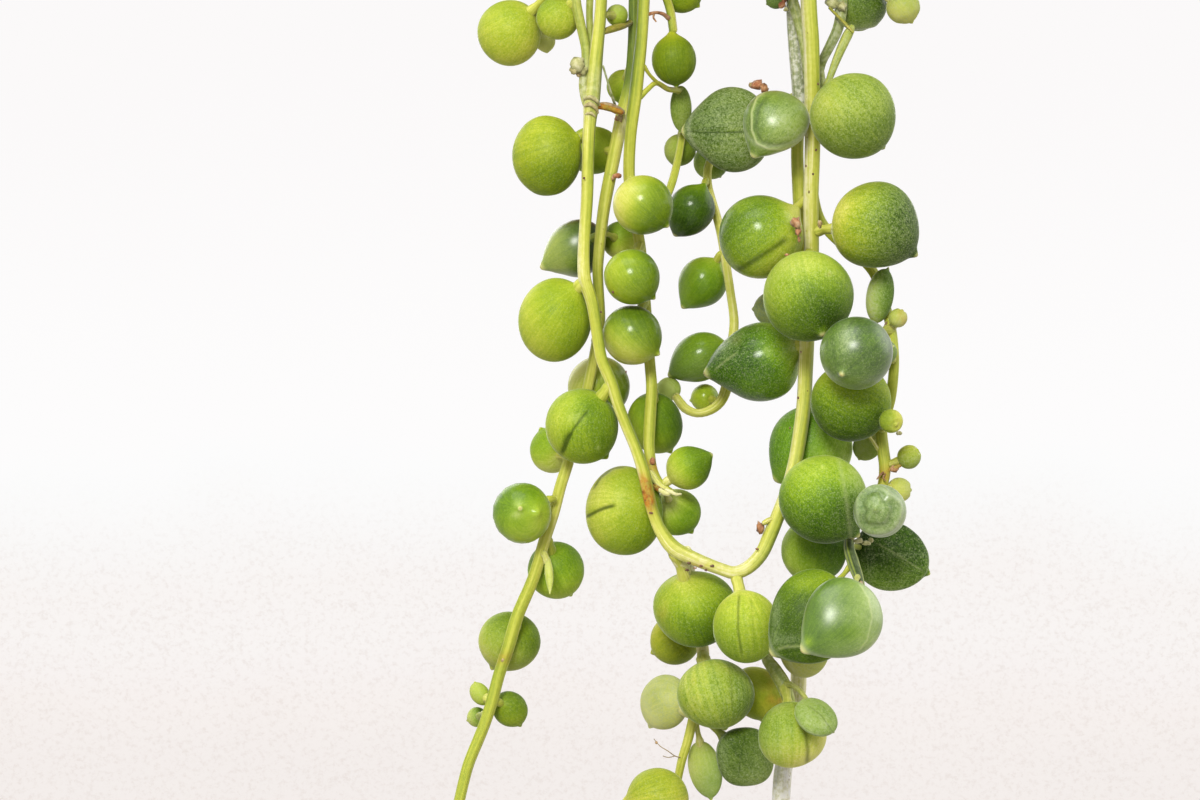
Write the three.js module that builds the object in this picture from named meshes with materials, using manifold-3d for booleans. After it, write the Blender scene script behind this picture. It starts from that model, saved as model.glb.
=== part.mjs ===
// Potted string of pearls in a hanging pot. Millimetres, +Z up.
// The origin is the point where the hook bears on what it hangs from; the pot's axis is the Z axis
// and the long stems hang at the front (-Y).
import * as THREE from 'three';
import { mergeVertices } from 'three/addons/utils/BufferGeometryUtils.js';
import Module from 'manifold-3d';

// ---- driving dimensions ----
const RIM_Z = -200;          // top of the pot's rim
const BASE_Z = -295;         // underside of the pot
const RIM_R = 62;            // outer radius of the rim
const BASE_R = 45;           // outer radius of the base
const RIM_H = 12;            // height of the thick rim
const FLOOR_T = 3;           // thickness of the pot's floor
const POT_SEG = 32;
const DRAIN_R = 4, DRAIN_AT = 26;
const LUG_AT = 66, LUG_END = 69.5, LUG_HALF = 4.5, LUG_T = 2.6, LUG_HOLE = 2.3;
const WIRE_R = 1.1;
const HOOK_R = 1.6;          // radius of the hook's wire
const HOOK_IN = 10;          // inner radius of the hook's bend
const EYE_Z = -44, EYE_R = 8.5;
const SOIL_TOP = -205.5, SOIL_DROP = 3, SOIL_SPAN = 57;
const PIT_R = 2.3, PIT_DEPTH = 4.3;
const SMALLEST = 0.12;       // detail finer than this is merged where a leaf meets its stem
const JOINT_GAP = 0.35;      // between a stalk and a pearl that is a solid of its own

// Stems: one list of [x, y, z] points per branch and its radius, in mm. The first branch is the main stem.
const STEMS = {
  stem_front_loop: [
    { r: 0.78, pts: [[-12,-36,-210.33],[-12,-37.5,-206.33],[-12.18,-38.56,-205.42],[-14.07,-50.45,-199.19],[-14.78,-57.49,-197.15],[-15,-60.66,-197.2],[-15.04,-62.13,-197.93],[-15.02,-63.34,-199.07],[-14.99,-65.04,-201.82],[-14.95,-66.38,-206.9],[-14.87,-67.04,-212.69],[-14.78,-67.19,-220.22],[-14.26,-67.01,-238.29],[-13.28,-67,-251.4],[-12.31,-67,-264.5],[-12.32,-67,-278.38],[-12.33,-67,-292.25],[-11.61,-67,-305.69],[-10.89,-67,-319.13],[-12.21,-67,-334.85],[-12.65,-67,-350.8],[-11.88,-67,-353.33],[-10.78,-67,-359.6],[-6.52,-67,-370.91],[-5.5,-67,-375.33],[-4.4,-67,-378.3],[-2.97,-67,-380.23],[-0.99,-67,-381.32],[3.79,-67,-383.03],[5.23,-66.8,-382.49],[6.68,-66.5,-381.07],[9.56,-65.2,-374.5],[10.73,-64.01,-370.26],[11.69,-62.5,-364.51],[11.99,-61.94,-357.92],[12.49,-62.5,-347.41],[12.38,-65.58,-325.64],[12.04,-66.02,-318.96],[12.32,-66.14,-305.56],[12.6,-66.25,-292.16],[13.15,-66.37,-279.07],[13.7,-66.49,-265.98],[13.48,-66.62,-252.12],[13.26,-66.74,-238.26],[14.02,-67.09,-218.61],[14.37,-66.93,-211.37],[14.51,-66.07,-205.01],[14.5,-64.48,-200.5],[14.53,-62.26,-197.93],[14.5,-60.78,-197.2],[14.32,-57.57,-197.14],[13.73,-50.45,-199.19],[12.15,-38.56,-205.42],[12,-37.5,-206.33],[12,-36,-210.33]] },
    { r: 0.52, pts: [[-10.89,-67,-307.9],[-12.71,-67.39,-313.01],[-13.7,-67,-318.13],[-13.64,-66.8,-319.98],[-12.59,-66.7,-325.47],[-12.78,-66.8,-329.22],[-12.1,-66.8,-332.3]] },
    { r: 0.39, pts: [[-10.78,-67,-313.18],[-11.66,-65.8,-316.55],[-12.1,-65.6,-319.83],[-12.1,-65.8,-323.17],[-11.66,-66.7,-327.89]] },
    { r: 0.34, pts: [[-11.99,-67,-331.66],[-11,-66.9,-331.68],[-8.68,-65.1,-332.16]] },
    { r: 0.55, pts: [[-1.53,-66.6,-380.85],[-1.44,-63,-381.46],[-1.16,-59.56,-382.56],[-0.77,-56.73,-384.37],[-0.32,-55,-386.72],[-0.04,-55.19,-388.41],[0.22,-56,-390.06],[0.59,-58.6,-392.69],[0.35,-59.2,-395.45],[-1.11,-59.2,-402.2],[-2.33,-58.2,-407.37],[-2.56,-58.18,-408.93],[-2.89,-58.4,-412.41],[-2.53,-58.89,-419.75],[-3.36,-59,-425.26]] },
  ],
  stem_front_left: [
    { r: 0.63, pts: [[-6.8,-36,-210.24],[-6.8,-37.5,-206.24],[-7.01,-38.56,-205.35],[-7.99,-43,-203.2],[-8.94,-48.85,-199.93],[-9.53,-53.62,-198.11],[-10.01,-58.79,-197.03],[-10.2,-61.66,-197.2],[-10.24,-63.17,-197.94],[-10.22,-64.39,-199.07],[-10.19,-65.91,-201.82],[-10.15,-66.46,-205.02],[-10.21,-66.76,-212.68],[-10.72,-65.71,-231.79],[-10.34,-65.18,-241.16],[-7.9,-63.76,-265.65],[-7.89,-63.02,-278.67],[-7.88,-62.27,-291.68],[-7.21,-60.78,-317.1],[-7.52,-60.52,-326.86],[-8.06,-60.51,-330.24],[-10.33,-62,-341.25],[-11.16,-62.39,-347.5],[-11.28,-62.4,-349.41],[-11,-61.8,-355.07],[-12.46,-60.2,-363.1],[-13.69,-60.6,-367.58],[-15.35,-62,-373.48],[-18.47,-62,-383.96],[-20.25,-62,-388.2],[-23.51,-62,-399.02],[-25.65,-62,-404.47],[-27.42,-61.97,-411.69],[-27.92,-62.13,-415.01],[-28.04,-62.5,-418.56],[-27.45,-63.03,-425.79],[-28.24,-63,-431.83]] },
  ],
  stem_front_middle: [
    { r: 0.65, pts: [[-1.5,-36,-210.2],[-1.5,-37.5,-206.2],[-1.74,-38.56,-205.31],[-2.87,-43,-203.2],[-3.96,-48.83,-199.93],[-4.64,-53.71,-198.09],[-5.18,-59.23,-197],[-5.4,-62.26,-197.2],[-5.44,-63.8,-197.94],[-5.42,-65.03,-199.07],[-5.4,-66.42,-201.82],[-5.47,-66.73,-217.04],[-5.86,-66.14,-239.91],[-6.25,-65.54,-262.78],[-5.27,-64.88,-287.37],[-5.25,-64.61,-296.9],[-5.86,-64.27,-310.76],[-6.47,-63.92,-324.62],[-7.55,-63,-333.98],[-7.51,-61.52,-341.34],[-6.35,-60.72,-348.07],[-5.57,-60.6,-358.4],[-5.24,-61.4,-362.55],[-5.54,-62.6,-369.45],[-5.11,-63.2,-372],[-4.12,-63.6,-373.55],[-3.01,-63.6,-374.21]] },
    { r: 0.46, pts: [[-6.23,-64,-314.65],[-3.86,-61.6,-318.46],[-3.17,-61,-320.4],[-2.84,-61,-322.63]] },
    { r: 0.37, pts: [[-6.56,-63.3,-330.33],[-5.66,-62.8,-329.4],[-4.75,-61.8,-328.63],[-3.38,-60.2,-329.16],[-2.21,-58,-329.18],[-1.6,-56,-329.9],[-1.44,-54.4,-331.23],[-1.55,-54,-333.02],[-1.75,-54.45,-334.55],[-2.86,-56.8,-339.47],[-3.78,-57.6,-342]] },
  ],
  stem_front_right_old: [
    { r: 0.7, pts: [[6,-36,-210.23],[6,-37.5,-206.23],[6.16,-38.56,-205.34],[7.64,-48.84,-199.93],[8.09,-53.66,-198.1],[8.45,-58.97,-197.02],[8.6,-61.9,-197.2],[8.63,-63.42,-197.94],[8.61,-64.65,-199.07],[8.61,-66.11,-201.82],[8.64,-66.55,-205.02],[8.55,-66.76,-212.68],[7.95,-65.77,-235.04],[9.08,-65.08,-249.61],[10.22,-64.4,-264.19],[10.12,-63.55,-282.17],[10.03,-62.71,-300.15],[10.42,-61.8,-319.38],[11.24,-61.2,-330.48],[11.11,-60.86,-338],[11.38,-60.13,-343.51],[11.71,-59,-348.26],[12.08,-56.5,-354.95],[12.39,-53.4,-361.72],[12.53,-52.44,-365.53],[12.6,-52.13,-369.32],[12.56,-52.4,-373.15],[12.13,-53.8,-379.95],[11.57,-53.92,-390.65],[11.56,-54.27,-394],[11.28,-55.35,-398.61],[9.7,-56.6,-406.08],[9.45,-57,-409.2],[9.03,-58.5,-414.65],[8.9,-58.8,-418.54]] },
    { r: 0.49, pts: [[11.12,-61.2,-329.92],[9.04,-57.27,-330.73],[6.89,-53.8,-332.03],[5.58,-52.5,-332.9],[2.97,-52,-334.92],[1.46,-52.5,-337.13],[1.33,-53,-339.33],[2.8,-53.4,-345.06],[4.16,-53.49,-353.7],[4.04,-53.8,-357.73],[3.35,-54,-362.75],[2.67,-54,-364.23],[1.53,-54,-365.14],[0.05,-54,-365.48],[-1.32,-54,-364.91],[-2.23,-54,-363.77]] },
    { r: 0.64, pts: [[11.67,-54,-386.55],[7.65,-61.4,-392.7],[8.46,-63,-394.02],[9.37,-63.6,-395.53],[10.04,-64.6,-397.44]] },
  ],
  stem_front_right_young: [
    { r: 0.57, pts: [[17.5,-36,-210.48],[17.5,-37.5,-206.48],[17.62,-38.56,-205.54],[18.88,-50.5,-199.19],[19.24,-55.12,-197.58],[19.44,-58.09,-197.06],[19.5,-59.35,-197.2],[19.53,-60.77,-197.91],[19.5,-63.05,-200.5],[19.48,-65.17,-204.13],[19.43,-66.7,-209],[19.39,-67.1,-212.8],[19.34,-67.03,-218.93],[18.98,-65.95,-235.79],[18.01,-65.43,-249.18],[17.04,-64.9,-262.58],[17.16,-64.38,-275.97],[17.29,-63.85,-289.37],[15.88,-62.85,-314.06],[15.93,-62.8,-320.39],[15.48,-62.8,-322.72],[13.75,-62.1,-326.32],[13.07,-60.5,-330.98],[12.86,-60.07,-339.56],[12.99,-60,-341.36],[13.79,-59.7,-343.92],[15.73,-59.3,-346.14],[18,-59,-347.81],[19.68,-59.1,-349.62],[20.52,-59.8,-351.89],[21.38,-62.8,-356.21],[21.59,-64.2,-359.79],[21.18,-63.8,-364],[20.2,-63.6,-367.33],[20.61,-64,-371.43],[20.27,-64,-373.76],[18.88,-64.8,-376.17],[16.94,-65.6,-378.24],[16.36,-67.4,-379.93],[17.23,-73.2,-384.22]] },
  ],
  stem_rim_01: [
    { r: 0.47, pts: [[-26.01,-23.42,-210.26],[-26.42,-23.79,-208.11],[-27.12,-24.42,-206.16],[-28.05,-25.26,-205.3],[-31.95,-28.77,-203.4],[-37.21,-33.5,-199.78],[-40.68,-36.68,-198.11],[-43.07,-38.85,-197.43],[-45.9,-41.03,-197.74],[-47.52,-42.11,-198.46],[-48.74,-43.01,-199.6],[-49.25,-43.53,-200.85],[-49.49,-44.24,-204.13],[-49.22,-45.26,-210.16],[-48.3,-46.19,-218.12],[-48.16,-46.38,-225.74],[-48.51,-45.77,-234.86],[-49.73,-42.9,-251.55],[-49.83,-42.02,-257.63],[-49.69,-41.7,-262.18],[-48.45,-42.12,-274.33],[-46.72,-43.84,-288]] },
  ],
  stem_rim_02: [
    { r: 0.5, pts: [[-15.24,-31.51,-210.26],[-15.54,-31.98,-208.11],[-16.11,-32.75,-206.16],[-16.9,-33.75,-205.29],[-20.27,-37.92,-203.4],[-24.84,-43.48,-199.78],[-28.14,-46.99,-198.1],[-30.49,-49.34,-197.42],[-32.89,-52.04,-197.74],[-34.12,-53.55,-198.46],[-34.99,-54.78,-199.6],[-35.32,-55.43,-200.84],[-35.25,-56.8,-208.59],[-34.89,-57.21,-219.47],[-35.16,-56.92,-224],[-36.55,-55.18,-236],[-36.46,-54.22,-248],[-35.73,-54.16,-255.5],[-32.42,-55.62,-279.5],[-32.35,-55.8,-285.5],[-32.96,-55.85,-296]] },
  ],
  stem_rim_03: [
    { r: 0.53, pts: [[14.16,-32.01,-210.26],[14.49,-32.48,-208.11],[15.1,-33.23,-206.16],[15.97,-34.2,-205.29],[19.72,-38.21,-203.4],[24.78,-43.51,-199.78],[28.62,-46.69,-198.1],[31.34,-48.79,-197.41],[32.41,-49.9,-197.4],[33.46,-51.67,-197.75],[34.22,-53.48,-198.46],[34.85,-54.87,-199.6],[35.35,-55.42,-200.84],[36.11,-55.73,-204.12],[36.25,-56.01,-207.34],[34.59,-56.82,-217.03],[34.08,-56.73,-223.52],[34.66,-55.27,-236.26],[36.26,-53.59,-249],[36.92,-53.08,-256.96],[37.12,-53.04,-263.33],[36.66,-53.66,-271.3],[34.22,-55.95,-292]] },
  ],
  stem_rim_04: [
    { r: 0.48, pts: [[28.41,-20.44,-210.26],[28.82,-20.83,-208.11],[29.46,-21.55,-206.16],[30.28,-22.53,-205.29],[33.67,-26.74,-203.4],[38.16,-32.41,-199.78],[40.87,-36.45,-198.1],[42.64,-39.31,-197.42],[44.79,-42.23,-197.74],[46.05,-43.71,-198.46],[47.09,-44.8,-199.6],[47.69,-45.26,-200.84],[48.48,-45.42,-204.1],[48.77,-45.43,-208.64],[47.87,-44.74,-221.33],[48.82,-42.9,-235.13],[48.97,-42.67,-242.8],[48.69,-43.24,-253.54],[47.64,-45,-265.8],[46.69,-46.47,-279.6],[46.62,-46.54,-285.73],[47.14,-45.61,-298]] },
  ],
  stem_rim_05: [
    { r: 0.52, pts: [[33.87,-8.82,-210.26],[34.41,-8.94,-208.11],[35.34,-9.14,-206.16],[36.56,-9.38,-205.3],[41.72,-10.4,-203.4],[48.66,-11.76,-199.78],[53.32,-12.53,-198.11],[56.52,-13.06,-197.42],[59.94,-14.04,-197.74],[61.76,-14.76,-198.46],[63.19,-15.25,-199.6],[63.93,-15.38,-200.85],[64.69,-15.2,-204.15],[64.96,-14.76,-207.35],[64.3,-12.86,-215.15],[64,-12.45,-219.87],[63.93,-13.19,-226.04],[63.84,-16.49,-243],[63.97,-17.03,-253.79],[64.06,-16.35,-259.96],[64.12,-14.82,-267.67],[63.65,-12.57,-280]] },
  ],
  stem_rim_06: [
    { r: 0.48, pts: [[34.73,4.32,-210.26],[35.28,4.44,-208.11],[36.2,4.69,-206.16],[37.4,5.06,-205.3],[42.48,6.67,-203.4],[49.28,8.87,-199.78],[53.73,10.65,-198.1],[56.76,11.93,-197.42],[60.25,12.66,-197.74],[62.2,12.75,-198.46],[63.71,12.88,-199.6],[64.42,13.12,-200.85],[65,13.68,-204.13],[65.16,13.87,-208.98],[64.46,13.17,-219.33],[65.21,11.63,-231],[65.37,11.58,-236],[65.23,12.73,-247.49],[64.44,14.68,-257.85],[63.53,15.67,-267.67],[63.01,15.63,-274.33],[62.55,13.96,-286]] },
  ],
  stem_rim_07: [
    { r: 0.51, pts: [[22.1,27.14,-210.26],[22.53,27.51,-208.11],[23.32,28.08,-206.16],[24.4,28.79,-205.29],[29.03,31.72,-203.4],[35.26,35.55,-199.78],[39.7,37.72,-198.1],[42.83,39.09,-197.42],[45.98,40.92,-197.75],[47.57,42.06,-198.46],[48.74,43.01,-199.6],[49.21,43.58,-200.86],[49.49,44.56,-206],[50.89,43.05,-215.69],[50.93,43.01,-218.95],[49.71,44.56,-228.67],[48.27,45.62,-236.76],[47.4,45.66,-244.86],[47.3,44.68,-252.96],[48.16,42.6,-262.67],[48.98,41.13,-274]] },
  ],
  stem_rim_08: [
    { r: 0.53, pts: [[17.57,30.27,-210.26],[17.77,30.8,-208.11],[18.04,31.73,-206.16],[18.35,32.98,-205.29],[19.58,38.28,-203.4],[21.14,45.39,-199.78],[21.69,50.29,-198.1],[21.96,53.67,-197.42],[22.29,55.17,-197.4],[23.14,57.04,-197.75],[24.19,58.7,-198.46],[24.95,60.02,-199.6],[25.16,60.72,-200.85],[24.89,61.95,-207.4],[24.62,62.33,-212.21],[23.93,62.59,-220.63],[22.77,62.49,-230.38],[23.03,61.76,-238.5],[25.49,59.35,-256.37],[26.05,58.81,-264.5],[25.88,58.83,-272.63],[24.28,59.86,-284]] },
  ],
  stem_rim_09: [
    { r: 0.49, pts: [[-14.87,31.68,-210.26],[-15.07,32.2,-208.11],[-15.4,33.09,-206.16],[-15.8,34.28,-205.3],[-17.47,39.29,-203.4],[-19.68,46.03,-199.78],[-21.02,50.58,-198.1],[-21.89,53.72,-197.42],[-22.81,57.18,-197.74],[-23.3,59.07,-198.46],[-23.75,60.51,-199.6],[-24.07,61.17,-200.85],[-25.2,61.79,-207.43],[-26.36,61.36,-214.12],[-26.7,61.01,-219.33],[-26.15,60.94,-223.78],[-24.42,60.95,-231.18],[-22.7,60.9,-240.99],[-22.15,60.74,-249.33],[-23.13,60.3,-260.82],[-25.36,59.81,-272.67],[-26.61,59.77,-286]] },
  ],
  stem_rim_10: [
    { r: 0.52, pts: [[-27.39,21.79,-210.26],[-27.8,22.17,-208.11],[-28.48,22.83,-206.16],[-29.35,23.73,-205.3],[-33.03,27.53,-203.4],[-37.95,32.66,-199.78],[-41.1,36.2,-198.1],[-43.23,38.67,-197.42],[-45.57,41.4,-197.74],[-46.83,42.88,-198.46],[-47.87,43.97,-199.6],[-48.49,44.4,-200.86],[-49.31,44.52,-204.16],[-49.48,44.66,-207.48],[-47.79,45.13,-217.67],[-47.05,45.22,-224.34],[-46.83,45.06,-229.33],[-47.39,44.28,-236],[-49.68,42.31,-251],[-50.16,42.19,-257.67],[-49.95,42.79,-266.01],[-48.47,44.32,-276]] },
  ],
  stem_rim_11: [
    { r: 0.47, pts: [[-32.15,13.85,-210.26],[-32.7,13.98,-208.11],[-33.65,14.13,-206.16],[-34.93,14.29,-205.29],[-40.36,14.84,-203.4],[-47.61,15.5,-199.78],[-52.55,15.42,-198.1],[-55.95,15.26,-197.42],[-57.47,15.4,-197.4],[-59.44,16.02,-197.75],[-61.22,16.86,-198.46],[-62.61,17.45,-199.6],[-63.37,17.55,-200.85],[-64.16,17.29,-204.12],[-64.34,17.3,-207.29],[-62.94,18.26,-216.53],[-62.59,18.18,-221.19],[-63.26,15.91,-233.33],[-63.72,15.03,-240.92],[-64.01,14.77,-247],[-64.12,15.21,-253.08],[-64.05,16.27,-260.67],[-63.24,18.61,-274.33],[-62.32,18.91,-288]] },
  ],
  stem_rim_12: [
    { r: 0.5, pts: [[-32.73,-12.4,-210.26],[-33.29,-12.5,-208.11],[-34.26,-12.6,-206.16],[-35.55,-12.68,-205.29],[-41.02,-12.91,-203.4],[-48.32,-13.13,-199.78],[-53.25,-12.8,-198.1],[-56.64,-12.44,-197.42],[-60.28,-12.45,-197.75],[-62.22,-12.64,-198.46],[-63.71,-12.88,-199.6],[-64.44,-13.08,-200.86],[-65.04,-13.58,-204.16],[-65.14,-14.05,-207.32],[-63.71,-15.52,-218],[-63.9,-15.81,-225.5],[-64.39,-15.22,-233.01],[-65.2,-12.32,-248],[-65.07,-11.5,-255.5],[-64.15,-12.18,-266],[-62.64,-14.37,-278]] },
  ],
  stem_crown_1: [
    { r: 0.43, pts: [[6.89,5.79,-209.07],[8.24,7.13,-206.06],[8.8,8.16,-204.93],[9.05,9.62,-204.45],[9.75,15.13,-204.4],[11.46,18.37,-204.49],[12.61,19.77,-204.59],[13.96,20.74,-204.68],[17.02,21.38,-204.79],[20.47,20.98,-204.89],[23.31,19.57,-204.96],[26.99,15.53,-205],[28.33,12.59,-204.99],[28.48,11.04,-204.96],[27.94,7.71,-204.88],[26.47,5.32,-204.77],[25.04,4.85,-204.7],[19.23,5.49,-204.47]] },
  ],
  stem_crown_2: [
    { r: 0.43, pts: [[-3.37,8.35,-209.07],[-4.23,10.04,-206.06],[-5.05,10.89,-204.93],[-6.35,11.58,-204.45],[-11.37,13.95,-204.4],[-13.93,16.57,-204.49],[-14.9,18.1,-204.59],[-15.41,19.69,-204.68],[-15.07,22.79,-204.79],[-13.63,25.95,-204.89],[-11.41,28.22,-204.96],[-6.43,30.47,-205],[-3.22,30.83,-204.99],[-1.7,30.5,-204.96],[1.31,28.95,-204.88],[3.13,26.82,-204.77],[3.13,25.31,-204.7],[0.72,19.99,-204.47]] },
  ],
  stem_crown_3: [
    { r: 0.43, pts: [[-8.98,-0.63,-209.07],[-10.85,-0.93,-206.06],[-11.91,-1.43,-204.93],[-12.98,-2.46,-204.45],[-16.78,-6.51,-204.4],[-20.07,-8.13,-204.49],[-21.82,-8.58,-204.59],[-23.49,-8.57,-204.68],[-26.33,-7.29,-204.79],[-28.89,-4.94,-204.89],[-30.36,-2.13,-204.96],[-30.97,3.3,-205],[-30.32,6.47,-204.99],[-29.53,7.81,-204.96],[-27.13,10.19,-204.88],[-24.54,11.26,-204.77],[-23.11,10.79,-204.7],[-18.79,6.86,-204.47]] },
  ],
  stem_crown_4: [
    { r: 0.43, pts: [[-2.18,-8.73,-209.07],[-2.47,-10.61,-206.06],[-2.32,-11.77,-204.93],[-1.67,-13.1,-204.45],[1,-17.97,-204.4],[1.53,-21.6,-204.49],[1.42,-23.41,-204.59],[0.89,-24.98,-204.68],[-1.2,-27.3,-204.79],[-4.23,-29,-204.89],[-7.36,-29.53,-204.96],[-12.71,-28.43,-205],[-15.52,-26.84,-204.99],[-16.55,-25.68,-204.96],[-18.08,-22.66,-204.88],[-18.29,-19.86,-204.77],[-17.41,-18.64,-204.7],[-12.33,-15.75,-204.47]] },
  ],
  stem_crown_5: [
    { r: 0.43, pts: [[7.63,-4.77,-209.07],[9.32,-5.63,-206.06],[10.48,-5.84,-204.93],[11.95,-5.64,-204.45],[17.4,-4.6,-204.4],[21.01,-5.22,-204.49],[22.7,-5.89,-204.59],[24.04,-6.87,-204.68],[25.59,-9.58,-204.79],[26.28,-12.98,-204.89],[25.81,-16.12,-204.96],[23.11,-20.87,-205],[20.73,-23.05,-204.99],[19.3,-23.68,-204.96],[15.96,-24.19,-204.88],[13.23,-23.53,-204.77],[12.35,-22.32,-204.7],[11.16,-16.59,-204.47]] },
  ],
};
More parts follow.
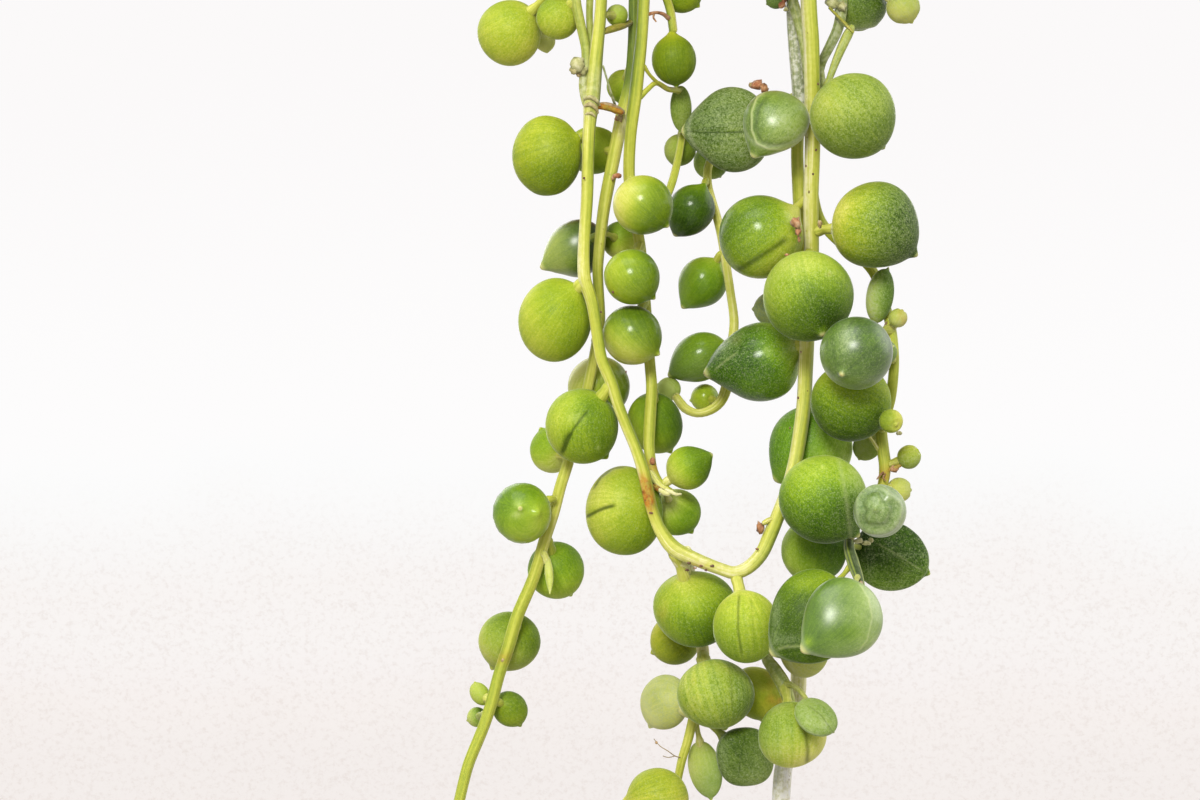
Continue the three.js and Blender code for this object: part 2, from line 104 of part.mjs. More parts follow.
// Leaves that are joined to their stem: [x, y, z, radius, stretch, flatness, stalk root x, y, z, flat normal x, y, z].
const LEAVES = {
  stem_front_loop: [[-15.65,-65,-321.75,2.38,1,1,-13.64,-66.8,-319.98,0.42,0.83,0.37],[-17.19,-58.8,-323.63,1.18,1,1,-12.71,-67.39,-313.01,0.23,0.8,0.55],[-9.11,-63.5,-321.25,1.22,1,1,-11,-67,-321.84,-0.83,0.49,-0.26],[-2.45,-53.77,-391.35,2.85,1,1,0.22,-56,-390.06,0.54,0.8,0.26],[-3.64,-56,-398.22,3.06,1.2,0.6,-0.45,-59.4,-399.37,-0.65,-0.76,-0.07],[6.67,-58.52,-396.98,2.81,1.12,1,0.35,-59.2,-395.46,-0.1,0.99,0.02],[5.21,-61,-403.91,3.47,1.12,0.55,-0.45,-59.4,-399.37,0.26,-0.91,-0.32],[0.84,-57.84,-405.6,2.03,1.62,0.5,-0.45,-59.4,-399.37,-0.44,-0.87,-0.19],[-12.68,-37.48,-200.5,2.82,1.07,1,-12.18,-38.56,-205.42,-0.07,0.97,-0.22],[-19.2,-49.13,-197.37,3.82,1.02,1,-13.89,-48.89,-199.92,0.01,-1,-0.08],[-16.93,-61.96,-192.41,3.78,1.03,1,-14.91,-59.19,-197.01,-0.14,0.87,0.46],[-18.55,-71.66,-207.52,4.51,1.12,1,-14.95,-66.38,-206.9,-0.83,0.55,0.13],[-18.4,-61.41,-221.4,3.75,1.06,1,-14.8,-67.19,-218.62,-0.45,0.15,0.88],[-10.45,-71.97,-233.15,4.5,1.02,1,-14.53,-67.02,-231.94,-0.74,-0.5,-0.45],[-19.92,-68.84,-244.72,4.39,1.05,1,-13.95,-67.02,-242.92,0.35,-0.23,-0.91],[-18.21,-64.18,-257.58,3.54,1.03,1,-12.89,-67.01,-255.25,0.27,0.86,0.44],[-8.37,-71.29,-268.7,3.37,1,1,-12.23,-67,-267.58,-0.32,-0.04,-0.95],[-17.84,-70.23,-281.13,3.43,1.02,1,-12.31,-67,-279.92,0.44,-0.46,-0.77],[-18.22,-67.15,-293.88,3.62,1,1,-12.33,-67,-292.25,-0.21,-0.55,0.81],[-8.98,-72,-305.18,3.78,1.03,1,-11.72,-67,-304.29,-0.16,-0.26,0.95],[8.48,-72.09,-312.23,4.31,1.1,1,12.12,-66.13,-310.92,-0.83,0.42,0.37],[19.3,-68.06,-300.58,3.8,1.03,1,12.41,-66.2,-298.8,-0.28,-0.96,-0.07],[6.68,-66.86,-289.03,3.39,1.12,1,12.77,-66.29,-287.54,-0.07,-0.81,0.59],[14.03,-72.48,-277.87,3.95,1,1,13.3,-66.39,-276.76,-0.87,-0.02,-0.49],[12.27,-73.08,-265.67,3.71,1.06,1,13.72,-66.5,-264.44,0.02,0.18,-0.98],[17.19,-73.26,-254.95,4.34,1.02,1,13.59,-66.61,-253.66,0.32,0.34,-0.88],[16.29,-60.72,-244.02,4.24,1.05,1,13.27,-66.73,-241.34,0.52,-0.55,-0.65],[11.12,-72.74,-231.41,3.56,1.05,1,13.45,-66.85,-230.25,0.45,-0.34,0.82],[16.45,-73.01,-219.85,3.68,1.11,1,14.02,-67.1,-218.61,0.91,0.32,0.26],[15.49,-74.11,-207.42,4.25,1,1,14.49,-66.41,-206.9,-0.99,-0.13,-0.01],[19.29,-62.46,-192.58,3.85,1.01,1,14.43,-59.3,-197.01,0.5,-0.35,-0.79],[10.64,-52.63,-203.77,2.86,1.02,1,13.57,-48.89,-199.92,0.64,0.24,-0.73],[16.13,-36.79,-198.93,4.04,1.06,1,12.15,-38.56,-205.42,0.24,-0.96,0.11],[2.44,-59.92,-413.98,3.39,1.01,1,-2.89,-58.4,-412.41,-0.19,0.3,-0.93],[-7.35,-58.37,-422.39,2.2,1.13,1,-2.71,-58.96,-421.49,0.2,0.08,-0.98]],
  stem_front_left: [[-11.34,-58,-335.82,2.7,1,1,-9.38,-61.3,-336.3,0.83,0.52,-0.2],[-8.39,-56,-328.42,1.87,1,1,-7.52,-60.53,-326.86,0.45,0.37,0.81],[-13.59,-58.56,-346.9,2.87,1.05,1,-10.94,-62.3,-345.51,0.69,0.62,0.36],[-8.63,-56.94,-345.92,2.15,1,1,-10.94,-62.3,-345.51,-0.9,0.4,0.16],[-11.11,-56,-362.53,3.51,1,1,-11.27,-61.43,-356.97,0.02,-0.72,-0.7],[-16.33,-56,-369.67,2.61,1,1,-14.61,-61.6,-371.1,0.71,0.37,-0.59],[-16.64,-64.8,-383.14,0.66,3,0.7,-17.55,-62,-380.89,-0.07,-0.85,0.53],[-24.43,-60.5,-396.91,1.06,1.35,1,-23.04,-62,-397.56,0.63,0.72,-0.29],[-24.86,-58,-399.73,1.13,1,1,-23.51,-62,-399.02,0.83,0.36,0.43],[-21.12,-59,-398.73,1.91,1.15,1,-23.04,-62,-397.56,-0.68,0.6,0.42],[-3.66,-38.58,-200.04,3.2,1.13,1,-7.01,-38.56,-205.35,0.47,0.83,-0.29],[-10.92,-51.84,-203.99,3.4,1.03,1,-8.94,-48.85,-199.93,-0.91,0.38,0.16],[-7.45,-63.86,-192.81,3.23,1.02,1,-10.12,-60.34,-196.99,0.89,0.19,-0.41],[-6.16,-71.33,-206,2.79,1.01,1,-10.15,-66.46,-205.02,-0.76,-0.64,0.08],[-11.92,-71.91,-218.08,3.42,1.07,1,-10.36,-66.64,-217.02,0.95,-0.3,0.07],[-13.99,-61.53,-230.05,3.76,1.08,1,-10.7,-65.93,-228.47,0.69,0.64,0.34],[-10.84,-72.08,-242.63,3.71,1.09,1,-10.34,-65.18,-241.16,0.25,0.18,-0.95],[-8.93,-58.36,-255.45,4.44,1.04,1,-8.96,-64.48,-253.4,-0.22,0.31,0.93],[-3.44,-61.23,-267.06,3.33,1.02,1,-7.9,-63.76,-265.65,0.18,-0.7,-0.7],[-8.05,-69.81,-277.78,3.64,1.04,1,-7.79,-63.15,-276.37,0.97,0.01,-0.25],[-11.76,-57.77,-288.98,4.34,1.06,1,-7.9,-62.54,-287.09,0.12,0.45,0.89],[-4.54,-57.8,-301.5,2.91,1.02,1,-7.7,-61.78,-299.92,-0.71,0.31,-0.63],[-13.27,-58.05,-313.57,3.52,1.03,1,-7.34,-61.06,-311.6,0.48,0.44,-0.76],[-29.36,-57,-412.9,2.75,1.04,1,-27.42,-61.97,-411.69,-0.39,0.07,0.92],[-22.98,-61.98,-421.4,2.88,1.04,1,-27.88,-62.69,-420.39,0.15,0.28,0.95],[-28.67,-66.03,-429.86,1.58,1.08,1,-27.68,-63,-429.05,-0.4,-0.11,0.91]],
  stem_front_middle: [[-2.23,-58.9,-376.59,2.64,1,1,-4.12,-63.6,-373.55,-0.42,0.61,0.68],[-1.8,-59.56,-318.21,2.36,1,0.8,-3.86,-61.6,-318.46,0.38,-0.91,-0.14],[-1.84,-52.13,-335.38,1.83,1,1,-1.55,-54,-333.02,0.08,0.79,0.61],[-1.85,-57.03,-331.01,1.41,1.85,0.65,-2.21,-58,-329.18,1,-0.01,0.04],[1.87,-41.68,-202.1,2.68,1.1,1,-2.1,-39.91,-204.6,-0.21,0.61,0.76],[-3.17,-51.22,-192.72,3.73,1.01,1,-4.2,-50.41,-199.19,-0.99,0.04,0.16],[0.98,-66.47,-196.76,4.14,1.01,1,-5.4,-62.26,-197.2,0.34,0.59,0.74],[1.23,-66.82,-211.02,3.88,1.05,1,-5.42,-66.7,-209,0.02,-0.99,0.12],[0.34,-64.9,-223.81,3.62,1.03,1,-5.51,-66.64,-221.84,-0.17,-0.43,-0.89],[-0.89,-69.86,-234.87,3.53,1,1,-5.63,-66.33,-233.5,-0.31,-0.68,0.67],[-3.43,-72.07,-247.25,3.97,1.02,1,-5.9,-66.02,-245.88,0.9,0.4,-0.16],[-8.86,-70.24,-257.62,3.41,1.01,1,-6.19,-65.72,-256.64,-0.76,0.33,0.56],[-0.94,-67.96,-270.11,3.54,1.07,1,-6.13,-65.38,-268.93,-0.4,-0.43,-0.81],[-4.62,-58.74,-283.74,3.8,1.05,1,-5.53,-65.04,-281.22,-0.95,0.23,0.23],[-2.74,-70.55,-293.22,3.87,1.03,1,-5.19,-64.75,-291.98,-0.7,-0.42,0.57],[-2.06,-68.42,-305.21,3.19,1.08,1,-5.46,-64.41,-303.98,-0.75,-0.51,-0.42]],
  stem_front_right_old: [[0.81,-51.51,-350.47,2.75,1.06,1,3.49,-53.4,-349.06,0.47,0.85,0.25],[0.42,-53,-359.09,2.74,1.2,1,4.04,-53.8,-357.73,0.19,0.98,0.07],[-3.11,-52.39,-362.74,1.37,1,1,-1.32,-54,-364.91,0.32,0.87,-0.38],[1.05,-51,-363.77,1.61,1,1,2.67,-54,-364.23,0.84,0.49,-0.24],[11.85,-62.13,-391.31,3.68,1,0.7,11.58,-53.92,-390.65,0.84,-0.54,-0.04],[10.08,-67.77,-400.77,3.68,1,1,9.37,-63.6,-395.53,0.35,-0.71,0.61],[12.42,-72.21,-398.37,2.28,1.12,0.5,9.37,-63.6,-395.53,0.22,-0.7,0.68],[12.8,-57.72,-369.3,4.68,1,1,12.46,-52.84,-363.64,0.04,0.76,-0.65],[12.99,-60,-380.81,3.7,1,1,12.25,-53.51,-378.24,0.25,0.38,-0.89],[8.48,-54,-353.64,1.94,1,1,12,-57.19,-353.28,0.67,0.74,0.07],[8.57,-63,-319.41,1.11,1,1,10.39,-61.84,-318.47,-0.44,0.87,-0.23],[1.83,-48.5,-336.5,2.02,1,1,1.46,-52.5,-337.13,-0.49,0.18,-0.85],[6.99,-37.16,-197.94,4.18,1.05,1,6.16,-38.56,-205.34,-0.98,-0.13,0.13],[3.11,-52.81,-203.28,3.66,1,1,7.64,-48.84,-199.93,-0.12,0.72,-0.68],[8.88,-63.81,-192.18,2.88,1.05,1,8.54,-60.55,-196.98,0.22,0.81,0.54],[6.95,-72.19,-205.86,3.81,1.02,1,8.64,-66.55,-205.02,-0.57,0.29,-0.77],[4.37,-73.32,-218.47,4.4,1.14,1,8.38,-66.66,-217.03,-0.77,0.54,-0.35],[11.99,-60.83,-230.67,3.7,1.04,1,7.98,-66.11,-228.49,-0.82,0.53,-0.21],[11.18,-71.79,-240.9,3.83,1.07,1,8.12,-65.57,-239.66,0.7,0.45,-0.55],[2.87,-68.51,-254.37,4.56,1.09,1,9.24,-64.99,-251.92,-0.55,0.75,0.36],[12.88,-58.31,-266.41,3.79,1.02,1,10.22,-64.4,-264.19,0.47,0.11,0.87],[14.35,-59.61,-276.83,4.22,1.01,1,10.26,-63.89,-274.92,-0.25,-0.18,-0.95],[9.06,-58.25,-289.07,3.58,1.02,1,9.99,-63.32,-287.18,0.55,-0.2,-0.81],[6.76,-67.74,-299.73,3.89,1.09,1,10.01,-62.79,-298.4,0.66,-0.25,-0.7],[12.9,-57.08,-312.42,3.37,1.07,1,10.19,-62.23,-310.49,-0.3,0.47,0.83],[14.2,-54.55,-416.08,3.53,1.04,1,9.16,-58.05,-412.84,-0.07,0.73,0.68]],
  stem_front_right_young: [[16.62,-66.84,-364.22,4.4,1,1,20.64,-63.66,-365.67,-0.56,0.8,0.2],[19.91,-63,-352.55,2.28,1.35,0.6,21.07,-61.2,-354.17,0.99,0.07,0.15],[21.98,-64.72,-354.92,1.05,1,1,21.38,-62.8,-356.21,0.34,0.6,0.73],[20.33,-66,-358.71,1.43,1,1,21.59,-64.2,-359.79,-0.56,0.68,0.48],[20.67,-70.86,-366.29,1.31,1,1,20.2,-63.6,-367.33,0.41,0.16,0.9],[23.21,-64.6,-370.31,1.33,1,1,20.61,-64,-371.43,0.19,0.98,0.08],[22.25,-63,-374.01,1.39,1,1,20.27,-64,-373.76,-0.45,0.89,0.06],[18.95,-59.8,-369.16,1.57,1.2,0.5,20.2,-63.6,-367.33,-0.26,-0.87,-0.43],[21.47,-60.5,-381.46,3.86,1.12,0.55,16.36,-67.4,-379.93,0.41,-0.9,-0.16],[18.22,-60.49,-320.11,2.91,1,0.7,15.89,-62.79,-318.58,0.17,-0.67,-0.72],[22.66,-63.4,-320.35,1.89,1,1,15.81,-62.8,-316.16,0.06,1,-0.04],[18.94,-43.84,-197.58,3.03,1.01,1,18.34,-44.37,-202.43,0.61,0.78,-0.16],[23.79,-57.9,-196.14,2.62,1.06,1,19.35,-56.65,-197.21,-0.29,-0.96,0.07],[22.16,-70.27,-203.71,3.55,1.01,1,19.48,-65.17,-204.13,0.43,0.3,0.85],[25.57,-63.81,-217.88,4.5,1.05,1,19.37,-67.13,-215.74,-0.22,0.78,0.58],[21.84,-72.5,-228.93,3.82,1.07,1,19.23,-66.46,-227.44,0.79,0.2,0.58],[23.9,-64.39,-240.56,3.72,1.01,1,18.8,-65.84,-238.94,0.13,0.5,0.86],[20.07,-59.53,-253.82,4.38,1.08,1,17.75,-65.35,-251.55,0.67,0.02,0.74],[19.72,-69.69,-265.3,3.51,1.08,1,17,-64.84,-264.15,0.84,0.51,-0.18],[21.75,-68.94,-276.36,3.13,1.12,1,17.11,-64.41,-275.18,-0.62,-0.48,-0.62],[20.02,-69.52,-287.44,4.22,1.03,1,17.32,-63.97,-286.22,-0.45,-0.39,0.8],[15.51,-58.27,-299.87,3.46,1.02,1,16.9,-63.5,-297.95,0.61,0.41,0.68],[21.04,-67.71,-310.03,3.38,1.04,1,16.22,-63.06,-308.41,-0.49,-0.69,0.52]],
  stem_rim_01: [[-31.71,-22.24,-202.18,3.83,1.06,1,-28.05,-25.26,-205.3,0.5,-0.25,0.83],[-35.32,-31,-194.98,3.98,1.1,1,-35.06,-31.57,-201.22,-0.91,-0.42,0],[-43.71,-38.57,-192.11,3.99,1.05,1,-41.89,-37.79,-197.68,0.55,-0.84,0.06],[-55.69,-43.25,-198.36,4.58,1.1,1,-48.74,-43.01,-199.6,-0.14,-0.49,-0.86],[-55.44,-46.78,-210.16,4.52,1.06,1,-49.37,-45.03,-208.68,-0.35,0.61,0.71],[-42.75,-51.25,-219.5,4.69,1.1,1,-48.3,-46.19,-218.12,-0.26,-0.02,-0.96],[-53.2,-50.11,-228.34,3.37,1.08,1,-48.19,-46.34,-227.26,-0.09,0.38,-0.92],[-50.11,-38.56,-237.6,4.55,1.07,1,-48.63,-45.55,-236.38,0.93,0.24,0.26],[-46.46,-49.45,-248.04,3.48,1.07,1,-49.44,-43.88,-245.48,-0.33,0.24,-0.91],[-55.28,-43.75,-255.55,3.6,1.12,1,-49.81,-42.42,-254.59,0.07,0.38,-0.92],[-48.78,-35.33,-267.47,3.54,1.06,1,-49.46,-41.67,-265.22,0.68,-0.31,-0.66],[-50.11,-48.72,-275.2,3.75,1.11,1,-48.45,-42.12,-274.33,0.66,-0.26,0.71],[-51.43,-40.08,-285.79,3.61,1.08,1,-47.31,-43.22,-283.45,0.22,0.75,0.62]],
  stem_rim_02: [[-18.71,-32.43,-199.69,4.14,1,1,-16.9,-33.75,-205.29,-0.6,-0.8,0],[-26.83,-38.85,-197.23,4.18,1,1,-22.95,-41.22,-201.22,-0.67,-0.7,-0.23],[-34.6,-46.23,-195.09,3.47,1.01,1,-29.34,-48.18,-197.68,0.44,0,0.9],[-34.05,-61.56,-198.57,3.5,1.11,1,-34.99,-54.78,-199.6,0.44,0.19,0.88],[-35.67,-62.83,-209.23,4.28,1.06,1,-35.25,-56.8,-208.59,0.55,0.05,-0.83],[-34.62,-62.91,-218.96,3.83,1.06,1,-34.89,-57.23,-217.9,-0.78,-0.15,0.6],[-41.17,-55.45,-227.3,3.68,1.04,1,-35.53,-56.52,-227,0.18,0.98,0.11],[-30.89,-54.32,-239.57,4.06,1.02,1,-36.61,-55.03,-237.5,-0.35,0.16,-0.92],[-40.59,-59.59,-249.5,4.32,1.03,1,-36.46,-54.22,-248,0.77,-0.46,-0.45],[-39.39,-48.29,-260.02,4.3,1.06,1,-35.51,-54.21,-257,0.78,0.21,-0.59],[-32.37,-61.04,-266.68,3.47,1.06,1,-34.1,-54.68,-266,0.17,0.15,-0.97],[-37.84,-55.07,-276.74,3.59,1.02,1,-32.86,-55.32,-274.99,0.21,-0.68,-0.7],[-26.14,-56.32,-287.98,3.93,1.13,1,-32.36,-55.8,-285.5,-0.29,0.46,-0.84]],
  stem_rim_03: [[22.81,-33.06,-202.5,3.12,1.04,1,17.13,-35.45,-204.65,0.2,0.35,-0.92],[28.22,-39.6,-197.02,3.37,1,1,23.72,-42.45,-200.47,-0.52,-0.18,0.83],[30.12,-53.46,-193.98,3.91,1.01,1,31.34,-48.79,-197.42,-0.82,-0.18,-0.54],[32.19,-59.47,-204.66,3.38,1.08,1,35.78,-55.65,-202.37,-0.27,0.67,-0.69],[39.82,-54.31,-214.22,3.33,1.03,1,35.56,-56.48,-211.97,-0.59,0.48,-0.65],[34.15,-61.82,-222.97,3.21,1,1,34.12,-56.82,-221.92,0.88,0.1,-0.46],[29.14,-52.03,-233.76,3.5,1,1,34.31,-55.85,-231.49,-0.15,-0.65,-0.74],[41.12,-57.64,-241.78,4.63,1.04,1,35.25,-54.59,-241.04,-0.19,-0.56,0.81],[31.44,-56.91,-252.96,3.57,1.09,1,36.4,-53.46,-250.59,0.53,-0.84,0.12],[43.86,-51.34,-261.59,3.9,1.1,1,37.07,-53.01,-260.15,-0.28,0.38,-0.88],[37.74,-58.85,-270.29,3.58,1.14,1,36.8,-53.49,-269.71,-0.75,-0.06,-0.66],[29.99,-52.31,-281.58,3.72,1.01,1,35.85,-54.53,-279.26,0.15,-0.49,-0.86],[40.56,-57.11,-290.7,4.64,1.16,1,34.63,-55.59,-288.82,0.38,0.51,0.77]],
  stem_rim_04: [[30.18,-22.43,-198.84,3.61,1.03,1,30.28,-22.53,-205.29,0.1,0.99,-0.01],[38.55,-28.34,-197.04,3.24,1.07,1,36.36,-30.08,-201.22,0.35,0.79,-0.51],[40.85,-40.98,-192.23,3.36,1.01,1,41.76,-37.91,-197.67,0.26,-0.86,-0.44],[52.65,-42.69,-200.77,3.33,1.02,1,47.09,-44.8,-199.6,-0.4,0.78,-0.48],[54.29,-50.07,-210.04,3.97,1.06,1,48.77,-45.43,-208.64,0.45,0.28,0.84],[42.75,-49.15,-219.78,4.24,1.05,1,47.98,-44.99,-218.16,-0.46,0.25,0.85],[53.92,-39.48,-228.05,4.03,1.01,1,48.2,-43.94,-227.47,-0.16,0.33,0.93],[50.53,-49.02,-238.15,4.09,1.03,1,48.89,-42.79,-236.67,0.22,0.28,-0.94],[43.84,-39.53,-248.7,4.08,1.02,1,48.95,-42.74,-245.87,-0.19,-0.8,-0.57],[55.22,-46.44,-258.13,4.06,1,1,48.47,-43.62,-256.61,-0.37,-0.43,-0.82],[51.39,-41.03,-268.26,3.22,1.1,1,47.64,-45,-265.8,-0.7,0.25,-0.67],[51.12,-50.56,-275.92,4.4,1.04,1,46.95,-46.08,-275,-0.69,-0.69,0.21],[41.05,-48.09,-286.28,3.86,1.11,1,46.6,-46.58,-284.2,0.4,-0.75,-0.52],[52.48,-44.32,-294.2,3.9,1.02,1,46.93,-45.98,-293.4,-0.2,0.23,-0.95]],
  stem_rim_05: [[37.2,-6.64,-199.38,3.54,1.08,1,36.56,-9.38,-205.3,0.29,-0.88,0.38],[45.08,-17.68,-201.66,3.91,1.11,1,44.43,-10.94,-201.99,-0.87,-0.06,0.49],[52.46,-16.96,-193.49,4.3,1.05,1,51.68,-12.29,-198.63,0.84,0.46,0.29],[64.81,-10.5,-196.04,3.94,1.02,1,59.94,-14.04,-197.74,0.46,-0.81,0.38],[67.07,-21.26,-206.09,4.54,1.03,1,64.69,-15.2,-204.15,0.16,-0.25,0.96],[68.78,-9.06,-213.95,3.95,1.04,1,64.48,-13.21,-213.52,0.65,-0.71,-0.28],[66.37,-17.77,-223.55,3.37,1.1,1,63.94,-12.7,-222.95,-0.11,-0.17,0.98],[61.95,-9.63,-235.14,3.33,1.02,1,63.9,-14.29,-232.21,0.47,-0.32,-0.82],[69.41,-15.49,-241.09,3.68,1.01,1,63.85,-15.99,-239.91,0.2,0.05,0.98],[63.42,-23.82,-250.69,3.73,1.07,1,63.9,-17,-249.16,-0.41,0.23,-0.88],[63.11,-9.99,-260.97,3.49,1.02,1,64.07,-16.35,-259.97,0.99,0.15,-0.01],[68.81,-15.96,-270.33,3.4,1.01,1,64.09,-14.54,-269.21,-0.3,-0.95,-0.06],[58.93,-16.35,-280.88,3.32,1.02,1,63.71,-12.85,-278.46,0.66,-0.66,-0.36]],
  stem_rim_06: [[36.9,9.16,-202.68,2.78,1.03,1,37.4,5.06,-205.3,-0.14,-0.54,0.83],[48.67,2.88,-202.64,4.05,1.05,1,45.13,7.51,-201.99,-0.77,-0.61,0.19],[54.99,11.13,-192.38,3.56,1.01,1,53.72,10.65,-198.1,0.71,0.67,-0.21],[65.8,7.62,-202.5,3.35,1.13,1,63.71,12.88,-199.6,0.04,0.5,-0.87],[67.25,20.8,-208.98,3.87,1,1,65.2,13.88,-207.43,0.89,-0.33,-0.3],[71.17,10.04,-218.9,4.31,1.02,1,64.49,13.32,-217.63,0.46,0.79,0.4],[60.22,15.56,-231.13,4.49,1.05,1,64.97,12.01,-227.67,0.56,0.82,0.07],[72.04,16.02,-238.8,4.58,1.02,1,65.39,11.66,-237.67,-0.03,-0.22,-0.98],[66.45,6.13,-248.69,3.86,1.04,1,65.3,12.52,-246,0.2,-0.35,0.92],[65.3,19.7,-256.66,3.62,1.04,1,64.57,14.44,-256.37,0.42,-0.11,-0.9],[69.85,15.07,-267.58,3.6,1.14,1,63.69,15.56,-266,0.07,-0.84,0.54],[60.58,10.43,-277.19,3.49,1.02,1,62.93,15.47,-276,-0.86,0.3,0.42],[64.66,19.31,-286.2,4.05,1.07,1,62.61,14.2,-284.33,-0.65,-0.02,-0.76]],
  stem_rim_07: [[22.62,31.25,-198.18,4.17,1.03,1,24.4,28.79,-205.29,0.35,-0.85,0.38],[30.94,40.45,-201.34,4.56,1.06,1,32.7,34.02,-201.22,-0.71,-0.18,0.68],[42.53,40.11,-191.9,3.55,1.02,1,41.3,38.41,-197.67,-0.93,-0.25,0.27],[57.04,42.19,-202.51,4.56,1.03,1,49.21,43.58,-200.86,0.26,0.54,0.8],[53.79,50.41,-210.67,3.92,1.01,1,49.95,44.31,-209,0.35,0.04,0.94],[55.46,38.37,-221.29,4.59,1.06,1,50.93,43.01,-218.95,0.75,0.62,0.23],[45.66,48.66,-227.48,3.71,1.02,1,49.95,44.33,-227.05,-0.71,-0.7,-0.01],[53.63,49.5,-238.33,3.53,1.13,1,48.28,45.62,-236.76,0.58,-0.81,-0.04],[48.64,40.5,-247.62,3.45,1.15,1,47.32,45.53,-246.48,-0.74,-0.33,0.58],[47.32,49.27,-258.34,3.29,1.04,1,47.54,44,-256.19,-0.53,-0.34,-0.78],[53.78,40.15,-266.44,3.63,1.05,1,48.4,42.12,-265.9,-0.18,-0.69,0.7]],
  stem_rim_08: [[14.27,34.95,-202.92,3.29,1,1,18.35,32.98,-205.29,0.59,0.32,0.74],[15,46.27,-201.83,4.13,1.03,1,20.54,42.48,-201.22,-0.32,-0.32,0.89],[27.89,51.61,-194.53,4.33,1.03,1,21.69,50.29,-198.1,0.12,-0.98,0.15],[26.35,63.72,-194.73,3.31,1.13,1,24.19,58.7,-198.46,0.88,-0.02,-0.48],[31.6,64.06,-209.13,4.48,1.03,1,24.89,61.95,-207.4,-0.33,0.94,-0.12],[18.05,62.17,-217.34,4.04,1.03,1,24.37,62.46,-215.64,0.18,-0.84,-0.51],[25.24,67.91,-224.98,3.73,1.02,1,23.51,62.63,-223.88,-0.28,-0.11,-0.95],[28.59,59.84,-234.89,3.52,1.03,1,22.72,62.28,-233.63,-0.04,0.38,-0.92],[17.81,64.1,-245.92,4.32,1.03,1,23.57,61.12,-243.38,0.33,0.9,0.3],[29.57,64.33,-254.04,3.32,1.06,1,25.03,59.75,-253.12,-0.4,0.22,-0.89],[29.36,53.32,-263.03,4.6,1.11,1,25.9,58.96,-261.24,-0.84,-0.39,-0.38],[21.46,64.15,-272.19,4.32,1.05,1,25.99,58.77,-271,-0.77,-0.6,0.22],[28.85,63.95,-282.07,3.53,1.01,1,24.76,59.55,-280.75,-0.56,0.29,-0.77]],
  stem_rim_09: [[-20.54,32.94,-198.8,4.67,1.04,1,-15.8,34.28,-205.3,0.78,-0.39,0.49],[-14.08,48.12,-203.38,3.74,1.01,1,-18.79,43.28,-201.22,0.64,-0.31,0.7],[-24.33,53.41,-192.18,4.42,1.02,1,-21.47,52.17,-197.68,-0.83,0.25,-0.49],[-20.79,65.69,-199.42,3.75,1.01,1,-23.75,60.51,-199.6,0.35,-0.16,-0.92],[-31.79,65.67,-209.47,3.96,1.02,1,-25.48,61.76,-208.99,-0.3,-0.37,0.88],[-22.39,66.17,-220.8,4.46,1.11,1,-26.7,61,-219.33,0.5,-0.59,-0.63],[-27.84,55.78,-232.36,4.07,1.12,1,-24.75,60.95,-229.7,-0.88,0.39,0.26],[-25.11,66.17,-240.58,3.4,1.05,1,-22.96,60.91,-239.33,0.92,0.39,0.05],[-16.26,61.25,-249.39,3.57,1.06,1,-22.14,60.78,-247.66,0.21,-0.84,0.5],[-28.14,62,-258.32,3.67,1.02,1,-22.74,60.43,-257.67,-0.19,-0.28,0.94],[-23.55,65.17,-269.71,3.87,1.02,1,-24.58,59.96,-268.22,0.71,-0.32,-0.63],[-27.74,53.42,-280.36,4.05,1.03,1,-25.91,59.76,-277.66,0.93,-0.13,-0.34]],
  stem_rim_10: [[-29.58,23.32,-198.9,3.26,1.07,1,-29.35,23.73,-205.3,-0.52,-0.85,-0.07],[-33.43,35.57,-201.34,3.71,1.04,1,-35.95,30.56,-201.22,-0.07,0.06,1],[-46.67,35.91,-194.95,3.45,1.02,1,-42.19,37.46,-197.68,-0.57,0.34,-0.75],[-46.27,49.98,-200.62,3.93,1.04,1,-47.87,43.97,-199.6,-0.66,0.29,0.69],[-52.98,49.15,-210.19,3.6,1.03,1,-49.31,44.76,-209.07,0.68,0.42,-0.6],[-42.96,48,-218.54,3.33,1.11,1,-47.79,45.13,-217.67,0.37,-0.77,-0.52],[-53.14,41.9,-227.82,4.17,1.05,1,-46.92,45.2,-226,-0.46,0.45,0.76],[-50.68,49.85,-237.51,4.48,1.02,1,-47.39,44.28,-236,0.8,0.54,0.25],[-44.3,40.65,-247.09,3.24,1.04,1,-48.6,43.13,-244.33,0.33,-0.39,0.86],[-56.07,43.49,-253.4,3.77,1.02,1,-49.86,42.21,-252.67,0.19,0.38,-0.9],[-47.61,49.16,-263.84,4.48,1.07,1,-50.16,42.47,-262.67,0.64,-0.11,0.76],[-51.12,39.17,-275.42,3.89,1.09,1,-48.99,43.8,-272.67,-0.58,0.6,-0.55]],
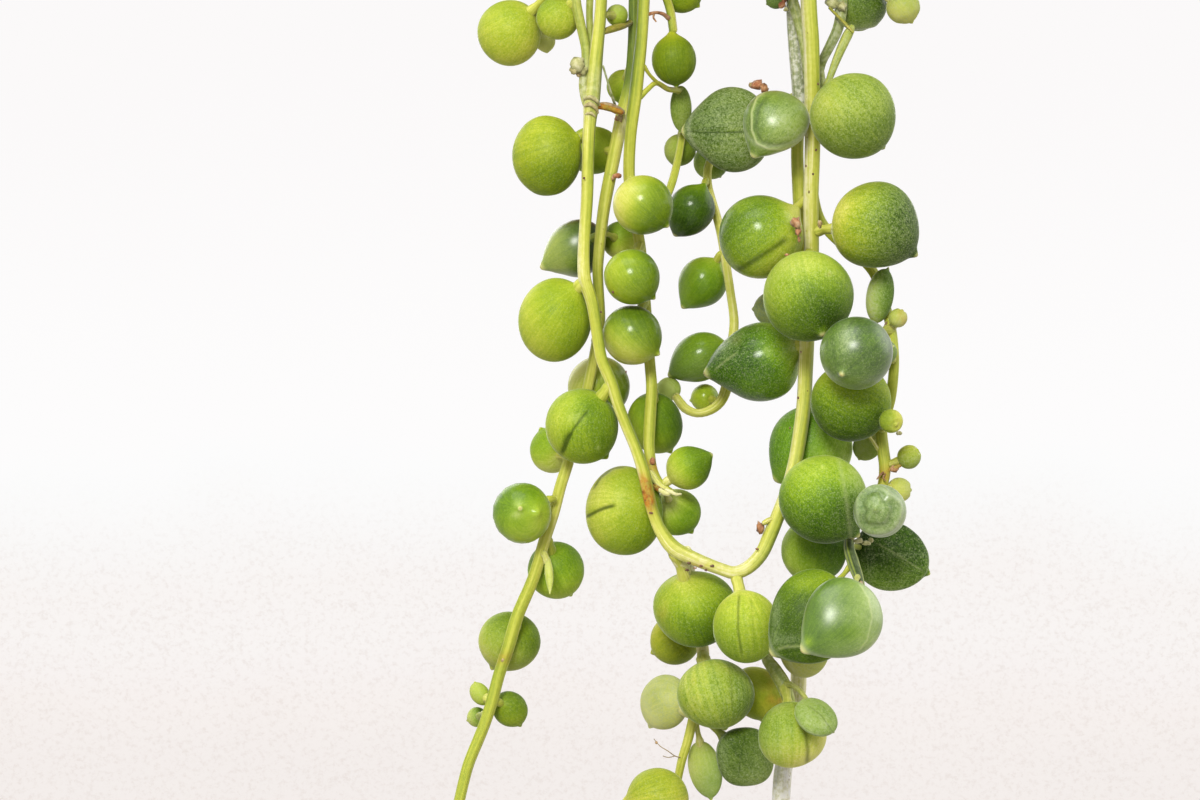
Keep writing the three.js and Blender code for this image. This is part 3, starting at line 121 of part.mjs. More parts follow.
  stem_rim_11: [[-35,19.01,-202.9,3.24,1.02,1,-34.93,14.29,-205.29,-0.51,-0.39,0.77],[-45.33,21.19,-200,4.28,1,1,-44.65,15.27,-201.22,0.26,0.22,-0.94],[-56.09,18.47,-193.04,3.48,1.09,1,-54.29,15.3,-197.67,0.05,-0.81,0.58],[-62.89,24.45,-201.87,3.87,1.04,1,-62.61,17.45,-199.6,0.13,-0.3,-0.94],[-68.94,22.05,-211.34,3.67,1.05,1,-64.04,17.6,-210.17,0.22,0.46,0.86],[-67.02,21.42,-220.88,3.5,1.01,1,-62.62,18.3,-219.67,-0.48,-0.81,-0.33],[-57.5,16.43,-231.65,3.34,1.14,1,-62.95,16.74,-228.77,-0.01,0.99,-0.13],[-69.28,11.08,-240.14,4.05,1.04,1,-63.62,15.18,-239.4,-0.52,0.78,-0.34],[-65.77,21.03,-249.7,4.2,1.03,1,-64.05,14.82,-248.52,0.19,0.24,0.95],[-64,10.79,-261.65,4.21,1.06,1,-64.09,16.05,-259.15,0.3,0.41,-0.86],[-69.98,20.62,-270.9,4.25,1.01,1,-63.55,17.95,-269.77,0.35,0.92,0.18],[-57.62,22.59,-282.17,3.73,1.05,1,-62.84,18.88,-280.4,-0.44,0.21,-0.87]],
  stem_rim_12: [[-36.57,-7.74,-200.44,4,1.07,1,-35.55,-12.68,-205.29,0.36,-0.61,0.7],[-46.88,-6.71,-203.02,3.93,1.06,1,-43.86,-13.02,-201.99,0.9,0.42,-0.08],[-52.72,-11.73,-191.92,3.79,1.07,1,-51.51,-12.99,-198.63,-0.8,0.55,-0.25],[-67.69,-9.69,-195.74,4.36,1.01,1,-62.22,-12.64,-198.46,-0.37,0.16,-0.92],[-71.94,-13.08,-207.24,3.38,1.09,1,-65.14,-13.85,-206,0.2,0.23,-0.95],[-61.86,-9.67,-217.04,3.66,1.07,1,-64.02,-15.2,-214.9,0.76,-0.04,0.65],[-67.45,-21.84,-226.85,3.73,1.04,1,-63.9,-15.81,-225.5,-0.78,0.34,0.53],[-69.85,-10.98,-234.78,3.22,1.08,1,-64.51,-14.95,-234.51,0.58,0.79,0.18],[-58.81,-13.87,-246.65,4.18,1.1,1,-65.09,-13.17,-243.5,0.38,0.7,0.6],[-72.22,-14.03,-255.59,4.68,1,1,-65.14,-11.55,-254,-0.1,-0.31,0.95],[-65.21,-5.7,-266.84,3.79,1.02,1,-64.31,-12.01,-264.51,-0.08,0.34,0.94],[-63.7,-20.02,-275.13,3.69,1.02,1,-63.03,-13.79,-275,-0.56,0.04,0.83]],
  stem_crown_1: [[9.26,3.77,-200.71,4.03,1.07,1,8.24,7.13,-206.06,0.84,-0.37,-0.39],[3.36,11.03,-201.91,2.95,1,1,9.05,9.62,-204.45,0.27,0.96,0.07],[8.95,13.51,-197.7,3.92,1.02,1,9.32,13.38,-204.37,-0.96,0.26,-0.06],[15.55,13.96,-202.32,3.07,1.03,1,10.5,16.76,-204.41,-0.55,-0.5,0.67],[9.14,23.39,-200.53,4.09,1.11,1,12.61,19.77,-204.59,-0.83,-0.21,-0.52],[17.05,22.59,-200.48,2.51,1.01,1,17.02,21.38,-204.79,0.84,0.52,-0.15],[23.38,23.39,-199.87,2.73,1,1,21.99,20.41,-204.93,0.97,-0.09,-0.22],[22.47,16.16,-200.04,3.88,1.04,1,24.65,18.41,-204.98,0.5,-0.85,-0.17],[29.88,20.29,-201.51,3.6,1.01,1,25.9,17.03,-204.99,-0.31,-0.49,0.81],[31.97,13.38,-201.86,2.38,1.04,1,28.33,12.59,-204.99,0.07,0.95,-0.32],[25.6,8.57,-199.4,3.67,1.01,1,27.94,7.71,-204.88,-0.5,-0.86,-0.08],[29.14,1.06,-200.85,3.8,1.14,1,26.47,5.31,-204.77,0.12,-0.63,-0.77],[22.97,3.06,-201.53,1.84,1.04,1,23.19,4.95,-204.63,0.99,-0.13,-0.01]],
  stem_crown_2: [[-3.31,6.98,-199.91,4.06,1.01,1,-4.23,10.04,-206.06,0.89,0.44,0.09],[-4.14,17.27,-200.25,3.93,1.01,1,-6.35,11.58,-204.45,0.1,0.56,-0.82],[-11.86,8.93,-202.38,2.86,1.04,1,-9.84,12.99,-204.37,-0.66,0.57,0.49],[-10.95,14.58,-198.39,2.75,1.02,1,-11.37,13.95,-204.4,0.3,0.95,-0.12],[-16.38,14.75,-201.33,2.61,1.14,1,-13.93,16.57,-204.49,-0.42,-0.61,-0.68],[-11.51,19.59,-202.63,2.36,1.03,1,-14.9,18.1,-204.59,0.27,0.48,-0.83],[-20.59,18.66,-202.41,2.63,1.04,1,-15.41,19.69,-204.68,0.41,-0.09,0.91],[-15.48,23.03,-198.02,3.42,1.1,1,-15.07,22.79,-204.79,-0.43,-0.9,0.01],[-10.91,25.5,-201.46,2.08,1.03,1,-12.61,27.22,-204.93,-0.32,0.78,0.54],[-12.21,33.53,-201.78,3.28,1.04,1,-9.89,29.13,-204.98,-0.92,-0.36,-0.16],[-6.19,29.57,-199.63,3.37,1.07,1,-6.43,30.47,-205,1,-0.05,-0.05],[-2.82,34.65,-202.71,2.77,1.04,1,-3.22,30.83,-204.99,0.91,0.14,-0.39],[0.64,28.17,-200.33,2.86,1.07,1,1.31,28.95,-204.88,0.6,-0.8,-0.05],[-2.93,23.71,-202.87,2.23,1.04,1,1.52,21.76,-204.55,-0.34,-0.92,0.17]],
  stem_crown_3: [[-8.24,-2.79,-201.22,2.65,1.02,1,-10.85,-0.93,-206.06,-0.78,-0.6,0.19],[-16.91,0.94,-200.22,3.64,1.02,1,-12.98,-2.46,-204.45,-0.8,-0.24,-0.55],[-12.04,-8.7,-200.95,2.74,1.04,1,-15.4,-5.35,-204.37,0.81,0.33,-0.47],[-18.64,-6.94,-199.38,2.71,1.04,1,-18.35,-7.38,-204.41,-0.82,0.56,-0.1],[-21.37,-11.85,-201.99,2.22,1.08,1,-21.82,-8.58,-204.59,-0.42,-0.6,-0.68],[-24.74,-4.83,-199.98,3.14,1,1,-26.33,-7.29,-204.79,-0.86,0.51,0.03],[-31.32,-2.38,-199.8,2.89,1.07,1,-30.36,-2.13,-204.96,-0.86,0.49,-0.14],[-25.5,1.74,-202.01,2.87,1.05,1,-30.97,1.45,-204.99,-0.1,-0.95,0.28],[-35.84,3.58,-201.43,3.2,1.06,1,-30.97,3.3,-205,0.44,-0.62,0.65],[-30.63,6.58,-200.96,2.06,1,1,-30.32,6.47,-204.99,0.46,0.89,0.01],[-30.02,14.46,-202.59,2.91,1.05,1,-27.13,10.19,-204.88,0.86,0.44,0.26],[-25.47,9.82,-197.51,4.08,1,1,-25.79,10.96,-204.83,0.72,-0.68,-0.14],[-18.36,10.08,-200.44,1.83,1.08,1,-20.23,8.17,-204.55,0.83,0.26,-0.5]],
  stem_crown_4: [[-0.37,-8,-200.29,3.76,1.07,1,-2.47,-10.61,-206.06,-0.72,-0.5,0.49],[-6.51,-15.94,-199.52,4.1,1.04,1,-1.67,-13.1,-204.45,0.66,0.15,0.74],[0.82,-19.87,-199.48,3.03,1.02,1,1.35,-19.73,-204.41,0.26,-0.97,0],[7.32,-24.28,-201.98,3.6,1.13,1,1.42,-23.41,-204.59,-0.19,0.72,0.66],[0.09,-26.4,-198.66,3.01,1.03,1,0.02,-26.18,-204.73,-0.07,-1,-0.04],[-5.21,-23.59,-201.74,2.9,1.02,1,-2.66,-28.27,-204.85,-0.53,0.25,-0.81],[-5.51,-31.33,-200.55,3.08,1.11,1,-5.79,-29.44,-204.93,0.54,-0.76,-0.36],[-10.41,-26.92,-200.72,2.24,1.08,1,-10.95,-29,-204.99,-0.08,-0.89,0.44],[-15.13,-24.66,-199.74,2.36,1.01,1,-16.55,-25.68,-204.96,0.27,-0.96,0.11],[-22.3,-23.93,-201.94,2.88,1.02,1,-18.08,-22.66,-204.88,-0.6,0.41,-0.69],[-18.47,-19.92,-199.66,2.29,1,1,-18.29,-19.86,-204.77,-0.62,-0.78,-0.03],[-17.18,-15.15,-200.58,1.99,1.02,1,-15.85,-17.63,-204.63,-0.36,0.74,-0.57]],
  stem_crown_5: [[6.93,-4.45,-200.77,3.41,1.01,1,9.32,-5.63,-206.06,-0.9,-0.27,-0.34],[14.09,-10.87,-202.59,2.61,1.02,1,11.95,-5.64,-204.45,-0.43,0.14,0.89],[15.76,-5.48,-199.66,2.95,1.05,1,15.6,-4.73,-204.37,-0.43,-0.9,-0.13],[21.97,-2.4,-199.27,2.65,1.07,1,21.01,-5.22,-204.49,0.77,-0.61,0.19],[21.79,-9.19,-200.8,3.02,1.04,1,24.04,-6.87,-204.68,-0.3,-0.73,-0.61],[29.21,-8.26,-201.35,2.95,1.01,1,25.59,-9.58,-204.79,-0.62,-0.25,0.75],[26.07,-14.65,-199.39,3.06,1.02,1,26.2,-14.61,-204.93,0.9,-0.44,0.02],[21.1,-17.36,-203.1,2.28,1.02,1,24.2,-19.37,-204.99,0.52,-0.01,0.86],[23.08,-23.38,-200.13,3.08,1.04,1,21.93,-22.14,-205,-0.28,0.91,0.3],[17.82,-24.97,-201.08,1.92,1.07,1,17.65,-24.07,-204.92,-0.97,0.22,0.09],[15.49,-19.39,-201.6,3.2,1.08,1,14.43,-24.03,-204.83,0.19,0.53,-0.83]],
};
// Pearls with a node of their own: name, stem, [x, y, z, radius, stretch, flatness, tip direction, flat normal, stalk root, stalk radius].
const PEARLS = [
  ['pearl_01', 'stem_front_loop', [-21.03,-62.17,-323.1,3.57,1,1,-0.32,0.94,0.12,0.33,0.9,0.3,-13.53,-67.2,-316.18,0.55]],
  ['pearl_02', 'stem_front_loop', [-16.85,-65.51,-337.05,3.87,1.02,1,-0.34,0.94,0.06,0.25,0.96,0.12,-12.21,-67,-334.85,0.55]],
  ['pearl_03', 'stem_front_middle', [-2.73,-61,-325.99,2.46,1.12,1,0.09,0,-1,0,1,0,-3.17,-61,-320.4,0.36]],
  ['pearl_04', 'stem_front_middle', [-6.26,-66.4,-342.51,3.31,1,1,0.74,-0.17,-0.65,0.32,0.62,-0.72,-7.71,-61.9,-339.24,0.55]],
  ['pearl_05', 'stem_front_middle', [-0.67,-55.31,-342.43,2.67,1.1,1,-0.54,0,-0.84,-0.22,0.93,0.3,-2.86,-56.8,-339.47,0.36]],
  ['pearl_06', 'stem_front_middle', [-7.48,-66.5,-350.45,3.08,1,1,0.72,0,-0.69,-0.2,0.57,-0.8,-6.53,-60.8,-346.66,0.55]],
  ['pearl_07', 'stem_front_loop', [-15.99,-64.33,-355.14,4.16,1.04,1,-0.24,0.94,-0.24,0.27,0.9,0.35,-12.65,-67,-350.8,0.55]],
  ['pearl_08', 'stem_front_middle', [-7.45,-64.3,-356.8,3.27,1.03,1,0.8,-0.21,-0.57,-0.23,0.76,-0.61,-5.96,-60.6,-352.81,0.55]],
  ['pearl_09', 'stem_front_loop', [-12.99,-65.36,-366.87,4.03,1.03,1,0.62,0.18,-0.77,-0.66,-0.73,0.19,-9.79,-67,-362.02,0.55]],
  ['pearl_10', 'stem_front_middle', [-4.79,-57.5,-366.6,3.1,1.15,1,0.49,0.17,-0.85,-0.08,0.72,0.69,-5.24,-61.4,-362.55,0.55]],
  ['pearl_11', 'stem_front_middle', [-1.23,-63.6,-371.55,2.44,1,1,0.87,0,0.5,0,1,0,-4.12,-63.6,-373.55,0.36]],
  ['pearl_12', 'stem_front_loop', [-8.33,-62.72,-376.35,4.28,1.02,1,-0.31,0.95,0.03,-0.8,-0.57,-0.18,-5.5,-67,-375.33,0.55]],
  ['pearl_13', 'stem_front_left', [-19.64,-64.55,-376.51,3.27,1,1,-0.03,-0.98,0.17,-0.59,0.81,0,-16.13,-62,-376.49,0.55]],
  ['pearl_14', 'stem_front_left', [-15.96,-58,-383.16,3.21,1,1,0.47,0.34,-0.81,-0.22,0.7,0.68,-17.13,-62,-379.45,0.55]],
  ['pearl_15', 'stem_front_left', [-21.21,-57.6,-391.19,3.5,1,1,-0.52,0,-0.86,-0.97,-0.05,0.24,-20.25,-62,-388.2,0.55]],
  ['pearl_16', 'stem_front_loop', [-0.41,-62.24,-387.29,4.57,1,1,0.13,0.87,-0.48,-0.18,0.84,0.5,-2.97,-67,-380.23,0.69]],
  ['pearl_17', 'stem_front_loop', [5.04,-68.72,-388.85,3.72,1.02,1,0.03,0.81,-0.59,-0.31,-0.93,0.21,3.79,-67,-383.03,0.69]],
  ['pearl_18', 'stem_front_loop', [1.86,-64.08,-396.6,4.21,1,1,0.23,0.26,-0.94,-0.25,-0.6,0.76,0.59,-58.6,-392.69,0.69]],
  ['pearl_19', 'stem_front_right_young', [12.08,-72.51,-387.51,4.55,1.06,0.5,-0.78,0,-0.63,0.04,-0.97,0.22,16.63,-69.6,-381.69,0.55]],
  ['pearl_20', 'stem_front_right_young', [14.96,-77.53,-387.29,4.22,1.06,0.6,-0.83,-0.14,-0.54,0.31,-0.86,0.41,17.01,-71.8,-383.22,0.55]],
  ['pearl_21', 'stem_front_loop', [-4.55,-63,-408.37,3.45,1,1,-1,0.06,-0.04,-0.81,0.45,-0.37,-2.33,-58.2,-407.37,0.55]],
  ['pearl_22', 'stem_front_right_young', [16.65,-69.35,-332.96,4.7,1,1,0.67,0.4,-0.63,0.32,0.72,-0.61,13.35,-61.4,-328.26,0.55]],
  ['pearl_23', 'stem_front_right_old', [3.84,-59,-333.6,4.61,1,0.6,-1,0,-0.05,0.31,-0.95,0.08,8.06,-55.5,-331.33,0.55]],
  ['pearl_24', 'stem_front_right_old', [8.38,-66.69,-333.28,3.63,1.04,0.8,-0.51,-0.09,-0.85,0.03,-0.78,0.63,9.91,-59,-330.28,0.55]],
  ['pearl_25', 'stem_front_loop', [6.85,-64.01,-345.92,4.66,1,1,-0.39,0.87,-0.31,-0.34,-0.78,0.52,12.43,-63.5,-341.57,0.55]],
  ['pearl_26', 'stem_front_loop', [19.3,-67,-344.81,4.84,1,1,0.81,0,-0.59,0.52,0.85,0.05,12.49,-62.81,-345.44,0.55]],
  ['pearl_27', 'stem_front_loop', [11.72,-69.56,-352.64,4.97,1,1,0.26,-0.56,-0.79,-0.12,0.6,-0.79,12.49,-62.5,-347.41,0.55]],
  ['pearl_28', 'stem_front_loop', [6.97,-59.35,-359.73,4.44,1.08,1,-0.98,0,-0.21,-0.51,-0.49,0.71,11.99,-61.94,-357.92,0.55]],
  ['pearl_29', 'stem_front_right_young', [16.58,-74.51,-358.94,3.93,1,1,-0.41,-0.73,-0.54,0.79,-0.43,0.45,21.38,-62.8,-356.21,0.55]],
  ['pearl_30', 'stem_front_loop', [13.35,-69.75,-374.81,4.8,1.02,1,0.68,-0.14,-0.72,0.57,0.62,-0.54,10.32,-64.5,-371.97,0.55]],
  ['pearl_31', 'stem_front_right_young', [19.1,-75.39,-375.93,2.85,1,1,-0.24,-0.97,0.09,-0.47,0.21,-0.86,20.27,-64,-373.76,0.36]],
];

const wasm = await Module();
wasm.setup();

function clean(geometry) {
  const g = geometry.index ? geometry : geometry.clone();
  g.deleteAttribute('normal');
  g.deleteAttribute('uv');
  return mergeVertices(g, 1e-4);
}
function solid(geometry) {
  const g = clean(geometry);
  const mesh = new wasm.Mesh({
    numProp: 3,
    vertProperties: new Float32Array(g.attributes.position.array),
    triVerts: new Uint32Array(g.index.array),
  });
  let m = new wasm.Manifold(mesh);
  return m;
}
function geometryOf(m) {
  const mesh = m.getMesh();
  const g = new THREE.BufferGeometry();
  g.setAttribute('position', new THREE.BufferAttribute(new Float32Array(mesh.vertProperties), 3));
  g.setIndex(new THREE.BufferAttribute(new Uint32Array(mesh.triVerts), 1));
  g.computeVertexNormals();
  return g;
}

// A path through given points, stepped from point to point.
class PointPath extends THREE.Curve {
  constructor(points) { super(); this.points = points; }
  getPoint(t, target = new THREE.Vector3()) {
    const n = this.points.length - 1;
    const s = Math.min(Math.max(t, 0), 1) * n;
    const i = Math.min(Math.floor(s), n - 1);
    return target.copy(this.points[i]).lerp(this.points[i + 1], s - i);
  }
  getPointAt(u, target) { return this.getPoint(u, target); }
  getSpacedPoints(n) { return this.getPoints(n); }
  getTangent(t, target = new THREE.Vector3()) {
    const n = this.points.length - 1;
    const i = Math.round(t * n);
    const a = this.points[Math.max(i - 1, 0)], b = this.points[i], c = this.points[Math.min(i + 1, n)];
    const d = new THREE.Vector3();
    if (i > 0) d.add(b.clone().sub(a).normalize());
    if (i < n) d.add(c.clone().sub(b).normalize());
    return target.copy(d.normalize());
  }
  getTangentAt(u, target) { return this.getTangent(u, target); }
}
function tube(points, radius, sides) {
  const shape = new THREE.Shape();
  for (let i = 0; i < sides; i++) {
    const a = (i / sides) * Math.PI * 2;
    if (i === 0) shape.moveTo(radius * Math.cos(a), radius * Math.sin(a));
    else shape.lineTo(radius * Math.cos(a), radius * Math.sin(a));
  }
  shape.closePath();
  const path = new PointPath(points);
  return new THREE.ExtrudeGeometry(shape, { steps: points.length - 1, extrudePath: path, bevelEnabled: false });
}
const V = (x, y, z) => new THREE.Vector3(x, y, z);

// A basis whose Y is `axis` and whose Z is `flat`, scaled by the leaf's flatness along Z.
function place(geometry, centre, axis, flat, flatness) {
  const y = axis.clone().normalize();
  const z = flat.clone().addScaledVector(y, -flat.dot(y));
  if (z.length() < 1e-3) z.set(0.3, 0.5, 0.8).addScaledVector(y, -V(0.3, 0.5, 0.8).dot(y));
  z.normalize();
  const x = new THREE.Vector3().crossVectors(y, z).normalize();
  const m = new THREE.Matrix4().makeBasis(x, y, z.clone().multiplyScalar(flatness));
  m.setPosition(centre);
  geometry.applyMatrix4(m);
  return geometry;
}
function lathe(profile, segments) {
  return new THREE.LatheGeometry(profile.map(([r, h]) => new THREE.Vector2(r, h)), segments);
}
// A leaf that grows from its stem: a cone from the stalk's root that opens into the round body.
function joinedLeaf([x, y, z, r, e, f, px, py, pz, wx, wy, wz], sides) {
  const c = V(x, y, z), root = V(px, py, pz);
  const axis = c.clone().sub(root);
  const len = axis.length(), k = sides < 5 ? 1.1 : 1;
  const profile = [[0, -len], [0.84 * r * k, -0.42 * r * e], [0.88 * r * k, 0.4 * r * e], [0, 1.1 * r * e]];
  if (r < 1.3) profile.splice(0, 1, [0, -len - 0.2], [0.36, 0.15 - len]);   // the smallest buds have a real stalk
  return solid(place(lathe(profile, sides), c, axis, V(wx, wy, wz), Math.max(f, 0.45)));
}
// A pearl that is a solid of its own: round, with a short pointed tip.
function pearlGeometry([x, y, z, r, e, f, ax, ay, az, wx, wy, wz]) {
  const profile = [[0, -0.985 * r * e], [0.56 * r, -0.8 * r * e], [0.92 * r, -0.33 * r * e], [0.94 * r, 0.28 * r * e], [0.6 * r, 0.76 * r * e], [0, 1.12 * r * e]];
  return place(lathe(profile, 8), V(x, y, z), V(ax, ay, az), V(wx, wy, wz), Math.max(f, 0.45));
}

const group = new THREE.Group();
const add = (name, geometry, color, roughness, metalness = 0) => {
  const mesh = new THREE.Mesh(geometry, new THREE.MeshStandardMaterial({ color, roughness, metalness }));
  mesh.name = name;
  group.add(mesh);
};
const polar = (radius, angle, z) => V(radius * Math.cos(angle), radius * Math.sin(angle), z);

// ---- pot: one moulded shell with a thick rim, three lugs and drain holes ----
const wallIn = (z) => 42.5 + (z - (BASE_Z + FLOOR_T)) * (57 - 42.5) / (RIM_Z - RIM_H - BASE_Z - FLOOR_T);
const ringProfile = [
  [0, BASE_Z], [BASE_R, BASE_Z], [59, RIM_Z - RIM_H], [RIM_R, RIM_Z - RIM_H],
  [RIM_R, RIM_Z - 1.2], [RIM_R - 1.2, RIM_Z], [57.5, RIM_Z], [57, RIM_Z - RIM_H], [42.5, BASE_Z + FLOOR_T], [0, BASE_Z + FLOOR_T],
];
// LatheGeometry turns about Y, so the profile is turned upright afterwards.
let pot = solid(lathe(ringProfile, POT_SEG).rotateX(Math.PI / 2));
const LUG_ANGLES = { hanger_wire_back: Math.PI / 2, hanger_wire_front_left: Math.PI * 7 / 6, hanger_wire_front_right: Math.PI * 11 / 6 };
for (const a of Object.values(LUG_ANGLES)) {
  const s = new THREE.Shape();
  s.moveTo(59.6, -LUG_HALF);
  s.lineTo(LUG_AT, -LUG_HALF);
  s.absarc(LUG_AT - 0.6, 0, LUG_HALF - 0.4, -Math.PI / 2.4, Math.PI / 2.4, false);
  s.lineTo(LUG_AT, LUG_HALF);
  s.lineTo(59.6, LUG_HALF);
  s.closePath();
  const hole = new THREE.Path();
  hole.absarc(LUG_AT, 0, LUG_HOLE, 0, Math.PI * 2, true);
  s.holes.push(hole);
  const lug = new THREE.ExtrudeGeometry(s, { depth: LUG_T, bevelEnabled: false, curveSegments: 5 });
  lug.translate(0, 0, RIM_Z - LUG_T - 1.3);
  lug.rotateZ(a);
  pot = pot.add(solid(lug));
}
for (let i = 0; i < 4; i++) {
  const drain = new THREE.CylinderGeometry(DRAIN_R, DRAIN_R, FLOOR_T * 4, 10);
  drain.rotateX(Math.PI / 2);
  const p = polar(DRAIN_AT, Math.PI / 4 + i * Math.PI / 2, BASE_Z + FLOOR_T / 2);
  drain.translate(p.x, p.y, p.z);
  pot = pot.subtract(solid(drain));
}
add('pot', geometryOf(pot), 0xb9603f, 0.55);

// ---- potting soil: fills the pot, domed on top, with a pit at each stem ----
const soilZ = (q) => SOIL_TOP - SOIL_DROP * (q / SOIL_SPAN) ** 2;
const soilProfile = [[0, BASE_Z + FLOOR_T + 0.4], [wallIn(BASE_Z + FLOOR_T) - 0.6, BASE_Z + FLOOR_T + 0.4], [wallIn(RIM_Z - RIM_H) - 0.7, RIM_Z - RIM_H], [56.3, soilZ(56.3)],
  [33, soilZ(33)], [0, SOIL_TOP]];
let soil = solid(lathe(soilProfile, 24).rotateX(Math.PI / 2));
for (const branches of Object.values(STEMS)) {
  const main = branches[0].pts;
  const ends = [main.slice(0, 3), main.slice(-3).reverse()];
  for (const [p, q] of ends) {
    if (Math.hypot(p[0], p[1]) > 50 || p[2] > soilZ(Math.hypot(p[0], p[1]))) continue;
    const t = Math.min(1, (soilZ(Math.hypot(p[0], p[1])) - p[2]) / Math.max(q[2] - p[2], 1e-3)) * 0.5;
    const cx = p[0] + (q[0] - p[0]) * t, cy = p[1] + (q[1] - p[1]) * t;
    const top = soilZ(Math.hypot(cx, cy));
    const pit = new THREE.CylinderGeometry(PIT_R, PIT_R, PIT_DEPTH + 3, 6);
    pit.rotateX(Math.PI / 2);
    pit.translate(cx, cy, top - PIT_DEPTH + (PIT_DEPTH + 3) / 2);
    soil = soil.subtract(solid(pit));
  }
}
add('potting_soil', geometryOf(soil), 0x3a2a1c, 0.95);

// ---- hanger hook: an open hook above, an eye below ----
const hookPoints = [];
const hookAxis = HOOK_IN + HOOK_R;
for (let d = 205; d >= -15; d -= 20) hookPoints.push(V(hookAxis * Math.cos(d * Math.PI / 180), 0, -HOOK_IN + hookAxis * Math.sin(d * Math.PI / 180)));
hookPoints.push(V(8.9, 0, -19.2), V(5, 0, -24), V(1.7, 0, -28), V(0, 0, -32), V(0, 0, EYE_Z + EYE_R));
const eye = new THREE.TorusGeometry(EYE_R, HOOK_R, 6, 20);
eye.rotateX(Math.PI / 2);
eye.translate(0, 0, EYE_Z);
add('hanger_hook', geometryOf(solid(tube(hookPoints, HOOK_R, 6)).add(solid(eye))), 0xb8babb, 0.35, 1);

// ---- three hanger wires: hooked over the eye, through a lug, and bent up outside it ----
const WIRES = { hanger_wire_back: [0, 1], hanger_wire_front_left: [-4, -1], hanger_wire_front_right: [4, -1] };
for (const [name, [sx, side]] of Object.entries(WIRES)) {
  const a = LUG_ANGLES[name];
  const zc = EYE_Z - Math.sqrt(EYE_R ** 2 - sx ** 2);
  const loop = HOOK_R + WIRE_R + 0.65;
  const pts = [];
  for (let b = -45; b <= 181; b += 25) pts.push(V(sx, -side * loop * Math.cos(b * Math.PI / 180), zc + loop * Math.sin(b * Math.PI / 180)));
  pts.push(V(sx, side * loop, zc - 3));
  const foot = polar(LUG_AT, a, RIM_Z + 5), from = V(sx, side * loop, zc - 7);
  pts.push(from.clone().lerp(foot, 0.0).add(V(0, side * 0.2, 0)));
  pts.push(from.clone().lerp(foot, 0.08));
  pts.push(from.clone().lerp(foot, 0.965));
  pts.push(polar(LUG_AT - 0.15, a, RIM_Z + 2.2), polar(LUG_AT, a, RIM_Z - 1), polar(LUG_AT, a, RIM_Z - 6));
  for (const b of [210, 240, 270, 300, 330, 360]) pts.push(polar(LUG_AT + 2.8 + 2.8 * Math.cos(b * Math.PI / 180), a, RIM_Z - 7 + 2.8 * Math.sin(b * Math.PI / 180)));
  pts.push(polar(LUG_AT + 5.6, a, RIM_Z - 4.6));
  add(name, geometryOf(solid(tube(pts, WIRE_R, 6))), 0xb0b2b4, 0.35, 1);
}

// ---- stems with the leaves that grow on them ----
const GREEN = { loop: 0x9fb63c, leaf: 0x7f9f2c };
for (const [name, branches] of Object.entries(STEMS)) {
  const front = name.startsWith('stem_front');
  let body = null;
  for (const { r, pts } of branches) {
    const t = solid(tube(pts.map((p) => V(...p)), r, front ? 5 : 4));
    body = body ? body.add(t) : t;
  }
  for (const leaf of LEAVES[name]) body = body.add(joinedLeaf(leaf, front && leaf[2] < -318 ? 5 : 4));
  for (const [, stem, row] of PEARLS) {
    if (stem !== name) continue;
    const c = V(row[0], row[1], row[2]), root = V(row[12], row[13], row[14]);
    const dir = root.clone().sub(c);
    const reach = row[3] * Math.max(row[4], 1) + JOINT_GAP;
    if (dir.length() <= reach + 0.1) continue;
    const end = c.clone().addScaledVector(dir.clone().normalize(), reach);
    body = body.add(solid(tube([root, end], row[15], 4)));
  }
  add(name, geometryOf(body.asOriginal().simplify(SMALLEST)), GREEN.loop, 0.55);
}

// ---- the best-seen pearls ----
for (const [name, , row] of PEARLS) {
  const g = geometryOf(solid(pearlGeometry(row)));
  add(name, g, GREEN.leaf, 0.5);
}

export default group;
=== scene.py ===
import math

import bmesh
import bpy
import numpy as np
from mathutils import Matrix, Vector, noise

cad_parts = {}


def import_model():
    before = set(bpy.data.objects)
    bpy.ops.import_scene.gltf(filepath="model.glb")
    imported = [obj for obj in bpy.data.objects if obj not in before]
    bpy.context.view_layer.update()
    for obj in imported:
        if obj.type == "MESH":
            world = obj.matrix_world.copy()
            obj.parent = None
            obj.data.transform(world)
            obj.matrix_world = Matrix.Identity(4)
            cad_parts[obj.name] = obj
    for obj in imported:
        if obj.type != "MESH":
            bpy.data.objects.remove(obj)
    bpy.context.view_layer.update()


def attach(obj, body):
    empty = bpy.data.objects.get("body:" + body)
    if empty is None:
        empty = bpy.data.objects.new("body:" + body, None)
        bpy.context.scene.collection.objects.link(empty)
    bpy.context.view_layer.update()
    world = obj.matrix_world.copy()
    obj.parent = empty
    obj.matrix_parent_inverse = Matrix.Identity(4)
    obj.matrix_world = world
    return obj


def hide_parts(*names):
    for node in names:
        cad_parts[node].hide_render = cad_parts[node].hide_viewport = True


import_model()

MM = 0.001
K, D, YS, CX, CZ = 0.11, 132.0 / 0.36, -67.0, -11.0, -364.0   # mm per picture unit at the stems, camera distance, stem plane, picture centre

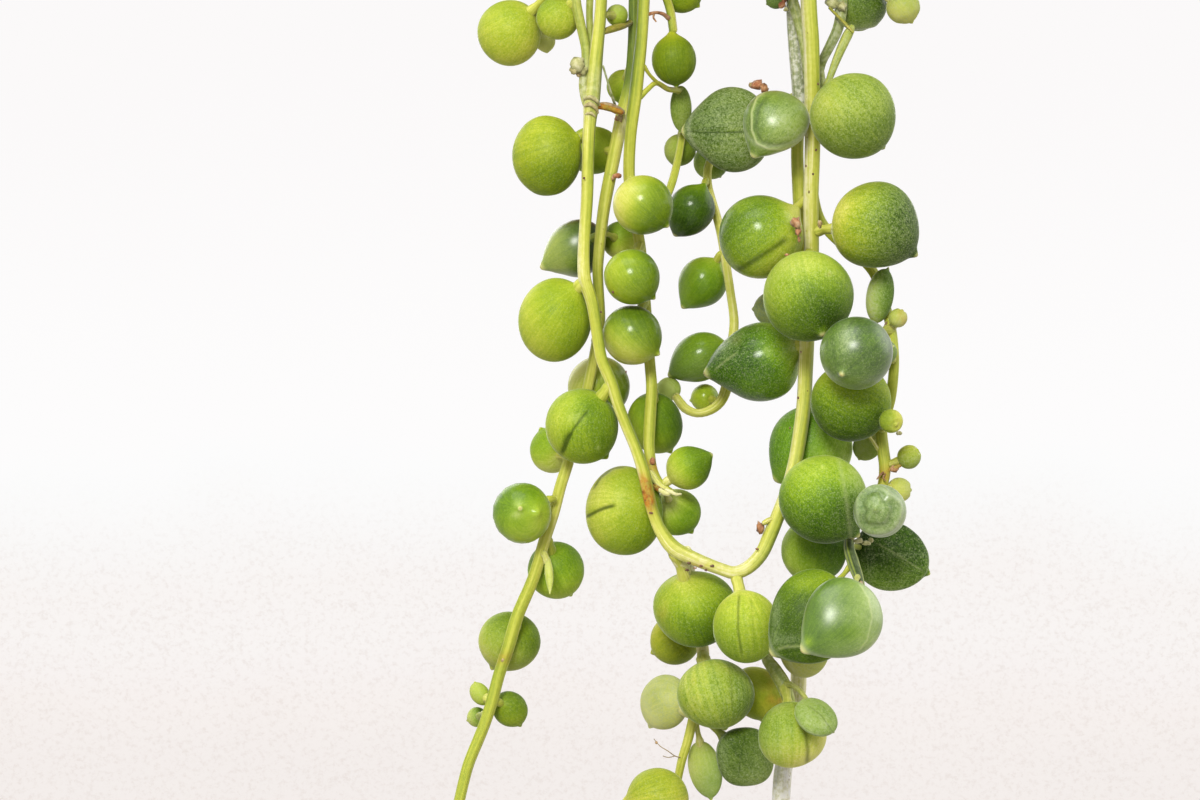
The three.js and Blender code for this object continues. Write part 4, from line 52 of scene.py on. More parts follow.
# Stems: for each node a list of branches, each a list of x, y, z, radius in mm.
STEMS = {
    'stem_front_loop': [
        [-12,-36,-210.33,0.7,-11.95,-36.58,-208.25,0.7,-12,-37.5,-206.33,0.7,-12.18,-38.56,-205.42,0.7,-12.46,-39.91,-204.67,0.7,-13.05,-43,-203.2,0.7,-13.68,-47.34,-200.75,0.7,-13.88,-48.89,-199.92,0.7,-14.07,-50.45,-199.19,0.7,-14.25,-52,-198.6,0.7,-14.44,-53.78,-198.04,0.7,-14.62,-55.65,-197.52,0.7,-14.78,-57.49,-197.15,0.7,-14.91,-59.2,-197.01,0.7,-15,-60.66,-197.2,0.7,-15.04,-62.13,-197.93,0.7,-15.02,-63.34,-199.07,0.7,-15,-64.36,-200.5,0.7,-14.99,-65.04,-201.82,0.7,-14.98,-65.58,-203.32,0.7,-14.97,-66.02,-205,0.7,-14.95,-66.38,-206.9,0.7,-14.9,-66.84,-210.14,0.7,-14.87,-67.04,-212.69,0.7,-14.84,-67.15,-215.53,0.7,-14.78,-67.19,-220.22,0.7,-14.65,-67.11,-226.08,0.7,-14.53,-67.02,-231.94,0.7,-14.26,-67.01,-238.29,0.7,-13.82,-67.02,-244.46,0.7,-13.24,-67.01,-251.4,0.7,-12.65,-67.01,-258.33,0.7,-12.31,-67,-264.5,0.7,-12.2,-67,-270.67,0.7,-12.29,-67,-278.37,0.7,-12.38,-67,-286.08,0.7,-12.33,-67,-292.25,0.7,-12.04,-67,-298.94,0.69,-11.57,-67,-306.59,0.67,-11.09,-67,-314.25,0.65,-10.89,-67,-319.13,0.65,-11,-67,-321.84,0.67,-11.49,-67,-326.75,0.77,-11.99,-67,-331.66,0.88,-12.1,-67,-333.09,0.74,-12.21,-67,-334.85,0.69,-12.43,-67,-341.56,0.68,-12.76,-67,-347.5,0.68,-12.77,-67,-349.24,0.71,-12.65,-67,-350.8,0.73,-11.88,-67,-353.33,0.68,-11.09,-67,-358.09,0.65,-10.78,-67,-359.6,0.64,-9.79,-67,-362.02,0.64,-8.91,-67,-364.88,0.64,-7.04,-67,-369.39,0.64,-6.52,-67,-370.91,0.67,-6.11,-67,-372.36,0.7,-5.5,-67,-375.33,0.68,-5.02,-67,-376.87,0.69,-4.4,-67,-378.3,0.73,-2.97,-67,-380.23,0.88,-0.99,-67,-381.32,0.79,2.31,-67,-382.64,0.7,3.79,-67,-383.03,0.75,5.23,-66.8,-382.49,0.78,6.68,-66.5,-381.07,0.79,7.75,-66.1,-378.89,0.81,8.64,-65.8,-376.8,0.79,9.56,-65.2,-374.5,0.79,10.32,-64.5,-371.97,0.77,10.73,-64.01,-370.26,0.78,11.43,-62.97,-366.53,0.8,11.69,-62.5,-364.51,0.81,11.8,-62.27,-362.93,0.82,11.85,-62.11,-361.28,0.83,11.99,-61.94,-357.92,0.84,12.08,-61.92,-356.21,0.85,12.25,-62,-352.85,0.86,12.44,-62.28,-349.21,0.86,12.49,-62.5,-347.41,0.86,12.43,-63.5,-341.57,0.88,12.51,-64,-337.5,0.88,12.54,-64.8,-331.14,0.9,12.38,-65.58,-325.64,0.9,12.29,-65.8,-323.83,0.9,12.16,-65.93,-322.03,0.9,12.04,-66.02,-318.96,0.9,12.09,-66.08,-314.12,0.89,12.15,-66.14,-309.28,0.89,12.38,-66.19,-300.72,0.87,12.6,-66.25,-292.16,0.86,12.84,-66.31,-286,0.86,13.18,-66.37,-279.07,0.86,13.51,-66.43,-272.14,0.86,13.7,-66.49,-265.98,0.86,13.73,-66.51,-262.9,0.86,13.7,-66.56,-258.28,0.86,13.51,-66.63,-251.35,0.86,13.32,-66.7,-244.42,0.86,13.26,-66.74,-238.26,0.86,13.3,-66.76,-235.16,0.86,13.45,-66.86,-230.25,0.86,13.73,-66.97,-224.43,0.86,14.02,-67.09,-218.61,0.86,14.25,-67.05,-214.07,0.86,14.37,-66.93,-211.37,0.86,14.45,-66.7,-209,0.86,14.49,-66.41,-206.9,0.86,14.51,-66.07,-205.01,0.86,14.51,-65.67,-203.32,0.86,14.5,-65.15,-201.82,0.86,14.5,-64.48,-200.5,0.86,14.52,-63.47,-199.07,0.86,14.53,-62.26,-197.93,0.86,14.5,-60.78,-197.2,0.86,14.43,-59.3,-197.01,0.86,14.32,-57.57,-197.14,0.86,14.18,-55.7,-197.52,0.86,14.03,-53.8,-198.03,0.86,13.88,-52,-198.6,0.86,13.73,-50.45,-199.19,0.86,13.57,-48.89,-199.92,0.86,13.4,-47.33,-200.75,0.86,12.88,-43,-203.2,0.86,12.38,-39.91,-204.67,0.86,12.15,-38.56,-205.42,0.86,12,-37.5,-206.33,0.86,11.96,-36.58,-208.25,0.86,12,-36,-210.33,0.86],
        [-10.89,-67,-307.9,0.55,-11.56,-67.23,-309.65,0.52,-12.21,-67.4,-311.48,0.51,-12.71,-67.39,-313.01,0.51,-13.19,-67.31,-314.62,0.52,-13.53,-67.2,-316.18,0.53,-13.7,-67,-318.13,0.54,-13.64,-66.8,-319.98,0.55,-13.09,-66.6,-322.81,0.53,-12.59,-66.7,-325.47,0.48,-12.61,-66.8,-327.46,0.51,-12.78,-66.8,-329.22,0.55,-12.54,-66.8,-330.98,0.51,-12.1,-66.8,-332.3,0.44],
        [-10.78,-67,-313.18,0.4,-11.25,-66.34,-314.86,0.4,-11.66,-65.8,-316.55,0.4,-11.94,-65.62,-318.18,0.39,-12.1,-65.6,-319.83,0.39,-12.15,-65.66,-321.53,0.38,-12.1,-65.8,-323.17,0.39,-11.88,-66.2,-325.64,0.4,-11.66,-66.7,-327.89,0.4],
        [-11.99,-67,-331.66,0.37,-11,-66.9,-331.68,0.35,-9.79,-66.1,-331.89,0.33,-8.68,-65.1,-332.16,0.31],
        [-1.53,-66.6,-380.85,0.77,-1.5,-64.83,-381.1,0.74,-1.44,-63,-381.46,0.71,-1.32,-61.32,-381.94,0.69,-1.16,-59.56,-382.56,0.67,-0.97,-58,-383.38,0.66,-0.77,-56.73,-384.37,0.66,-0.54,-55.62,-385.52,0.66,-0.32,-55,-386.72,0.66,-0.04,-55.19,-388.41,0.66,0.22,-56,-390.06,0.66,0.46,-57.33,-391.39,0.67,0.59,-58.6,-392.69,0.68,0.35,-59.2,-395.45,0.66,-0.02,-59.36,-397.41,0.59,-0.45,-59.4,-399.37,0.53,-1.11,-59.2,-402.2,0.51,-1.78,-58.8,-404.49,0.48,-2.33,-58.2,-407.37,0.44,-2.56,-58.18,-408.93,0.44,-2.78,-58.28,-410.65,0.44,-2.89,-58.4,-412.41,0.44,-2.79,-58.53,-414.26,0.43,-2.57,-58.67,-416.13,0.41,-2.45,-58.8,-417.98,0.4,-2.53,-58.89,-419.75,0.38,-2.91,-59,-423.01,0.33,-3.36,-59,-425.26,0.26],
    ],
    'stem_front_left': [
        [-6.8,-36,-210.24,0.62,-6.75,-36.58,-208.15,0.62,-6.8,-37.5,-206.24,0.62,-7.01,-38.56,-205.35,0.62,-7.32,-39.91,-204.62,0.62,-7.99,-43,-203.2,0.62,-8.71,-47.3,-200.75,0.62,-8.94,-48.85,-199.93,0.62,-9.15,-50.42,-199.19,0.62,-9.35,-52,-198.6,0.62,-9.53,-53.62,-198.11,0.62,-9.71,-55.35,-197.64,0.62,-9.87,-57.1,-197.27,0.62,-10.01,-58.79,-197.03,0.62,-10.12,-60.34,-196.99,0.62,-10.2,-61.66,-197.2,0.62,-10.24,-63.17,-197.94,0.62,-10.22,-64.39,-199.07,0.62,-10.2,-65.36,-200.5,0.62,-10.19,-65.91,-201.82,0.62,-10.17,-66.25,-203.32,0.62,-10.15,-66.46,-205.02,0.62,-10.15,-66.75,-210.14,0.62,-10.21,-66.76,-212.68,0.62,-10.31,-66.7,-215.51,0.62,-10.48,-66.47,-220.17,0.62,-10.67,-66.05,-226.79,0.62,-10.72,-65.71,-231.79,0.62,-10.63,-65.42,-236.56,0.62,-10.34,-65.18,-241.16,0.62,-9.88,-64.92,-245.75,0.62,-9.16,-64.56,-251.87,0.62,-8.44,-64.21,-257.99,0.62,-8.05,-63.94,-262.59,0.62,-7.9,-63.76,-265.65,0.62,-7.81,-63.59,-268.71,0.62,-7.77,-63.33,-273.3,0.62,-7.84,-62.93,-280.2,0.62,-7.9,-62.54,-287.09,0.62,-7.88,-62.27,-291.68,0.62,-7.74,-61.88,-298.21,0.62,-7.54,-61.47,-304.91,0.61,-7.34,-61.06,-311.6,0.61,-7.21,-60.78,-317.1,0.6,-7.2,-60.7,-319.24,0.6,-7.27,-60.71,-323.21,0.61,-7.36,-60.7,-324.84,0.62,-7.52,-60.52,-326.86,0.63,-7.75,-60.4,-328.73,0.66,-8.06,-60.51,-330.24,0.72,-8.43,-60.7,-331.78,0.77,-9.06,-61.09,-334.74,0.76,-10.33,-62,-341.25,0.73,-10.67,-62.18,-343.41,0.69,-11.16,-62.39,-347.5,0.64,-11.28,-62.4,-349.41,0.62,-11.22,-62.27,-350.94,0.61,-11,-61.8,-355.07,0.6,-11.27,-61.43,-356.97,0.6,-12.03,-60.53,-361.02,0.61,-12.46,-60.2,-363.1,0.62,-12.84,-60.21,-364.61,0.62,-13.28,-60.36,-366.13,0.63,-13.69,-60.6,-367.58,0.64,-14.61,-61.6,-371.1,0.66,-15.35,-62,-373.48,0.66,-16.13,-62,-376.49,0.66,-17.13,-62,-379.45,0.66,-18.47,-62,-383.96,0.68,-20.25,-62,-388.2,0.7,-21.26,-62,-391.54,0.7,-22.26,-62,-394.55,0.68,-23.04,-62,-397.56,0.68,-23.51,-62,-399.02,0.67,-24.05,-62,-400.52,0.66,-25.65,-62,-404.47,0.66,-26.19,-62,-406.51,0.65,-26.66,-62,-408.6,0.64,-27.42,-61.97,-411.69,0.61,-27.73,-62,-413.28,0.59,-27.92,-62.13,-415.01,0.58,-28.03,-62.31,-416.78,0.57,-28.04,-62.5,-418.56,0.55,-27.88,-62.69,-420.39,0.53,-27.62,-62.87,-422.23,0.51,-27.46,-63,-424.05,0.48,-27.45,-63.03,-425.79,0.46,-27.53,-63.02,-427.5,0.43,-27.68,-63,-429.05,0.4,-28.24,-63,-431.83,0.29],
    ],
    'stem_front_middle': [
        [-1.5,-36,-210.2,0.66,-1.44,-36.58,-208.11,0.66,-1.5,-37.5,-206.2,0.66,-1.74,-38.56,-205.31,0.66,-2.1,-39.91,-204.6,0.66,-2.5,-41.43,-203.94,0.66,-2.87,-43,-203.2,0.66,-3.69,-47.28,-200.76,0.66,-3.96,-48.83,-199.93,0.66,-4.2,-50.41,-199.19,0.66,-4.42,-52,-198.6,0.66,-4.64,-53.71,-198.09,0.66,-4.84,-55.55,-197.62,0.66,-5.02,-57.42,-197.24,0.66,-5.18,-59.23,-197,0.66,-5.31,-60.88,-196.97,0.66,-5.4,-62.26,-197.2,0.66,-5.44,-63.8,-197.94,0.66,-5.42,-65.03,-199.07,0.66,-5.4,-65.96,-200.5,0.66,-5.4,-66.42,-201.82,0.66,-5.4,-66.63,-203.32,0.66,-5.4,-66.68,-205.02,0.66,-5.44,-66.76,-212.69,0.66,-5.47,-66.73,-217.04,0.66,-5.55,-66.56,-224.09,0.66,-5.62,-66.39,-231.15,0.66,-5.7,-66.22,-238.2,0.66,-5.93,-65.99,-246.65,0.66,-6.16,-65.76,-255.1,0.66,-6.25,-65.54,-262.78,0.66,-6.22,-65.46,-265.86,0.66,-6.08,-65.33,-270.47,0.66,-5.76,-65.17,-276.61,0.66,-5.45,-65,-282.76,0.66,-5.27,-64.88,-287.37,0.66,-5.2,-64.75,-291.98,0.66,-5.25,-64.61,-296.9,0.66,-5.46,-64.41,-303.98,0.66,-5.74,-64.21,-310.83,0.66,-6.12,-64.01,-318.77,0.66,-6.34,-64,-322.97,0.66,-6.47,-63.92,-324.62,0.68,-6.62,-63.8,-326.27,0.7,-7,-63.4,-329.79,0.73,-7.29,-63.23,-331.83,0.71,-7.55,-63,-333.98,0.68,-7.67,-62.67,-335.71,0.67,-7.73,-62.27,-337.51,0.67,-7.71,-61.9,-339.24,0.66,-7.51,-61.52,-341.34,0.65,-7.2,-61.2,-343.33,0.64,-6.86,-60.97,-344.95,0.63,-6.53,-60.8,-346.66,0.62,-6.35,-60.72,-348.07,0.61,-5.7,-60.52,-356.61,0.62,-5.57,-60.6,-358.4,0.62,-5.37,-60.96,-360.56,0.61,-5.24,-61.4,-362.55,0.62,-5.42,-62,-365.52,0.66,-5.54,-62.3,-367.51,0.66,-5.54,-62.6,-369.45,0.64,-5.11,-63.2,-372,0.59,-4.12,-63.6,-373.55,0.48,-3.01,-63.6,-374.21,0.33],
        [-6.23,-64,-314.65,0.44,-5,-63,-316.41,0.44,-3.86,-61.6,-318.46,0.46,-3.17,-61,-320.4,0.48,-2.84,-61,-322.63,0.48],
        [-6.56,-63.3,-330.33,0.35,-5.66,-62.8,-329.4,0.29,-4.75,-61.8,-328.63,0.29,-3.38,-60.2,-329.16,0.31,-2.21,-58,-329.18,0.33,-1.6,-56,-329.9,0.35,-1.44,-54.4,-331.23,0.39,-1.55,-54,-333.02,0.41,-1.75,-54.45,-334.55,0.41,-2.03,-55.2,-336.18,0.42,-2.41,-56.02,-337.85,0.43,-2.86,-56.8,-339.47,0.44,-3.78,-57.6,-342,0.4],
    ],
    'stem_front_right_old': [
        [6,-36,-210.23,0.66,5.96,-36.58,-208.15,0.66,6,-37.5,-206.23,0.66,6.16,-38.56,-205.34,0.66,6.4,-39.91,-204.62,0.66,6.91,-43,-203.2,0.66,7.46,-47.3,-200.75,0.66,7.64,-48.84,-199.93,0.66,7.8,-50.42,-199.19,0.66,7.95,-52,-198.6,0.66,8.09,-53.66,-198.1,0.66,8.22,-55.43,-197.63,0.66,8.35,-57.23,-197.26,0.66,8.45,-58.97,-197.02,0.66,8.54,-60.55,-196.98,0.66,8.6,-61.9,-197.2,0.66,8.63,-63.42,-197.94,0.66,8.61,-64.65,-199.07,0.66,8.6,-65.6,-200.5,0.66,8.61,-66.11,-201.82,0.66,8.62,-66.41,-203.32,0.66,8.64,-66.55,-205.02,0.66,8.62,-66.74,-210.14,0.66,8.55,-66.76,-212.68,0.66,8.32,-66.6,-218.58,0.66,8.07,-66.29,-225.13,0.66,7.95,-66.02,-230.16,0.66,7.95,-65.77,-235.04,0.66,8.04,-65.64,-238.13,0.66,8.34,-65.43,-242.73,0.66,9.08,-65.06,-250.39,0.66,9.83,-64.69,-258.05,0.66,10.06,-64.55,-261.12,0.66,10.22,-64.4,-264.19,0.66,10.29,-64.26,-267.25,0.66,10.3,-64.04,-271.85,0.66,10.14,-63.64,-280.28,0.66,9.97,-63.24,-288.72,0.66,10,-62.98,-294.44,0.66,10.03,-62.71,-300.15,0.65,10.12,-62.43,-306.11,0.65,10.22,-62.15,-312.06,0.64,10.42,-61.8,-319.38,0.66,10.53,-61.69,-321.48,0.69,11.14,-61.3,-328.72,0.73,11.24,-61.2,-330.48,0.73,11.08,-61,-336.05,0.66,11.11,-60.86,-338,0.66,11.19,-60.67,-339.96,0.66,11.38,-60.13,-343.51,0.66,11.6,-59.44,-346.68,0.66,11.71,-59,-348.26,0.66,11.9,-57.85,-351.61,0.67,12.08,-56.5,-354.95,0.68,12.32,-54.06,-360.05,0.7,12.39,-53.4,-361.72,0.7,12.46,-52.84,-363.64,0.71,12.53,-52.44,-365.53,0.72,12.57,-52.2,-367.43,0.73,12.6,-52.13,-369.32,0.73,12.6,-52.21,-371.21,0.74,12.56,-52.4,-373.15,0.75,12.49,-52.69,-374.81,0.75,12.25,-53.51,-378.24,0.76,12.13,-53.8,-379.95,0.77,12.01,-53.94,-381.67,0.78,11.76,-53.99,-385.12,0.82,11.67,-54,-386.78,0.84,11.57,-53.92,-390.65,0.85,11.55,-54,-392.48,0.86,11.56,-54.27,-394,0.86,11.56,-54.64,-395.46,0.87,11.49,-55,-396.94,0.88,11.28,-55.35,-398.61,0.9,10.64,-56,-401.96,0.95,9.7,-56.6,-406.08,1.01,9.55,-56.77,-407.61,1.02,9.45,-57,-409.2,1.01,9.31,-57.46,-410.94,0.98,9.16,-58.05,-412.84,0.92,9.03,-58.5,-414.65,0.84,8.96,-58.7,-416.63,0.68,8.9,-58.8,-418.54,0.49],
        [11.12,-61.2,-329.92,0.48,9.91,-59,-330.28,0.46,9.04,-57.27,-330.73,0.45,8.06,-55.5,-331.33,0.44,6.89,-53.8,-332.03,0.44,5.58,-52.5,-332.9,0.44,4.24,-52.05,-333.84,0.44,2.97,-52,-334.92,0.44,1.46,-52.5,-337.13,0.46,1.33,-53,-339.33,0.48,1.72,-53.24,-341.05,0.49,2.23,-53.4,-342.78,0.48,2.8,-53.4,-345.06,0.48,3.73,-53.39,-350.62,0.48,3.94,-53.4,-352.14,0.48,4.16,-53.49,-353.7,0.49,4.28,-53.6,-355.22,0.51,4.04,-53.8,-357.73,0.53,3.69,-54,-360.58,0.55,3.35,-54,-362.75,0.62,2.67,-54,-364.23,0.57,1.53,-54,-365.14,0.51,0.05,-54,-365.48,0.46,-1.32,-54,-364.91,0.51,-2.23,-54,-363.77,0.48],
        [11.67,-54,-386.55,0.62,10.49,-56.6,-388.66,0.59,8.65,-59.4,-390.95,0.59,7.65,-61.4,-392.7,0.64,8.46,-63,-394.02,0.75,9.37,-63.6,-395.53,0.79,10.04,-64.6,-397.44,0.62],
    ],
    'stem_front_right_young': [
        [17.5,-36,-210.48,0.58,17.47,-36.58,-208.41,0.58,17.5,-37.5,-206.48,0.58,17.62,-38.56,-205.54,0.58,17.8,-39.91,-204.75,0.58,18.2,-43,-203.2,0.58,18.62,-47.38,-200.73,0.58,18.75,-48.95,-199.92,0.58,18.88,-50.5,-199.19,0.58,19,-52,-198.6,0.58,19.24,-55.12,-197.58,0.58,19.35,-56.65,-197.21,0.58,19.44,-58.09,-197.06,0.58,19.5,-59.35,-197.2,0.58,19.53,-60.77,-197.91,0.58,19.52,-61.96,-199.07,0.58,19.5,-63.05,-200.5,0.58,19.49,-63.79,-201.59,0.58,19.49,-64.5,-202.79,0.58,19.48,-65.17,-204.13,0.58,19.46,-65.77,-205.6,0.58,19.45,-66.29,-207.22,0.58,19.43,-66.7,-209,0.58,19.41,-66.89,-210.17,0.58,19.39,-67.1,-212.8,0.58,19.37,-67.13,-215.74,0.58,19.34,-67.03,-218.93,0.58,19.29,-66.72,-223.99,0.58,19.15,-66.21,-230.87,0.58,18.98,-65.95,-235.79,0.58,18.57,-65.72,-242.09,0.58,17.97,-65.44,-249.18,0.58,17.37,-65.15,-256.27,0.58,17.04,-64.9,-262.58,0.58,16.98,-64.65,-268.88,0.58,17.14,-64.38,-275.97,0.58,17.3,-64.1,-283.07,0.58,17.29,-63.85,-289.37,0.58,17.18,-63.72,-292.66,0.58,16.9,-63.49,-297.95,0.58,16.39,-63.17,-306.01,0.59,15.88,-62.85,-314.06,0.59,15.81,-62.8,-316.16,0.59,15.93,-62.8,-320.39,0.62,15.48,-62.8,-322.72,0.59,14.55,-62.6,-324.7,0.54,13.75,-62.1,-326.32,0.49,13.35,-61.4,-328.26,0.48,13.07,-60.5,-330.98,0.51,12.98,-60.2,-333.75,0.53,12.91,-60.13,-335.67,0.54,12.86,-60.07,-339.56,0.55,12.99,-60,-341.36,0.55,13.79,-59.7,-343.92,0.55,15.73,-59.3,-346.14,0.55,18,-59,-347.81,0.55,19.68,-59.1,-349.62,0.55,20.52,-59.8,-351.89,0.53,21.07,-61.2,-354.17,0.54,21.38,-62.8,-356.21,0.55,21.53,-63.65,-357.9,0.55,21.59,-64.2,-359.79,0.55,21.47,-64.11,-361.9,0.57,21.18,-63.8,-364,0.59,20.64,-63.66,-365.67,0.63,20.2,-63.6,-367.33,0.66,20.37,-63.79,-369.42,0.68,20.61,-64,-371.43,0.66,20.27,-64,-373.76,0.55,18.88,-64.8,-376.17,0.51,16.94,-65.6,-378.24,0.51,16.36,-67.4,-379.93,0.57,16.63,-69.6,-381.69,0.64,17.01,-71.8,-383.21,0.55,17.23,-73.2,-384.22,0.4],
    ],
    'stem_rim_01': [
        [-26.01,-23.42,-210.26,0.56,-26.42,-23.79,-208.11,0.56,-27.12,-24.42,-206.16,0.56,-28.05,-25.26,-205.3,0.56,-29.27,-26.35,-204.66,0.56,-30.62,-27.57,-204.08,0.56,-31.95,-28.77,-203.4,0.56,-32.96,-29.68,-202.74,0.56,-36.13,-32.53,-200.47,0.56,-37.21,-33.5,-199.78,0.56,-38.27,-34.46,-199.2,0.56,-40.68,-36.68,-198.11,0.56,-41.89,-37.79,-197.68,0.56,-43.07,-38.85,-197.43,0.56,-44.22,-39.81,-197.4,0.56,-45.9,-41.03,-197.74,0.56,-47.52,-42.11,-198.46,0.56,-48.74,-43.01,-199.6,0.56,-49.25,-43.53,-200.85,0.56,-49.46,-43.92,-202.38,0.56,-49.49,-44.24,-204.13,0.56,-49.47,-44.79,-207.29,0.56,-49.22,-45.26,-210.16,0.56,-48.63,-45.89,-214.91,0.55,-48.3,-46.19,-218.12,0.54,-48.16,-46.35,-221.18,0.54,-48.16,-46.38,-225.74,0.52,-48.29,-46.18,-230.3,0.51,-48.51,-45.77,-234.86,0.5,-48.76,-45.3,-237.9,0.48,-49.44,-43.88,-245.48,0.46,-49.73,-42.9,-251.55,0.43,-49.81,-42.42,-254.59,0.42,-49.83,-42.02,-257.63,0.41,-49.76,-41.77,-260.67,0.39,-49.69,-41.7,-262.18,0.39,-49.58,-41.67,-263.7,0.38,-49.31,-41.69,-266.74,0.36,-48.98,-41.81,-269.78,0.35,-48.45,-42.12,-274.33,0.33,-47.91,-42.59,-278.89,0.3,-47.31,-43.22,-283.45,0.28,-46.72,-43.84,-288,0.25],
    ],
    'stem_rim_02': [
        [-15.24,-31.51,-210.26,0.59,-15.54,-31.98,-208.11,0.59,-16.11,-32.75,-206.16,0.59,-16.9,-33.75,-205.29,0.59,-17.94,-35.05,-204.66,0.59,-19.11,-36.5,-204.08,0.59,-20.27,-37.92,-203.4,0.59,-21.14,-38.99,-202.74,0.59,-23.88,-42.35,-200.47,0.59,-24.84,-43.48,-199.78,0.59,-25.8,-44.57,-199.2,0.59,-28.14,-46.99,-198.1,0.59,-29.34,-48.18,-197.68,0.59,-30.49,-49.34,-197.42,0.59,-31.53,-50.46,-197.4,0.59,-32.89,-52.04,-197.74,0.59,-34.12,-53.55,-198.46,0.59,-34.99,-54.78,-199.6,0.59,-35.32,-55.43,-200.84,0.59,-35.39,-55.87,-202.36,0.59,-35.29,-56.48,-206,0.59,-35.25,-56.8,-208.59,0.59,-35.12,-57.04,-211.54,0.59,-34.98,-57.19,-214.7,0.58,-34.89,-57.23,-217.9,0.58,-34.89,-57.21,-219.47,0.57,-34.93,-57.16,-221,0.57,-35.16,-56.92,-224,0.56,-35.53,-56.52,-227,0.56,-36.32,-55.56,-233,0.54,-36.55,-55.18,-236,0.53,-36.64,-54.88,-239,0.52,-36.66,-54.61,-242,0.51,-36.59,-54.39,-245,0.5,-36.46,-54.22,-248,0.49,-36.11,-54.12,-252.5,0.47,-35.73,-54.16,-255.5,0.46,-35.02,-54.35,-260,0.44,-34.1,-54.68,-266,0.41,-33.48,-55,-270.5,0.39,-32.86,-55.33,-275,0.37,-32.42,-55.62,-279.5,0.35,-32.31,-55.74,-282.5,0.34,-32.35,-55.8,-285.5,0.32,-32.66,-55.83,-290.75,0.29,-32.96,-55.85,-296,0.27],
    ],
    'stem_rim_03': [
        [14.16,-32.01,-210.26,0.62,14.49,-32.48,-208.11,0.62,15.1,-33.23,-206.16,0.62,15.97,-34.2,-205.29,0.62,17.13,-35.45,-204.65,0.62,18.43,-36.84,-204.08,0.62,19.72,-38.21,-203.4,0.62,20.68,-39.24,-202.74,0.62,23.72,-42.45,-200.47,0.62,24.78,-43.51,-199.78,0.62,25.86,-44.53,-199.2,0.62,27.19,-45.63,-198.63,0.62,28.62,-46.69,-198.1,0.62,30.04,-47.73,-197.67,0.62,31.34,-48.79,-197.41,0.62,32.41,-49.9,-197.4,0.62,33.46,-51.67,-197.75,0.62,34.22,-53.48,-198.46,0.62,34.85,-54.87,-199.6,0.62,35.35,-55.42,-200.84,0.62,35.78,-55.65,-202.37,0.62,36.11,-55.73,-204.12,0.62,36.27,-55.85,-206,0.62,36.25,-56.01,-207.34,0.62,36.1,-56.16,-208.79,0.62,35.86,-56.32,-210.35,0.62,35.23,-56.61,-213.64,0.61,34.59,-56.82,-217.03,0.61,34.35,-56.86,-218.71,0.6,34.2,-56.87,-220.33,0.6,34.08,-56.73,-223.52,0.59,34.08,-56.59,-225.11,0.59,34.15,-56.25,-228.3,0.58,34.41,-55.65,-233.08,0.56,34.66,-55.27,-236.26,0.55,35.03,-54.82,-239.45,0.54,35.91,-53.92,-245.81,0.52,36.26,-53.59,-249,0.5,36.68,-53.24,-253.77,0.48,36.92,-53.08,-256.96,0.47,37.07,-53.01,-260.15,0.45,37.12,-53.04,-263.33,0.44,37.02,-53.21,-266.52,0.42,36.66,-53.66,-271.3,0.4,36.16,-54.18,-276.08,0.37,35.67,-54.7,-280.86,0.34,34.94,-55.33,-286.43,0.31,34.22,-55.95,-292,0.28],
    ],
    'stem_rim_04': [
        [28.41,-20.44,-210.26,0.58,28.82,-20.83,-208.11,0.58,29.46,-21.55,-206.16,0.58,30.28,-22.53,-205.29,0.58,31.34,-23.84,-204.66,0.58,32.52,-25.29,-204.08,0.58,33.67,-26.74,-203.4,0.58,34.54,-27.82,-202.74,0.58,37.27,-31.23,-200.47,0.58,38.16,-32.41,-199.78,0.58,39.03,-33.6,-199.2,0.58,39.96,-35,-198.63,0.58,40.87,-36.45,-198.1,0.58,41.76,-37.91,-197.67,0.58,42.64,-39.31,-197.42,0.58,43.52,-40.58,-197.4,0.58,44.79,-42.23,-197.74,0.58,46.05,-43.71,-198.46,0.58,47.09,-44.8,-199.6,0.58,47.69,-45.26,-200.84,0.58,48.15,-45.41,-202.36,0.58,48.48,-45.42,-204.1,0.58,48.71,-45.42,-206,0.58,48.78,-45.44,-207.26,0.57,48.77,-45.43,-208.64,0.57,48.57,-45.35,-211.65,0.57,48.11,-45.1,-216.53,0.56,47.9,-44.87,-219.77,0.56,47.87,-44.74,-221.33,0.55,47.97,-44.39,-224.4,0.55,48.61,-43.25,-232.06,0.53,48.82,-42.9,-235.13,0.52,48.93,-42.72,-238.2,0.51,48.97,-42.67,-242.8,0.5,48.95,-42.74,-245.87,0.49,48.88,-42.89,-248.94,0.47,48.69,-43.24,-253.54,0.46,48.47,-43.62,-256.61,0.45,48.05,-44.31,-261.2,0.43,47.64,-45,-265.8,0.41,47.3,-45.54,-270.4,0.39,46.95,-46.08,-275,0.37,46.69,-46.47,-279.6,0.35,46.6,-46.58,-282.67,0.34,46.62,-46.54,-285.73,0.32,46.72,-46.37,-288.8,0.3,46.93,-45.99,-293.4,0.28,47.14,-45.61,-298,0.26],
    ],
    'stem_rim_05': [
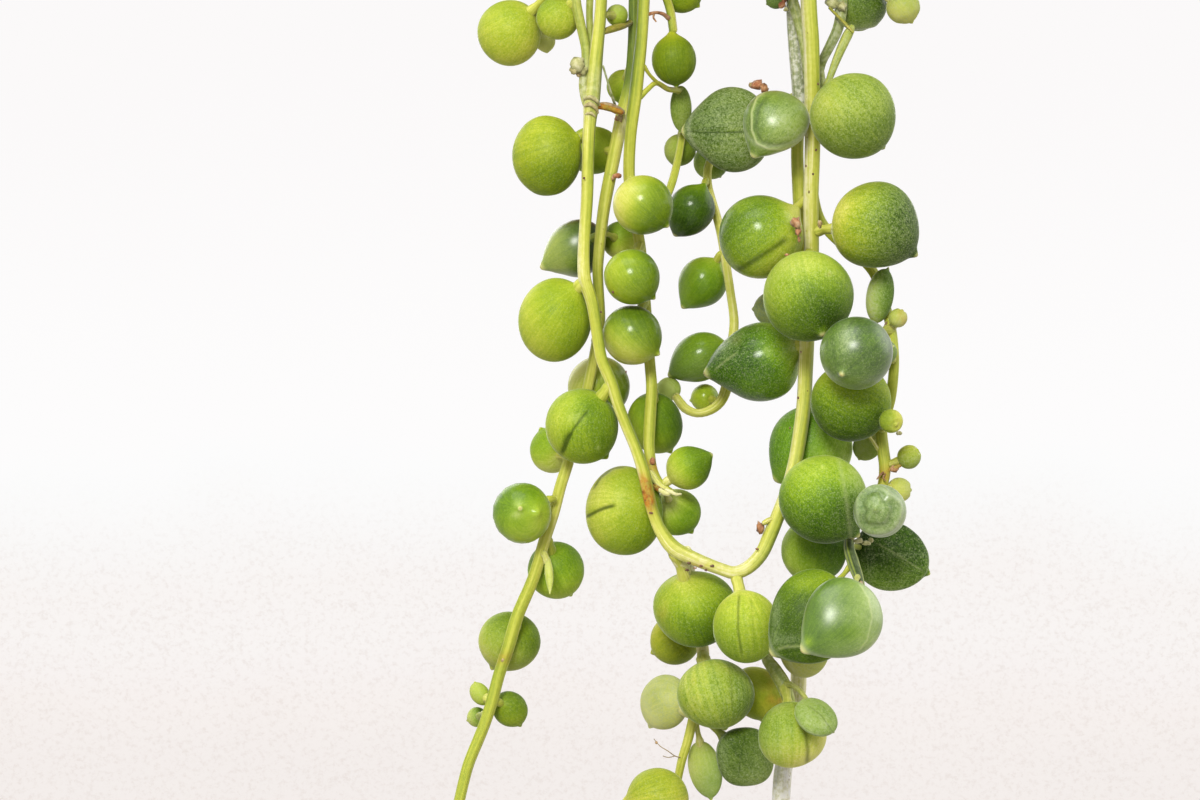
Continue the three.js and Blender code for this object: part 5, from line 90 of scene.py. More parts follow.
        [33.87,-8.82,-210.26,0.61,34.41,-8.94,-208.11,0.61,35.34,-9.14,-206.16,0.61,36.56,-9.38,-205.3,0.61,38.17,-9.7,-204.66,0.61,39.95,-10.05,-204.08,0.61,41.72,-10.4,-203.4,0.61,43.05,-10.66,-202.74,0.61,47.24,-11.49,-200.47,0.61,48.66,-11.76,-199.78,0.61,50.08,-12.02,-199.2,0.61,53.32,-12.53,-198.11,0.61,54.95,-12.78,-197.68,0.61,56.52,-13.06,-197.42,0.61,57.98,-13.38,-197.4,0.61,59.94,-14.04,-197.74,0.61,61.76,-14.76,-198.46,0.61,63.19,-15.25,-199.6,0.61,63.93,-15.38,-200.85,0.61,64.4,-15.34,-202.41,0.61,64.69,-15.2,-204.15,0.61,64.89,-14.98,-206,0.61,64.96,-14.76,-207.35,0.61,64.93,-14.43,-208.79,0.6,64.82,-14.04,-210.32,0.6,64.48,-13.21,-213.52,0.6,64.3,-12.86,-215.15,0.59,64.14,-12.59,-216.76,0.59,64.05,-12.46,-218.33,0.58,64,-12.45,-219.87,0.58,63.96,-12.54,-221.41,0.58,63.94,-12.7,-222.96,0.57,63.93,-13.19,-226.04,0.56,63.9,-14.29,-232.21,0.54,63.85,-15.99,-239.91,0.5,63.84,-16.49,-243,0.49,63.87,-16.8,-246.08,0.47,63.9,-17,-249.16,0.46,63.95,-17.06,-252.25,0.44,63.97,-17.03,-253.79,0.43,64.01,-16.81,-256.88,0.42,64.06,-16.35,-259.96,0.4,64.12,-14.82,-267.67,0.35,63.99,-13.98,-272.29,0.32,63.65,-12.57,-280,0.27],
    ],
    'stem_rim_06': [
        [34.73,4.32,-210.26,0.56,35.28,4.44,-208.11,0.56,36.2,4.69,-206.16,0.56,37.4,5.06,-205.3,0.56,38.98,5.56,-204.66,0.56,40.74,6.12,-204.08,0.56,42.48,6.67,-203.4,0.56,43.78,7.09,-202.74,0.56,47.89,8.4,-200.47,0.56,49.28,8.87,-199.78,0.56,50.64,9.35,-199.2,0.56,52.18,9.97,-198.63,0.56,53.73,10.65,-198.1,0.56,55.26,11.33,-197.68,0.56,56.76,11.93,-197.42,0.56,58.2,12.37,-197.4,0.56,60.25,12.66,-197.74,0.56,62.2,12.75,-198.46,0.56,63.71,12.88,-199.6,0.56,64.42,13.12,-200.85,0.56,64.81,13.41,-202.38,0.56,65,13.68,-204.13,0.56,65.14,13.85,-206,0.56,65.2,13.88,-207.43,0.56,65.16,13.87,-208.98,0.56,64.91,13.72,-212.36,0.55,64.6,13.46,-215.89,0.55,64.46,13.17,-219.33,0.54,64.58,12.77,-222.67,0.53,64.97,12.01,-227.66,0.52,65.21,11.63,-231,0.51,65.28,11.55,-232.67,0.5,65.37,11.58,-236,0.49,65.39,11.66,-237.67,0.48,65.4,11.94,-241.01,0.47,65.35,12.31,-244.34,0.46,65.23,12.73,-247.49,0.45,65.05,13.26,-250.45,0.43,64.7,14.16,-254.89,0.41,64.44,14.68,-257.85,0.4,64.02,15.27,-262.66,0.38,63.53,15.67,-267.67,0.35,63.24,15.76,-271,0.33,63.01,15.63,-274.33,0.32,62.85,15.26,-277.67,0.3,62.55,13.96,-286,0.25],
    ],
    'stem_rim_07': [
        [22.1,27.14,-210.26,0.59,22.53,27.51,-208.11,0.59,23.32,28.08,-206.16,0.59,24.4,28.79,-205.29,0.59,25.84,29.71,-204.65,0.59,27.44,30.73,-204.08,0.59,29.03,31.72,-203.4,0.59,30.22,32.47,-202.74,0.59,33.97,34.8,-200.47,0.59,35.26,35.55,-199.78,0.59,36.56,36.27,-199.2,0.59,38.1,37.02,-198.63,0.59,39.7,37.72,-198.1,0.59,41.3,38.41,-197.67,0.59,42.83,39.09,-197.42,0.59,44.22,39.81,-197.4,0.59,45.98,40.92,-197.75,0.59,47.57,42.06,-198.46,0.59,48.74,43.01,-199.6,0.59,49.21,43.58,-200.86,0.59,49.35,44.05,-202.42,0.59,49.38,44.39,-204.17,0.59,49.49,44.56,-206,0.59,49.7,44.52,-207.45,0.59,49.95,44.31,-209,0.59,50.73,43.3,-214,0.58,50.89,43.05,-215.69,0.57,50.96,42.95,-217.33,0.57,50.93,43.01,-218.95,0.56,50.82,43.19,-220.57,0.56,50.65,43.43,-222.19,0.55,49.95,44.33,-227.05,0.54,49.71,44.56,-228.67,0.53,49.18,45.01,-231.9,0.52,48.27,45.62,-236.76,0.49,48.02,45.75,-238.38,0.48,47.81,45.81,-240,0.48,47.65,45.81,-241.62,0.47,47.4,45.66,-244.86,0.45,47.32,45.53,-246.48,0.44,47.24,45.16,-249.72,0.42,47.3,44.68,-252.96,0.41,47.54,44,-256.19,0.39,47.86,43.26,-259.43,0.36,48.16,42.6,-262.67,0.34,48.4,42.12,-265.9,0.32,48.98,41.13,-274,0.27],
    ],
    'stem_rim_08': [
        [17.57,30.27,-210.26,0.62,17.77,30.8,-208.11,0.62,18.04,31.73,-206.16,0.62,18.35,32.98,-205.29,0.62,18.74,34.63,-204.66,0.62,19.17,36.47,-204.08,0.62,19.58,38.28,-203.4,0.62,19.89,39.65,-202.74,0.62,20.85,43.93,-200.47,0.62,21.14,45.39,-199.78,0.62,21.39,46.85,-199.2,0.62,21.58,48.54,-198.63,0.62,21.69,50.29,-198.1,0.62,21.79,52.02,-197.67,0.62,21.96,53.67,-197.42,0.62,22.29,55.17,-197.4,0.62,23.14,57.04,-197.75,0.62,24.19,58.7,-198.46,0.62,24.95,60.02,-199.6,0.62,25.16,60.72,-200.85,0.62,25.16,61.16,-202.39,0.62,24.89,61.95,-207.4,0.62,24.82,62.11,-208.92,0.62,24.62,62.33,-212.21,0.61,24.37,62.46,-215.64,0.61,23.93,62.59,-220.63,0.6,23.07,62.6,-227.13,0.58,22.77,62.49,-230.38,0.56,22.71,62.4,-232,0.56,22.72,62.28,-233.63,0.55,22.78,62.13,-235.25,0.55,23.03,61.76,-238.5,0.53,23.97,60.7,-246.63,0.49,25.03,59.75,-253.12,0.46,25.49,59.35,-256.37,0.45,25.79,59.07,-259.62,0.43,26.05,58.81,-264.5,0.4,26.09,58.74,-267.75,0.38,26.06,58.74,-269.38,0.37,25.88,58.83,-272.63,0.35,25.5,59.06,-275.88,0.33,24.28,59.86,-284,0.28],
    ],
    'stem_rim_09': [
        [-14.87,31.68,-210.26,0.58,-15.07,32.2,-208.11,0.58,-15.4,33.09,-206.16,0.58,-15.8,34.28,-205.3,0.58,-16.32,35.84,-204.66,0.58,-16.9,37.57,-204.08,0.58,-17.47,39.29,-203.4,0.58,-17.9,40.59,-202.74,0.58,-19.24,44.65,-200.47,0.58,-19.68,46.03,-199.78,0.58,-20.11,47.41,-199.2,0.58,-21.02,50.58,-198.1,0.58,-21.47,52.17,-197.68,0.58,-21.89,53.72,-197.42,0.58,-22.29,55.17,-197.4,0.58,-22.81,57.18,-197.74,0.58,-23.3,59.07,-198.46,0.58,-23.75,60.51,-199.6,0.58,-24.07,61.17,-200.85,0.58,-24.37,61.5,-202.39,0.58,-24.66,61.65,-204.13,0.58,-25.2,61.79,-207.43,0.57,-25.79,61.66,-210.64,0.57,-26.36,61.36,-214.12,0.56,-26.56,61.21,-215.89,0.56,-26.69,61.09,-217.63,0.56,-26.7,61.01,-219.33,0.55,-26.6,60.97,-220.82,0.55,-26.41,60.95,-222.3,0.55,-26.15,60.94,-223.78,0.54,-24.42,60.95,-231.18,0.52,-23.25,60.92,-237.66,0.5,-22.7,60.9,-240.99,0.48,-22.3,60.86,-244.33,0.47,-22.19,60.83,-246,0.46,-22.15,60.74,-249.33,0.45,-22.2,60.68,-251,0.44,-22.41,60.56,-254.34,0.43,-22.74,60.43,-257.67,0.41,-23.13,60.3,-260.82,0.4,-23.66,60.17,-263.78,0.38,-24.87,59.9,-269.7,0.35,-25.36,59.81,-272.67,0.34,-25.91,59.76,-277.66,0.31,-26.61,59.77,-286,0.26],
    ],
    'stem_rim_10': [
        [-27.39,21.79,-210.26,0.61,-27.8,22.17,-208.11,0.61,-28.48,22.83,-206.16,0.61,-29.35,23.73,-205.3,0.61,-30.5,24.91,-204.66,0.61,-31.77,26.23,-204.08,0.61,-33.03,27.53,-203.4,0.61,-33.98,28.52,-202.74,0.61,-36.95,31.61,-200.47,0.61,-37.95,32.66,-199.78,0.61,-38.92,33.72,-199.2,0.61,-41.1,36.2,-198.1,0.61,-42.19,37.45,-197.68,0.61,-43.23,38.67,-197.42,0.61,-44.22,39.81,-197.4,0.61,-45.57,41.4,-197.74,0.61,-46.83,42.88,-198.46,0.61,-47.87,43.97,-199.6,0.61,-48.49,44.4,-200.86,0.61,-48.98,44.52,-202.41,0.61,-49.31,44.52,-204.16,0.61,-49.49,44.56,-206,0.61,-49.48,44.66,-207.48,0.61,-49.31,44.76,-209.07,0.6,-49.03,44.86,-210.75,0.6,-48.03,45.08,-215.97,0.59,-47.79,45.13,-217.67,0.58,-47.05,45.22,-224.34,0.56,-46.84,45.15,-227.67,0.55,-46.83,45.06,-229.33,0.54,-46.88,44.92,-231,0.54,-47.01,44.74,-232.67,0.53,-47.39,44.28,-236,0.51,-48.33,43.37,-242.67,0.48,-49.18,42.67,-247.66,0.45,-49.68,42.31,-251,0.44,-49.86,42.21,-252.67,0.43,-49.99,42.17,-254.33,0.42,-50.16,42.19,-257.67,0.4,-50.2,42.26,-259.34,0.39,-50.16,42.47,-262.67,0.36,-49.95,42.79,-266.01,0.34,-49.53,43.25,-269.34,0.32,-48.47,44.32,-276,0.27],
    ],
    'stem_rim_11': [
        [-32.15,13.85,-210.26,0.56,-32.7,13.98,-208.11,0.56,-33.65,14.13,-206.16,0.56,-34.93,14.29,-205.29,0.56,-36.62,14.47,-204.66,0.56,-38.5,14.66,-204.08,0.56,-40.36,14.84,-203.4,0.56,-41.75,14.98,-202.74,0.56,-46.13,15.4,-200.47,0.56,-47.61,15.5,-199.78,0.56,-49.09,15.57,-199.2,0.56,-50.8,15.54,-198.63,0.56,-52.55,15.42,-198.1,0.56,-54.28,15.3,-197.67,0.56,-55.95,15.26,-197.42,0.56,-57.47,15.4,-197.4,0.56,-59.44,16.02,-197.75,0.56,-61.22,16.86,-198.46,0.56,-62.61,17.45,-199.6,0.56,-63.37,17.55,-200.85,0.56,-63.86,17.45,-202.38,0.56,-64.16,17.29,-204.12,0.56,-64.33,17.24,-206,0.56,-64.34,17.3,-207.29,0.56,-64.24,17.43,-208.69,0.56,-64.04,17.6,-210.17,0.56,-63.2,18.14,-214.92,0.55,-62.94,18.26,-216.53,0.55,-62.73,18.32,-218.12,0.54,-62.62,18.3,-219.67,0.54,-62.59,18.18,-221.19,0.54,-62.6,17.98,-222.71,0.53,-62.65,17.71,-224.22,0.53,-63.06,16.43,-230.29,0.51,-63.26,15.91,-233.33,0.5,-63.53,15.35,-237.88,0.48,-63.72,15.03,-240.92,0.47,-63.89,14.83,-243.96,0.46,-64.01,14.77,-247,0.45,-64.08,14.91,-250.04,0.44,-64.12,15.21,-253.08,0.43,-64.13,15.61,-256.12,0.41,-64.05,16.27,-260.67,0.39,-63.93,16.77,-263.71,0.38,-63.55,17.95,-269.77,0.35,-63.34,18.43,-272.81,0.33,-63.24,18.61,-274.33,0.33,-63.15,18.73,-275.85,0.32,-62.94,18.86,-278.88,0.3,-62.63,18.89,-283.44,0.28,-62.32,18.91,-288,0.25],
    ],
    'stem_rim_12': [
        [-32.73,-12.4,-210.26,0.59,-33.29,-12.5,-208.11,0.59,-34.26,-12.6,-206.16,0.59,-35.55,-12.68,-205.29,0.59,-37.25,-12.76,-204.65,0.59,-39.14,-12.84,-204.08,0.59,-41.02,-12.91,-203.4,0.59,-42.42,-12.96,-202.74,0.59,-46.83,-13.11,-200.47,0.59,-48.32,-13.13,-199.78,0.59,-49.81,-13.1,-199.2,0.59,-51.51,-12.98,-198.63,0.59,-53.25,-12.8,-198.1,0.59,-54.98,-12.6,-197.67,0.59,-56.64,-12.44,-197.42,0.59,-58.2,-12.37,-197.4,0.59,-60.28,-12.45,-197.75,0.59,-62.22,-12.64,-198.46,0.59,-63.71,-12.88,-199.6,0.59,-64.44,-13.08,-200.86,0.59,-64.84,-13.32,-202.41,0.59,-65.04,-13.58,-204.16,0.59,-65.14,-13.85,-206,0.59,-65.14,-14.05,-207.32,0.59,-65.01,-14.27,-208.73,0.59,-64.81,-14.51,-210.22,0.59,-64.02,-15.2,-214.9,0.58,-63.82,-15.38,-216.47,0.57,-63.71,-15.52,-218,0.57,-63.69,-15.71,-221,0.56,-63.73,-15.77,-222.5,0.56,-63.9,-15.81,-225.5,0.55,-64.1,-15.72,-228.5,0.54,-64.19,-15.62,-230,0.53,-64.39,-15.22,-233.01,0.52,-64.96,-13.71,-240.5,0.48,-65.09,-13.17,-243.5,0.47,-65.2,-12.32,-248,0.45,-65.2,-11.84,-251,0.43,-65.18,-11.67,-252.5,0.42,-65.07,-11.5,-255.5,0.41,-64.98,-11.5,-257,0.4,-64.74,-11.62,-260,0.38,-64.46,-11.86,-263.01,0.36,-64.15,-12.18,-266,0.34,-63.99,-12.38,-267.51,0.34,-63.62,-12.89,-270.51,0.32,-62.64,-14.37,-278,0.27],
    ],
    'stem_crown_1': [
        [6.89,5.79,-209.07,0.55,8.24,7.13,-206.06,0.53,8.8,8.16,-204.93,0.52,9.05,9.62,-204.45,0.51,9.16,11.45,-204.32,0.5,9.32,13.38,-204.37,0.49,9.75,15.13,-204.4,0.49,10.5,16.76,-204.41,0.48,11.46,18.37,-204.49,0.47,12.61,19.77,-204.59,0.46,13.96,20.74,-204.68,0.46,15.37,21.19,-204.73,0.45,17.02,21.38,-204.79,0.44,18.77,21.31,-204.84,0.44,20.47,20.98,-204.89,0.43,21.99,20.41,-204.93,0.42,23.31,19.57,-204.96,0.42,24.65,18.41,-204.98,0.41,25.9,17.03,-205,0.41,26.99,15.53,-205,0.4,27.83,14.02,-205,0.4,28.33,12.59,-204.99,0.39,28.48,11.04,-204.96,0.39,28.34,9.35,-204.92,0.38,27.94,7.71,-204.88,0.37,27.31,6.3,-204.83,0.37,26.47,5.32,-204.77,0.36,25.04,4.85,-204.7,0.35,23.19,4.95,-204.63,0.35,21.17,5.28,-204.55,0.34,19.23,5.49,-204.47,0.33],
    ],
    'stem_crown_2': [
        [-3.37,8.35,-209.07,0.55,-4.23,10.04,-206.06,0.53,-5.05,10.89,-204.93,0.52,-6.35,11.58,-204.45,0.51,-8.06,12.25,-204.32,0.5,-9.84,12.99,-204.37,0.49,-11.37,13.95,-204.4,0.49,-12.69,15.17,-204.41,0.48,-13.93,16.57,-204.49,0.47,-14.9,18.1,-204.59,0.46,-15.41,19.69,-204.68,0.46,-15.4,21.17,-204.73,0.45,-15.07,22.79,-204.79,0.44,-14.46,24.43,-204.84,0.44,-13.63,25.95,-204.89,0.43,-12.61,27.22,-204.93,0.42,-11.41,28.22,-204.96,0.42,-9.89,29.13,-204.98,0.41,-8.19,29.9,-205,0.41,-6.43,30.47,-205,0.4,-4.73,30.8,-205,0.4,-3.22,30.83,-204.99,0.39,-1.7,30.5,-204.96,0.39,-0.14,29.84,-204.92,0.38,1.31,28.95,-204.88,0.37,2.45,27.92,-204.83,0.37,3.13,26.82,-204.77,0.36,3.13,25.31,-204.7,0.35,2.46,23.58,-204.63,0.35,1.52,21.76,-204.55,0.34,0.72,19.99,-204.47,0.33],
    ],
    'stem_crown_3': [
        [-8.98,-0.63,-209.07,0.55,-10.85,-0.93,-206.06,0.53,-11.91,-1.43,-204.93,0.52,-12.98,-2.46,-204.45,0.51,-14.14,-3.88,-204.32,0.5,-15.4,-5.34,-204.37,0.49,-16.78,-6.51,-204.4,0.49,-18.35,-7.38,-204.41,0.48,-20.07,-8.13,-204.49,0.47,-21.82,-8.58,-204.59,0.46,-23.49,-8.57,-204.68,0.46,-24.89,-8.11,-204.73,0.45,-26.33,-7.29,-204.79,0.44,-27.7,-6.21,-204.84,0.44,-28.89,-4.94,-204.89,0.43,-29.79,-3.59,-204.93,0.42,-30.36,-2.13,-204.96,0.42,-30.76,-0.41,-204.98,0.41,-30.97,1.45,-205,0.41,-30.97,3.3,-205,0.4,-30.76,5.02,-205,0.4,-30.32,6.47,-204.99,0.39,-29.53,7.81,-204.96,0.39,-28.43,9.09,-204.92,0.38,-27.13,10.19,-204.88,0.37,-25.79,10.96,-204.83,0.37,-24.54,11.26,-204.77,0.36,-23.11,10.79,-204.7,0.35,-21.67,9.62,-204.63,0.35,-20.23,8.17,-204.55,0.34,-18.79,6.86,-204.47,0.33],
    ],
    'stem_crown_4': [
        [-2.18,-8.73,-209.07,0.55,-2.47,-10.61,-206.06,0.53,-2.32,-11.77,-204.93,0.52,-1.67,-13.1,-204.45,0.51,-0.68,-14.64,-204.32,0.5,0.33,-16.3,-204.37,0.49,1,-17.97,-204.4,0.49,1.35,-19.73,-204.41,0.48,1.53,-21.6,-204.49,0.47,1.42,-23.41,-204.59,0.46,0.89,-24.98,-204.68,0.46,0.02,-26.18,-204.73,0.45,-1.2,-27.3,-204.79,0.44,-2.66,-28.27,-204.84,0.44,-4.23,-29,-204.89,0.43,-5.79,-29.43,-204.93,0.42,-7.36,-29.53,-204.96,0.42,-9.12,-29.38,-204.98,0.41,-10.95,-29,-205,0.41,-12.71,-28.43,-205,0.4,-14.28,-27.7,-205,0.4,-15.52,-26.84,-204.99,0.39,-16.55,-25.68,-204.96,0.39,-17.43,-24.23,-204.92,0.38,-18.08,-22.66,-204.88,0.37,-18.39,-21.14,-204.83,0.37,-18.29,-19.86,-204.77,0.36,-17.41,-18.64,-204.7,0.35,-15.85,-17.63,-204.63,0.35,-14.02,-16.71,-204.55,0.34,-12.33,-15.75,-204.47,0.33],
    ],
    'stem_crown_5': [
        [7.63,-4.77,-209.07,0.55,9.32,-5.63,-206.06,0.53,10.48,-5.84,-204.93,0.52,11.95,-5.64,-204.45,0.51,13.72,-5.17,-204.32,0.5,15.6,-4.73,-204.37,0.49,17.4,-4.6,-204.4,0.49,19.18,-4.81,-204.41,0.48,21.01,-5.22,-204.49,0.47,22.7,-5.89,-204.59,0.46,24.04,-6.87,-204.68,0.46,24.9,-8.07,-204.73,0.45,25.59,-9.58,-204.79,0.44,26.06,-11.26,-204.84,0.44,26.28,-12.98,-204.89,0.43,26.2,-14.61,-204.93,0.42,25.81,-16.12,-204.96,0.42,25.12,-17.75,-204.98,0.41,24.2,-19.37,-205,0.41,23.11,-20.87,-205,0.4,21.93,-22.14,-205,0.4,20.73,-23.05,-204.99,0.39,19.3,-23.68,-204.96,0.39,17.65,-24.07,-204.92,0.38,15.96,-24.19,-204.88,0.37,14.43,-24.03,-204.83,0.37,13.23,-23.53,-204.77,0.36,12.35,-22.32,-204.7,0.35,11.87,-20.52,-204.63,0.35,11.56,-18.5,-204.55,0.34,11.16,-16.59,-204.47,0.33],
    ],
}
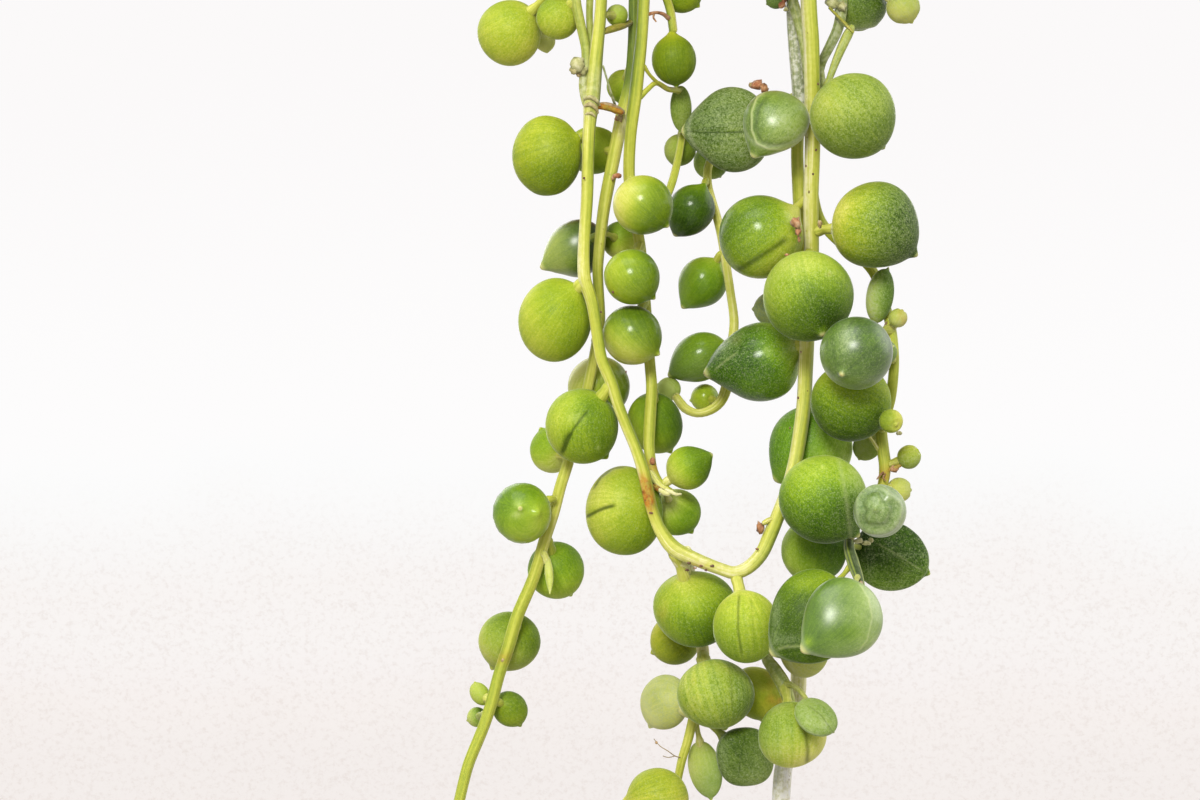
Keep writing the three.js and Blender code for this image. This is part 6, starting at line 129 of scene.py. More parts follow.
# Leaves: stem, pearl number or 0, detail, centre, radius, stretch, flatness, tip direction, base direction, groove or
# flat direction, stalk root, stem radius there, stalk radius, way to the darker side, tip, groove, lighter tone, darker
# tone, bloom on each side, brown, ring, flare, streak, bud, speckle, skin, width and height scale. The
# lighter-to-darker tone across a leaf is partly its own colour, partly painted light and shade.
LEAVES = [
    [0,1,2,-21.03,-62.17,-323.1,3.57,1,1,-0.32,0.94,0.12,0.66,-0.44,0.61,0.33,0.9,0.3,-13.53,-67.2,-316.18,0.53,0.55,250,0.14,0,0.78,0.66,0.02,0.05,0,0,0.2,0,0,0.3,0,1,1.03,0.66],
    [0,0,2,-15.65,-65,-321.75,2.38,1,1,-0.27,0.77,-0.58,0.62,-0.56,0.55,0.42,0.83,0.37,-13.64,-66.8,-319.98,0.55,0.36,250,0.12,0,0.74,0.6,0.02,0.05,0,0,0.2,0,0,0.3,0,1,1,0.62],
    [0,0,2,-17.19,-58.8,-323.63,1.18,1,1,0.17,0,-0.98,0.31,-0.6,0.74,0.23,0.8,0.55,-12.71,-67.39,-313.01,0.51,0.36,90,0.2,0,1.03,1,0.25,0.25,0,0,0,0,0,0,0,1,1,0.47],
    [0,2,2,-16.85,-65.51,-337.05,3.87,1.02,1,-0.34,0.94,0.06,0.87,-0.28,0.41,0.25,0.96,0.12,-12.21,-65,-334.85,0.69,0.55,45,0.14,0,0.62,0.4,0.03,0,0,0,0.3,0,0,0.2,0,0.98,1.15,0.79],
    [1,0,2,-11.72,-58,-335.82,2.7,1,1,-0.81,0.34,-0.47,0.51,-0.85,-0.12,0.83,0.52,-0.2,-9.38,-61.3,-336.3,0.75,0.3,48.4,0.14,0,0.73,0.58,0.02,0.01,0,0,0,0,0,0,0,1.14,1,0.52],
    [2,3,2,-2.73,-61,-325.99,2.46,1.12,1,0.09,0,-1,-0.08,0,1,0,1,0,-3.17,-60.2,-320.4,0.48,0.36,32.1,0.14,0,0.48,0.35,0,0.01,0,0,0.8,0,0,0,0,1,1,0.83],
    [1,0,2,-8.39,-56,-328.42,1.87,1,1,-0.17,0,-0.98,0.18,-0.93,0.32,0.45,0.37,0.81,-7.52,-60.53,-326.86,0.63,0.36,23.4,0.14,0,0.79,0.46,0,0,0,0,0.5,0,0,0,0,1,1,0.52],
    [0,0,2,-9.11,-63.5,-321.25,1.22,1,1,0.58,0.2,-0.79,-0.47,-0.87,-0.15,-0.83,0.49,-0.26,-11,-67,-321.84,0.67,0.36,83.4,0.14,0,0.86,0.68,0.46,0.05,0,0,0,0,0,0,0,1,1,0.55],
    [2,4,2,-6.26,-66.4,-342.51,3.31,1,1,0.74,-0.17,-0.65,-0.25,0.78,0.57,0.32,0.62,-0.72,-7.71,-61.9,-339.24,0.66,0.55,19,0.14,0,0.92,0.36,0.07,0,0,0,0,0,0,0,2,1,1,0.64],
    [2,5,2,-0.67,-55.31,-342.43,2.67,1.1,1,-0.54,0,-0.84,0.45,-0.3,0.85,-0.22,0.93,0.3,1.09,-53.6,-338.92,0.44,0.36,60,0.2,0,0.28,0.08,0,0,0,0,0.7,0,0,0,2,1,1,0.5],
    [1,0,2,-13.59,-58.56,-346.9,2.87,1.05,1,-0.88,0,-0.47,0.55,-0.78,0.29,0.69,0.62,0.36,-10.94,-62.3,-345.51,0.66,0.36,345.8,0.46,0,0.54,-0.02,0.18,0,0,0,0,0,0,0,1,1.08,1.12,0.78],
    [2,6,2,-7.48,-66.5,-350.45,3.08,1,1,0.72,0,-0.69,0.14,0.82,0.55,-0.2,0.57,-0.8,-6.53,-60.8,-346.66,0.62,0.55,358.4,0.14,0,0.74,0.39,0,0.01,0,0,0,0,0,0,2,1,1,0.59],
    [3,0,2,0.81,-51.51,-350.47,2.75,1.06,1,-0.63,0,-0.78,0.55,-0.3,0.78,0.47,0.85,0.25,2.69,-53.4,-347.34,0.48,0.36,42.5,0.34,0,0.6,0.43,0,0,0,0,0.7,0,0,0,2,1,1,0.3],
    [0,7,2,-15.99,-64.33,-355.14,4.16,1.04,1,-0.24,0.94,-0.24,0.55,-0.44,0.71,0.27,0.9,0.35,-12.65,-67,-350.8,0.73,0.55,352,0.14,0,0.73,0.53,0.03,0,0,0,0.55,0,0,0.15,0,0.98,1.1,0.63],
    [2,8,2,-7.45,-64.3,-356.8,3.27,1.03,1,0.8,-0.21,-0.57,0.26,0.66,0.71,-0.23,0.76,-0.61,-5.96,-60.6,-352.81,0.62,0.55,303.8,0.14,0,0.87,0.31,0.13,0,0,0,0,0,0,0,2,1,1,0.64],
    [3,0,2,0.42,-53,-359.09,2.74,1.2,1,-0.85,0,-0.53,0.92,-0.2,0.34,0.19,0.98,0.07,4.04,-53.8,-357.73,0.53,0.36,262.6,0.3,0,0.45,0.44,0.24,0,0,0,0.6,0,0,0,2,1,1,0.44],
    [1,0,2,-8.63,-56.94,-345.92,2.15,1,1,-0.66,0.7,0.29,-0.4,-0.92,0.07,-0.9,0.4,0.16,-10.94,-62.3,-345.51,0.66,0.36,247.3,0.14,0,1.03,0.49,0,0.04,0,0,0,0,0,0,0,1,1,0.45],
    [1,0,2,-11.11,-56,-362.53,3.51,1,1,-0.16,0.34,-0.93,-0.02,-0.7,0.72,0.02,-0.72,-0.7,-11.27,-61.43,-356.97,0.6,0.55,42.6,0.14,0.3,0.99,0.55,0,0,0,0,0.4,0,0,0,2,1,1,0.5],
    [0,9,2,-12.99,-65.36,-366.87,4.03,1.03,1,0.62,0.18,-0.77,0.53,-0.27,0.8,-0.66,-0.73,0.19,-9.79,-67,-362.02,0.64,0.55,355.5,0.12,1,0.74,0.38,0.02,0,0,0,0,0,0,0.3,0,1,1,0.55],
    [2,10,2,-4.79,-57.5,-366.6,3.1,1.15,1,0.49,0.17,-0.85,-0.08,-0.69,0.72,-0.08,0.72,0.69,-5.24,-61.4,-362.55,0.62,0.55,312,0.14,0,0.79,0.26,0.04,0,0,0,0.4,0,0,0,0,1,1,0.49],
    [1,0,2,-16.33,-56,-369.67,2.61,1,1,-0.5,0,0.87,0.29,-0.93,-0.24,0.71,0.37,-0.59,-14.61,-61.6,-371.1,0.66,0.36,245.7,0.14,0,1.01,0.59,0,0,0,0,0,0,0,0.15,0,1,1,0.39],
    [3,0,2,-3.11,-52.39,-362.74,1.37,1,1,-0.94,0,0.34,0.55,-0.5,-0.67,0.32,0.87,-0.38,-1.32,-54,-364.91,0.51,0.36,2.5,0.14,0,1.03,0.97,0,0,0,0,0,0,0,0,0,1,1,0.18],
    [3,0,2,1.05,-51,-363.77,1.61,1,1,-0.98,0,-0.17,0.47,-0.87,-0.13,0.84,0.49,-0.24,2.67,-54,-364.23,0.57,0.36,312.6,0.14,0,0.77,0.6,0,0,0,0,0,0,0,0,2,1,1,0.56],
    [2,11,2,-1.23,-63.6,-371.55,2.44,1,1,0.87,0,0.5,-0.82,0,-0.57,0,1,0,-4.12,-63.6,-373.55,0.48,0.36,329.7,0.3,0,0.94,0.38,0,0,0,0,0.3,0,0,0.15,0,1,1,0.46],
    [2,0,2,-2.45,-58.9,-376.59,2.64,1,1,0.59,0,-0.81,-0.32,-0.8,0.52,-0.42,0.61,0.68,-4.12,-63.6,-373.55,0.48,0.36,35.1,0.14,0,1.03,0.53,0,0,0,0,0.2,0,0,0.15,0,1.07,1,0.26],
    [0,12,2,-8.33,-62.72,-376.35,4.28,1.02,1,-0.31,0.95,0.03,0.54,-0.82,0.2,-0.8,-0.57,-0.18,-5.5,-65.4,-375.33,0.68,0.55,19.2,0.14,0.8,0.84,0.49,0.05,0,0,0,0,0,0,0.3,0,1,1.17,0.59],
    [1,13,2,-19.64,-64.55,-376.51,3.27,1,1,-0.03,-0.98,0.17,0.5,-0.86,0.02,-0.59,0.81,0,-16.22,-63.4,-375,0.66,0.42,233.3,0.12,0,0.77,0.4,0,0,0,0,0.5,0,0,0,2,1,1.03,0.38],
    [1,14,2,-15.96,-58,-383.16,3.21,1,1,0.47,0.34,-0.81,-0.21,-0.72,0.66,-0.22,0.7,0.68,-17.13,-62,-379.45,0.66,0.55,276.8,0.14,0,0.72,0.4,0,0,0,0,0.3,0,0,0.15,0,1,1,0.37],
    [1,0,2,-16.64,-64.8,-383.14,0.66,3,0.7,-0.03,-0.24,-0.97,-0.25,0.76,0.61,-0.07,-0.85,0.53,-17.55,-62,-380.89,0.67,0.36,90,0.4,0,0.95,0.9,0.3,0.3,0,0,0,0,0,0,0,0.72,1,0.53],
    [1,15,2,-21.21,-57.6,-391.19,3.5,1,1,-0.52,0,-0.86,0.18,-0.81,0.55,-0.97,-0.05,0.24,-20.25,-62,-388.2,0.7,0.55,311.4,0.14,0.8,0.83,0.36,0.34,0,0,0,0,0,0,0.2,0,1,0.95,0.72],
    [1,0,2,-24.43,-60.5,-396.91,1.06,1.35,1,-0.34,0,0.94,0.65,-0.7,-0.3,0.63,0.72,-0.29,-23.04,-62,-397.56,0.68,0.36,359.6,0.14,0,0.76,0.61,0.25,0.13,0,0,0.4,0,0,0,0,1,1,0.6],
    [1,0,2,-24.86,-58,-399.73,1.13,1,1,-0.94,0,-0.34,0.32,-0.93,0.17,0.83,0.36,0.43,-23.51,-62,-399.02,0.67,0.36,341.9,0.14,0,0.75,0.21,0.39,0,0,0,0,0,0,0,0,1,1,0.62],
    [1,0,2,-21.12,-59,-398.73,1.91,1.15,1,0.49,0.17,-0.85,-0.51,-0.8,0.31,-0.68,0.6,0.42,-23.04,-62,-397.56,0.68,0.36,272.7,0.14,0,0.53,0.31,0.02,0.02,0,0,0.4,0,0,0.2,0,1,1,0.7],
    [0,16,2,-0.41,-62.24,-387.29,4.57,1,1,0.13,0.87,-0.48,-0.29,-0.54,0.79,-0.18,0.84,0.5,-2.97,-67,-380.23,0.88,0.69,40.4,0.14,0,0.64,0.43,0.02,0,0,0,0.6,0,0,0.35,0,1.02,0.93,0.54],
    [0,0,2,-2.45,-53.77,-391.35,2.85,1,1,-0.85,0.17,-0.49,0.72,-0.6,0.35,0.54,0.8,0.26,0.22,-56,-390.06,0.66,0.36,60,0.14,0,0.66,0.5,0.05,0.05,0,0,0.3,0,0,0.1,0,1,1,0.97],
    [0,17,2,5.04,-68.72,-388.85,3.72,1.02,1,0.03,0.81,-0.59,-0.2,0.28,0.94,-0.31,-0.93,0.21,3.79,-67,-383.03,0.73,0.55,102.7,0.14,0.7,0.79,0.55,0,0.05,0,0,0.35,0,0,0.35,0,1,1.05,0.55],
    [0,18,2,1.86,-64.08,-396.6,4.21,1,1,0.23,0.26,-0.94,-0.19,0.8,0.57,-0.25,-0.6,0.76,0.59,-58.6,-392.69,0.68,0.69,28.5,0.14,0.55,0.64,0.53,0.17,0.15,0,0,0.3,0.75,0,0.5,0,1,0.93,0.64],
    [0,0,2,-3.64,-56,-398.22,3.06,1.2,0.6,-0.46,0.32,-0.83,0.66,-0.71,-0.24,-0.65,-0.76,-0.07,-0.45,-59.4,-399.37,0.53,0.55,258,0.14,0,1.03,0.95,0.62,0.66,0,0,0,0,0,0,0,0.94,1,0.62],
    [0,0,2,6.67,-58.52,-396.98,2.81,1.12,1,0.17,0,-0.98,-0.97,-0.1,0.23,-0.1,0.99,0.02,0.35,-59.2,-395.46,0.66,0.36,46,0.14,0,0.86,0.72,0.02,0,0.34,0,0.3,0,0,0,0,1,1,0.6],
    [4,19,2,12.08,-72.51,-387.46,4.55,1.06,0.5,-0.78,0,-0.63,0.57,0.37,0.73,0.04,-0.97,0.22,16.63,-69.6,-381.69,0.64,0.3,160.3,0.26,0.5,0.49,0.17,0,0,0,0,0,0,0,0.2,0,1,1.1,0.64],
    [4,20,2,14.96,-77.53,-387.29,4.22,1.06,0.6,-0.78,-0.22,-0.59,0.38,0.45,0.81,0.31,-0.86,0.41,17.01,-71.8,-383.22,0.55,0.3,191.2,0.34,0.7,0.53,0.3,0.42,0,0,0,0,0,0,0,1,1,1,0.41],
    [3,0,2,11.85,-62.13,-391.31,3.68,1,0.7,-0.92,-0.38,0.12,-0.03,1,0.08,0.84,-0.54,-0.04,11.58,-53.92,-390.65,0.85,0.55,51,0.14,0,1.01,0.81,0.5,0.47,0,0,0,0,0,0,0,1,1,0.79],
    [3,0,2,10.08,-67.77,-400.77,3.68,1,1,-0.07,0.52,-0.85,-0.1,0.62,0.78,0.35,-0.71,0.61,9.37,-63.6,-395.53,0.79,0.55,211,0.14,0.7,1.02,0.56,0.17,0.17,0,0,0,0.2,0,0.4,0,1,1,0.6],
    [3,0,2,12.42,-72.21,-398.37,2.28,1.12,0.5,0.63,0.17,-0.75,-0.32,0.9,0.3,0.22,-0.7,0.68,9.37,-63.6,-395.53,0.79,0.36,60,0.14,0,0.6,0.48,0.45,0.4,0,0,0,0,0,0.2,0,1,1,0.51],
    [0,0,2,5.21,-61,-403.91,3.47,1.12,0.55,0.13,0.87,-0.48,-0.76,0.22,0.61,0.26,-0.91,-0.32,-0.45,-59.4,-399.37,0.53,0.55,232.8,0.14,0.5,0.38,0.13,0.3,0.01,0,0,0,0,0,0.35,0,0.92,1,0.72],
    [0,0,2,0.84,-57.84,-405.6,2.03,1.62,0.5,0.17,0,-0.98,-0.2,-0.24,0.95,-0.44,-0.87,-0.19,-0.45,-59.4,-399.37,0.53,0.36,47.8,0.14,0,0.93,0.56,0.31,0.4,0,0,0,0,0,0,0,1,1,0.42],
    [0,21,2,-4.55,-63,-408.37,3.45,1,1,-1,0.06,-0.04,0.41,0.89,0.19,-0.81,0.45,-0.37,-2.33,-58.2,-407.37,0.44,0.55,261.9,0.14,0,1.03,0.56,0.26,0.06,0,0,0.3,0.6,0,0.3,0,1,1,0.89],
    [4,22,2,16.65,-69.35,-332.96,4.7,1,1,0.67,0.4,-0.63,-0.33,0.69,0.64,0.32,0.72,-0.61,13.35,-61.4,-328.26,0.48,0.55,44.8,0.14,0,0.56,0.38,0.2,0.15,0,0,0.2,0,0,0.45,0,1,1,0.73],
    [3,23,2,3.84,-59,-333.6,4.61,1,0.6,-1,0,-0.05,0.71,0.59,0.38,0.31,-0.95,0.08,8.06,-55.5,-331.33,0.44,0.55,182.7,0.26,1,0.41,0.23,0.44,0.24,0,0,0,0,0,0.6,0,1,1.05,0.71],
    [3,24,2,8.38,-66.69,-333.28,3.63,1.04,0.8,-0.51,-0.09,-0.85,0.18,0.92,0.36,0.03,-0.78,0.63,9.91,-59,-330.28,0.46,0.55,192.8,0.36,0.6,0.55,0.4,0.4,0.11,0,0,0,0,0,0.4,1,1,1,0.57],
    [0,25,2,6.85,-64.01,-345.92,4.66,1,1,-0.39,0.87,-0.31,0.79,0.07,0.61,-0.34,-0.78,0.52,12.43,-61.3,-341.57,0.88,0.55,217.5,0.14,0.8,0.81,0.38,0,0,0,0,0.55,0,0,0.45,2,1,1,0.51],
    [0,26,2,19.3,-67,-344.81,4.84,1,1,0.81,0,-0.59,-0.85,0.52,-0.08,0.52,0.85,0.05,12.49,-62.81,-345.44,0.86,0.55,12,0.15,0,0.74,0.16,0.02,0.12,0,0,0.5,0,0,0.8,0,1,1,0.68],
    [0,27,2,11.72,-69.56,-352.64,4.97,1,1,0.26,-0.56,-0.79,0.09,0.8,0.59,-0.12,0.6,-0.79,12.49,-62.5,-347.41,0.86,0.55,61.2,0.12,0,0.72,0.29,0.09,0,0,0,0,0,0,0.45,0,1,1,0.54],
    [0,28,2,6.97,-59.35,-359.73,4.44,1.08,1,-0.98,0,-0.21,0.85,-0.44,0.3,-0.51,-0.49,0.71,11.99,-61.94,-357.92,0.84,0.55,176.5,0.34,0.3,0.6,0.22,0,0.01,0,0,0.5,0,0,0.7,2,1,1,0.19],
    [4,29,2,16.58,-74.51,-358.94,3.93,1,1,-0.41,-0.73,-0.54,0.37,0.9,0.21,0.79,-0.43,0.45,21.38,-62.8,-356.21,0.55,0.55,305.5,0.14,0.2,0.32,0.19,0.13,0,0,0,0,0,0,0.35,1,1,1,0.47],
    [4,0,2,16.62,-66.84,-364.22,4.4,1,1,-0.74,0.55,0.38,0.75,0.6,-0.27,-0.56,0.8,0.2,20.64,-63.66,-365.67,0.63,0.55,96.8,0.14,0,0.69,0.22,0,0,0,0,0,0,0,0.5,0,1,1,0.57],
    [4,0,2,20.13,-63,-352.44,2.28,1.35,0.6,0.42,0,0.91,-0.3,0.2,-0.93,0.2,-0.97,0.1,21.07,-61.2,-354.17,0.54,0.36,350.5,0.14,0,0.87,0.34,0.65,0.12,0,0,0.3,0,0,0.3,0,0.66,1,0.4],
    [4,0,2,21.98,-64.72,-354.92,1.05,1,1,0.5,0,0.87,-0.25,0.8,-0.54,0.34,0.6,0.73,21.38,-62.8,-356.21,0.55,0.36,211.2,0.14,0,1.03,0.87,0.59,0.29,0.5,0,0,0,1,0,0,1,1,0.54],
    [4,0,2,20.33,-66,-358.71,1.43,1,1,0.6,-0.69,0.41,0.51,0.73,-0.44,-0.56,0.68,0.48,21.59,-64.2,-359.79,0.55,0.36,60,0.14,0,0.42,0.32,0.3,0.3,0,0,0.4,0,0,0,0,1,1,0.58],
    [4,0,2,20.67,-70.86,-366.29,1.31,1,1,0.38,-0.87,-0.32,-0.06,0.99,-0.14,0.41,0.16,0.9,20.2,-63.6,-367.33,0.66,0.36,181.9,0.14,0,0.88,0.47,0.21,0.07,0,0,0,0,1,0,0,1,1,0.74],
    [4,0,2,23.21,-64.6,-370.31,1.33,1,1,0.72,-0.34,0.6,-0.9,0.21,-0.39,0.19,0.98,0.08,20.61,-64,-371.43,0.66,0.36,79.3,0.14,0,0.76,0.6,0.18,0.35,0,0,0,0,1,0.4,0,1,1,0.77],
    [4,0,2,22.25,-63,-374.01,1.39,1,1,1,0,0,-0.89,-0.45,0.11,-0.45,0.89,0.06,20.27,-64,-373.76,0.55,0.36,152.6,0.14,0,0.96,0.93,0.48,0.15,0,0,0,0,1,0,0,1,1,0.59],
    [3,0,2,12.8,-57.72,-369.3,4.68,1,1,-0.73,0,-0.68,-0.04,0.65,0.76,0.04,0.76,-0.65,12.46,-52.84,-363.64,0.71,0.55,222.7,0.2,0,0.94,0.41,0,0.01,0,0,0.3,0,0,0.5,0,1,1,0.04],
    [4,0,2,18.95,-59.8,-369.16,1.57,1.2,0.5,-0.5,0,-0.87,0.28,-0.86,0.42,-0.26,-0.87,-0.43,20.2,-63.6,-367.33,0.66,0.36,359.7,0.14,0,0.82,0.61,0.57,0.25,0,0,0,0,0,0,0,1,1,0.51],
    [0,30,2,13.35,-69.75,-374.81,4.8,1.02,1,0.68,-0.14,-0.72,-0.45,0.79,0.42,0.57,0.62,-0.54,10.32,-64.5,-371.97,0.77,0.55,101.4,0.16,0,0.71,0.3,0,0,0,0,0,0,0,0.6,0,1,1,0.37],
    [4,31,2,19.1,-75.39,-375.93,2.85,1,1,-0.24,-0.97,0.09,0.1,0.98,0.19,-0.47,0.21,-0.86,20.27,-64,-373.76,0.55,0.36,221,0.14,0,0.44,0.34,0.5,0.3,0,0.6,0,0,0,0.4,1,1,1,0.44],
    [4,0,2,21.47,-60.5,-381.46,3.86,1.12,0.55,0.91,0,-0.42,-0.8,0.55,0.22,0.41,-0.9,-0.16,16.36,-67.4,-379.93,0.57,0.4,258.5,0.14,0.4,0.4,0.04,0.13,0,0,0,0,0,0,0.8,0,1,1,0.35],
    [3,0,2,12.99,-60,-380.81,3.7,1,1,-0.3,-0.02,-0.95,-0.1,0.92,0.37,0.25,0.38,-0.89,12.25,-53.51,-378.24,0.76,0.55,339.4,0.14,0,0.77,0.21,0.06,0,0,0,0,0,0,0.3,0,1,1,0.27],
    [3,0,2,8.48,-54,-353.64,1.94,1,1,-1,0,0,0.74,-0.67,0.07,0.67,0.74,0.07,12,-57.19,-353.28,0.68,0.36,90.2,0.14,0,1.03,1,0.95,0.95,0,0,0,0,0,0,0,1,1,0.52],
    [4,0,2,18.22,-60.49,-320.11,2.91,1,0.7,-0.38,0.63,-0.68,-0.64,-0.64,0.43,0.17,-0.67,-0.72,15.89,-62.79,-318.58,0.61,0.36,311.3,0.14,0,0.45,0.14,0.19,0,0,0.3,0,0,0,0.6,2,1,1,0.61],
    [4,0,2,22.66,-63.4,-320.35,1.89,1,1,0.5,0,-0.87,-0.85,0.07,0.52,0.06,1,-0.04,15.81,-62.8,-316.16,0.59,0.36,284.5,0.14,0,0.94,0.82,0.44,0.5,0,0.12,0,0,0,0,0,1,1,0.73],
    [3,0,2,8.57,-63,-319.41,1.11,1,1,-0.87,0,-0.5,0.77,0.49,0.4,-0.44,0.87,-0.23,10.39,-61.84,-318.47,0.65,0.36,60,0.14,0,0.4,0.3,0.3,0.2,0,0,0,0,0,0,0,1,1,0.48],
    [2,0,2,-1.8,-59.56,-318.21,2.36,1,0.8,0.77,0,-0.64,-0.71,-0.7,-0.09,0.38,-0.91,-0.14,-3.86,-61.6,-318.46,0.46,0.36,235.2,0.14,0,0.49,0.21,0,0,0,0,0,0,0,0,0,1,1,0.7],
    [2,0,2,-1.84,-52.13,-335.38,1.83,1,1,-0.34,0,-0.94,0.1,-0.62,0.78,0.08,0.79,0.61,-1.55,-54,-333.02,0.41,0.36,355.6,0.14,0,0.67,0.36,0.33,0.02,0,0,0,0,0,0,0,1,1,0.74],
    [3,0,2,1.83,-48.5,-336.5,2.02,1,1,0.51,0.41,-0.76,-0.09,-0.98,-0.15,-0.49,0.18,-0.85,1.46,-52.5,-337.13,0.46,0.36,322.7,0.14,0,0.54,0.14,0.2,0,0,0,0,0,0,0,0,1,1,0.56],
    [2,0,2,-1.85,-57.03,-331.01,1.41,1.85,0.65,-0.09,0,-1,-0.17,-0.46,0.87,0,-1,0,-2.21,-58,-329.18,0.33,0.36,263.9,0.14,0,0.52,0.36,0.28,0.11,0,0,0,0,0,0.2,0,0.86,1,0.69],
    [0,0,1,-12.68,-37.48,-200.5,2.82,1.07,1,-0.38,0.6,0.7,0.1,-0.21,-0.97,-0.07,0.97,-0.22,-12.18,-38.56,-205.42,0.7,0.42,53,0.18,0.5,0.53,0.28,0.09,0.1,0,0,0,0,0,0.32,0,1,1,0.36],
    [0,0,1,-19.2,-49.13,-197.37,3.82,1.02,1,-0.86,-0.52,0.03,0.9,0.04,-0.43,0.01,-1,-0.08,-13.89,-48.89,-199.92,0.7,0.42,32,0.17,0,0.48,0.23,0.2,0.24,0,0,0,0,0,0.28,1,1,1,0.41],
    [0,0,1,-16.93,-61.96,-192.41,3.78,1.03,1,-0.57,-0.73,0.36,0.35,0.48,-0.8,-0.14,0.87,0.46,-14.91,-59.19,-197.01,0.7,0.42,81,0.16,0.8,0.44,0.17,0.01,0.02,0,0,0,0,0,0.24,0,1,1,0.46],
    [0,0,1,-18.55,-71.66,-207.52,4.51,1.12,1,-0.44,-0.87,-0.24,0.56,0.82,0.1,-0.83,0.55,0.13,-14.95,-66.38,-206.9,0.7,0.42,60,0.13,0,0.56,0.28,0.02,0.02,0,0,0,0,0,0.2,0,1,1,0.52],
    [0,0,1,-18.4,-61.41,-221.4,3.75,1.06,1,-0.52,0.73,-0.45,0.49,-0.79,0.38,-0.45,0.15,0.88,-14.8,-67.19,-218.62,0.7,0.42,88,0.17,0,0.55,0.24,0.05,0.06,0,0,0,0,0,0.12,0,1,1,0.41],
    [0,0,1,-10.45,-71.97,-233.15,4.5,1.02,1,0.75,-0.64,-0.19,-0.62,0.76,0.18,-0.74,-0.5,-0.45,-14.53,-67.02,-231.94,0.7,0.42,67,0.12,0,0.51,0.19,0.08,0.09,0,0,0,0,0,0.08,0,1,1,0.46],
    [0,0,1,-19.92,-68.84,-244.72,4.39,1.05,1,-0.8,0.05,-0.59,0.92,0.28,0.28,0.35,-0.23,-0.91,-13.95,-67.02,-242.92,0.7,0.42,46,0.11,0,0.61,0.29,0.07,0.09,0,0,0,0,0,0.04,0,1,1,0.51],
    [0,0,1,-18.21,-64.18,-257.58,3.54,1.03,1,-0.91,0.09,-0.4,0.82,-0.44,0.36,0.27,0.86,0.44,-12.89,-67.01,-255.25,0.7,0.42,25,0.17,0,0.56,0.34,0.16,0.19,0,0,0,0,0,0,2,1,1,0.56],
    [0,0,1,-8.37,-71.29,-268.7,3.37,1,1,0.62,-0.71,-0.32,-0.66,0.73,0.19,-0.32,-0.04,-0.95,-12.23,-67,-267.58,0.7,0.42,74,0.12,0.5,0.59,0.35,0.08,0.1,0,0,0,0,0,0.36,0,1,1,0.61],
    [0,0,1,-17.84,-70.23,-281.13,3.43,1.02,1,-0.76,-0.34,-0.56,0.85,0.5,0.19,0.44,-0.46,-0.77,-12.31,-67,-279.92,0.7,0.42,53,0.13,0.5,0.54,0.29,0,0,0,0,0,0,0,0.32,0,1,1,0.36],
    [0,0,1,-18.22,-67.15,-293.88,3.62,1,1,-0.88,0.25,-0.41,0.96,0.02,0.27,-0.21,-0.55,0.81,-12.33,-67,-292.25,0.7,0.42,32,0.11,0.8,0.56,0.31,0.08,0.1,0,0,0,0,0,0.28,2,1,1,0.41],
    [0,0,1,-8.98,-72,-305.18,3.78,1.03,1,0.4,-0.74,-0.54,-0.47,0.87,0.15,-0.16,-0.26,0.95,-11.72,-67,-304.29,0.67,0.42,81,0.18,0.5,0.47,0.21,0.07,0.09,0,0,0,0,0,0.24,0,1,1,0.46],
    [0,0,1,8.48,-72.09,-312.23,4.31,1.1,1,-0.41,-0.81,-0.42,0.51,0.84,0.18,-0.83,0.42,0.37,12.12,-66.13,-310.92,0.89,0.42,60,0.17,0,0.58,0.3,0.02,0.02,0,0,0,0,0,0.2,0,1,1,0.52],
    [0,0,1,19.3,-68.06,-300.58,3.8,1.03,1,0.8,-0.3,-0.51,-0.94,0.25,0.24,-0.28,-0.96,-0.07,12.41,-66.2,-298.8,0.87,0.42,39,0.22,0,0.5,0.21,0.16,0.2,0,0,0,0,0,0.16,2,1,1,0.57],
    [0,0,1,6.68,-66.86,-289.03,3.39,1.12,1,-0.74,-0.33,-0.59,0.97,0.09,0.24,-0.07,-0.81,0.59,12.77,-66.29,-287.54,0.86,0.42,67,0.15,0,0.66,0.35,0.1,0.12,0,0,0,0,0,0.08,0,1,1,0.46],
    [0,0,1,14.03,-72.48,-277.87,3.95,1,1,0.25,-0.87,-0.43,-0.12,0.98,0.18,-0.87,-0.02,-0.49,13.3,-66.39,-276.76,0.86,0.42,46,0.16,0,0.58,0.26,0.1,0.13,0,0,0,0,0,0.04,0,1,1,0.51],
    [0,0,1,12.27,-73.08,-265.67,3.71,1.06,1,-0.12,-0.86,-0.49,0.21,0.96,0.18,0.02,0.18,-0.98,13.72,-66.5,-264.44,0.86,0.42,25,0.19,0,0.48,0.26,0,0,0,0,0,0,0,0,2,1,1,0.56],
    [0,0,1,17.19,-73.26,-254.95,4.34,1.02,1,0.37,-0.83,-0.43,-0.47,0.87,0.17,0.32,0.34,-0.88,13.59,-66.61,-253.66,0.86,0.42,74,0.19,0,0.59,0.36,0.13,0.16,0,0,0,0,0,0.36,0,1,1,0.61],
    [0,0,1,16.29,-60.72,-244.02,4.24,1.05,1,0.71,0.55,-0.43,-0.42,-0.83,0.37,0.52,-0.55,-0.65,13.27,-66.73,-241.34,0.86,0.42,53,0.17,0,0.53,0.29,0.07,0.08,0,0,0,0,0,0.32,0,1,1,0.36],
    [0,0,1,11.12,-72.74,-231.41,3.56,1.05,1,-0.28,-0.83,-0.48,0.36,0.91,0.18,0.45,-0.34,0.82,13.45,-66.85,-230.25,0.86,0.42,32,0.17,0,0.48,0.22,0.11,0.14,0,0,0,0,0,0.28,2,1,1,0.41],
    [0,0,1,16.45,-73.01,-219.85,3.68,1.11,1,0.09,-0.83,-0.55,-0.37,0.91,0.19,0.91,0.32,0.26,14.02,-67.1,-218.61,0.86,0.42,81,0.18,0,0.54,0.27,0.09,0.11,0,0,0,0,0,0.24,0,1,1,0.46],
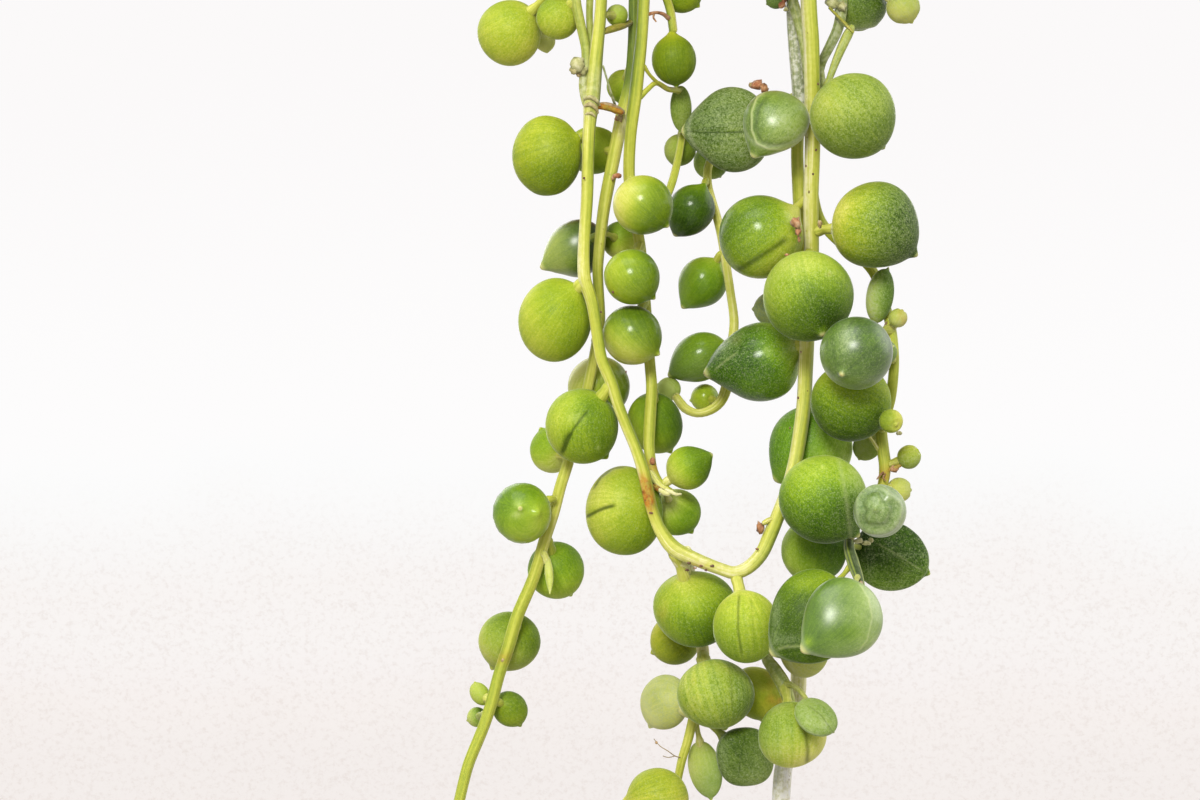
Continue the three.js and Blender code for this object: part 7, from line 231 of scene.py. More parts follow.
    [0,0,1,15.49,-74.11,-207.42,4.25,1,1,0.27,-0.88,-0.4,-0.13,0.99,0.07,-0.99,-0.13,-0.01,14.49,-66.41,-206.9,0.86,0.42,60,0.18,0,0.6,0.32,0.07,0.08,0,0,0,0,0,0.2,0,1,1,0.52],
    [0,0,1,19.29,-62.46,-192.58,3.85,1.01,1,0.68,-0.47,0.56,-0.67,0.43,-0.61,0.5,-0.35,-0.79,14.43,-59.3,-197.01,0.86,0.42,39,0.19,0,0.48,0.19,0.05,0.06,0,0,0,0,0,0.16,2,1,1,0.57],
    [0,0,1,10.64,-52.63,-203.77,2.86,1.02,1,-0.73,-0.41,-0.55,0.48,0.61,0.63,0.64,0.24,-0.73,13.57,-48.89,-199.92,0.86,0.42,88,0.22,0.5,0.71,0.4,0.06,0.07,0,0,0,0,0,0.12,0,1,1,0.62],
    [0,0,1,16.13,-36.79,-198.93,4.04,1.06,1,0.75,0.49,0.44,-0.51,-0.23,-0.83,0.24,-0.96,0.11,12.15,-38.56,-205.42,0.86,0.42,67,0.11,0,0.58,0.26,0.11,0.14,0,0,0,0,0,0.08,0,1,1,0.4],
    [3,0,1,6.99,-37.16,-197.94,4.18,1.05,1,0.3,0.2,0.93,-0.11,-0.18,-0.98,-0.98,-0.13,0.13,6.16,-38.56,-205.34,0.66,0.42,46,0.13,0.5,0.47,0.15,0,0,0,0,0,0,0,0.04,0,1,1,0.45],
    [3,0,1,3.11,-52.81,-203.28,3.66,1,1,-0.41,-0.63,-0.66,0.66,0.58,0.49,-0.12,0.72,-0.68,7.64,-48.84,-199.93,0.66,0.42,25,0.19,0.5,0.45,0.23,0.09,0.11,0,0,0,0,0,0,2,1,1,0.5],
    [3,0,1,8.88,-63.81,-192.18,2.88,1.05,1,0.72,-0.07,0.69,-0.06,0.56,-0.83,0.22,0.81,0.54,8.54,-60.55,-196.98,0.66,0.42,74,0.15,0.8,0.41,0.18,0.09,0.1,0,0,0,0,0,0.36,0,1,1,0.55],
    [3,0,1,6.95,-72.19,-205.86,3.81,1.02,1,-0.12,-0.96,-0.27,0.28,0.95,0.14,-0.57,0.29,-0.77,8.64,-66.55,-205.02,0.66,0.42,53,0.17,0,0.71,0.47,0.07,0.09,0,0,0,0,0,0.32,0,1,1,0.6],
    [3,0,1,4.37,-73.32,-218.47,4.4,1.14,1,-0.43,-0.72,-0.54,0.51,0.84,0.18,-0.77,0.54,-0.35,8.38,-66.66,-217.03,0.66,0.42,32,0.15,0,0.53,0.27,0.01,0.02,0,0,0,0,0,0.28,2,1,1,0.35],
    [3,0,1,11.99,-60.83,-230.67,3.7,1.04,1,0.73,0.31,-0.61,-0.57,-0.76,0.31,-0.82,0.53,-0.21,7.98,-66.11,-228.49,0.66,0.42,81,0.13,0,0.55,0.28,0.07,0.08,0,0,0,0,0,0.24,0,1,1,0.4],
    [3,0,1,11.18,-71.79,-240.9,3.83,1.07,1,0.28,-0.78,-0.56,-0.43,0.88,0.18,0.7,0.45,-0.55,8.12,-65.57,-239.66,0.66,0.42,60,0.12,0.5,0.47,0.19,0.13,0.15,0,0,0,0,0,0.2,0,1,1,0.46],
    [3,0,1,2.87,-68.51,-254.37,4.56,1.09,1,-0.78,-0.57,-0.26,0.83,0.46,0.32,-0.55,0.75,0.36,9.24,-64.99,-251.92,0.66,0.42,39,0.17,0,0.52,0.22,0.14,0.16,0,0,0,0,0,0.16,2,1,1,0.51],
    [3,0,1,12.88,-58.31,-266.41,3.79,1.02,1,-0.1,0.87,-0.49,-0.38,-0.87,0.32,0.47,0.11,0.87,10.22,-64.4,-264.19,0.66,0.42,88,0.13,0,0.52,0.21,0.2,0.24,0,0,0,0,0,0.12,1,1,1,0.56],
    [3,0,1,14.35,-59.61,-276.83,4.22,1.01,1,0.42,0.64,-0.64,-0.66,-0.69,0.31,-0.25,-0.18,-0.95,10.26,-63.89,-274.92,0.66,0.42,46,0.16,0.5,0.36,0.08,0,0,0,0,0,0,0,0.04,0,1,1,0.45],
    [3,0,1,9.06,-58.25,-289.07,3.58,1.02,1,-0.16,0.93,-0.32,0.17,-0.92,0.34,0.55,-0.2,-0.81,9.99,-63.32,-287.18,0.66,0.42,25,0.17,0.5,0.58,0.36,0.28,0.34,0,0,0,0,0,0,1,1,1,0.5],
    [3,0,1,6.76,-67.74,-299.73,3.89,1.09,1,-0.4,-0.89,-0.2,0.54,0.82,0.22,0.66,-0.25,-0.7,10.01,-62.79,-298.4,0.66,0.42,74,0.12,0.5,0.61,0.38,0.09,0.1,0,0,0,0,0,0.36,0,1,1,0.55],
    [3,0,1,12.9,-57.08,-312.42,3.37,1.07,1,0.34,0.81,-0.48,-0.44,-0.84,0.32,-0.3,0.47,0.83,10.19,-62.23,-310.49,0.64,0.42,53,0.2,0,0.44,0.2,0.19,0.23,0,0,0,0,0,0.32,1,1,1,0.6],
    [4,0,1,18.94,-43.84,-197.58,3.03,1.01,1,0.31,-0.06,0.95,-0.12,-0.11,-0.99,0.61,0.78,-0.16,18.34,-44.37,-202.43,0.58,0.42,32,0.13,0.5,0.48,0.23,0.18,0.22,0,0,0,0,0,0.28,1,1,1,0.35],
    [4,0,1,23.79,-57.9,-196.14,2.62,1.06,1,0.72,-0.53,-0.44,-0.94,0.26,-0.23,-0.29,-0.96,0.07,19.35,-56.65,-197.21,0.58,0.42,81,0.18,0.8,0.64,0.38,0,0,0,0,0,0,0,0.24,0,1,1,0.4],
    [4,0,1,22.16,-70.27,-203.71,3.55,1.01,1,0.88,-0.38,-0.3,-0.47,0.88,-0.07,0.43,0.3,0.85,19.48,-65.17,-204.13,0.58,0.42,60,0.11,0,0.35,0.08,0.01,0.01,0,0,0,0,0,0.2,0,1,1,0.46],
    [4,0,1,25.57,-63.81,-217.88,4.5,1.05,1,0.63,0.53,-0.57,-0.84,-0.45,0.29,-0.22,0.78,0.58,19.37,-67.13,-215.74,0.58,0.42,39,0.14,0.8,0.6,0.3,0.06,0.07,0,0,0,0,0,0.16,2,1,1,0.51],
    [4,0,1,21.84,-72.5,-228.93,3.82,1.07,1,0.13,-0.79,-0.6,-0.39,0.9,0.22,0.79,0.2,0.58,19.23,-66.46,-227.44,0.58,0.42,88,0.12,0,0.33,0.08,0.15,0.18,0,0,0,0,0,0.12,0,1,1,0.56],
    [4,0,1,23.9,-64.39,-240.56,3.72,1.01,1,0.83,0.37,-0.42,-0.92,-0.26,0.29,0.13,0.5,0.86,18.8,-65.84,-238.94,0.58,0.42,67,0.16,0,0.32,0.08,0.18,0.21,0,0,0,0,0,0.08,1,1,1,0.61],
    [4,0,1,20.07,-59.53,-253.82,4.38,1.08,1,0.6,0.47,-0.65,-0.35,-0.87,0.34,0.67,0.02,0.74,17.75,-65.35,-251.55,0.58,0.42,25,0.13,0.8,0.58,0.36,0,0,0,0,0,0,0,0,2,1,1,0.5],
    [4,0,1,19.72,-69.69,-265.3,3.51,1.08,1,0.35,-0.84,-0.4,-0.48,0.85,0.2,0.84,0.51,-0.18,17,-64.84,-264.15,0.58,0.42,74,0.12,0.8,0.54,0.31,0.08,0.09,0,0,0,0,0,0.36,0,1,1,0.55],
    [4,0,1,21.75,-68.94,-276.36,3.13,1.12,1,0.52,-0.86,0.01,-0.7,0.69,0.18,-0.62,-0.48,-0.62,17.11,-64.41,-275.18,0.58,0.42,53,0.16,0.5,0.51,0.27,0.14,0.17,0,0,0,0,0,0.32,0,1,1,0.6],
    [4,0,1,20.02,-69.52,-287.44,4.22,1.03,1,0.38,-0.8,-0.46,-0.43,0.88,0.19,-0.45,-0.39,0.8,17.32,-63.97,-286.22,0.58,0.42,32,0.16,0,0.37,0.12,0.23,0.27,0,0,0,0,0,0.28,1,1,1,0.35],
    [4,0,1,15.51,-58.27,-299.87,3.46,1.02,1,0.02,0.94,-0.34,0.24,-0.91,0.33,0.61,0.41,0.68,16.9,-63.5,-297.95,0.58,0.42,81,0.2,0,0.62,0.35,0.08,0.1,0,0,0,0,0,0.24,0,1,1,0.4],
    [4,0,1,21.04,-67.71,-310.03,3.38,1.04,1,0.64,-0.48,-0.6,-0.7,0.68,0.23,-0.49,-0.69,0.52,16.22,-63.06,-308.41,0.58,0.42,60,0.2,0,0.54,0.26,0.16,0.19,0,0,0,0,0,0.2,0,1,1,0.46],
    [1,0,1,-3.66,-38.58,-200.04,3.2,1.13,1,0.18,0.12,0.98,-0.53,0,-0.85,0.47,0.83,-0.29,-7.01,-38.56,-205.35,0.62,0.42,39,0.19,0.8,0.51,0.22,0.17,0.2,0,0,0,0,0,0.16,2,1,1,0.51],
    [1,0,1,-10.92,-51.84,-203.99,3.4,1.03,1,-0.07,-0.22,-0.97,0.37,0.55,0.75,-0.91,0.38,0.16,-8.94,-48.85,-199.93,0.62,0.42,88,0.16,0,0.51,0.2,0.13,0.16,0,0,0,0,0,0.12,0,1,1,0.56],
    [1,0,1,-7.45,-63.86,-192.81,3.23,1.02,1,0.24,-0.63,0.74,-0.44,0.58,-0.69,0.89,0.19,-0.41,-10.12,-60.34,-196.99,0.62,0.42,67,0.16,0.8,0.58,0.26,0,0,0,0,0,0,0,0.08,0,1,1,0.61],
    [1,0,1,-6.16,-71.33,-206,2.79,1.01,1,0.15,-0.84,-0.52,-0.63,0.76,0.15,-0.76,-0.64,0.08,-10.15,-66.46,-205.02,0.62,0.42,46,0.1,0,0.43,0.1,0.14,0.17,0,0,0,0,0,0.04,0,1,1,0.36],
    [1,0,1,-11.92,-71.91,-218.08,3.42,1.07,1,-0.41,-0.87,-0.28,0.28,0.94,0.19,0.95,-0.3,0.07,-10.36,-66.64,-217.02,0.62,0.42,74,0.18,0.5,0.41,0.18,0.25,0.3,0,0,0,0,0,0.36,1,1,1,0.55],
    [1,0,1,-13.99,-61.53,-230.05,3.76,1.08,1,-0.67,0.51,-0.54,0.58,-0.77,0.28,0.69,0.64,0.34,-10.7,-65.93,-228.47,0.62,0.42,53,0.13,0,0.32,0.08,0.01,0.01,0,0,0,0,0,0.32,0,1,1,0.6],
    [1,0,1,-10.84,-72.08,-242.63,3.71,1.09,1,-0.41,-0.9,-0.14,0.07,0.98,0.21,0.25,0.18,-0.95,-10.34,-65.18,-241.16,0.62,0.42,32,0.17,0,0.49,0.24,0.08,0.09,0,0,0,0,0,0.28,2,1,1,0.35],
    [1,0,1,-8.93,-58.36,-255.45,4.44,1.04,1,-0.19,0.71,-0.68,0,-0.95,0.32,-0.22,0.31,0.93,-8.96,-64.48,-253.4,0.62,0.42,81,0.14,0.5,0.5,0.23,0.08,0.09,0,0,0,0,0,0.24,0,1,1,0.4],
    [1,0,1,-3.44,-61.23,-267.06,3.33,1.02,1,0.58,0.51,-0.64,-0.84,-0.48,0.26,0.18,-0.7,-0.7,-7.9,-63.76,-265.65,0.62,0.42,60,0.18,0,0.4,0.12,0.06,0.07,0,0,0,0,0,0.2,0,1,1,0.46],
    [1,0,1,-8.05,-69.81,-277.78,3.64,1.04,1,-0.26,-0.65,-0.71,0.04,0.98,0.21,0.97,0.01,-0.25,-7.79,-63.15,-276.37,0.62,0.42,39,0.17,0.5,0.43,0.14,0.05,0.06,0,0,0,0,0,0.16,2,1,1,0.51],
    [1,0,1,-11.76,-57.77,-288.98,4.34,1.06,1,-0.68,0.64,-0.35,0.6,-0.74,0.29,0.12,0.45,0.89,-7.9,-62.54,-287.09,0.62,0.42,88,0.11,0,0.4,0.1,0.08,0.09,0,0,0,0,0,0.12,0,1,1,0.56],
    [1,0,1,-4.54,-57.8,-301.5,2.91,1.02,1,0.47,0.6,-0.65,-0.59,-0.75,0.3,-0.71,0.31,-0.63,-7.7,-61.78,-299.92,0.62,0.42,67,0.19,0,0.5,0.18,0,0,0,0,0,0,0,0.08,0,1,1,0.61],
    [1,0,1,-13.27,-58.05,-313.57,3.52,1.03,1,-0.62,0.55,-0.55,0.85,-0.43,0.28,0.48,0.44,-0.76,-7.34,-61.06,-311.6,0.61,0.42,46,0.2,0,0.55,0.22,0.16,0.2,0,0,0,0,0,0.04,0,1,1,0.36],
    [2,0,1,1.87,-41.68,-202.1,2.68,1.1,1,0.93,-0.18,0.33,-0.79,0.35,-0.5,-0.21,0.61,0.76,-2.1,-39.91,-204.6,0.66,0.42,25,0.15,0.5,0.5,0.28,0.03,0.04,0,0,0,0,0,0,2,1,1,0.41],
    [2,0,1,-3.17,-51.22,-192.72,3.73,1.01,1,0.29,-0.27,0.92,-0.16,0.12,-0.98,-0.99,0.04,0.16,-4.2,-50.41,-199.19,0.66,0.42,53,0.21,0,0.61,0.37,0.03,0.04,0,0,0,0,0,0.32,0,1,1,0.6],
    [2,0,1,0.98,-66.47,-196.76,4.14,1.01,1,0.96,-0.27,-0.1,-0.83,0.55,-0.06,0.34,0.59,0.74,-5.4,-62.26,-197.2,0.66,0.42,32,0.13,0.5,0.64,0.38,0.06,0.08,0,0,0,0,0,0.28,2,1,1,0.35],
    [2,0,1,1.23,-66.82,-211.02,3.88,1.05,1,0.78,-0.21,-0.58,-0.96,0.02,0.29,0.02,-0.99,0.12,-5.42,-66.7,-209,0.66,0.42,81,0.21,0.5,0.6,0.33,0.11,0.14,0,0,0,0,0,0.24,0,1,1,0.4],
    [2,0,1,0.34,-64.9,-223.81,3.62,1.03,1,0.77,0.17,-0.61,-0.91,-0.27,0.31,-0.17,-0.43,-0.89,-5.51,-66.64,-221.84,0.66,0.42,60,0.2,0,0.38,0.1,0,0,0,0,0,0,0,0.2,0,1,1,0.46],
    [2,0,1,-0.89,-69.86,-234.87,3.53,1,1,0.8,-0.53,-0.28,-0.78,0.58,0.23,-0.31,-0.68,0.67,-5.63,-66.33,-233.5,0.66,0.42,39,0.2,0.8,0.41,0.12,0.18,0.22,0,0,0,0,0,0.16,1,1,1,0.51],
    [2,0,1,-3.43,-72.07,-247.25,3.97,1.02,1,0.39,-0.87,-0.3,-0.37,0.91,0.21,0.9,0.4,-0.16,-5.9,-66.02,-245.88,0.66,0.42,88,0.13,0.8,0.44,0.14,0.21,0.25,0,0,0,0,0,0.12,1,1,1,0.56],
    [2,0,1,-8.86,-70.24,-257.62,3.41,1.01,1,-0.48,-0.66,-0.58,0.5,0.85,0.18,-0.76,0.33,0.56,-6.19,-65.72,-256.64,0.66,0.42,67,0.22,0,0.55,0.24,0.01,0.02,0,0,0,0,0,0.08,0,1,1,0.61],
    [2,0,1,-0.94,-67.96,-270.11,3.54,1.07,1,0.79,-0.06,-0.62,-0.88,0.44,0.2,-0.4,-0.43,-0.81,-6.13,-65.38,-268.93,0.66,0.42,46,0.15,0,0.42,0.09,0.13,0.16,0,0,0,0,0,0.04,0,1,1,0.36],
    [2,0,1,-4.62,-58.74,-283.74,3.8,1.05,1,0.21,0.71,-0.67,-0.13,-0.92,0.37,-0.95,0.23,0.23,-5.53,-65.04,-281.22,0.66,0.42,25,0.22,0,0.56,0.34,0.21,0.26,0,0,0,0,0,0,1,1,1,0.41],
    [2,0,1,-2.74,-70.55,-293.22,3.87,1.03,1,0.38,-0.65,-0.66,-0.38,0.9,0.19,-0.7,-0.42,0.57,-5.19,-64.75,-291.98,0.66,0.42,74,0.11,0,0.58,0.35,0,0,0,0,0,0,0,0.36,0,1,1,0.46],
    [2,0,1,-2.06,-68.42,-305.21,3.19,1.08,1,0.35,-0.82,-0.47,-0.63,0.74,0.23,-0.75,-0.51,-0.42,-5.46,-64.41,-303.98,0.66,0.42,32,0.15,0.5,0.69,0.43,0.03,0.04,0,0,0,0,0,0.28,2,1,1,0.35],
    [5,0,1,-31.71,-22.24,-202.18,3.83,1.06,1,-0.62,0.35,0.7,0.64,-0.53,-0.55,0.5,-0.25,0.83,-28.05,-25.26,-205.3,0.56,0.42,81,0.17,0.5,0.61,0.35,0.07,0.08,0,0,0,0,0,0.24,0,1,1,0.4],
    [5,0,1,-35.32,-31,-194.98,3.98,1.1,1,-0.18,-0.1,0.98,0.04,-0.09,-1,-0.91,-0.42,0,-35.06,-31.57,-201.22,0.56,0.42,60,0.22,0,0.29,0.08,0.01,0.01,0,0,0,0,0,0.2,0,1,1,0.46],
    [5,0,1,-43.71,-38.57,-192.11,3.99,1.05,1,-0.44,-0.45,0.78,0.31,0.13,-0.94,0.55,-0.84,0.06,-41.89,-37.79,-197.68,0.56,0.42,39,0.17,0,0.47,0.18,0.17,0.21,0,0,0,0,0,0.16,1,1,1,0.51],
    [5,0,1,-55.69,-43.25,-198.36,4.58,1.1,1,-0.9,-0.43,0.08,0.98,0.03,-0.18,-0.14,-0.49,-0.86,-48.74,-43.01,-199.6,0.56,0.42,88,0.18,0.5,0.62,0.31,0.07,0.08,0,0,0,0,0,0.12,0,1,1,0.56],
    [5,0,1,-55.44,-46.78,-210.16,4.52,1.06,1,-0.87,-0.13,-0.48,0.94,0.27,0.23,-0.35,0.61,0.71,-49.37,-45.03,-208.68,0.56,0.42,67,0.15,0,0.37,0.08,0.18,0.22,0,0,0,0,0,0.08,1,1,1,0.61],
    [5,0,1,-42.75,-51.25,-219.5,4.69,1.1,1,0.42,-0.79,-0.44,-0.73,0.66,0.18,-0.26,-0.02,-0.96,-48.3,-46.19,-218.12,0.54,0.42,46,0.15,0,0.56,0.23,0.28,0.33,0,0,0,0,0,0.04,1,1,1,0.36],
    [5,0,1,-53.2,-50.11,-228.34,3.37,1.08,1,-0.78,-0.54,-0.32,0.79,0.59,0.17,-0.09,0.38,-0.92,-48.19,-46.34,-227.26,0.52,0.42,25,0.2,0,0.58,0.36,0.08,0.1,0,0,0,0,0,0,2,1,1,0.41],
    [5,0,1,-50.11,-38.56,-237.6,4.55,1.07,1,-0.19,0.8,-0.56,0.2,-0.96,0.17,0.93,0.24,0.26,-48.63,-45.55,-236.38,0.49,0.42,74,0.18,0.8,0.42,0.18,0.15,0.18,0,0,0,0,0,0.36,0,1,1,0.46],
    [5,0,1,-46.46,-49.45,-248.04,3.48,1.07,1,0.34,-0.74,-0.57,-0.44,0.82,0.38,-0.33,0.24,-0.91,-49.44,-43.88,-245.48,0.46,0.42,53,0.17,0,0.77,0.53,0.06,0.07,0,0,0,0,0,0.32,0,1,1,0.51],
    [5,0,1,-55.28,-43.75,-255.55,3.6,1.12,1,-0.72,0.21,-0.66,0.96,0.23,0.17,0.07,0.38,-0.92,-49.81,-42.42,-254.59,0.42,0.42,81,0.2,0.5,0.42,0.16,0.29,0.35,0,0,0,0,0,0.24,1,1,1,0.4],
    [5,0,1,-48.78,-35.33,-267.47,3.54,1.06,1,0.13,0.94,-0.3,-0.1,-0.94,0.33,0.68,-0.31,-0.66,-49.46,-41.67,-265.22,0.37,0.42,60,0.18,0,0.6,0.32,0.01,0.02,0,0,0,0,0,0.2,0,1,1,0.46],
    [5,0,1,-50.11,-48.72,-275.2,3.75,1.11,1,0.59,-0.75,-0.29,0.24,0.96,0.13,0.66,-0.26,0.71,-48.45,-42.12,-274.33,0.33,0.42,39,0.21,0,0.63,0.34,0.27,0.32,0,0,0,0,0,0.16,1,1,1,0.51],
    [5,0,1,-51.43,-40.08,-285.79,3.61,1.08,1,-0.79,0.3,-0.53,0.72,-0.55,0.41,0.22,0.75,0.62,-47.31,-43.22,-283.45,0.28,0.42,88,0.12,0,0.73,0.42,0.07,0.09,0,0,0,0,0,0.12,0,1,1,0.56],
    [6,0,1,-18.71,-32.43,-199.69,4.14,1,1,-0.41,0.66,0.63,0.3,-0.22,-0.93,-0.6,-0.8,0,-16.9,-33.75,-205.29,0.59,0.42,67,0.15,0,0.63,0.32,0.15,0.18,0,0,0,0,0,0.08,0,1,1,0.61],
    [6,0,1,-26.83,-38.85,-197.23,4.18,1,1,-0.54,0.53,0.65,0.64,-0.39,-0.66,-0.67,-0.7,-0.23,-22.95,-41.22,-201.22,0.59,0.42,46,0.19,0,0.51,0.19,0.12,0.14,0,0,0,0,0,0.04,0,1,1,0.36],
    [6,0,1,-34.6,-46.23,-195.09,3.47,1.01,1,-0.97,0.24,0,0.85,-0.32,-0.42,0.44,0,0.9,-29.34,-48.18,-197.68,0.59,0.42,25,0.15,0,0.6,0.38,0.16,0.19,0,0,0,0,0,0,2,1,1,0.41],
    [6,0,1,-34.05,-61.56,-198.57,3.5,1.11,1,0.25,-0.95,0.21,-0.14,0.98,-0.15,0.44,0.19,0.88,-34.99,-54.78,-199.6,0.59,0.42,74,0.13,0.5,0.61,0.38,0.12,0.15,0,0,0,0,0,0.36,0,1,1,0.46],
    [6,0,1,-35.67,-62.83,-209.23,4.28,1.06,1,0,-0.97,-0.23,0.07,0.99,0.11,0.55,0.05,-0.83,-35.25,-56.8,-208.59,0.59,0.42,53,0.12,0,0.74,0.5,0.01,0.01,0,0,0,0,0,0.32,0,1,1,0.51],
    [6,0,1,-34.62,-62.91,-218.96,3.83,1.06,1,0.26,-0.95,-0.17,-0.05,0.98,0.18,-0.78,-0.15,0.6,-34.89,-57.23,-217.9,0.58,0.42,32,0.19,0.8,0.55,0.29,0.15,0.19,0,0,0,0,0,0.28,2,1,1,0.56],
    [6,0,1,-41.17,-55.45,-227.3,3.68,1.04,1,-0.66,0.29,-0.69,0.98,-0.19,0.05,0.18,0.98,0.11,-35.53,-56.52,-227,0.56,0.42,60,0.17,0.8,0.66,0.38,0,0,0,0,0,0,0,0.2,0,1,1,0.46],
    [6,0,1,-30.89,-54.32,-239.57,4.06,1.02,1,0.9,-0.16,-0.4,-0.93,-0.12,0.34,-0.35,0.16,-0.92,-36.61,-55.03,-237.5,0.52,0.42,39,0.12,0,0.43,0.14,0.01,0.01,0,0,0,0,0,0.16,2,1,1,0.51],
    [6,0,1,-40.59,-59.59,-249.5,4.32,1.03,1,-0.46,-0.78,-0.43,0.6,0.77,0.22,0.77,-0.46,-0.45,-36.46,-54.22,-248,0.49,0.42,88,0.22,0.8,0.55,0.24,0.01,0.01,0,0,0,0,0,0.12,0,1,1,0.56],
    [6,0,1,-39.39,-48.29,-260.02,4.3,1.06,1,-0.46,0.63,-0.62,0.5,-0.77,0.39,0.78,0.21,-0.59,-35.51,-54.21,-257,0.45,0.42,67,0.1,0.5,0.55,0.24,0.09,0.1,0,0,0,0,0,0.08,0,1,1,0.61],
    [6,0,1,-32.37,-61.04,-266.68,3.47,1.06,1,0.24,-0.87,-0.43,-0.26,0.96,0.1,0.17,0.15,-0.97,-34.1,-54.68,-266,0.41,0.42,46,0.21,0,0.73,0.4,0.08,0.09,0,0,0,0,0,0.04,0,1,1,0.36],
    [6,0,1,-37.84,-55.07,-276.74,3.59,1.02,1,-0.92,0.02,-0.38,0.94,-0.05,0.33,0.21,-0.68,-0.7,-32.86,-55.32,-274.99,0.37,0.42,25,0.15,0,0.68,0.46,0.08,0.1,0,0,0,0,0,0,2,1,1,0.41],
    [6,0,1,-26.14,-56.32,-287.98,3.93,1.13,1,0.77,0,-0.63,-0.93,0.08,0.37,-0.29,0.46,-0.84,-32.36,-55.8,-285.5,0.32,0.42,74,0.12,0,0.45,0.22,0,0,0,0,0,0,0,0.36,0,1,1,0.46],
    [7,0,1,22.81,-33.06,-202.5,3.12,1.04,1,0.98,0.11,0.15,-0.87,-0.37,-0.33,0.2,0.35,-0.92,17.13,-35.45,-204.65,0.62,0.42,53,0.18,0.8,0.37,0.12,0,0,0,0,0,0,0,0.32,0,1,1,0.51],
    [7,0,1,28.22,-39.6,-197.02,3.37,1,1,0.91,0.35,0.2,-0.71,-0.45,-0.54,-0.52,-0.18,0.83,23.72,-42.45,-200.47,0.62,0.42,32,0.12,0,0.53,0.27,0.15,0.18,0,0,0,0,0,0.28,2,1,1,0.56],
    [7,0,1,30.12,-53.46,-193.98,3.91,1.01,1,-0.08,-0.95,0.3,0.21,0.79,-0.58,-0.82,-0.18,-0.54,31.34,-48.79,-197.42,0.62,0.42,81,0.11,0.5,0.53,0.27,0,0,0,0,0,0,0,0.24,0,1,1,0.61],
    [7,0,1,32.19,-59.47,-204.66,3.38,1.08,1,-0.75,-0.56,-0.35,0.63,0.67,0.4,-0.27,0.67,-0.69,35.78,-55.65,-202.37,0.62,0.42,39,0.21,0,0.67,0.38,0.17,0.2,0,0,0,0,0,0.16,2,1,1,0.51],
    [7,0,1,39.82,-54.31,-214.22,3.33,1.03,1,0.81,0.34,-0.47,-0.81,-0.41,0.43,-0.59,0.48,-0.65,35.56,-56.48,-211.97,0.62,0.42,88,0.11,0.8,0.58,0.28,0.19,0.23,0,0,0,0,0,0.12,1,1,1,0.56],
    [7,0,1,34.15,-61.82,-222.97,3.21,1,1,-0.28,-0.92,-0.27,-0.01,0.98,0.21,0.88,0.1,-0.46,34.12,-56.82,-221.92,0.6,0.42,67,0.11,0.8,0.55,0.24,0,0,0,0,0,0,0,0.08,0,1,1,0.61],
    [7,0,1,29.14,-52.03,-233.76,3.5,1,1,-0.32,0.72,-0.62,0.76,-0.56,0.33,-0.15,-0.65,-0.74,34.31,-55.85,-231.49,0.57,0.42,46,0.16,0.5,0.5,0.17,0,0,0,0,0,0,0,0.04,0,1,1,0.36],
    [7,0,1,41.12,-57.64,-241.78,4.63,1.04,1,0.84,-0.2,-0.5,-0.88,0.46,0.11,-0.19,-0.56,0.81,35.25,-54.59,-241.04,0.53,0.42,25,0.21,0.5,0.65,0.43,0.11,0.14,0,0,0,0,0,0,2,1,1,0.41],
    [7,0,1,31.44,-56.91,-252.96,3.57,1.09,1,-0.61,-0.58,-0.54,0.77,0.53,0.36,0.53,-0.84,0.12,36.4,-53.46,-250.59,0.5,0.42,74,0.12,0.5,0.4,0.17,0.01,0.01,0,0,0,0,0,0.36,0,1,1,0.46],
    [7,0,1,43.86,-51.34,-261.59,3.9,1.1,1,0.96,-0.03,-0.26,-0.95,-0.23,0.2,-0.28,0.38,-0.88,37.07,-53.01,-260.15,0.45,0.42,53,0.2,0.5,0.6,0.36,0,0,0,0,0,0,0,0.32,0,1,1,0.51],
    [7,0,1,37.74,-58.85,-270.29,3.58,1.14,1,-0.4,-0.88,-0.26,-0.17,0.98,0.11,-0.75,-0.06,-0.66,36.8,-53.49,-269.71,0.41,0.42,32,0.14,0.8,0.48,0.23,0.08,0.09,0,0,0,0,0,0.28,2,1,1,0.56],
    [7,0,1,29.99,-52.31,-281.58,3.72,1.01,1,-0.87,0.37,-0.32,0.88,-0.33,0.35,0.15,-0.49,-0.86,35.85,-54.53,-279.26,0.35,0.42,81,0.17,0,0.54,0.27,0,0,0,0,0,0,0,0.24,0,1,1,0.61],
    [7,0,1,40.56,-57.11,-290.7,4.64,1.16,1,0.68,-0.3,-0.67,-0.93,0.24,0.29,0.38,0.51,0.77,34.63,-55.59,-288.82,0.3,0.42,60,0.18,0,0.48,0.2,0.2,0.24,0,0,0,0,0,0.2,1,1,1,0.36],
    [8,0,1,30.18,-22.43,-198.84,3.61,1.03,1,0.43,0.05,0.9,0.02,-0.02,-1,0.1,0.99,-0.01,30.28,-22.53,-205.29,0.58,0.42,88,0.16,0.5,0.41,0.11,0.18,0.22,0,0,0,0,0,0.12,1,1,1,0.56],
    [8,0,1,38.55,-28.34,-197.04,3.24,1.07,1,0.75,0.31,0.59,-0.44,-0.35,-0.83,0.35,0.79,-0.51,36.36,-30.08,-201.22,0.58,0.42,67,0.15,0,0.4,0.08,0.19,0.23,0,0,0,0,0,0.08,1,1,1,0.61],
    [8,0,1,40.85,-40.98,-192.23,3.36,1.01,1,0.25,-0.52,0.82,0.14,0.48,-0.86,0.26,-0.86,-0.44,41.76,-37.91,-197.67,0.58,0.42,46,0.14,0,0.56,0.23,0.14,0.16,0,0,0,0,0,0.04,0,1,1,0.36],
    [8,0,1,52.65,-42.69,-200.77,3.33,1.02,1,0.92,0.39,-0.09,-0.92,-0.35,0.19,-0.4,0.78,-0.48,47.09,-44.8,-199.6,0.58,0.42,25,0.13,0,0.47,0.25,0.16,0.19,0,0,0,0,0,0,2,1,1,0.41],
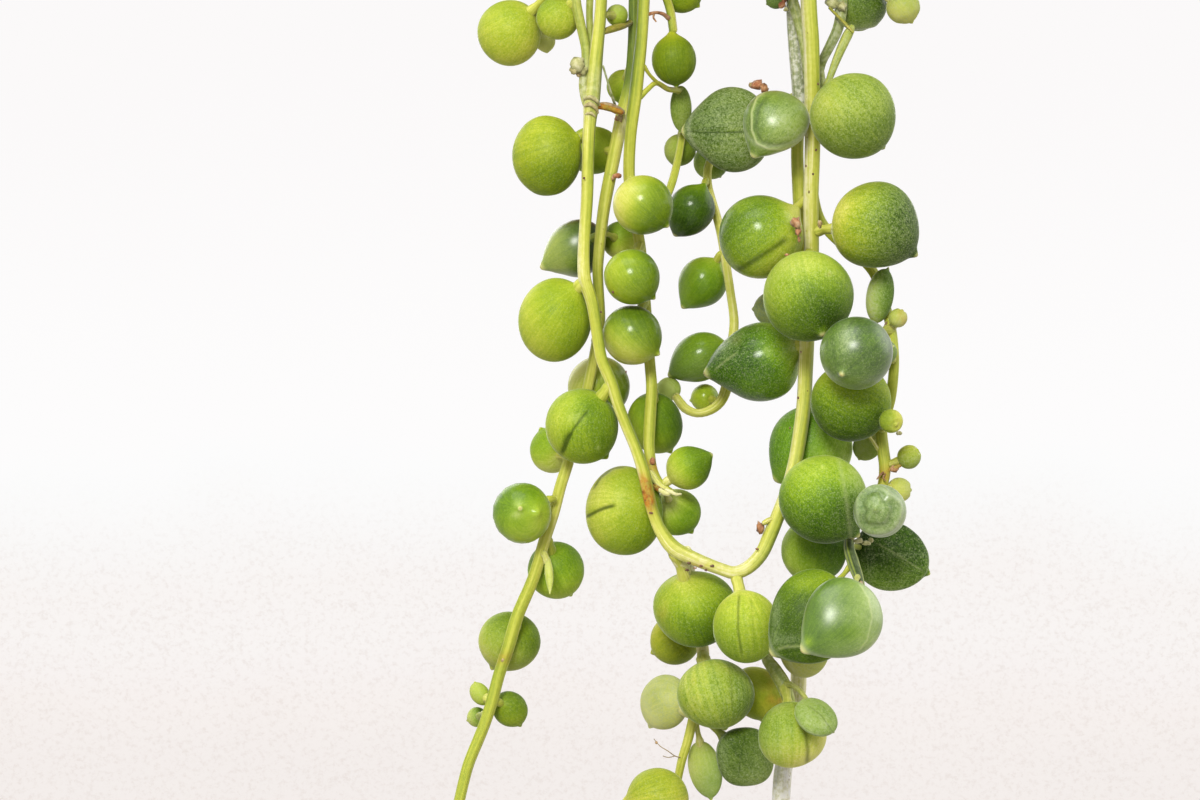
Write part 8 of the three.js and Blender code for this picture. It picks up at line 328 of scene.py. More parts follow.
    [8,0,1,54.29,-50.07,-210.04,3.97,1.06,1,0.41,-0.67,-0.62,-0.75,0.63,0.19,0.45,0.28,0.84,48.77,-45.43,-208.64,0.57,0.42,74,0.13,0.5,0.38,0.15,0.02,0.03,0,0,0,0,0,0.36,0,1,1,0.46],
    [8,0,1,42.75,-49.15,-219.78,4.24,1.05,1,-0.43,-0.73,-0.53,0.76,0.6,0.23,-0.46,0.25,0.85,47.98,-44.99,-218.16,0.56,0.42,53,0.11,0,0.46,0.21,0.17,0.2,0,0,0,0,0,0.32,0,1,1,0.51],
    [8,0,1,53.92,-39.48,-228.05,4.03,1.01,1,0.38,0.91,0.16,-0.79,-0.61,0.08,-0.16,0.33,0.93,48.2,-43.94,-227.47,0.54,0.42,32,0.19,0.5,0.39,0.14,0.08,0.09,0,0,0,0,0,0.28,2,1,1,0.56],
    [8,0,1,50.53,-49.02,-238.15,4.09,1.03,1,0.12,-0.97,-0.21,-0.25,0.94,0.22,0.22,0.28,-0.94,48.89,-42.79,-236.67,0.52,0.42,81,0.1,0.8,0.49,0.22,0.17,0.2,0,0,0,0,0,0.24,0,1,1,0.61],
    [8,0,1,43.84,-39.53,-248.7,4.08,1.02,1,-0.56,0.74,-0.38,0.77,-0.48,0.42,-0.19,-0.8,-0.57,48.95,-42.74,-245.87,0.49,0.42,60,0.1,0.5,0.54,0.26,0,0,0,0,0,0,0,0.2,0,1,1,0.36],
    [8,0,1,55.22,-46.44,-258.13,4.06,1,1,0.74,-0.61,-0.3,-0.9,0.38,0.2,-0.37,-0.43,-0.82,48.47,-43.62,-256.61,0.45,0.42,39,0.13,0,0.5,0.21,0.18,0.21,0,0,0,0,0,0.16,1,1,1,0.42],
    [8,0,1,51.39,-41.03,-268.26,3.22,1.1,1,0.65,0.5,-0.57,-0.63,-0.66,0.41,-0.7,0.25,-0.67,47.64,-45,-265.8,0.41,0.42,46,0.15,0.5,0.48,0.15,0.07,0.08,0,0,0,0,0,0.04,0,1,1,0.45],
    [8,0,1,51.12,-50.56,-275.92,4.4,1.04,1,0.64,-0.59,-0.49,-0.67,0.72,0.15,-0.69,-0.69,0.21,46.95,-46.08,-275,0.37,0.42,25,0.17,0.8,0.58,0.36,0.08,0.09,0,0,0,0,0,0,2,1,1,0.5],
    [8,0,1,41.05,-48.09,-286.28,3.86,1.11,1,-0.74,-0.28,-0.62,0.91,0.25,0.34,0.4,-0.75,-0.52,46.6,-46.58,-284.2,0.33,0.42,74,0.18,0.5,0.56,0.33,0,0,0,0,0,0,0,0.36,0,1,1,0.55],
    [8,0,1,52.48,-44.32,-294.2,3.9,1.02,1,0.92,0.33,-0.22,-0.95,-0.28,0.14,-0.2,0.23,-0.95,46.93,-45.98,-293.4,0.28,0.42,53,0.17,0,0.58,0.33,0.31,0.37,0,0,0,0,0,0.32,1,1,1,0.6],
    [9,0,1,37.2,-6.64,-199.38,3.54,1.08,1,0.12,0.16,0.98,-0.1,-0.42,-0.9,0.29,-0.88,0.38,36.56,-9.38,-205.3,0.61,0.42,32,0.14,0.5,0.51,0.26,0.12,0.14,0,0,0,0,0,0.28,2,1,1,0.35],
    [9,0,1,45.08,-17.68,-201.66,3.91,1.11,1,0.11,-0.99,-0.07,-0.1,0.99,-0.05,-0.87,-0.06,0.49,44.43,-10.94,-201.99,0.61,0.42,81,0.1,0.8,0.71,0.44,0.06,0.07,0,0,0,0,0,0.24,0,1,1,0.4],
    [9,0,1,52.46,-16.96,-193.49,4.3,1.05,1,0.01,-0.81,0.59,-0.11,0.67,-0.74,0.84,0.46,0.29,51.68,-12.29,-198.63,0.61,0.42,60,0.21,0,0.53,0.25,0,0,0,0,0,0,0,0.2,0,1,1,0.46],
    [9,0,1,64.81,-10.5,-196.04,3.94,1.02,1,0.69,0.68,0.24,-0.78,-0.57,-0.27,0.46,-0.81,0.38,59.94,-14.04,-197.74,0.61,0.42,39,0.11,0,0.47,0.18,0.19,0.22,0,0,0,0,0,0.16,1,1,1,0.51],
    [9,0,1,67.07,-21.26,-206.09,4.54,1.03,1,0.1,-0.71,-0.69,-0.35,0.89,0.29,0.16,-0.25,0.96,64.69,-15.2,-204.15,0.61,0.42,88,0.15,0.5,0.51,0.21,0.02,0.03,0,0,0,0,0,0.12,0,1,1,0.56],
    [9,0,1,68.78,-9.06,-213.95,3.95,1.04,1,0.81,0.55,-0.21,-0.72,-0.69,0.07,0.65,-0.71,-0.28,64.48,-13.21,-213.52,0.6,0.42,67,0.15,0.8,0.69,0.38,0.04,0.04,0,0,0,0,0,0.08,0,1,1,0.61],
    [9,0,1,66.37,-17.77,-223.55,3.37,1.1,1,-0.05,-0.99,-0.14,-0.43,0.9,0.11,-0.11,-0.17,0.98,63.94,-12.7,-222.95,0.57,0.42,25,0.2,0.8,0.54,0.32,0,0,0,0,0,0,0,0,2,1,1,0.5],
    [9,0,1,61.95,-9.63,-235.14,3.33,1.02,1,-0.44,0.65,-0.62,0.33,-0.8,0.5,0.47,-0.32,-0.82,63.9,-14.29,-232.21,0.54,0.42,74,0.22,0.8,0.55,0.32,0.08,0.09,0,0,0,0,0,0.36,0,1,1,0.55],
    [9,0,1,69.41,-15.49,-241.09,3.68,1.01,1,0.87,0.23,-0.44,-0.97,-0.09,0.21,0.2,0.05,0.98,63.85,-15.99,-239.91,0.5,0.42,53,0.15,0.8,0.63,0.39,0,0,0,0,0,0,0,0.32,0,1,1,0.6],
    [9,0,1,63.42,-23.82,-250.69,3.73,1.07,1,-0.2,-0.77,-0.61,0.07,0.97,0.22,-0.41,0.23,-0.88,63.9,-17,-249.16,0.46,0.42,32,0.13,0,0.58,0.33,0.03,0.03,0,0,0,0,0,0.28,2,1,1,0.35],
    [9,0,1,63.11,-9.99,-260.97,3.49,1.02,1,-0.16,0.94,-0.3,0.15,-0.98,0.15,0.99,0.15,-0.01,64.07,-16.35,-259.97,0.4,0.42,81,0.18,0.5,0.54,0.27,0.1,0.12,0,0,0,0,0,0.24,0,1,1,0.4],
    [9,0,1,68.81,-15.96,-270.33,3.4,1.01,1,0.88,-0.28,-0.38,-0.93,0.28,0.22,-0.3,-0.95,-0.06,64.09,-14.54,-269.21,0.34,0.42,60,0.11,0,0.68,0.4,0.22,0.26,0,0,0,0,0,0.2,1,1,1,0.46],
    [9,0,1,58.93,-16.35,-280.88,3.32,1.02,1,-0.8,-0.48,-0.35,0.75,0.55,0.38,0.66,-0.66,-0.36,63.71,-12.85,-278.46,0.28,0.42,39,0.18,0,0.34,0.08,0,0,0,0,0,0,0,0.16,2,1,1,0.51],
    [10,0,1,36.9,9.16,-202.68,2.78,1.03,1,-0.57,0.81,0.15,0.1,-0.84,-0.54,-0.14,-0.54,0.83,37.4,5.06,-205.3,0.56,0.42,88,0.15,0.8,0.58,0.28,0.19,0.23,0,0,0,0,0,0.12,1,1,1,0.56],
    [10,0,1,48.67,2.88,-202.64,4.05,1.05,1,0.67,-0.5,-0.55,-0.6,0.79,0.11,-0.77,-0.61,0.19,45.13,7.51,-201.99,0.56,0.42,67,0.18,0.5,0.43,0.12,0.21,0.25,0,0,0,0,0,0.08,1,1,1,0.61],
    [10,0,1,54.99,11.13,-192.38,3.56,1.01,1,0.45,-0.43,0.78,-0.22,-0.08,-0.97,0.71,0.67,-0.21,53.72,10.65,-198.1,0.56,0.42,46,0.14,0,0.42,0.09,0.24,0.29,0,0,0,0,0,0.04,1,1,1,0.36],
    [10,0,1,65.8,7.62,-202.5,3.35,1.13,1,0.31,-0.56,-0.77,-0.33,0.83,0.46,0.04,0.5,-0.87,63.71,12.88,-199.6,0.56,0.42,74,0.21,0,0.55,0.32,0.07,0.09,0,0,0,0,0,0.36,0,1,1,0.55],
    [10,0,1,67.25,20.8,-208.98,3.87,1,1,0.19,0.96,-0.2,-0.28,-0.94,0.21,0.89,-0.33,-0.3,65.2,13.88,-207.43,0.56,0.42,53,0.18,0,0.43,0.19,0.15,0.18,0,0,0,0,0,0.32,0,1,1,0.6],
    [10,0,1,71.17,10.04,-218.9,4.31,1.02,1,0.74,-0.58,-0.35,-0.88,0.43,0.17,0.46,0.79,0.4,64.49,13.32,-217.63,0.54,0.42,32,0.19,0,0.61,0.35,0.15,0.19,0,0,0,0,0,0.28,2,1,1,0.35],
    [10,0,1,60.22,15.56,-231.13,4.49,1.05,1,-0.9,0.34,-0.26,0.69,-0.52,0.5,0.56,0.82,0.07,64.97,12.01,-227.67,0.52,0.42,81,0.2,0.8,0.34,0.08,0,0,0,0,0,0,0,0.24,0,1,1,0.4],
    [10,0,1,72.04,16.02,-238.8,4.58,1.02,1,0.94,0.35,-0.03,-0.83,-0.54,0.14,-0.03,-0.22,-0.98,65.39,11.66,-237.67,0.48,0.42,60,0.1,0,0.48,0.2,0.03,0.04,0,0,0,0,0,0.2,0,1,1,0.46],
    [10,0,1,66.45,6.13,-248.69,3.86,1.04,1,0.35,-0.62,-0.7,-0.16,0.91,0.38,0.2,-0.35,0.92,65.3,12.52,-246,0.45,0.42,39,0.14,0,0.57,0.28,0.24,0.29,0,0,0,0,0,0.16,1,1,1,0.51],
    [10,0,1,65.3,19.7,-256.66,3.62,1.04,1,0.33,0.74,-0.59,-0.14,-0.99,0.06,0.42,-0.11,-0.9,64.57,14.44,-256.37,0.41,0.42,88,0.2,0.8,0.66,0.36,0.26,0.31,0,0,0,0,0,0.12,1,1,1,0.56],
    [10,0,1,69.85,15.07,-267.58,3.6,1.14,1,0.98,0.12,-0.18,-0.97,0.08,0.25,0.07,-0.84,0.54,63.69,15.56,-266,0.36,0.42,67,0.13,0,0.59,0.27,0.14,0.17,0,0,0,0,0,0.08,0,1,1,0.61],
    [10,0,1,60.58,10.43,-277.19,3.49,1.02,1,-0.3,-0.95,-0.11,0.41,0.89,0.21,-0.86,0.3,0.42,62.93,15.47,-276,0.31,0.42,46,0.22,0.8,0.37,0.08,0.13,0.15,0,0,0,0,0,0.04,0,1,1,0.36],
    [10,0,1,64.66,19.31,-286.2,4.05,1.07,1,0.29,0.83,-0.47,-0.35,-0.88,0.32,-0.65,-0.02,-0.76,62.61,14.2,-284.33,0.26,0.42,25,0.11,0.5,0.72,0.5,0.01,0.02,0,0,0,0,0,0,2,1,1,0.41],
    [11,0,1,22.62,31.25,-198.18,4.17,1.03,1,-0.35,-0.09,0.93,0.23,-0.32,-0.92,0.35,-0.85,0.38,24.4,28.79,-205.29,0.59,0.42,53,0.12,0,0.44,0.2,0,0,0,0,0,0,0,0.32,0,1,1,0.6],
    [11,0,1,30.94,40.45,-201.34,4.56,1.06,1,-0.13,0.96,-0.23,0.26,-0.96,0.02,-0.71,-0.18,0.68,32.7,34.02,-201.22,0.59,0.42,32,0.21,0,0.75,0.49,0.14,0.17,0,0,0,0,0,0.28,2,1,1,0.35],
    [11,0,1,42.53,40.11,-191.9,3.55,1.02,1,0.09,0.51,0.86,-0.2,-0.28,-0.94,-0.93,-0.25,0.27,41.3,38.41,-197.67,0.59,0.42,81,0.22,0,0.62,0.36,0,0,0,0,0,0,0,0.24,0,1,1,0.4],
    [11,0,1,57.04,42.19,-202.51,4.56,1.03,1,0.73,-0.43,-0.53,-0.96,0.17,0.2,0.26,0.54,0.8,49.21,43.58,-200.86,0.59,0.42,60,0.11,0,0.55,0.27,0,0,0,0,0,0,0,0.2,0,1,1,0.46],
    [11,0,1,53.79,50.41,-210.67,3.92,1.01,1,0.61,0.61,-0.51,-0.52,-0.82,0.23,0.35,0.04,0.94,49.95,44.31,-209,0.59,0.42,39,0.19,0.5,0.63,0.34,0.01,0.02,0,0,0,0,0,0.16,2,1,1,0.51],
    [11,0,1,55.46,38.37,-221.29,4.59,1.06,1,0.64,-0.57,-0.52,-0.66,0.67,0.34,0.75,0.62,0.23,50.93,43.01,-218.95,0.57,0.42,88,0.13,0.8,0.45,0.15,0.26,0.31,0,0,0,0,0,0.12,1,1,1,0.56],
    [11,0,1,45.66,48.66,-227.48,3.71,1.02,1,-0.44,0.78,-0.45,0.7,-0.71,0.07,-0.71,-0.7,-0.01,49.95,44.33,-227.05,0.54,0.42,67,0.13,0.8,0.56,0.24,0,0,0,0,0,0,0,0.08,0,1,1,0.61],
    [11,0,1,53.63,49.5,-238.33,3.53,1.13,1,0.58,0.74,-0.35,-0.79,-0.57,0.23,0.58,-0.81,-0.04,48.28,45.62,-236.76,0.49,0.42,46,0.14,0.5,0.67,0.34,0,0,0,0,0,0,0,0.04,0,1,1,0.36],
    [11,0,1,48.64,40.5,-247.62,3.45,1.15,1,0.33,-0.85,-0.42,-0.25,0.94,0.21,-0.74,-0.33,0.58,47.32,45.53,-246.48,0.44,0.42,25,0.15,0.5,0.58,0.36,0.26,0.31,0,0,0,0,0,0,1,1,1,0.41],
    [11,0,1,47.32,49.27,-258.34,3.29,1.04,1,-0.16,0.84,-0.53,0.04,-0.93,0.38,-0.53,-0.34,-0.78,47.54,44,-256.19,0.39,0.42,74,0.18,0.8,0.48,0.24,0.12,0.14,0,0,0,0,0,0.36,0,1,1,0.46],
    [11,0,1,53.78,40.15,-266.44,3.63,1.05,1,0.93,-0.23,-0.29,-0.93,0.34,0.09,-0.18,-0.69,0.7,48.4,42.12,-265.9,0.32,0.42,32,0.15,0.5,0.38,0.12,0.04,0.05,0,0,0,0,0,0.28,2,1,1,0.35],
    [12,0,1,14.27,34.95,-202.92,3.29,1,1,-0.61,0.62,0.49,0.8,-0.38,-0.46,0.59,0.32,0.74,18.35,32.98,-205.29,0.62,0.42,81,0.22,0,0.6,0.34,0,0,0,0,0,0,0,0.24,0,1,1,0.4],
    [12,0,1,15,46.27,-201.83,4.13,1.03,1,-0.74,0.65,-0.15,0.82,-0.56,0.09,-0.32,-0.32,0.89,20.54,42.48,-201.22,0.62,0.42,60,0.14,0.5,0.65,0.37,0.15,0.18,0,0,0,0,0,0.2,0,1,1,0.46],
    [12,0,1,27.89,51.61,-194.53,4.33,1.03,1,0.75,0.28,0.6,-0.85,-0.18,-0.49,0.12,-0.98,0.15,21.69,50.29,-198.1,0.62,0.42,39,0.21,0.8,0.43,0.14,0.06,0.08,0,0,0,0,0,0.16,2,1,1,0.51],
    [12,0,1,26.35,63.72,-194.73,3.31,1.13,1,0.89,0.42,0.16,-0.33,-0.76,-0.56,0.88,-0.02,-0.48,24.19,58.7,-198.46,0.62,0.42,88,0.14,0,0.58,0.27,0,0,0,0,0,0,0,0.12,0,1,1,0.56],
    [12,0,1,31.6,64.06,-209.13,4.48,1.03,1,0.41,0.61,-0.68,-0.93,-0.29,0.24,-0.33,0.94,-0.12,24.89,61.95,-207.4,0.62,0.42,67,0.12,0.8,0.72,0.4,0.07,0.09,0,0,0,0,0,0.08,0,1,1,0.61],
    [12,0,1,18.05,62.17,-217.34,4.04,1.03,1,-0.82,-0.29,-0.49,0.96,0.04,0.26,0.18,-0.84,-0.51,24.37,62.46,-215.64,0.61,0.42,46,0.14,0.5,0.53,0.21,0.15,0.18,0,0,0,0,0,0.04,0,1,1,0.36],
    [12,0,1,25.24,67.91,-224.98,3.73,1.02,1,0.45,0.85,-0.28,-0.31,-0.93,0.19,-0.28,-0.11,-0.95,23.51,62.63,-223.88,0.59,0.42,25,0.13,0,0.52,0.3,0.13,0.15,0,0,0,0,0,0,2,1,1,0.41],
    [12,0,1,28.59,59.84,-234.89,3.52,1.03,1,0.74,-0.39,-0.55,-0.91,0.38,0.19,-0.04,0.38,-0.92,22.72,62.28,-233.63,0.55,0.42,74,0.19,0.5,0.43,0.2,0,0,0,0,0,0,0,0.36,0,1,1,0.46],
    [12,0,1,17.81,64.1,-245.92,4.32,1.03,1,-0.49,0.58,-0.65,0.83,-0.43,0.37,0.33,0.9,0.3,23.57,61.12,-243.38,0.51,0.42,53,0.14,0,0.42,0.18,0.16,0.19,0,0,0,0,0,0.32,0,1,1,0.51],
    [12,0,1,29.57,64.33,-254.04,3.32,1.06,1,0.64,0.76,-0.07,-0.7,-0.7,0.14,-0.4,0.22,-0.89,25.03,59.75,-253.12,0.46,0.42,81,0.13,0.5,0.51,0.24,0.22,0.27,0,0,0,0,0,0.24,1,1,1,0.4],
    [12,0,1,29.36,53.32,-263.03,4.6,1.11,1,0.65,-0.67,-0.36,-0.5,0.82,0.26,-0.84,-0.39,-0.38,25.9,58.96,-261.24,0.42,0.42,60,0.22,0.8,0.56,0.28,0.08,0.1,0,0,0,0,0,0.2,0,1,1,0.46],
    [12,0,1,21.46,64.15,-272.19,4.32,1.05,1,-0.54,0.84,-0.07,0.64,-0.75,0.17,-0.77,-0.6,0.22,25.99,58.77,-271,0.36,0.42,39,0.12,0,0.48,0.19,0,0,0,0,0,0,0,0.16,2,1,1,0.51],
    [12,0,1,28.85,63.95,-282.07,3.53,1.01,1,0.41,0.69,-0.6,-0.67,-0.71,0.21,-0.56,0.29,-0.77,24.76,59.55,-280.75,0.3,0.42,88,0.1,0.8,0.53,0.23,0,0,0,0,0,0,0,0.12,0,1,1,0.56],
    [13,0,1,-20.54,32.94,-198.8,4.67,1.04,1,-0.91,-0.03,0.42,0.58,0.16,-0.8,0.78,-0.39,0.49,-15.8,34.28,-205.3,0.58,0.42,67,0.14,0,0.67,0.35,0.27,0.33,0,0,0,0,0,0.08,1,1,1,0.61],
    [13,0,1,-14.08,48.12,-203.38,3.74,1.01,1,0.69,0.58,-0.44,-0.66,-0.68,0.3,0.64,-0.31,0.7,-18.79,43.28,-201.22,0.58,0.42,46,0.11,0.5,0.78,0.45,0.25,0.3,0,0,0,0,0,0.04,1,1,1,0.36],
    [13,0,1,-24.33,53.41,-192.18,4.42,1.02,1,-0.66,0.12,0.74,0.45,-0.2,-0.87,-0.83,0.25,-0.49,-21.47,52.17,-197.68,0.58,0.42,25,0.13,0,0.3,0.08,0.25,0.3,0,0,0,0,0,0,1,1,1,0.41],
    [13,0,1,-20.79,65.69,-199.42,3.75,1.01,1,0.36,0.93,0.07,-0.5,-0.87,-0.03,0.35,-0.16,-0.92,-23.75,60.51,-199.6,0.58,0.42,74,0.19,0.8,0.64,0.41,0.1,0.12,0,0,0,0,0,0.36,0,1,1,0.46],
    [13,0,1,-31.79,65.67,-209.47,3.96,1.02,1,-0.87,0.32,-0.37,0.85,-0.53,0.07,-0.3,-0.37,0.88,-25.48,61.76,-208.99,0.57,0.42,53,0.22,0,0.67,0.43,0.16,0.19,0,0,0,0,0,0.32,0,1,1,0.51],
    [13,0,1,-22.39,66.17,-220.8,4.46,1.11,1,0.52,0.56,-0.65,-0.63,-0.75,0.21,0.5,-0.59,-0.63,-26.7,61,-219.33,0.55,0.42,32,0.2,0.8,0.49,0.24,0.4,0.48,0,0,0,0,0,0.28,1,1,1,0.56],
    [13,0,1,-27.84,55.78,-232.36,4.07,1.12,1,-0.39,-0.75,-0.54,0.47,0.79,0.4,-0.88,0.39,0.26,-24.75,60.95,-229.7,0.52,0.42,60,0.17,0,0.49,0.21,0.08,0.09,0,0,0,0,0,0.2,0,1,1,0.46],
    [13,0,1,-25.11,66.17,-240.58,3.4,1.05,1,-0.41,0.88,-0.22,0.37,-0.9,0.22,0.92,0.39,0.05,-22.96,60.91,-239.33,0.49,0.42,39,0.19,0.5,0.74,0.44,0,0,0,0,0,0,0,0.16,2,1,1,0.51],
    [13,0,1,-16.26,61.25,-249.39,3.57,1.06,1,0.85,0.05,-0.52,-0.96,-0.08,0.28,0.21,-0.84,0.5,-22.14,60.78,-247.66,0.46,0.42,88,0.16,0.5,0.63,0.33,0.25,0.29,0,0,0,0,0,0.12,1,1,1,0.56],
    [13,0,1,-28.14,62,-258.32,3.67,1.02,1,-0.83,0.22,-0.51,0.95,-0.28,0.11,-0.19,-0.28,0.94,-22.74,60.43,-257.67,0.41,0.42,67,0.11,0,0.7,0.39,0,0,0,0,0,0,0,0.08,0,1,1,0.61],
    [13,0,1,-23.55,65.17,-269.71,3.87,1.02,1,0.31,0.64,-0.7,-0.19,-0.94,0.27,0.71,-0.32,-0.63,-24.58,59.96,-268.22,0.36,0.42,46,0.15,0.8,0.47,0.14,0.11,0.14,0,0,0,0,0,0.04,0,1,1,0.36],
    [13,0,1,-27.74,53.42,-280.36,4.05,1.03,1,-0.2,-0.91,-0.37,0.26,0.89,0.38,0.93,-0.13,-0.34,-25.91,59.76,-277.66,0.31,0.42,25,0.1,0.5,0.58,0.36,0.2,0.24,0,0,0,0,0,0,1,1,1,0.41],
    [14,0,1,-29.58,23.32,-198.9,3.26,1.07,1,0,0.11,0.99,0.04,0.06,-1,-0.52,-0.85,-0.07,-29.35,23.73,-205.3,0.61,0.42,74,0.21,0.8,0.59,0.35,0.16,0.19,0,0,0,0,0,0.36,0,1,1,0.46],
    [14,0,1,-33.43,35.57,-201.34,3.71,1.04,1,-0.02,0.98,-0.22,-0.45,-0.89,0.02,-0.07,0.06,1,-35.95,30.56,-201.22,0.61,0.42,53,0.12,0.8,0.77,0.53,0.26,0.31,0,0,0,0,0,0.32,1,1,1,0.51],
    [14,0,1,-46.67,35.91,-194.95,3.45,1.02,1,-0.97,-0.16,0.19,0.82,0.28,-0.5,-0.57,0.34,-0.75,-42.19,37.46,-197.68,0.61,0.42,32,0.19,0,0.72,0.47,0,0,0,0,0,0,0,0.28,2,1,1,0.56],
    [14,0,1,-46.27,49.98,-200.62,3.93,1.04,1,0.06,0.96,-0.27,-0.25,-0.95,0.16,-0.66,0.29,0.69,-47.87,43.97,-199.6,0.61,0.42,81,0.16,0,0.39,0.12,0,0,0,0,0,0,0,0.24,0,1,1,0.61],
    [14,0,1,-52.98,49.15,-210.19,3.6,1.03,1,-0.67,0.66,-0.35,0.63,-0.75,0.19,0.68,0.42,-0.6,-49.31,44.76,-209.07,0.6,0.42,39,0.2,0.8,0.76,0.47,0,0,0,0,0,0,0,0.16,2,1,1,0.51],
    [14,0,1,-42.96,48,-218.54,3.33,1.11,1,0.8,0.43,-0.43,-0.85,-0.51,0.15,0.37,-0.77,-0.52,-47.79,45.13,-217.67,0.59,0.42,88,0.15,0.5,0.56,0.25,0.16,0.19,0,0,0,0,0,0.12,0,1,1,0.56],
    [14,0,1,-53.14,41.9,-227.82,4.17,1.05,1,-0.76,-0.01,-0.65,0.85,0.45,0.25,-0.46,0.45,0.76,-46.92,45.2,-226,0.56,0.42,67,0.14,0,0.71,0.39,0,0,0,0,0,0,0,0.08,0,1,1,0.61],
    [14,0,1,-50.68,49.85,-237.51,4.48,1.02,1,-0.44,0.78,-0.45,0.5,-0.84,0.23,0.8,0.54,0.25,-47.39,44.28,-236,0.51,0.42,46,0.13,0.8,0.46,0.13,0.1,0.12,0,0,0,0,0,0.04,0,1,1,0.36],
    [14,0,1,-44.3,40.65,-247.09,3.24,1.04,1,0.73,-0.17,-0.66,-0.76,0.44,0.49,0.33,-0.39,0.86,-48.6,43.13,-244.33,0.47,0.42,25,0.22,0,0.64,0.42,0.07,0.08,0,0,0,0,0,0,2,1,1,0.41],
    [14,0,1,-56.07,43.49,-253.4,3.77,1.02,1,-0.95,0.27,-0.17,0.97,-0.2,0.12,0.19,0.38,-0.9,-49.86,42.21,-252.67,0.43,0.42,74,0.1,0,0.34,0.11,0.22,0.26,0,0,0,0,0,0.36,1,1,1,0.46],
    [14,0,1,-47.61,49.16,-263.84,4.48,1.07,1,0.36,0.79,-0.49,-0.35,-0.92,0.16,0.64,-0.11,0.76,-50.16,42.47,-262.67,0.36,0.42,53,0.2,0,0.46,0.22,0,0,0,0,0,0,0,0.32,0,1,1,0.51],
    [14,0,1,-51.12,39.17,-275.42,3.89,1.09,1,-0.11,-0.74,-0.66,0.37,0.8,0.48,-0.58,0.6,-0.55,-48.99,43.8,-272.67,0.3,0.42,32,0.18,0,0.51,0.25,0.03,0.04,0,0,0,0,0,0.28,2,1,1,0.56],
    [15,0,1,-35,19.01,-202.9,3.24,1.02,1,0.13,0.92,0.38,0.01,-0.89,-0.45,-0.51,-0.39,0.77,-34.93,14.29,-205.29,0.56,0.42,81,0.1,0,0.54,0.27,0.14,0.17,0,0,0,0,0,0.24,0,1,1,0.61],
    [15,0,1,-45.33,21.19,-200,4.28,1,1,-0.06,0.97,0.22,0.11,-0.97,-0.2,0.26,0.22,-0.94,-44.65,15.27,-201.22,0.56,0.42,60,0.16,0,0.53,0.25,0.08,0.09,0,0,0,0,0,0.2,0,1,1,0.36],
    [15,0,1,-56.09,18.47,-193.04,3.48,1.09,1,-0.33,0.64,0.69,0.31,-0.54,-0.79,0.05,-0.81,0.58,-54.29,15.3,-197.67,0.56,0.42,88,0.12,0.5,0.54,0.24,0.08,0.1,0,0,0,0,0,0.12,0,1,1,0.56],
    [15,0,1,-62.89,24.45,-201.87,3.87,1.04,1,0.03,0.88,-0.47,0.04,-0.95,0.31,0.13,-0.3,-0.94,-62.61,17.45,-199.6,0.56,0.42,67,0.12,0,0.64,0.32,0.04,0.05,0,0,0,0,0,0.08,0,1,1,0.61],
    [15,0,1,-68.94,22.05,-211.34,3.67,1.05,1,-0.59,0.8,-0.1,0.73,-0.66,0.17,0.22,0.46,0.86,-64.04,17.6,-210.17,0.56,0.42,46,0.13,0,0.57,0.24,0.26,0.31,0,0,0,0,0,0.04,1,1,1,0.36],
    [15,0,1,-67.02,21.42,-220.88,3.5,1.01,1,-0.61,0.63,-0.48,0.8,-0.56,0.22,-0.48,-0.81,-0.33,-62.62,18.3,-219.67,0.54,0.42,25,0.21,0.8,0.41,0.19,0.13,0.15,0,0,0,0,0,0,2,1,1,0.41],
    [15,0,1,-57.5,16.43,-231.65,3.34,1.14,1,0.33,0.28,-0.9,-0.88,0.05,0.47,-0.01,0.99,-0.13,-62.95,16.74,-228.77,0.51,0.42,74,0.12,0.8,0.65,0.42,0.26,0.31,0,0,0,0,0,0.36,1,1,1,0.46],
    [15,0,1,-69.28,11.08,-240.14,4.05,1.04,1,-0.27,-0.86,-0.43,0.81,0.58,0.11,-0.52,0.78,-0.34,-63.62,15.18,-239.4,0.48,0.42,53,0.15,0,0.57,0.32,0,0,0,0,0,0,0,0.32,0,1,1,0.51],
    [15,0,1,-65.77,21.03,-249.7,4.2,1.03,1,-0.42,0.68,-0.61,0.26,-0.95,0.18,0.19,0.24,0.95,-64.05,14.82,-248.52,0.45,0.42,32,0.16,0.5,0.73,0.47,0.04,0.05,0,0,0,0,0,0.28,2,1,1,0.56],
    [15,0,1,-64,10.79,-261.65,4.21,1.06,1,-0.05,-0.88,-0.48,-0.02,0.9,0.43,0.3,0.41,-0.86,-64.09,16.05,-259.15,0.4,0.42,81,0.13,0,0.47,0.2,0,0,0,0,0,0,0,0.24,0,1,1,0.61],
    [15,0,1,-69.98,20.62,-270.9,4.25,1.01,1,-0.88,0.47,0.02,0.91,-0.38,0.16,0.35,0.92,0.18,-63.55,17.95,-269.77,0.35,0.42,60,0.19,0.5,0.65,0.37,0.13,0.15,0,0,0,0,0,0.2,0,1,1,0.36],
    [15,0,1,-57.62,22.59,-282.17,3.73,1.05,1,0.89,0.09,-0.45,-0.79,-0.56,0.27,-0.44,0.21,-0.87,-62.84,18.88,-280.4,0.29,0.42,39,0.15,0.8,0.44,0.15,0.03,0.04,0,0,0,0,0,0.16,2,1,1,0.42],
    [16,0,1,-36.57,-7.74,-200.44,4,1.07,1,-0.3,0.52,0.8,0.15,-0.71,-0.69,0.36,-0.61,0.7,-35.55,-12.68,-205.29,0.59,0.42,67,0.22,0,0.49,0.17,0.22,0.26,0,0,0,0,0,0.08,1,1,1,0.61],
    [16,0,1,-46.88,-6.71,-203.02,3.93,1.06,1,-0.52,0.83,-0.2,0.43,-0.89,0.15,0.9,0.42,-0.08,-43.86,-13.02,-201.99,0.59,0.42,46,0.21,0.5,0.49,0.17,0,0,0,0,0,0,0,0.04,0,1,1,0.36],
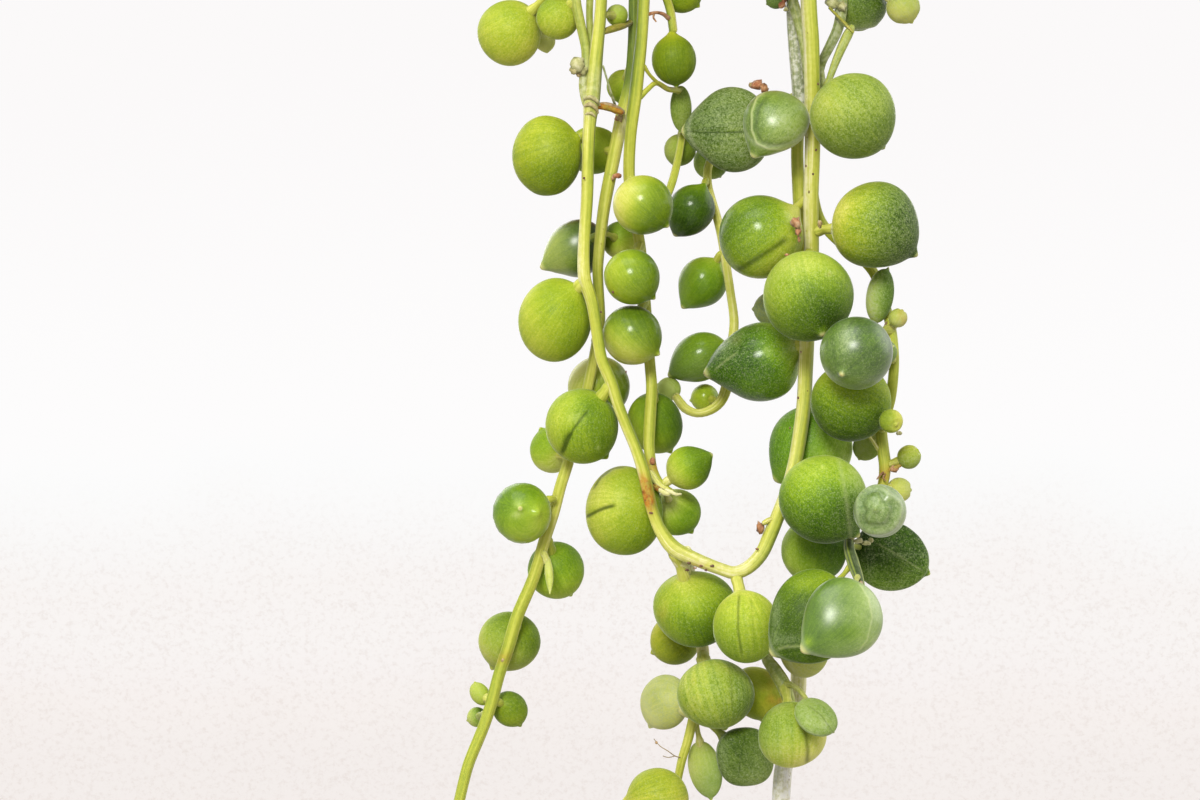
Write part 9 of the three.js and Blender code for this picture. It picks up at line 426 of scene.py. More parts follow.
    [16,0,1,-52.72,-11.73,-191.92,3.79,1.07,1,-0.05,-0.24,0.97,0.18,-0.18,-0.97,-0.8,0.55,-0.25,-51.51,-12.99,-198.63,0.59,0.42,25,0.1,0.8,0.72,0.5,0.08,0.1,0,0,0,0,0,0,2,1,1,0.41],
    [16,0,1,-67.69,-9.69,-195.74,4.36,1.01,1,-0.68,0.73,0.03,0.81,-0.44,-0.4,-0.37,0.16,-0.92,-62.22,-12.64,-198.46,0.59,0.42,74,0.17,0,0.38,0.14,0.04,0.04,0,0,0,0,0,0.36,0,1,1,0.46],
    [16,0,1,-71.94,-13.08,-207.24,3.38,1.09,1,-0.95,0.25,-0.2,0.98,-0.11,0.18,0.2,0.23,-0.95,-65.14,-13.85,-206,0.59,0.42,53,0.11,0.5,0.42,0.18,0.05,0.06,0,0,0,0,0,0.32,0,1,1,0.51],
    [16,0,1,-61.86,-9.67,-217.04,3.66,1.07,1,0.17,0.73,-0.67,-0.34,-0.88,0.34,0.76,-0.04,0.65,-64.02,-15.2,-214.9,0.58,0.42,32,0.1,0,0.63,0.37,0,0,0,0,0,0,0,0.28,2,1,1,0.56],
    [16,0,1,-67.45,-21.84,-226.85,3.73,1.04,1,-0.43,-0.78,-0.46,0.5,0.85,0.19,-0.78,0.34,0.53,-63.9,-15.81,-225.5,0.55,0.42,81,0.18,0,0.51,0.24,0.24,0.29,0,0,0,0,0,0.24,1,1,1,0.61],
    [16,0,1,-69.85,-10.98,-234.78,3.22,1.08,1,-0.5,0.82,-0.29,0.8,-0.6,0.04,0.58,0.79,0.18,-64.51,-14.95,-234.51,0.51,0.42,60,0.2,0.5,0.56,0.28,0.13,0.15,0,0,0,0,0,0.2,0,1,1,0.36],
    [16,0,1,-58.81,-13.87,-246.65,4.18,1.1,1,0.8,-0.12,-0.59,-0.89,0.1,0.45,0.38,0.7,0.6,-65.09,-13.17,-243.5,0.47,0.42,39,0.19,0,0.69,0.4,0.12,0.14,0,0,0,0,0,0.16,2,1,1,0.42],
    [16,0,1,-72.22,-14.03,-255.59,4.68,1,1,-0.61,-0.22,-0.76,0.92,0.32,0.21,-0.1,-0.31,0.95,-65.14,-11.55,-254,0.41,0.42,88,0.12,0,0.52,0.22,0.04,0.05,0,0,0,0,0,0.12,0,1,1,0.47],
    [16,0,1,-65.21,-5.7,-266.84,3.79,1.02,1,-0.05,0.78,-0.63,0.13,-0.93,0.34,-0.08,0.34,0.94,-64.31,-12.01,-264.51,0.35,0.42,25,0.21,0.5,0.37,0.15,0.12,0.14,0,0,0,0,0,0,2,1,1,0.5],
    [16,0,1,-63.7,-20.02,-275.13,3.69,1.02,1,-0.04,-0.96,-0.29,0.11,0.99,0.02,-0.56,0.04,0.83,-63.03,-13.79,-275,0.29,0.42,74,0.14,0.5,0.59,0.35,0.18,0.21,0,0,0,0,0,0.36,1,1,1,0.55],
    [17,0,1,9.26,3.77,-200.71,4.03,1.07,1,0.24,-0.86,0.45,-0.16,0.52,-0.84,0.84,-0.37,-0.39,8.24,7.13,-206.06,0.53,0.42,53,0.13,0,0.51,0.27,0.28,0.33,0,0,0,0,0,0.32,1,1,1,0.6],
    [17,0,1,3.36,11.03,-201.91,2.95,1,1,-0.93,0.23,0.3,0.89,-0.22,-0.4,0.27,0.96,0.07,9.05,9.62,-204.45,0.51,0.42,32,0.2,0,0.43,0.18,0.02,0.03,0,0,0,0,0,0.28,2,1,1,0.35],
    [17,0,1,8.95,13.51,-197.7,3.92,1.02,1,-0.29,-0.28,0.91,0.06,-0.02,-1,-0.96,0.26,-0.06,9.32,13.38,-204.37,0.49,0.42,81,0.17,0.5,0.38,0.11,0,0,0,0,0,0,0,0.24,0,1,1,0.4],
    [17,0,1,15.55,13.96,-202.32,3.07,1.03,1,0.7,-0.71,0.08,-0.82,0.46,-0.34,-0.55,-0.5,0.67,10.5,16.76,-204.41,0.48,0.42,60,0.12,0.8,0.47,0.19,0.12,0.14,0,0,0,0,0,0.2,0,1,1,0.46],
    [17,0,1,9.14,23.39,-200.53,4.09,1.11,1,-0.37,0.88,0.3,0.54,-0.56,-0.63,-0.83,-0.21,-0.52,12.61,19.77,-204.59,0.46,0.42,39,0.21,0,0.52,0.23,0.01,0.01,0,0,0,0,0,0.16,2,1,1,0.51],
    [17,0,1,17.05,22.59,-200.48,2.51,1.01,1,-0.59,0.54,0.59,-0.01,-0.27,-0.96,0.84,0.52,-0.15,17.02,21.38,-204.79,0.44,0.42,88,0.1,0,0.44,0.13,0.01,0.01,0,0,0,0,0,0.12,0,1,1,0.56],
    [17,0,1,23.38,23.39,-199.87,2.73,1,1,0.43,0.37,0.82,-0.23,-0.49,-0.84,0.97,-0.09,-0.22,21.99,20.41,-204.93,0.42,0.42,67,0.21,0,0.53,0.21,0.11,0.13,0,0,0,0,0,0.08,0,1,1,0.61],
    [17,0,1,22.47,16.16,-200.04,3.88,1.04,1,0.06,-0.15,0.99,0.37,0.38,-0.84,0.5,-0.85,-0.17,24.65,18.41,-204.98,0.41,0.42,46,0.12,0,0.55,0.22,0.14,0.17,0,0,0,0,0,0.04,0,1,1,0.36],
    [17,0,1,29.88,20.29,-201.51,3.6,1.01,1,0.43,0.7,0.56,-0.64,-0.52,-0.56,-0.31,-0.49,0.81,25.9,17.03,-204.99,0.41,0.42,74,0.14,0,0.52,0.28,0.05,0.06,0,0,0,0,0,0.36,0,1,1,0.55],
    [17,0,1,31.97,13.38,-201.86,2.38,1.04,1,0.71,-0.18,0.68,-0.75,-0.16,-0.64,0.07,0.95,-0.32,28.33,12.59,-204.99,0.39,0.42,53,0.11,0,0.5,0.26,0.17,0.2,0,0,0,0,0,0.32,0,1,1,0.6],
    [17,0,1,25.6,8.57,-199.4,3.67,1.01,1,-0.53,-0.13,0.84,0.39,-0.14,-0.91,-0.5,-0.86,-0.08,27.94,7.71,-204.88,0.37,0.42,32,0.19,0.8,0.64,0.38,0.1,0.12,0,0,0,0,0,0.28,2,1,1,0.35],
    [17,0,1,29.14,1.06,-200.85,3.8,1.14,1,0.52,-0.83,0.22,-0.42,0.67,-0.62,0.12,-0.63,-0.77,26.47,5.31,-204.77,0.36,0.42,81,0.18,0.8,0.55,0.28,0.1,0.12,0,0,0,0,0,0.24,0,1,1,0.4],
    [17,0,1,22.97,3.06,-201.53,1.84,1.04,1,0.06,-0.9,0.44,0.06,0.52,-0.85,0.99,-0.13,-0.01,23.19,4.95,-204.63,0.35,0.42,60,0.19,0.8,0.52,0.24,0.06,0.07,0,0,0,0,0,0.2,0,1,1,0.46],
    [18,0,1,-3.31,6.98,-199.91,4.06,1.01,1,-0.23,-0.78,0.58,-0.13,0.44,-0.89,0.89,0.44,0.09,-4.23,10.04,-206.06,0.53,0.42,39,0.1,0,0.59,0.29,0.04,0.04,0,0,0,0,0,0.16,2,1,1,0.51],
    [18,0,1,-4.14,17.27,-200.25,3.93,1.01,1,0.67,0.6,0.43,-0.3,-0.77,-0.57,0.1,0.56,-0.82,-6.35,11.58,-204.45,0.51,0.42,88,0.16,0,0.82,0.52,0.05,0.06,0,0,0,0,0,0.12,0,1,1,0.56],
    [18,0,1,-11.86,8.93,-202.38,2.86,1.04,1,-0.7,-0.72,0.02,0.41,0.82,-0.4,-0.66,0.57,0.49,-9.84,12.99,-204.37,0.49,0.42,67,0.13,0.5,0.32,0.08,0.14,0.16,0,0,0,0,0,0.08,0,1,1,0.61],
    [18,0,1,-10.95,14.58,-198.39,2.75,1.02,1,-0.06,-0.11,0.99,-0.07,-0.1,-0.99,0.3,0.95,-0.12,-11.37,13.95,-204.4,0.49,0.42,46,0.12,0.8,0.59,0.26,0.03,0.04,0,0,0,0,0,0.04,0,1,1,0.36],
    [18,0,1,-16.38,14.75,-201.33,2.61,1.14,1,-0.68,-0.53,0.5,0.56,0.42,-0.72,-0.42,-0.61,-0.68,-13.93,16.57,-204.49,0.47,0.42,25,0.12,0.5,0.69,0.47,0.02,0.02,0,0,0,0,0,0,2,1,1,0.41],
    [18,0,1,-11.51,19.59,-202.63,2.36,1.03,1,0.84,0.3,0.46,-0.81,-0.35,-0.47,0.27,0.48,-0.83,-14.9,18.1,-204.59,0.46,0.42,53,0.21,0,0.57,0.32,0,0,0,0,0,0,0,0.32,0,1,1,0.6],
    [18,0,1,-20.59,18.66,-202.41,2.63,1.04,1,-0.97,0.22,0.12,0.9,0.18,-0.39,0.41,-0.09,0.91,-15.41,19.69,-204.68,0.46,0.42,32,0.19,0,0.66,0.4,0.13,0.15,0,0,0,0,0,0.28,2,1,1,0.35],
    [18,0,1,-15.48,23.03,-198.02,3.42,1.1,1,-0.3,-0.04,0.95,0.06,-0.03,-1,-0.43,-0.9,0.01,-15.07,22.79,-204.79,0.44,0.42,81,0.15,0,0.63,0.36,0.23,0.28,0,0,0,0,0,0.24,1,1,1,0.4],
    [18,0,1,-10.91,25.5,-201.46,2.08,1.03,1,0.27,-0.51,0.81,-0.4,0.41,-0.82,-0.32,0.78,0.54,-12.61,27.22,-204.93,0.42,0.42,60,0.11,0,0.63,0.35,0.2,0.24,0,0,0,0,0,0.2,1,1,1,0.46],
    [18,0,1,-12.21,33.53,-201.78,3.28,1.04,1,-0.6,0.58,0.55,0.39,-0.74,-0.54,-0.92,-0.36,-0.16,-9.89,29.13,-204.98,0.41,0.42,39,0.18,0,0.64,0.34,0,0,0,0,0,0,0,0.16,2,1,1,0.51],
    [18,0,1,-6.19,29.57,-199.63,3.37,1.07,1,-0.1,-0.24,0.97,-0.04,0.17,-0.98,1,-0.05,-0.05,-6.43,30.47,-205,0.4,0.42,88,0.15,0.8,0.38,0.08,0.19,0.23,0,0,0,0,0,0.12,1,1,1,0.56],
    [18,0,1,-2.82,34.65,-202.71,2.77,1.04,1,-0.21,0.98,-0.01,-0.09,-0.86,-0.51,0.91,0.14,-0.39,-3.22,30.83,-204.99,0.39,0.42,67,0.18,0,0.72,0.4,0.02,0.02,0,0,0,0,0,0.08,0,1,1,0.61],
    [18,0,1,0.64,28.17,-200.33,2.86,1.07,1,-0.38,-0.67,0.64,0.14,0.17,-0.98,0.6,-0.8,-0.05,1.31,28.95,-204.88,0.37,0.42,46,0.16,0.5,0.53,0.2,0.16,0.19,0,0,0,0,0,0.04,0,1,1,0.36],
    [18,0,1,-2.93,23.71,-202.87,2.23,1.04,1,-0.93,0.36,0.05,0.87,-0.38,-0.33,-0.34,-0.92,0.17,1.52,21.76,-204.55,0.34,0.42,25,0.15,0.8,0.68,0.46,0.11,0.13,0,0,0,0,0,0,2,1,1,0.41],
    [19,0,1,-8.24,-2.79,-201.22,2.65,1.02,1,0.96,-0.11,0.26,-0.45,0.32,-0.83,-0.78,-0.6,0.19,-10.85,-0.93,-206.06,0.53,0.42,74,0.1,0,0.54,0.31,0.06,0.07,0,0,0,0,0,0.36,0,1,1,0.46],
    [19,0,1,-16.91,0.94,-200.22,3.64,1.02,1,-0.69,0.44,0.58,0.59,-0.51,-0.63,-0.8,-0.24,-0.55,-12.98,-2.46,-204.45,0.51,0.42,32,0.17,0,0.59,0.34,0.03,0.04,0,0,0,0,0,0.28,2,1,1,0.35],
    [19,0,1,-12.04,-8.7,-200.95,2.74,1.04,1,0.49,-0.73,0.48,-0.57,0.57,-0.58,0.81,0.33,-0.47,-15.4,-5.35,-204.37,0.49,0.42,81,0.2,0,0.57,0.3,0.1,0.12,0,0,0,0,0,0.24,0,1,1,0.4],
    [19,0,1,-18.64,-6.94,-199.38,2.71,1.04,1,-0.46,0.51,0.73,0.06,-0.09,-0.99,-0.82,0.56,-0.1,-18.35,-7.38,-204.41,0.48,0.42,60,0.16,0.5,0.67,0.39,0.08,0.09,0,0,0,0,0,0.2,0,1,1,0.46],
    [19,0,1,-21.37,-11.85,-201.99,2.22,1.08,1,0.48,-0.85,0.23,-0.11,0.78,-0.62,-0.42,-0.6,-0.68,-21.82,-8.58,-204.59,0.46,0.42,39,0.16,0.8,0.69,0.4,0.14,0.17,0,0,0,0,0,0.16,2,1,1,0.51],
    [19,0,1,-24.74,-4.83,-199.98,3.14,1,1,0.34,0.56,0.76,-0.28,-0.44,-0.85,-0.86,0.51,0.03,-26.33,-7.29,-204.79,0.44,0.42,88,0.16,0.5,0.59,0.28,0.21,0.25,0,0,0,0,0,0.12,1,1,1,0.56],
    [19,0,1,-31.32,-2.38,-199.8,2.89,1.07,1,0,-0.22,0.97,0.18,0.05,-0.98,-0.86,0.49,-0.14,-30.36,-2.13,-204.96,0.42,0.42,67,0.14,0.5,0.61,0.29,0,0,0,0,0,0,0,0.08,0,1,1,0.61],
    [19,0,1,-25.5,1.74,-202.01,2.87,1.05,1,0.82,0.41,0.4,-0.88,-0.05,-0.48,-0.1,-0.95,0.28,-30.97,1.45,-204.99,0.41,0.42,46,0.19,0.8,0.56,0.24,0.17,0.21,0,0,0,0,0,0.04,1,1,1,0.36],
    [19,0,1,-35.84,3.58,-201.43,3.2,1.06,1,-0.75,0.57,0.34,0.81,-0.05,-0.59,0.44,-0.62,0.65,-30.97,3.3,-205,0.4,0.42,25,0.14,0,0.45,0.23,0.14,0.16,0,0,0,0,0,0,2,1,1,0.41],
    [19,0,1,-30.63,6.58,-200.96,2.06,1,1,0.35,-0.09,0.93,0.08,-0.03,-1,0.46,0.89,0.01,-30.32,6.47,-204.99,0.39,0.42,74,0.17,0,0.56,0.32,0.09,0.11,0,0,0,0,0,0.36,0,1,1,0.46],
    [19,0,1,-30.02,14.46,-202.59,2.91,1.05,1,-0.76,0.65,0.03,0.51,-0.76,-0.41,0.86,0.44,0.26,-27.13,10.19,-204.88,0.37,0.42,53,0.13,0,0.52,0.27,0.1,0.12,0,0,0,0,0,0.32,0,1,1,0.51],
    [19,0,1,-25.47,9.82,-197.51,4.08,1,1,0.41,-0.49,0.77,-0.04,0.15,-0.99,0.72,-0.68,-0.14,-25.79,10.96,-204.83,0.37,0.42,81,0.2,0.5,0.71,0.45,0.1,0.11,0,0,0,0,0,0.24,0,1,1,0.4],
    [19,0,1,-18.36,10.08,-200.44,1.83,1.08,1,0.13,0.61,0.78,-0.38,-0.39,-0.84,0.83,0.26,-0.5,-20.23,8.17,-204.55,0.34,0.42,60,0.22,0,0.39,0.11,0,0,0,0,0,0,0,0.2,0,1,1,0.46],
    [20,0,1,-0.37,-8,-200.29,3.76,1.07,1,0.51,0.46,0.73,-0.32,-0.39,-0.86,-0.72,-0.5,0.49,-2.47,-10.61,-206.06,0.53,0.42,39,0.14,0,0.53,0.24,0.14,0.17,0,0,0,0,0,0.16,2,1,1,0.51],
    [20,0,1,-6.51,-15.94,-199.52,4.1,1.04,1,-0.67,-0.34,0.66,0.65,0.38,-0.66,0.66,0.15,0.74,-1.67,-13.1,-204.45,0.51,0.42,88,0.21,0.5,0.57,0.26,0.21,0.26,0,0,0,0,0,0.12,1,1,1,0.56],
    [20,0,0,4.17,-14.32,-201.71,3.18,1.06,1,0.63,0.52,0.58,-0.76,-0.39,-0.52,-0.32,0.92,-0.22,0.32,-16.3,-204.37,0.49,0.42,67,0.13,0,0.56,0.25,0.1,0.12,0,0,0,0,0,0.08,0,1,1,0.61],
    [20,0,1,0.82,-19.87,-199.48,3.03,1.02,1,0.08,0.68,0.73,0.11,0.03,-0.99,0.26,-0.97,0,1.35,-19.73,-204.41,0.48,0.42,46,0.21,0.5,0.53,0.2,0.13,0.15,0,0,0,0,0,0.04,0,1,1,0.36],
    [20,0,1,7.32,-24.28,-201.98,3.6,1.13,1,0.95,0.31,-0.09,-0.91,0.13,-0.4,-0.19,0.72,0.66,1.42,-23.41,-204.59,0.46,0.42,25,0.18,0.5,0.49,0.27,0.11,0.14,0,0,0,0,0,0,2,1,1,0.41],
    [20,0,1,0.09,-26.4,-198.66,3.01,1.03,1,-0.04,-0.51,0.86,-0.01,0.04,-1,-0.07,-1,-0.04,0.02,-26.18,-204.73,0.45,0.42,74,0.17,0.5,0.43,0.2,0.01,0.01,0,0,0,0,0,0.36,0,1,1,0.46],
    [20,0,1,-5.21,-23.59,-201.74,2.9,1.02,1,-0.51,0.8,0.32,0.41,-0.76,-0.5,-0.53,0.25,-0.81,-2.66,-28.27,-204.85,0.44,0.42,53,0.12,0,0.79,0.54,0.24,0.29,0,0,0,0,0,0.32,1,1,1,0.51],
    [20,0,1,-5.51,-31.33,-200.55,3.08,1.11,1,-0.42,-0.77,0.48,-0.06,0.4,-0.92,0.54,-0.76,-0.36,-5.79,-29.44,-204.93,0.42,0.42,32,0.11,0.8,0.47,0.21,0.1,0.12,0,0,0,0,0,0.28,2,1,1,0.56],
    [20,0,1,-10.41,-26.92,-200.72,2.24,1.08,1,-0.3,0.51,0.8,-0.11,-0.43,-0.89,-0.08,-0.89,0.44,-10.95,-29,-204.99,0.41,0.42,60,0.16,0.8,0.53,0.25,0,0,0,0,0,0,0,0.2,0,1,1,0.46],
    [20,0,1,-15.13,-24.66,-199.74,2.36,1.01,1,0.33,0.57,0.75,-0.26,-0.18,-0.95,0.27,-0.96,0.11,-16.55,-25.68,-204.96,0.39,0.42,39,0.14,0.5,0.33,0.08,0.13,0.16,0,0,0,0,0,0.16,2,1,1,0.51],
    [20,0,1,-22.3,-23.93,-201.94,2.88,1.02,1,-0.86,-0.3,0.41,0.8,0.24,-0.55,-0.6,0.41,-0.69,-18.08,-22.66,-204.88,0.37,0.42,88,0.17,0,0.43,0.12,0.18,0.22,0,0,0,0,0,0.12,1,1,1,0.56],
    [20,0,1,-18.47,-19.92,-199.66,2.29,1,1,-0.48,-0.28,0.83,0.03,0.01,-1,-0.62,-0.78,-0.03,-18.29,-19.86,-204.77,0.36,0.42,67,0.11,0.8,0.67,0.36,0.14,0.17,0,0,0,0,0,0.08,0,1,1,0.61],
    [20,0,1,-17.18,-15.15,-200.58,1.99,1.02,1,0.23,0.72,0.65,0.27,-0.5,-0.82,-0.36,0.74,-0.57,-15.85,-17.63,-204.63,0.35,0.42,46,0.19,0,0.51,0.19,0.05,0.06,0,0,0,0,0,0.04,0,1,1,0.36],
    [21,0,1,6.93,-4.45,-200.77,3.41,1.01,1,-0.5,0.41,0.76,0.4,-0.2,-0.89,-0.9,-0.27,-0.34,9.32,-5.63,-206.06,0.53,0.42,25,0.21,0.8,0.52,0.3,0.06,0.07,0,0,0,0,0,0,2,1,1,0.41],
    [21,0,1,14.09,-10.87,-202.59,2.61,1.02,1,0.12,-0.98,0.14,-0.36,0.88,-0.31,-0.43,0.14,0.89,11.95,-5.64,-204.45,0.51,0.42,74,0.18,0,0.47,0.24,0.07,0.09,0,0,0,0,0,0.36,0,1,1,0.46],
    [21,0,1,15.76,-5.48,-199.66,2.95,1.05,1,0.31,-0.46,0.83,-0.03,0.16,-0.99,-0.43,-0.9,-0.13,15.6,-4.73,-204.37,0.49,0.42,53,0.16,0.5,0.8,0.56,0.03,0.03,0,0,0,0,0,0.32,0,1,1,0.51],
    [21,0,1,21.97,-2.4,-199.27,2.65,1.07,1,0.36,0.75,0.56,-0.16,-0.47,-0.87,0.77,-0.61,0.19,21.01,-5.22,-204.49,0.47,0.42,32,0.17,0.8,0.69,0.43,0.11,0.13,0,0,0,0,0,0.28,2,1,1,0.56],
    [21,0,1,21.79,-9.19,-200.8,3.02,1.04,1,-0.61,-0.3,0.73,0.45,0.46,-0.77,-0.3,-0.73,-0.61,24.04,-6.87,-204.68,0.46,0.42,81,0.14,0,0.51,0.24,0.13,0.16,0,0,0,0,0,0.24,0,1,1,0.61],
    [21,0,1,29.21,-8.26,-201.35,2.95,1.01,1,0.79,0.07,0.61,-0.7,-0.26,-0.67,-0.62,-0.25,0.75,25.59,-9.58,-204.79,0.44,0.42,39,0.11,0,0.28,0.08,0,0,0,0,0,0,0,0.16,2,1,1,0.51],
    [21,0,1,26.07,-14.65,-199.39,3.06,1.02,1,-0.04,0.1,0.99,0.02,0.01,-1,0.9,-0.44,0.02,26.2,-14.61,-204.93,0.42,0.42,88,0.18,0,0.59,0.29,0.11,0.13,0,0,0,0,0,0.12,0,1,1,0.56],
    [21,0,1,21.1,-17.36,-203.1,2.28,1.02,1,-0.44,0.82,0.38,0.75,-0.48,-0.46,0.52,-0.01,0.86,24.2,-19.37,-204.99,0.41,0.42,67,0.22,0.8,0.51,0.19,0.08,0.1,0,0,0,0,0,0.08,0,1,1,0.61],
    [21,0,1,23.08,-23.38,-200.13,3.08,1.04,1,0.05,0.1,0.99,-0.22,0.24,-0.94,-0.28,0.91,0.3,21.93,-22.14,-205,0.4,0.42,46,0.16,0.5,0.44,0.12,0,0,0,0,0,0,0,0.04,0,1,1,0.36],
    [21,0,1,17.82,-24.97,-201.08,1.92,1.07,1,-0.07,-0.27,0.96,-0.04,0.23,-0.97,-0.97,0.22,0.09,17.65,-24.07,-204.92,0.38,0.42,25,0.17,0.5,0.32,0.1,0.05,0.06,0,0,0,0,0,0,2,1,1,0.41],
    [21,0,1,15.49,-19.39,-201.6,3.2,1.08,1,0.28,0.66,0.69,-0.19,-0.81,-0.56,0.19,0.53,-0.83,14.43,-24.03,-204.83,0.37,0.42,74,0.12,0,0.6,0.36,0.3,0.36,0,0,0,0,0,0.36,1,1,1,0.46],
    [1,0,1,-29.36,-57,-412.9,2.75,1.04,1,-0.37,0.92,-0.12,0.35,-0.91,0.22,-0.39,0.07,0.92,-27.42,-61.97,-411.69,0.61,0.42,53,0.22,0.5,0.36,0.11,0,0,0,0,0,0,0,0.32,0,1,1,0.51],
    [1,0,1,-22.98,-61.98,-421.4,2.88,1.04,1,0.91,0.01,-0.42,-0.97,-0.14,0.2,0.15,0.28,0.95,-27.88,-62.69,-420.39,0.53,0.42,32,0.11,0.8,0.59,0.34,0.14,0.17,0,0,0,0,0,0.28,2,1,1,0.56],
    [1,0,1,-28.67,-66.03,-429.86,1.58,1.08,1,-0.09,-0.84,-0.54,0.3,0.92,0.25,-0.4,-0.11,0.91,-27.68,-63,-429.05,0.4,0.42,81,0.18,0,0.54,0.27,0.01,0.01,0,0,0,0,0,0.24,0,1,1,0.61],
    [0,0,1,2.44,-59.92,-413.98,3.39,1.01,1,0.81,-0.44,-0.39,-0.93,0.26,0.27,-0.19,0.3,-0.93,-2.89,-58.4,-412.41,0.44,0.42,60,0.21,0,0.67,0.39,0.08,0.1,0,0,0,0,0,0.2,0,1,1,0.36],
    [0,0,1,-7.35,-58.37,-422.39,2.2,1.13,1,-0.95,0.13,-0.28,0.97,-0.12,0.19,0.2,0.08,-0.98,-2.71,-58.96,-421.49,0.36,0.42,88,0.13,0.8,0.69,0.39,0.03,0.04,0,0,0,0,0,0.12,0,1,1,0.56],
    [3,0,1,14.2,-54.55,-416.08,3.53,1.04,1,0.7,0.53,-0.49,-0.73,-0.5,0.47,-0.07,0.73,0.68,9.16,-58.05,-412.84,0.92,0.42,67,0.19,0.5,0.47,0.15,0.04,0.05,0,0,0,0,0,0.08,0,1,1,0.61],
    [17,0,0,4.4,6.8,-204.03,1.6,1.08,1,-0.58,0.39,0.71,0.67,-0.07,-0.74,-0.72,-0.31,-0.62,7.57,6.46,-207.57,0.54,0.32,46,0.17,0,0.56,0.23,0.15,0.18,0,0,0,0,0,0.04,0,1,1,0.36],
    [17,0,0,15.96,7.55,-202.51,2.43,1.08,1,1,-0.08,0.01,-0.94,0.08,-0.32,0.32,-0.04,-0.95,8.8,8.16,-204.93,0.52,0.32,25,0.18,0,0.62,0.4,0,0,0,0,0,0,0,0,2,1,1,0.41],
    [17,0,0,12.16,9.56,-203.68,1.67,1.07,1,0.91,0.13,-0.39,-0.97,0.02,-0.24,-0.04,-0.99,0.1,9.05,9.62,-204.45,0.51,0.32,74,0.14,0,0.61,0.38,0.04,0.04,0,0,0,0,0,0.36,0,1,1,0.46],
    [17,0,0,6.25,16.32,-203.92,2.21,1.05,1,-0.95,-0.27,-0.19,0.94,-0.32,-0.13,0.31,0.95,-0.11,9.75,15.13,-204.4,0.49,0.32,53,0.21,0.5,0.47,0.23,0.06,0.07,0,0,0,0,0,0.32,0,1,1,0.51],
    [17,0,0,11.28,18.78,-196.4,1.59,1.11,1,-0.49,0.63,0.6,0.02,-0.05,-1,0.89,-0.45,0.04,11.46,18.37,-204.49,0.47,0.32,32,0.14,0,0.4,0.14,0.33,0.4,0,0,0,0,0,0.28,1,1,1,0.56],
    [17,0,0,15.98,16.46,-197.24,2.08,1.11,1,0.47,-0.27,0.84,-0.39,0.38,-0.84,0.86,0.48,-0.18,12.61,19.77,-204.59,0.46,0.32,81,0.18,0,0.47,0.2,0,0,0,0,0,0,0,0.24,0,1,1,0.61],
    [17,0,0,13.53,29.28,-202.5,1.74,1,1,-0.27,0.96,0,0.21,-0.94,-0.26,0.32,0.32,-0.89,15.37,21.19,-204.73,0.45,0.32,60,0.13,0.8,0.41,0.13,0,0,0,0,0,0,0,0.2,0,1,1,0.36],
    [17,0,0,19.35,27.14,-203.31,2.86,1.01,1,-0.18,0.93,-0.33,-0.1,-0.96,-0.25,-0.82,0.22,-0.53,18.76,21.31,-204.85,0.44,0.32,39,0.18,0,0.62,0.33,0.18,0.22,0,0,0,0,0,0.16,1,1,1,0.42],
    [17,0,0,20.93,11.66,-204.27,1.66,1,1,-0.71,-0.61,-0.34,0.84,0.54,-0.1,0.49,-0.66,0.57,26.99,15.53,-205,0.4,0.32,67,0.19,0.8,0.7,0.38,0.05,0.05,0,0,0,0,0,0.08,0,1,1,0.61],
    [17,0,0,31.76,8.75,-204.11,2.18,1.07,1,0.98,-0.15,0.11,-0.96,0.17,-0.23,-0.03,-0.87,-0.5,28.34,9.35,-204.92,0.38,0.32,46,0.21,0.5,0.42,0.09,0,0,0,0,0,0,0,0.04,0,1,1,0.36],
    [17,0,0,12.96,8.41,-196.34,2.35,1.01,1,0.77,0.05,0.64,-0.43,0.13,-0.89,-0.86,-0.36,0.36,9.05,9.62,-204.45,0.51,0.32,25,0.21,0.8,0.54,0.32,0.17,0.2,0,0,0,0,0,0,1,1,1,0.41],
    [17,0,0,14.42,25.31,-203.88,2.18,1.03,1,-0.34,0.94,-0.06,0.22,-0.95,-0.2,0.18,0.24,-0.95,15.37,21.19,-204.73,0.45,0.32,74,0.12,0,0.64,0.41,0,0,0,0,0,0,0,0.36,0,1,1,0.46],
    [17,0,0,28.82,14.49,-197.52,1.9,1.05,1,0.06,-0.41,0.91,-0.13,-0.06,-0.99,-0.91,-0.39,0.14,27.83,14.02,-205,0.4,0.32,53,0.11,0,0.71,0.47,0,0,0,0,0,0,0,0.32,0,1,1,0.51],
    [17,0,0,31.7,11.14,-197.41,2.21,1.06,1,0.36,0.15,0.92,-0.39,-0.01,-0.92,-0.65,0.71,0.27,28.48,11.04,-204.96,0.39,0.32,32,0.16,0,0.48,0.23,0.12,0.15,0,0,0,0,0,0.28,2,1,1,0.56],
    [17,0,0,32.48,6.25,-198.81,1.84,1.05,1,0.84,-0.28,0.45,-0.59,0.19,-0.79,-0.11,0.95,0.31,27.94,7.71,-204.88,0.37,0.32,81,0.14,0.8,0.54,0.28,0,0,0,0,0,0,0,0.24,0,1,1,0.61],
    [18,0,0,-5.16,11.64,-194.75,2.78,1.12,1,0.65,0.12,0.75,-0.12,-0.01,-0.99,-0.07,-1,0.01,-6.35,11.58,-204.45,0.51,0.32,60,0.19,0,0.46,0.18,0.12,0.14,0,0,0,0,0,0.2,0,1,1,0.36],
    [18,0,0,-22,14.39,-203.86,1.87,1,1,-0.95,-0.18,-0.27,0.88,0.46,-0.09,-0.21,0.56,0.8,-14.9,18.1,-204.59,0.46,0.32,39,0.11,0.5,0.54,0.25,0.27,0.32,0,0,0,0,0,0.16,1,1,1,0.42],
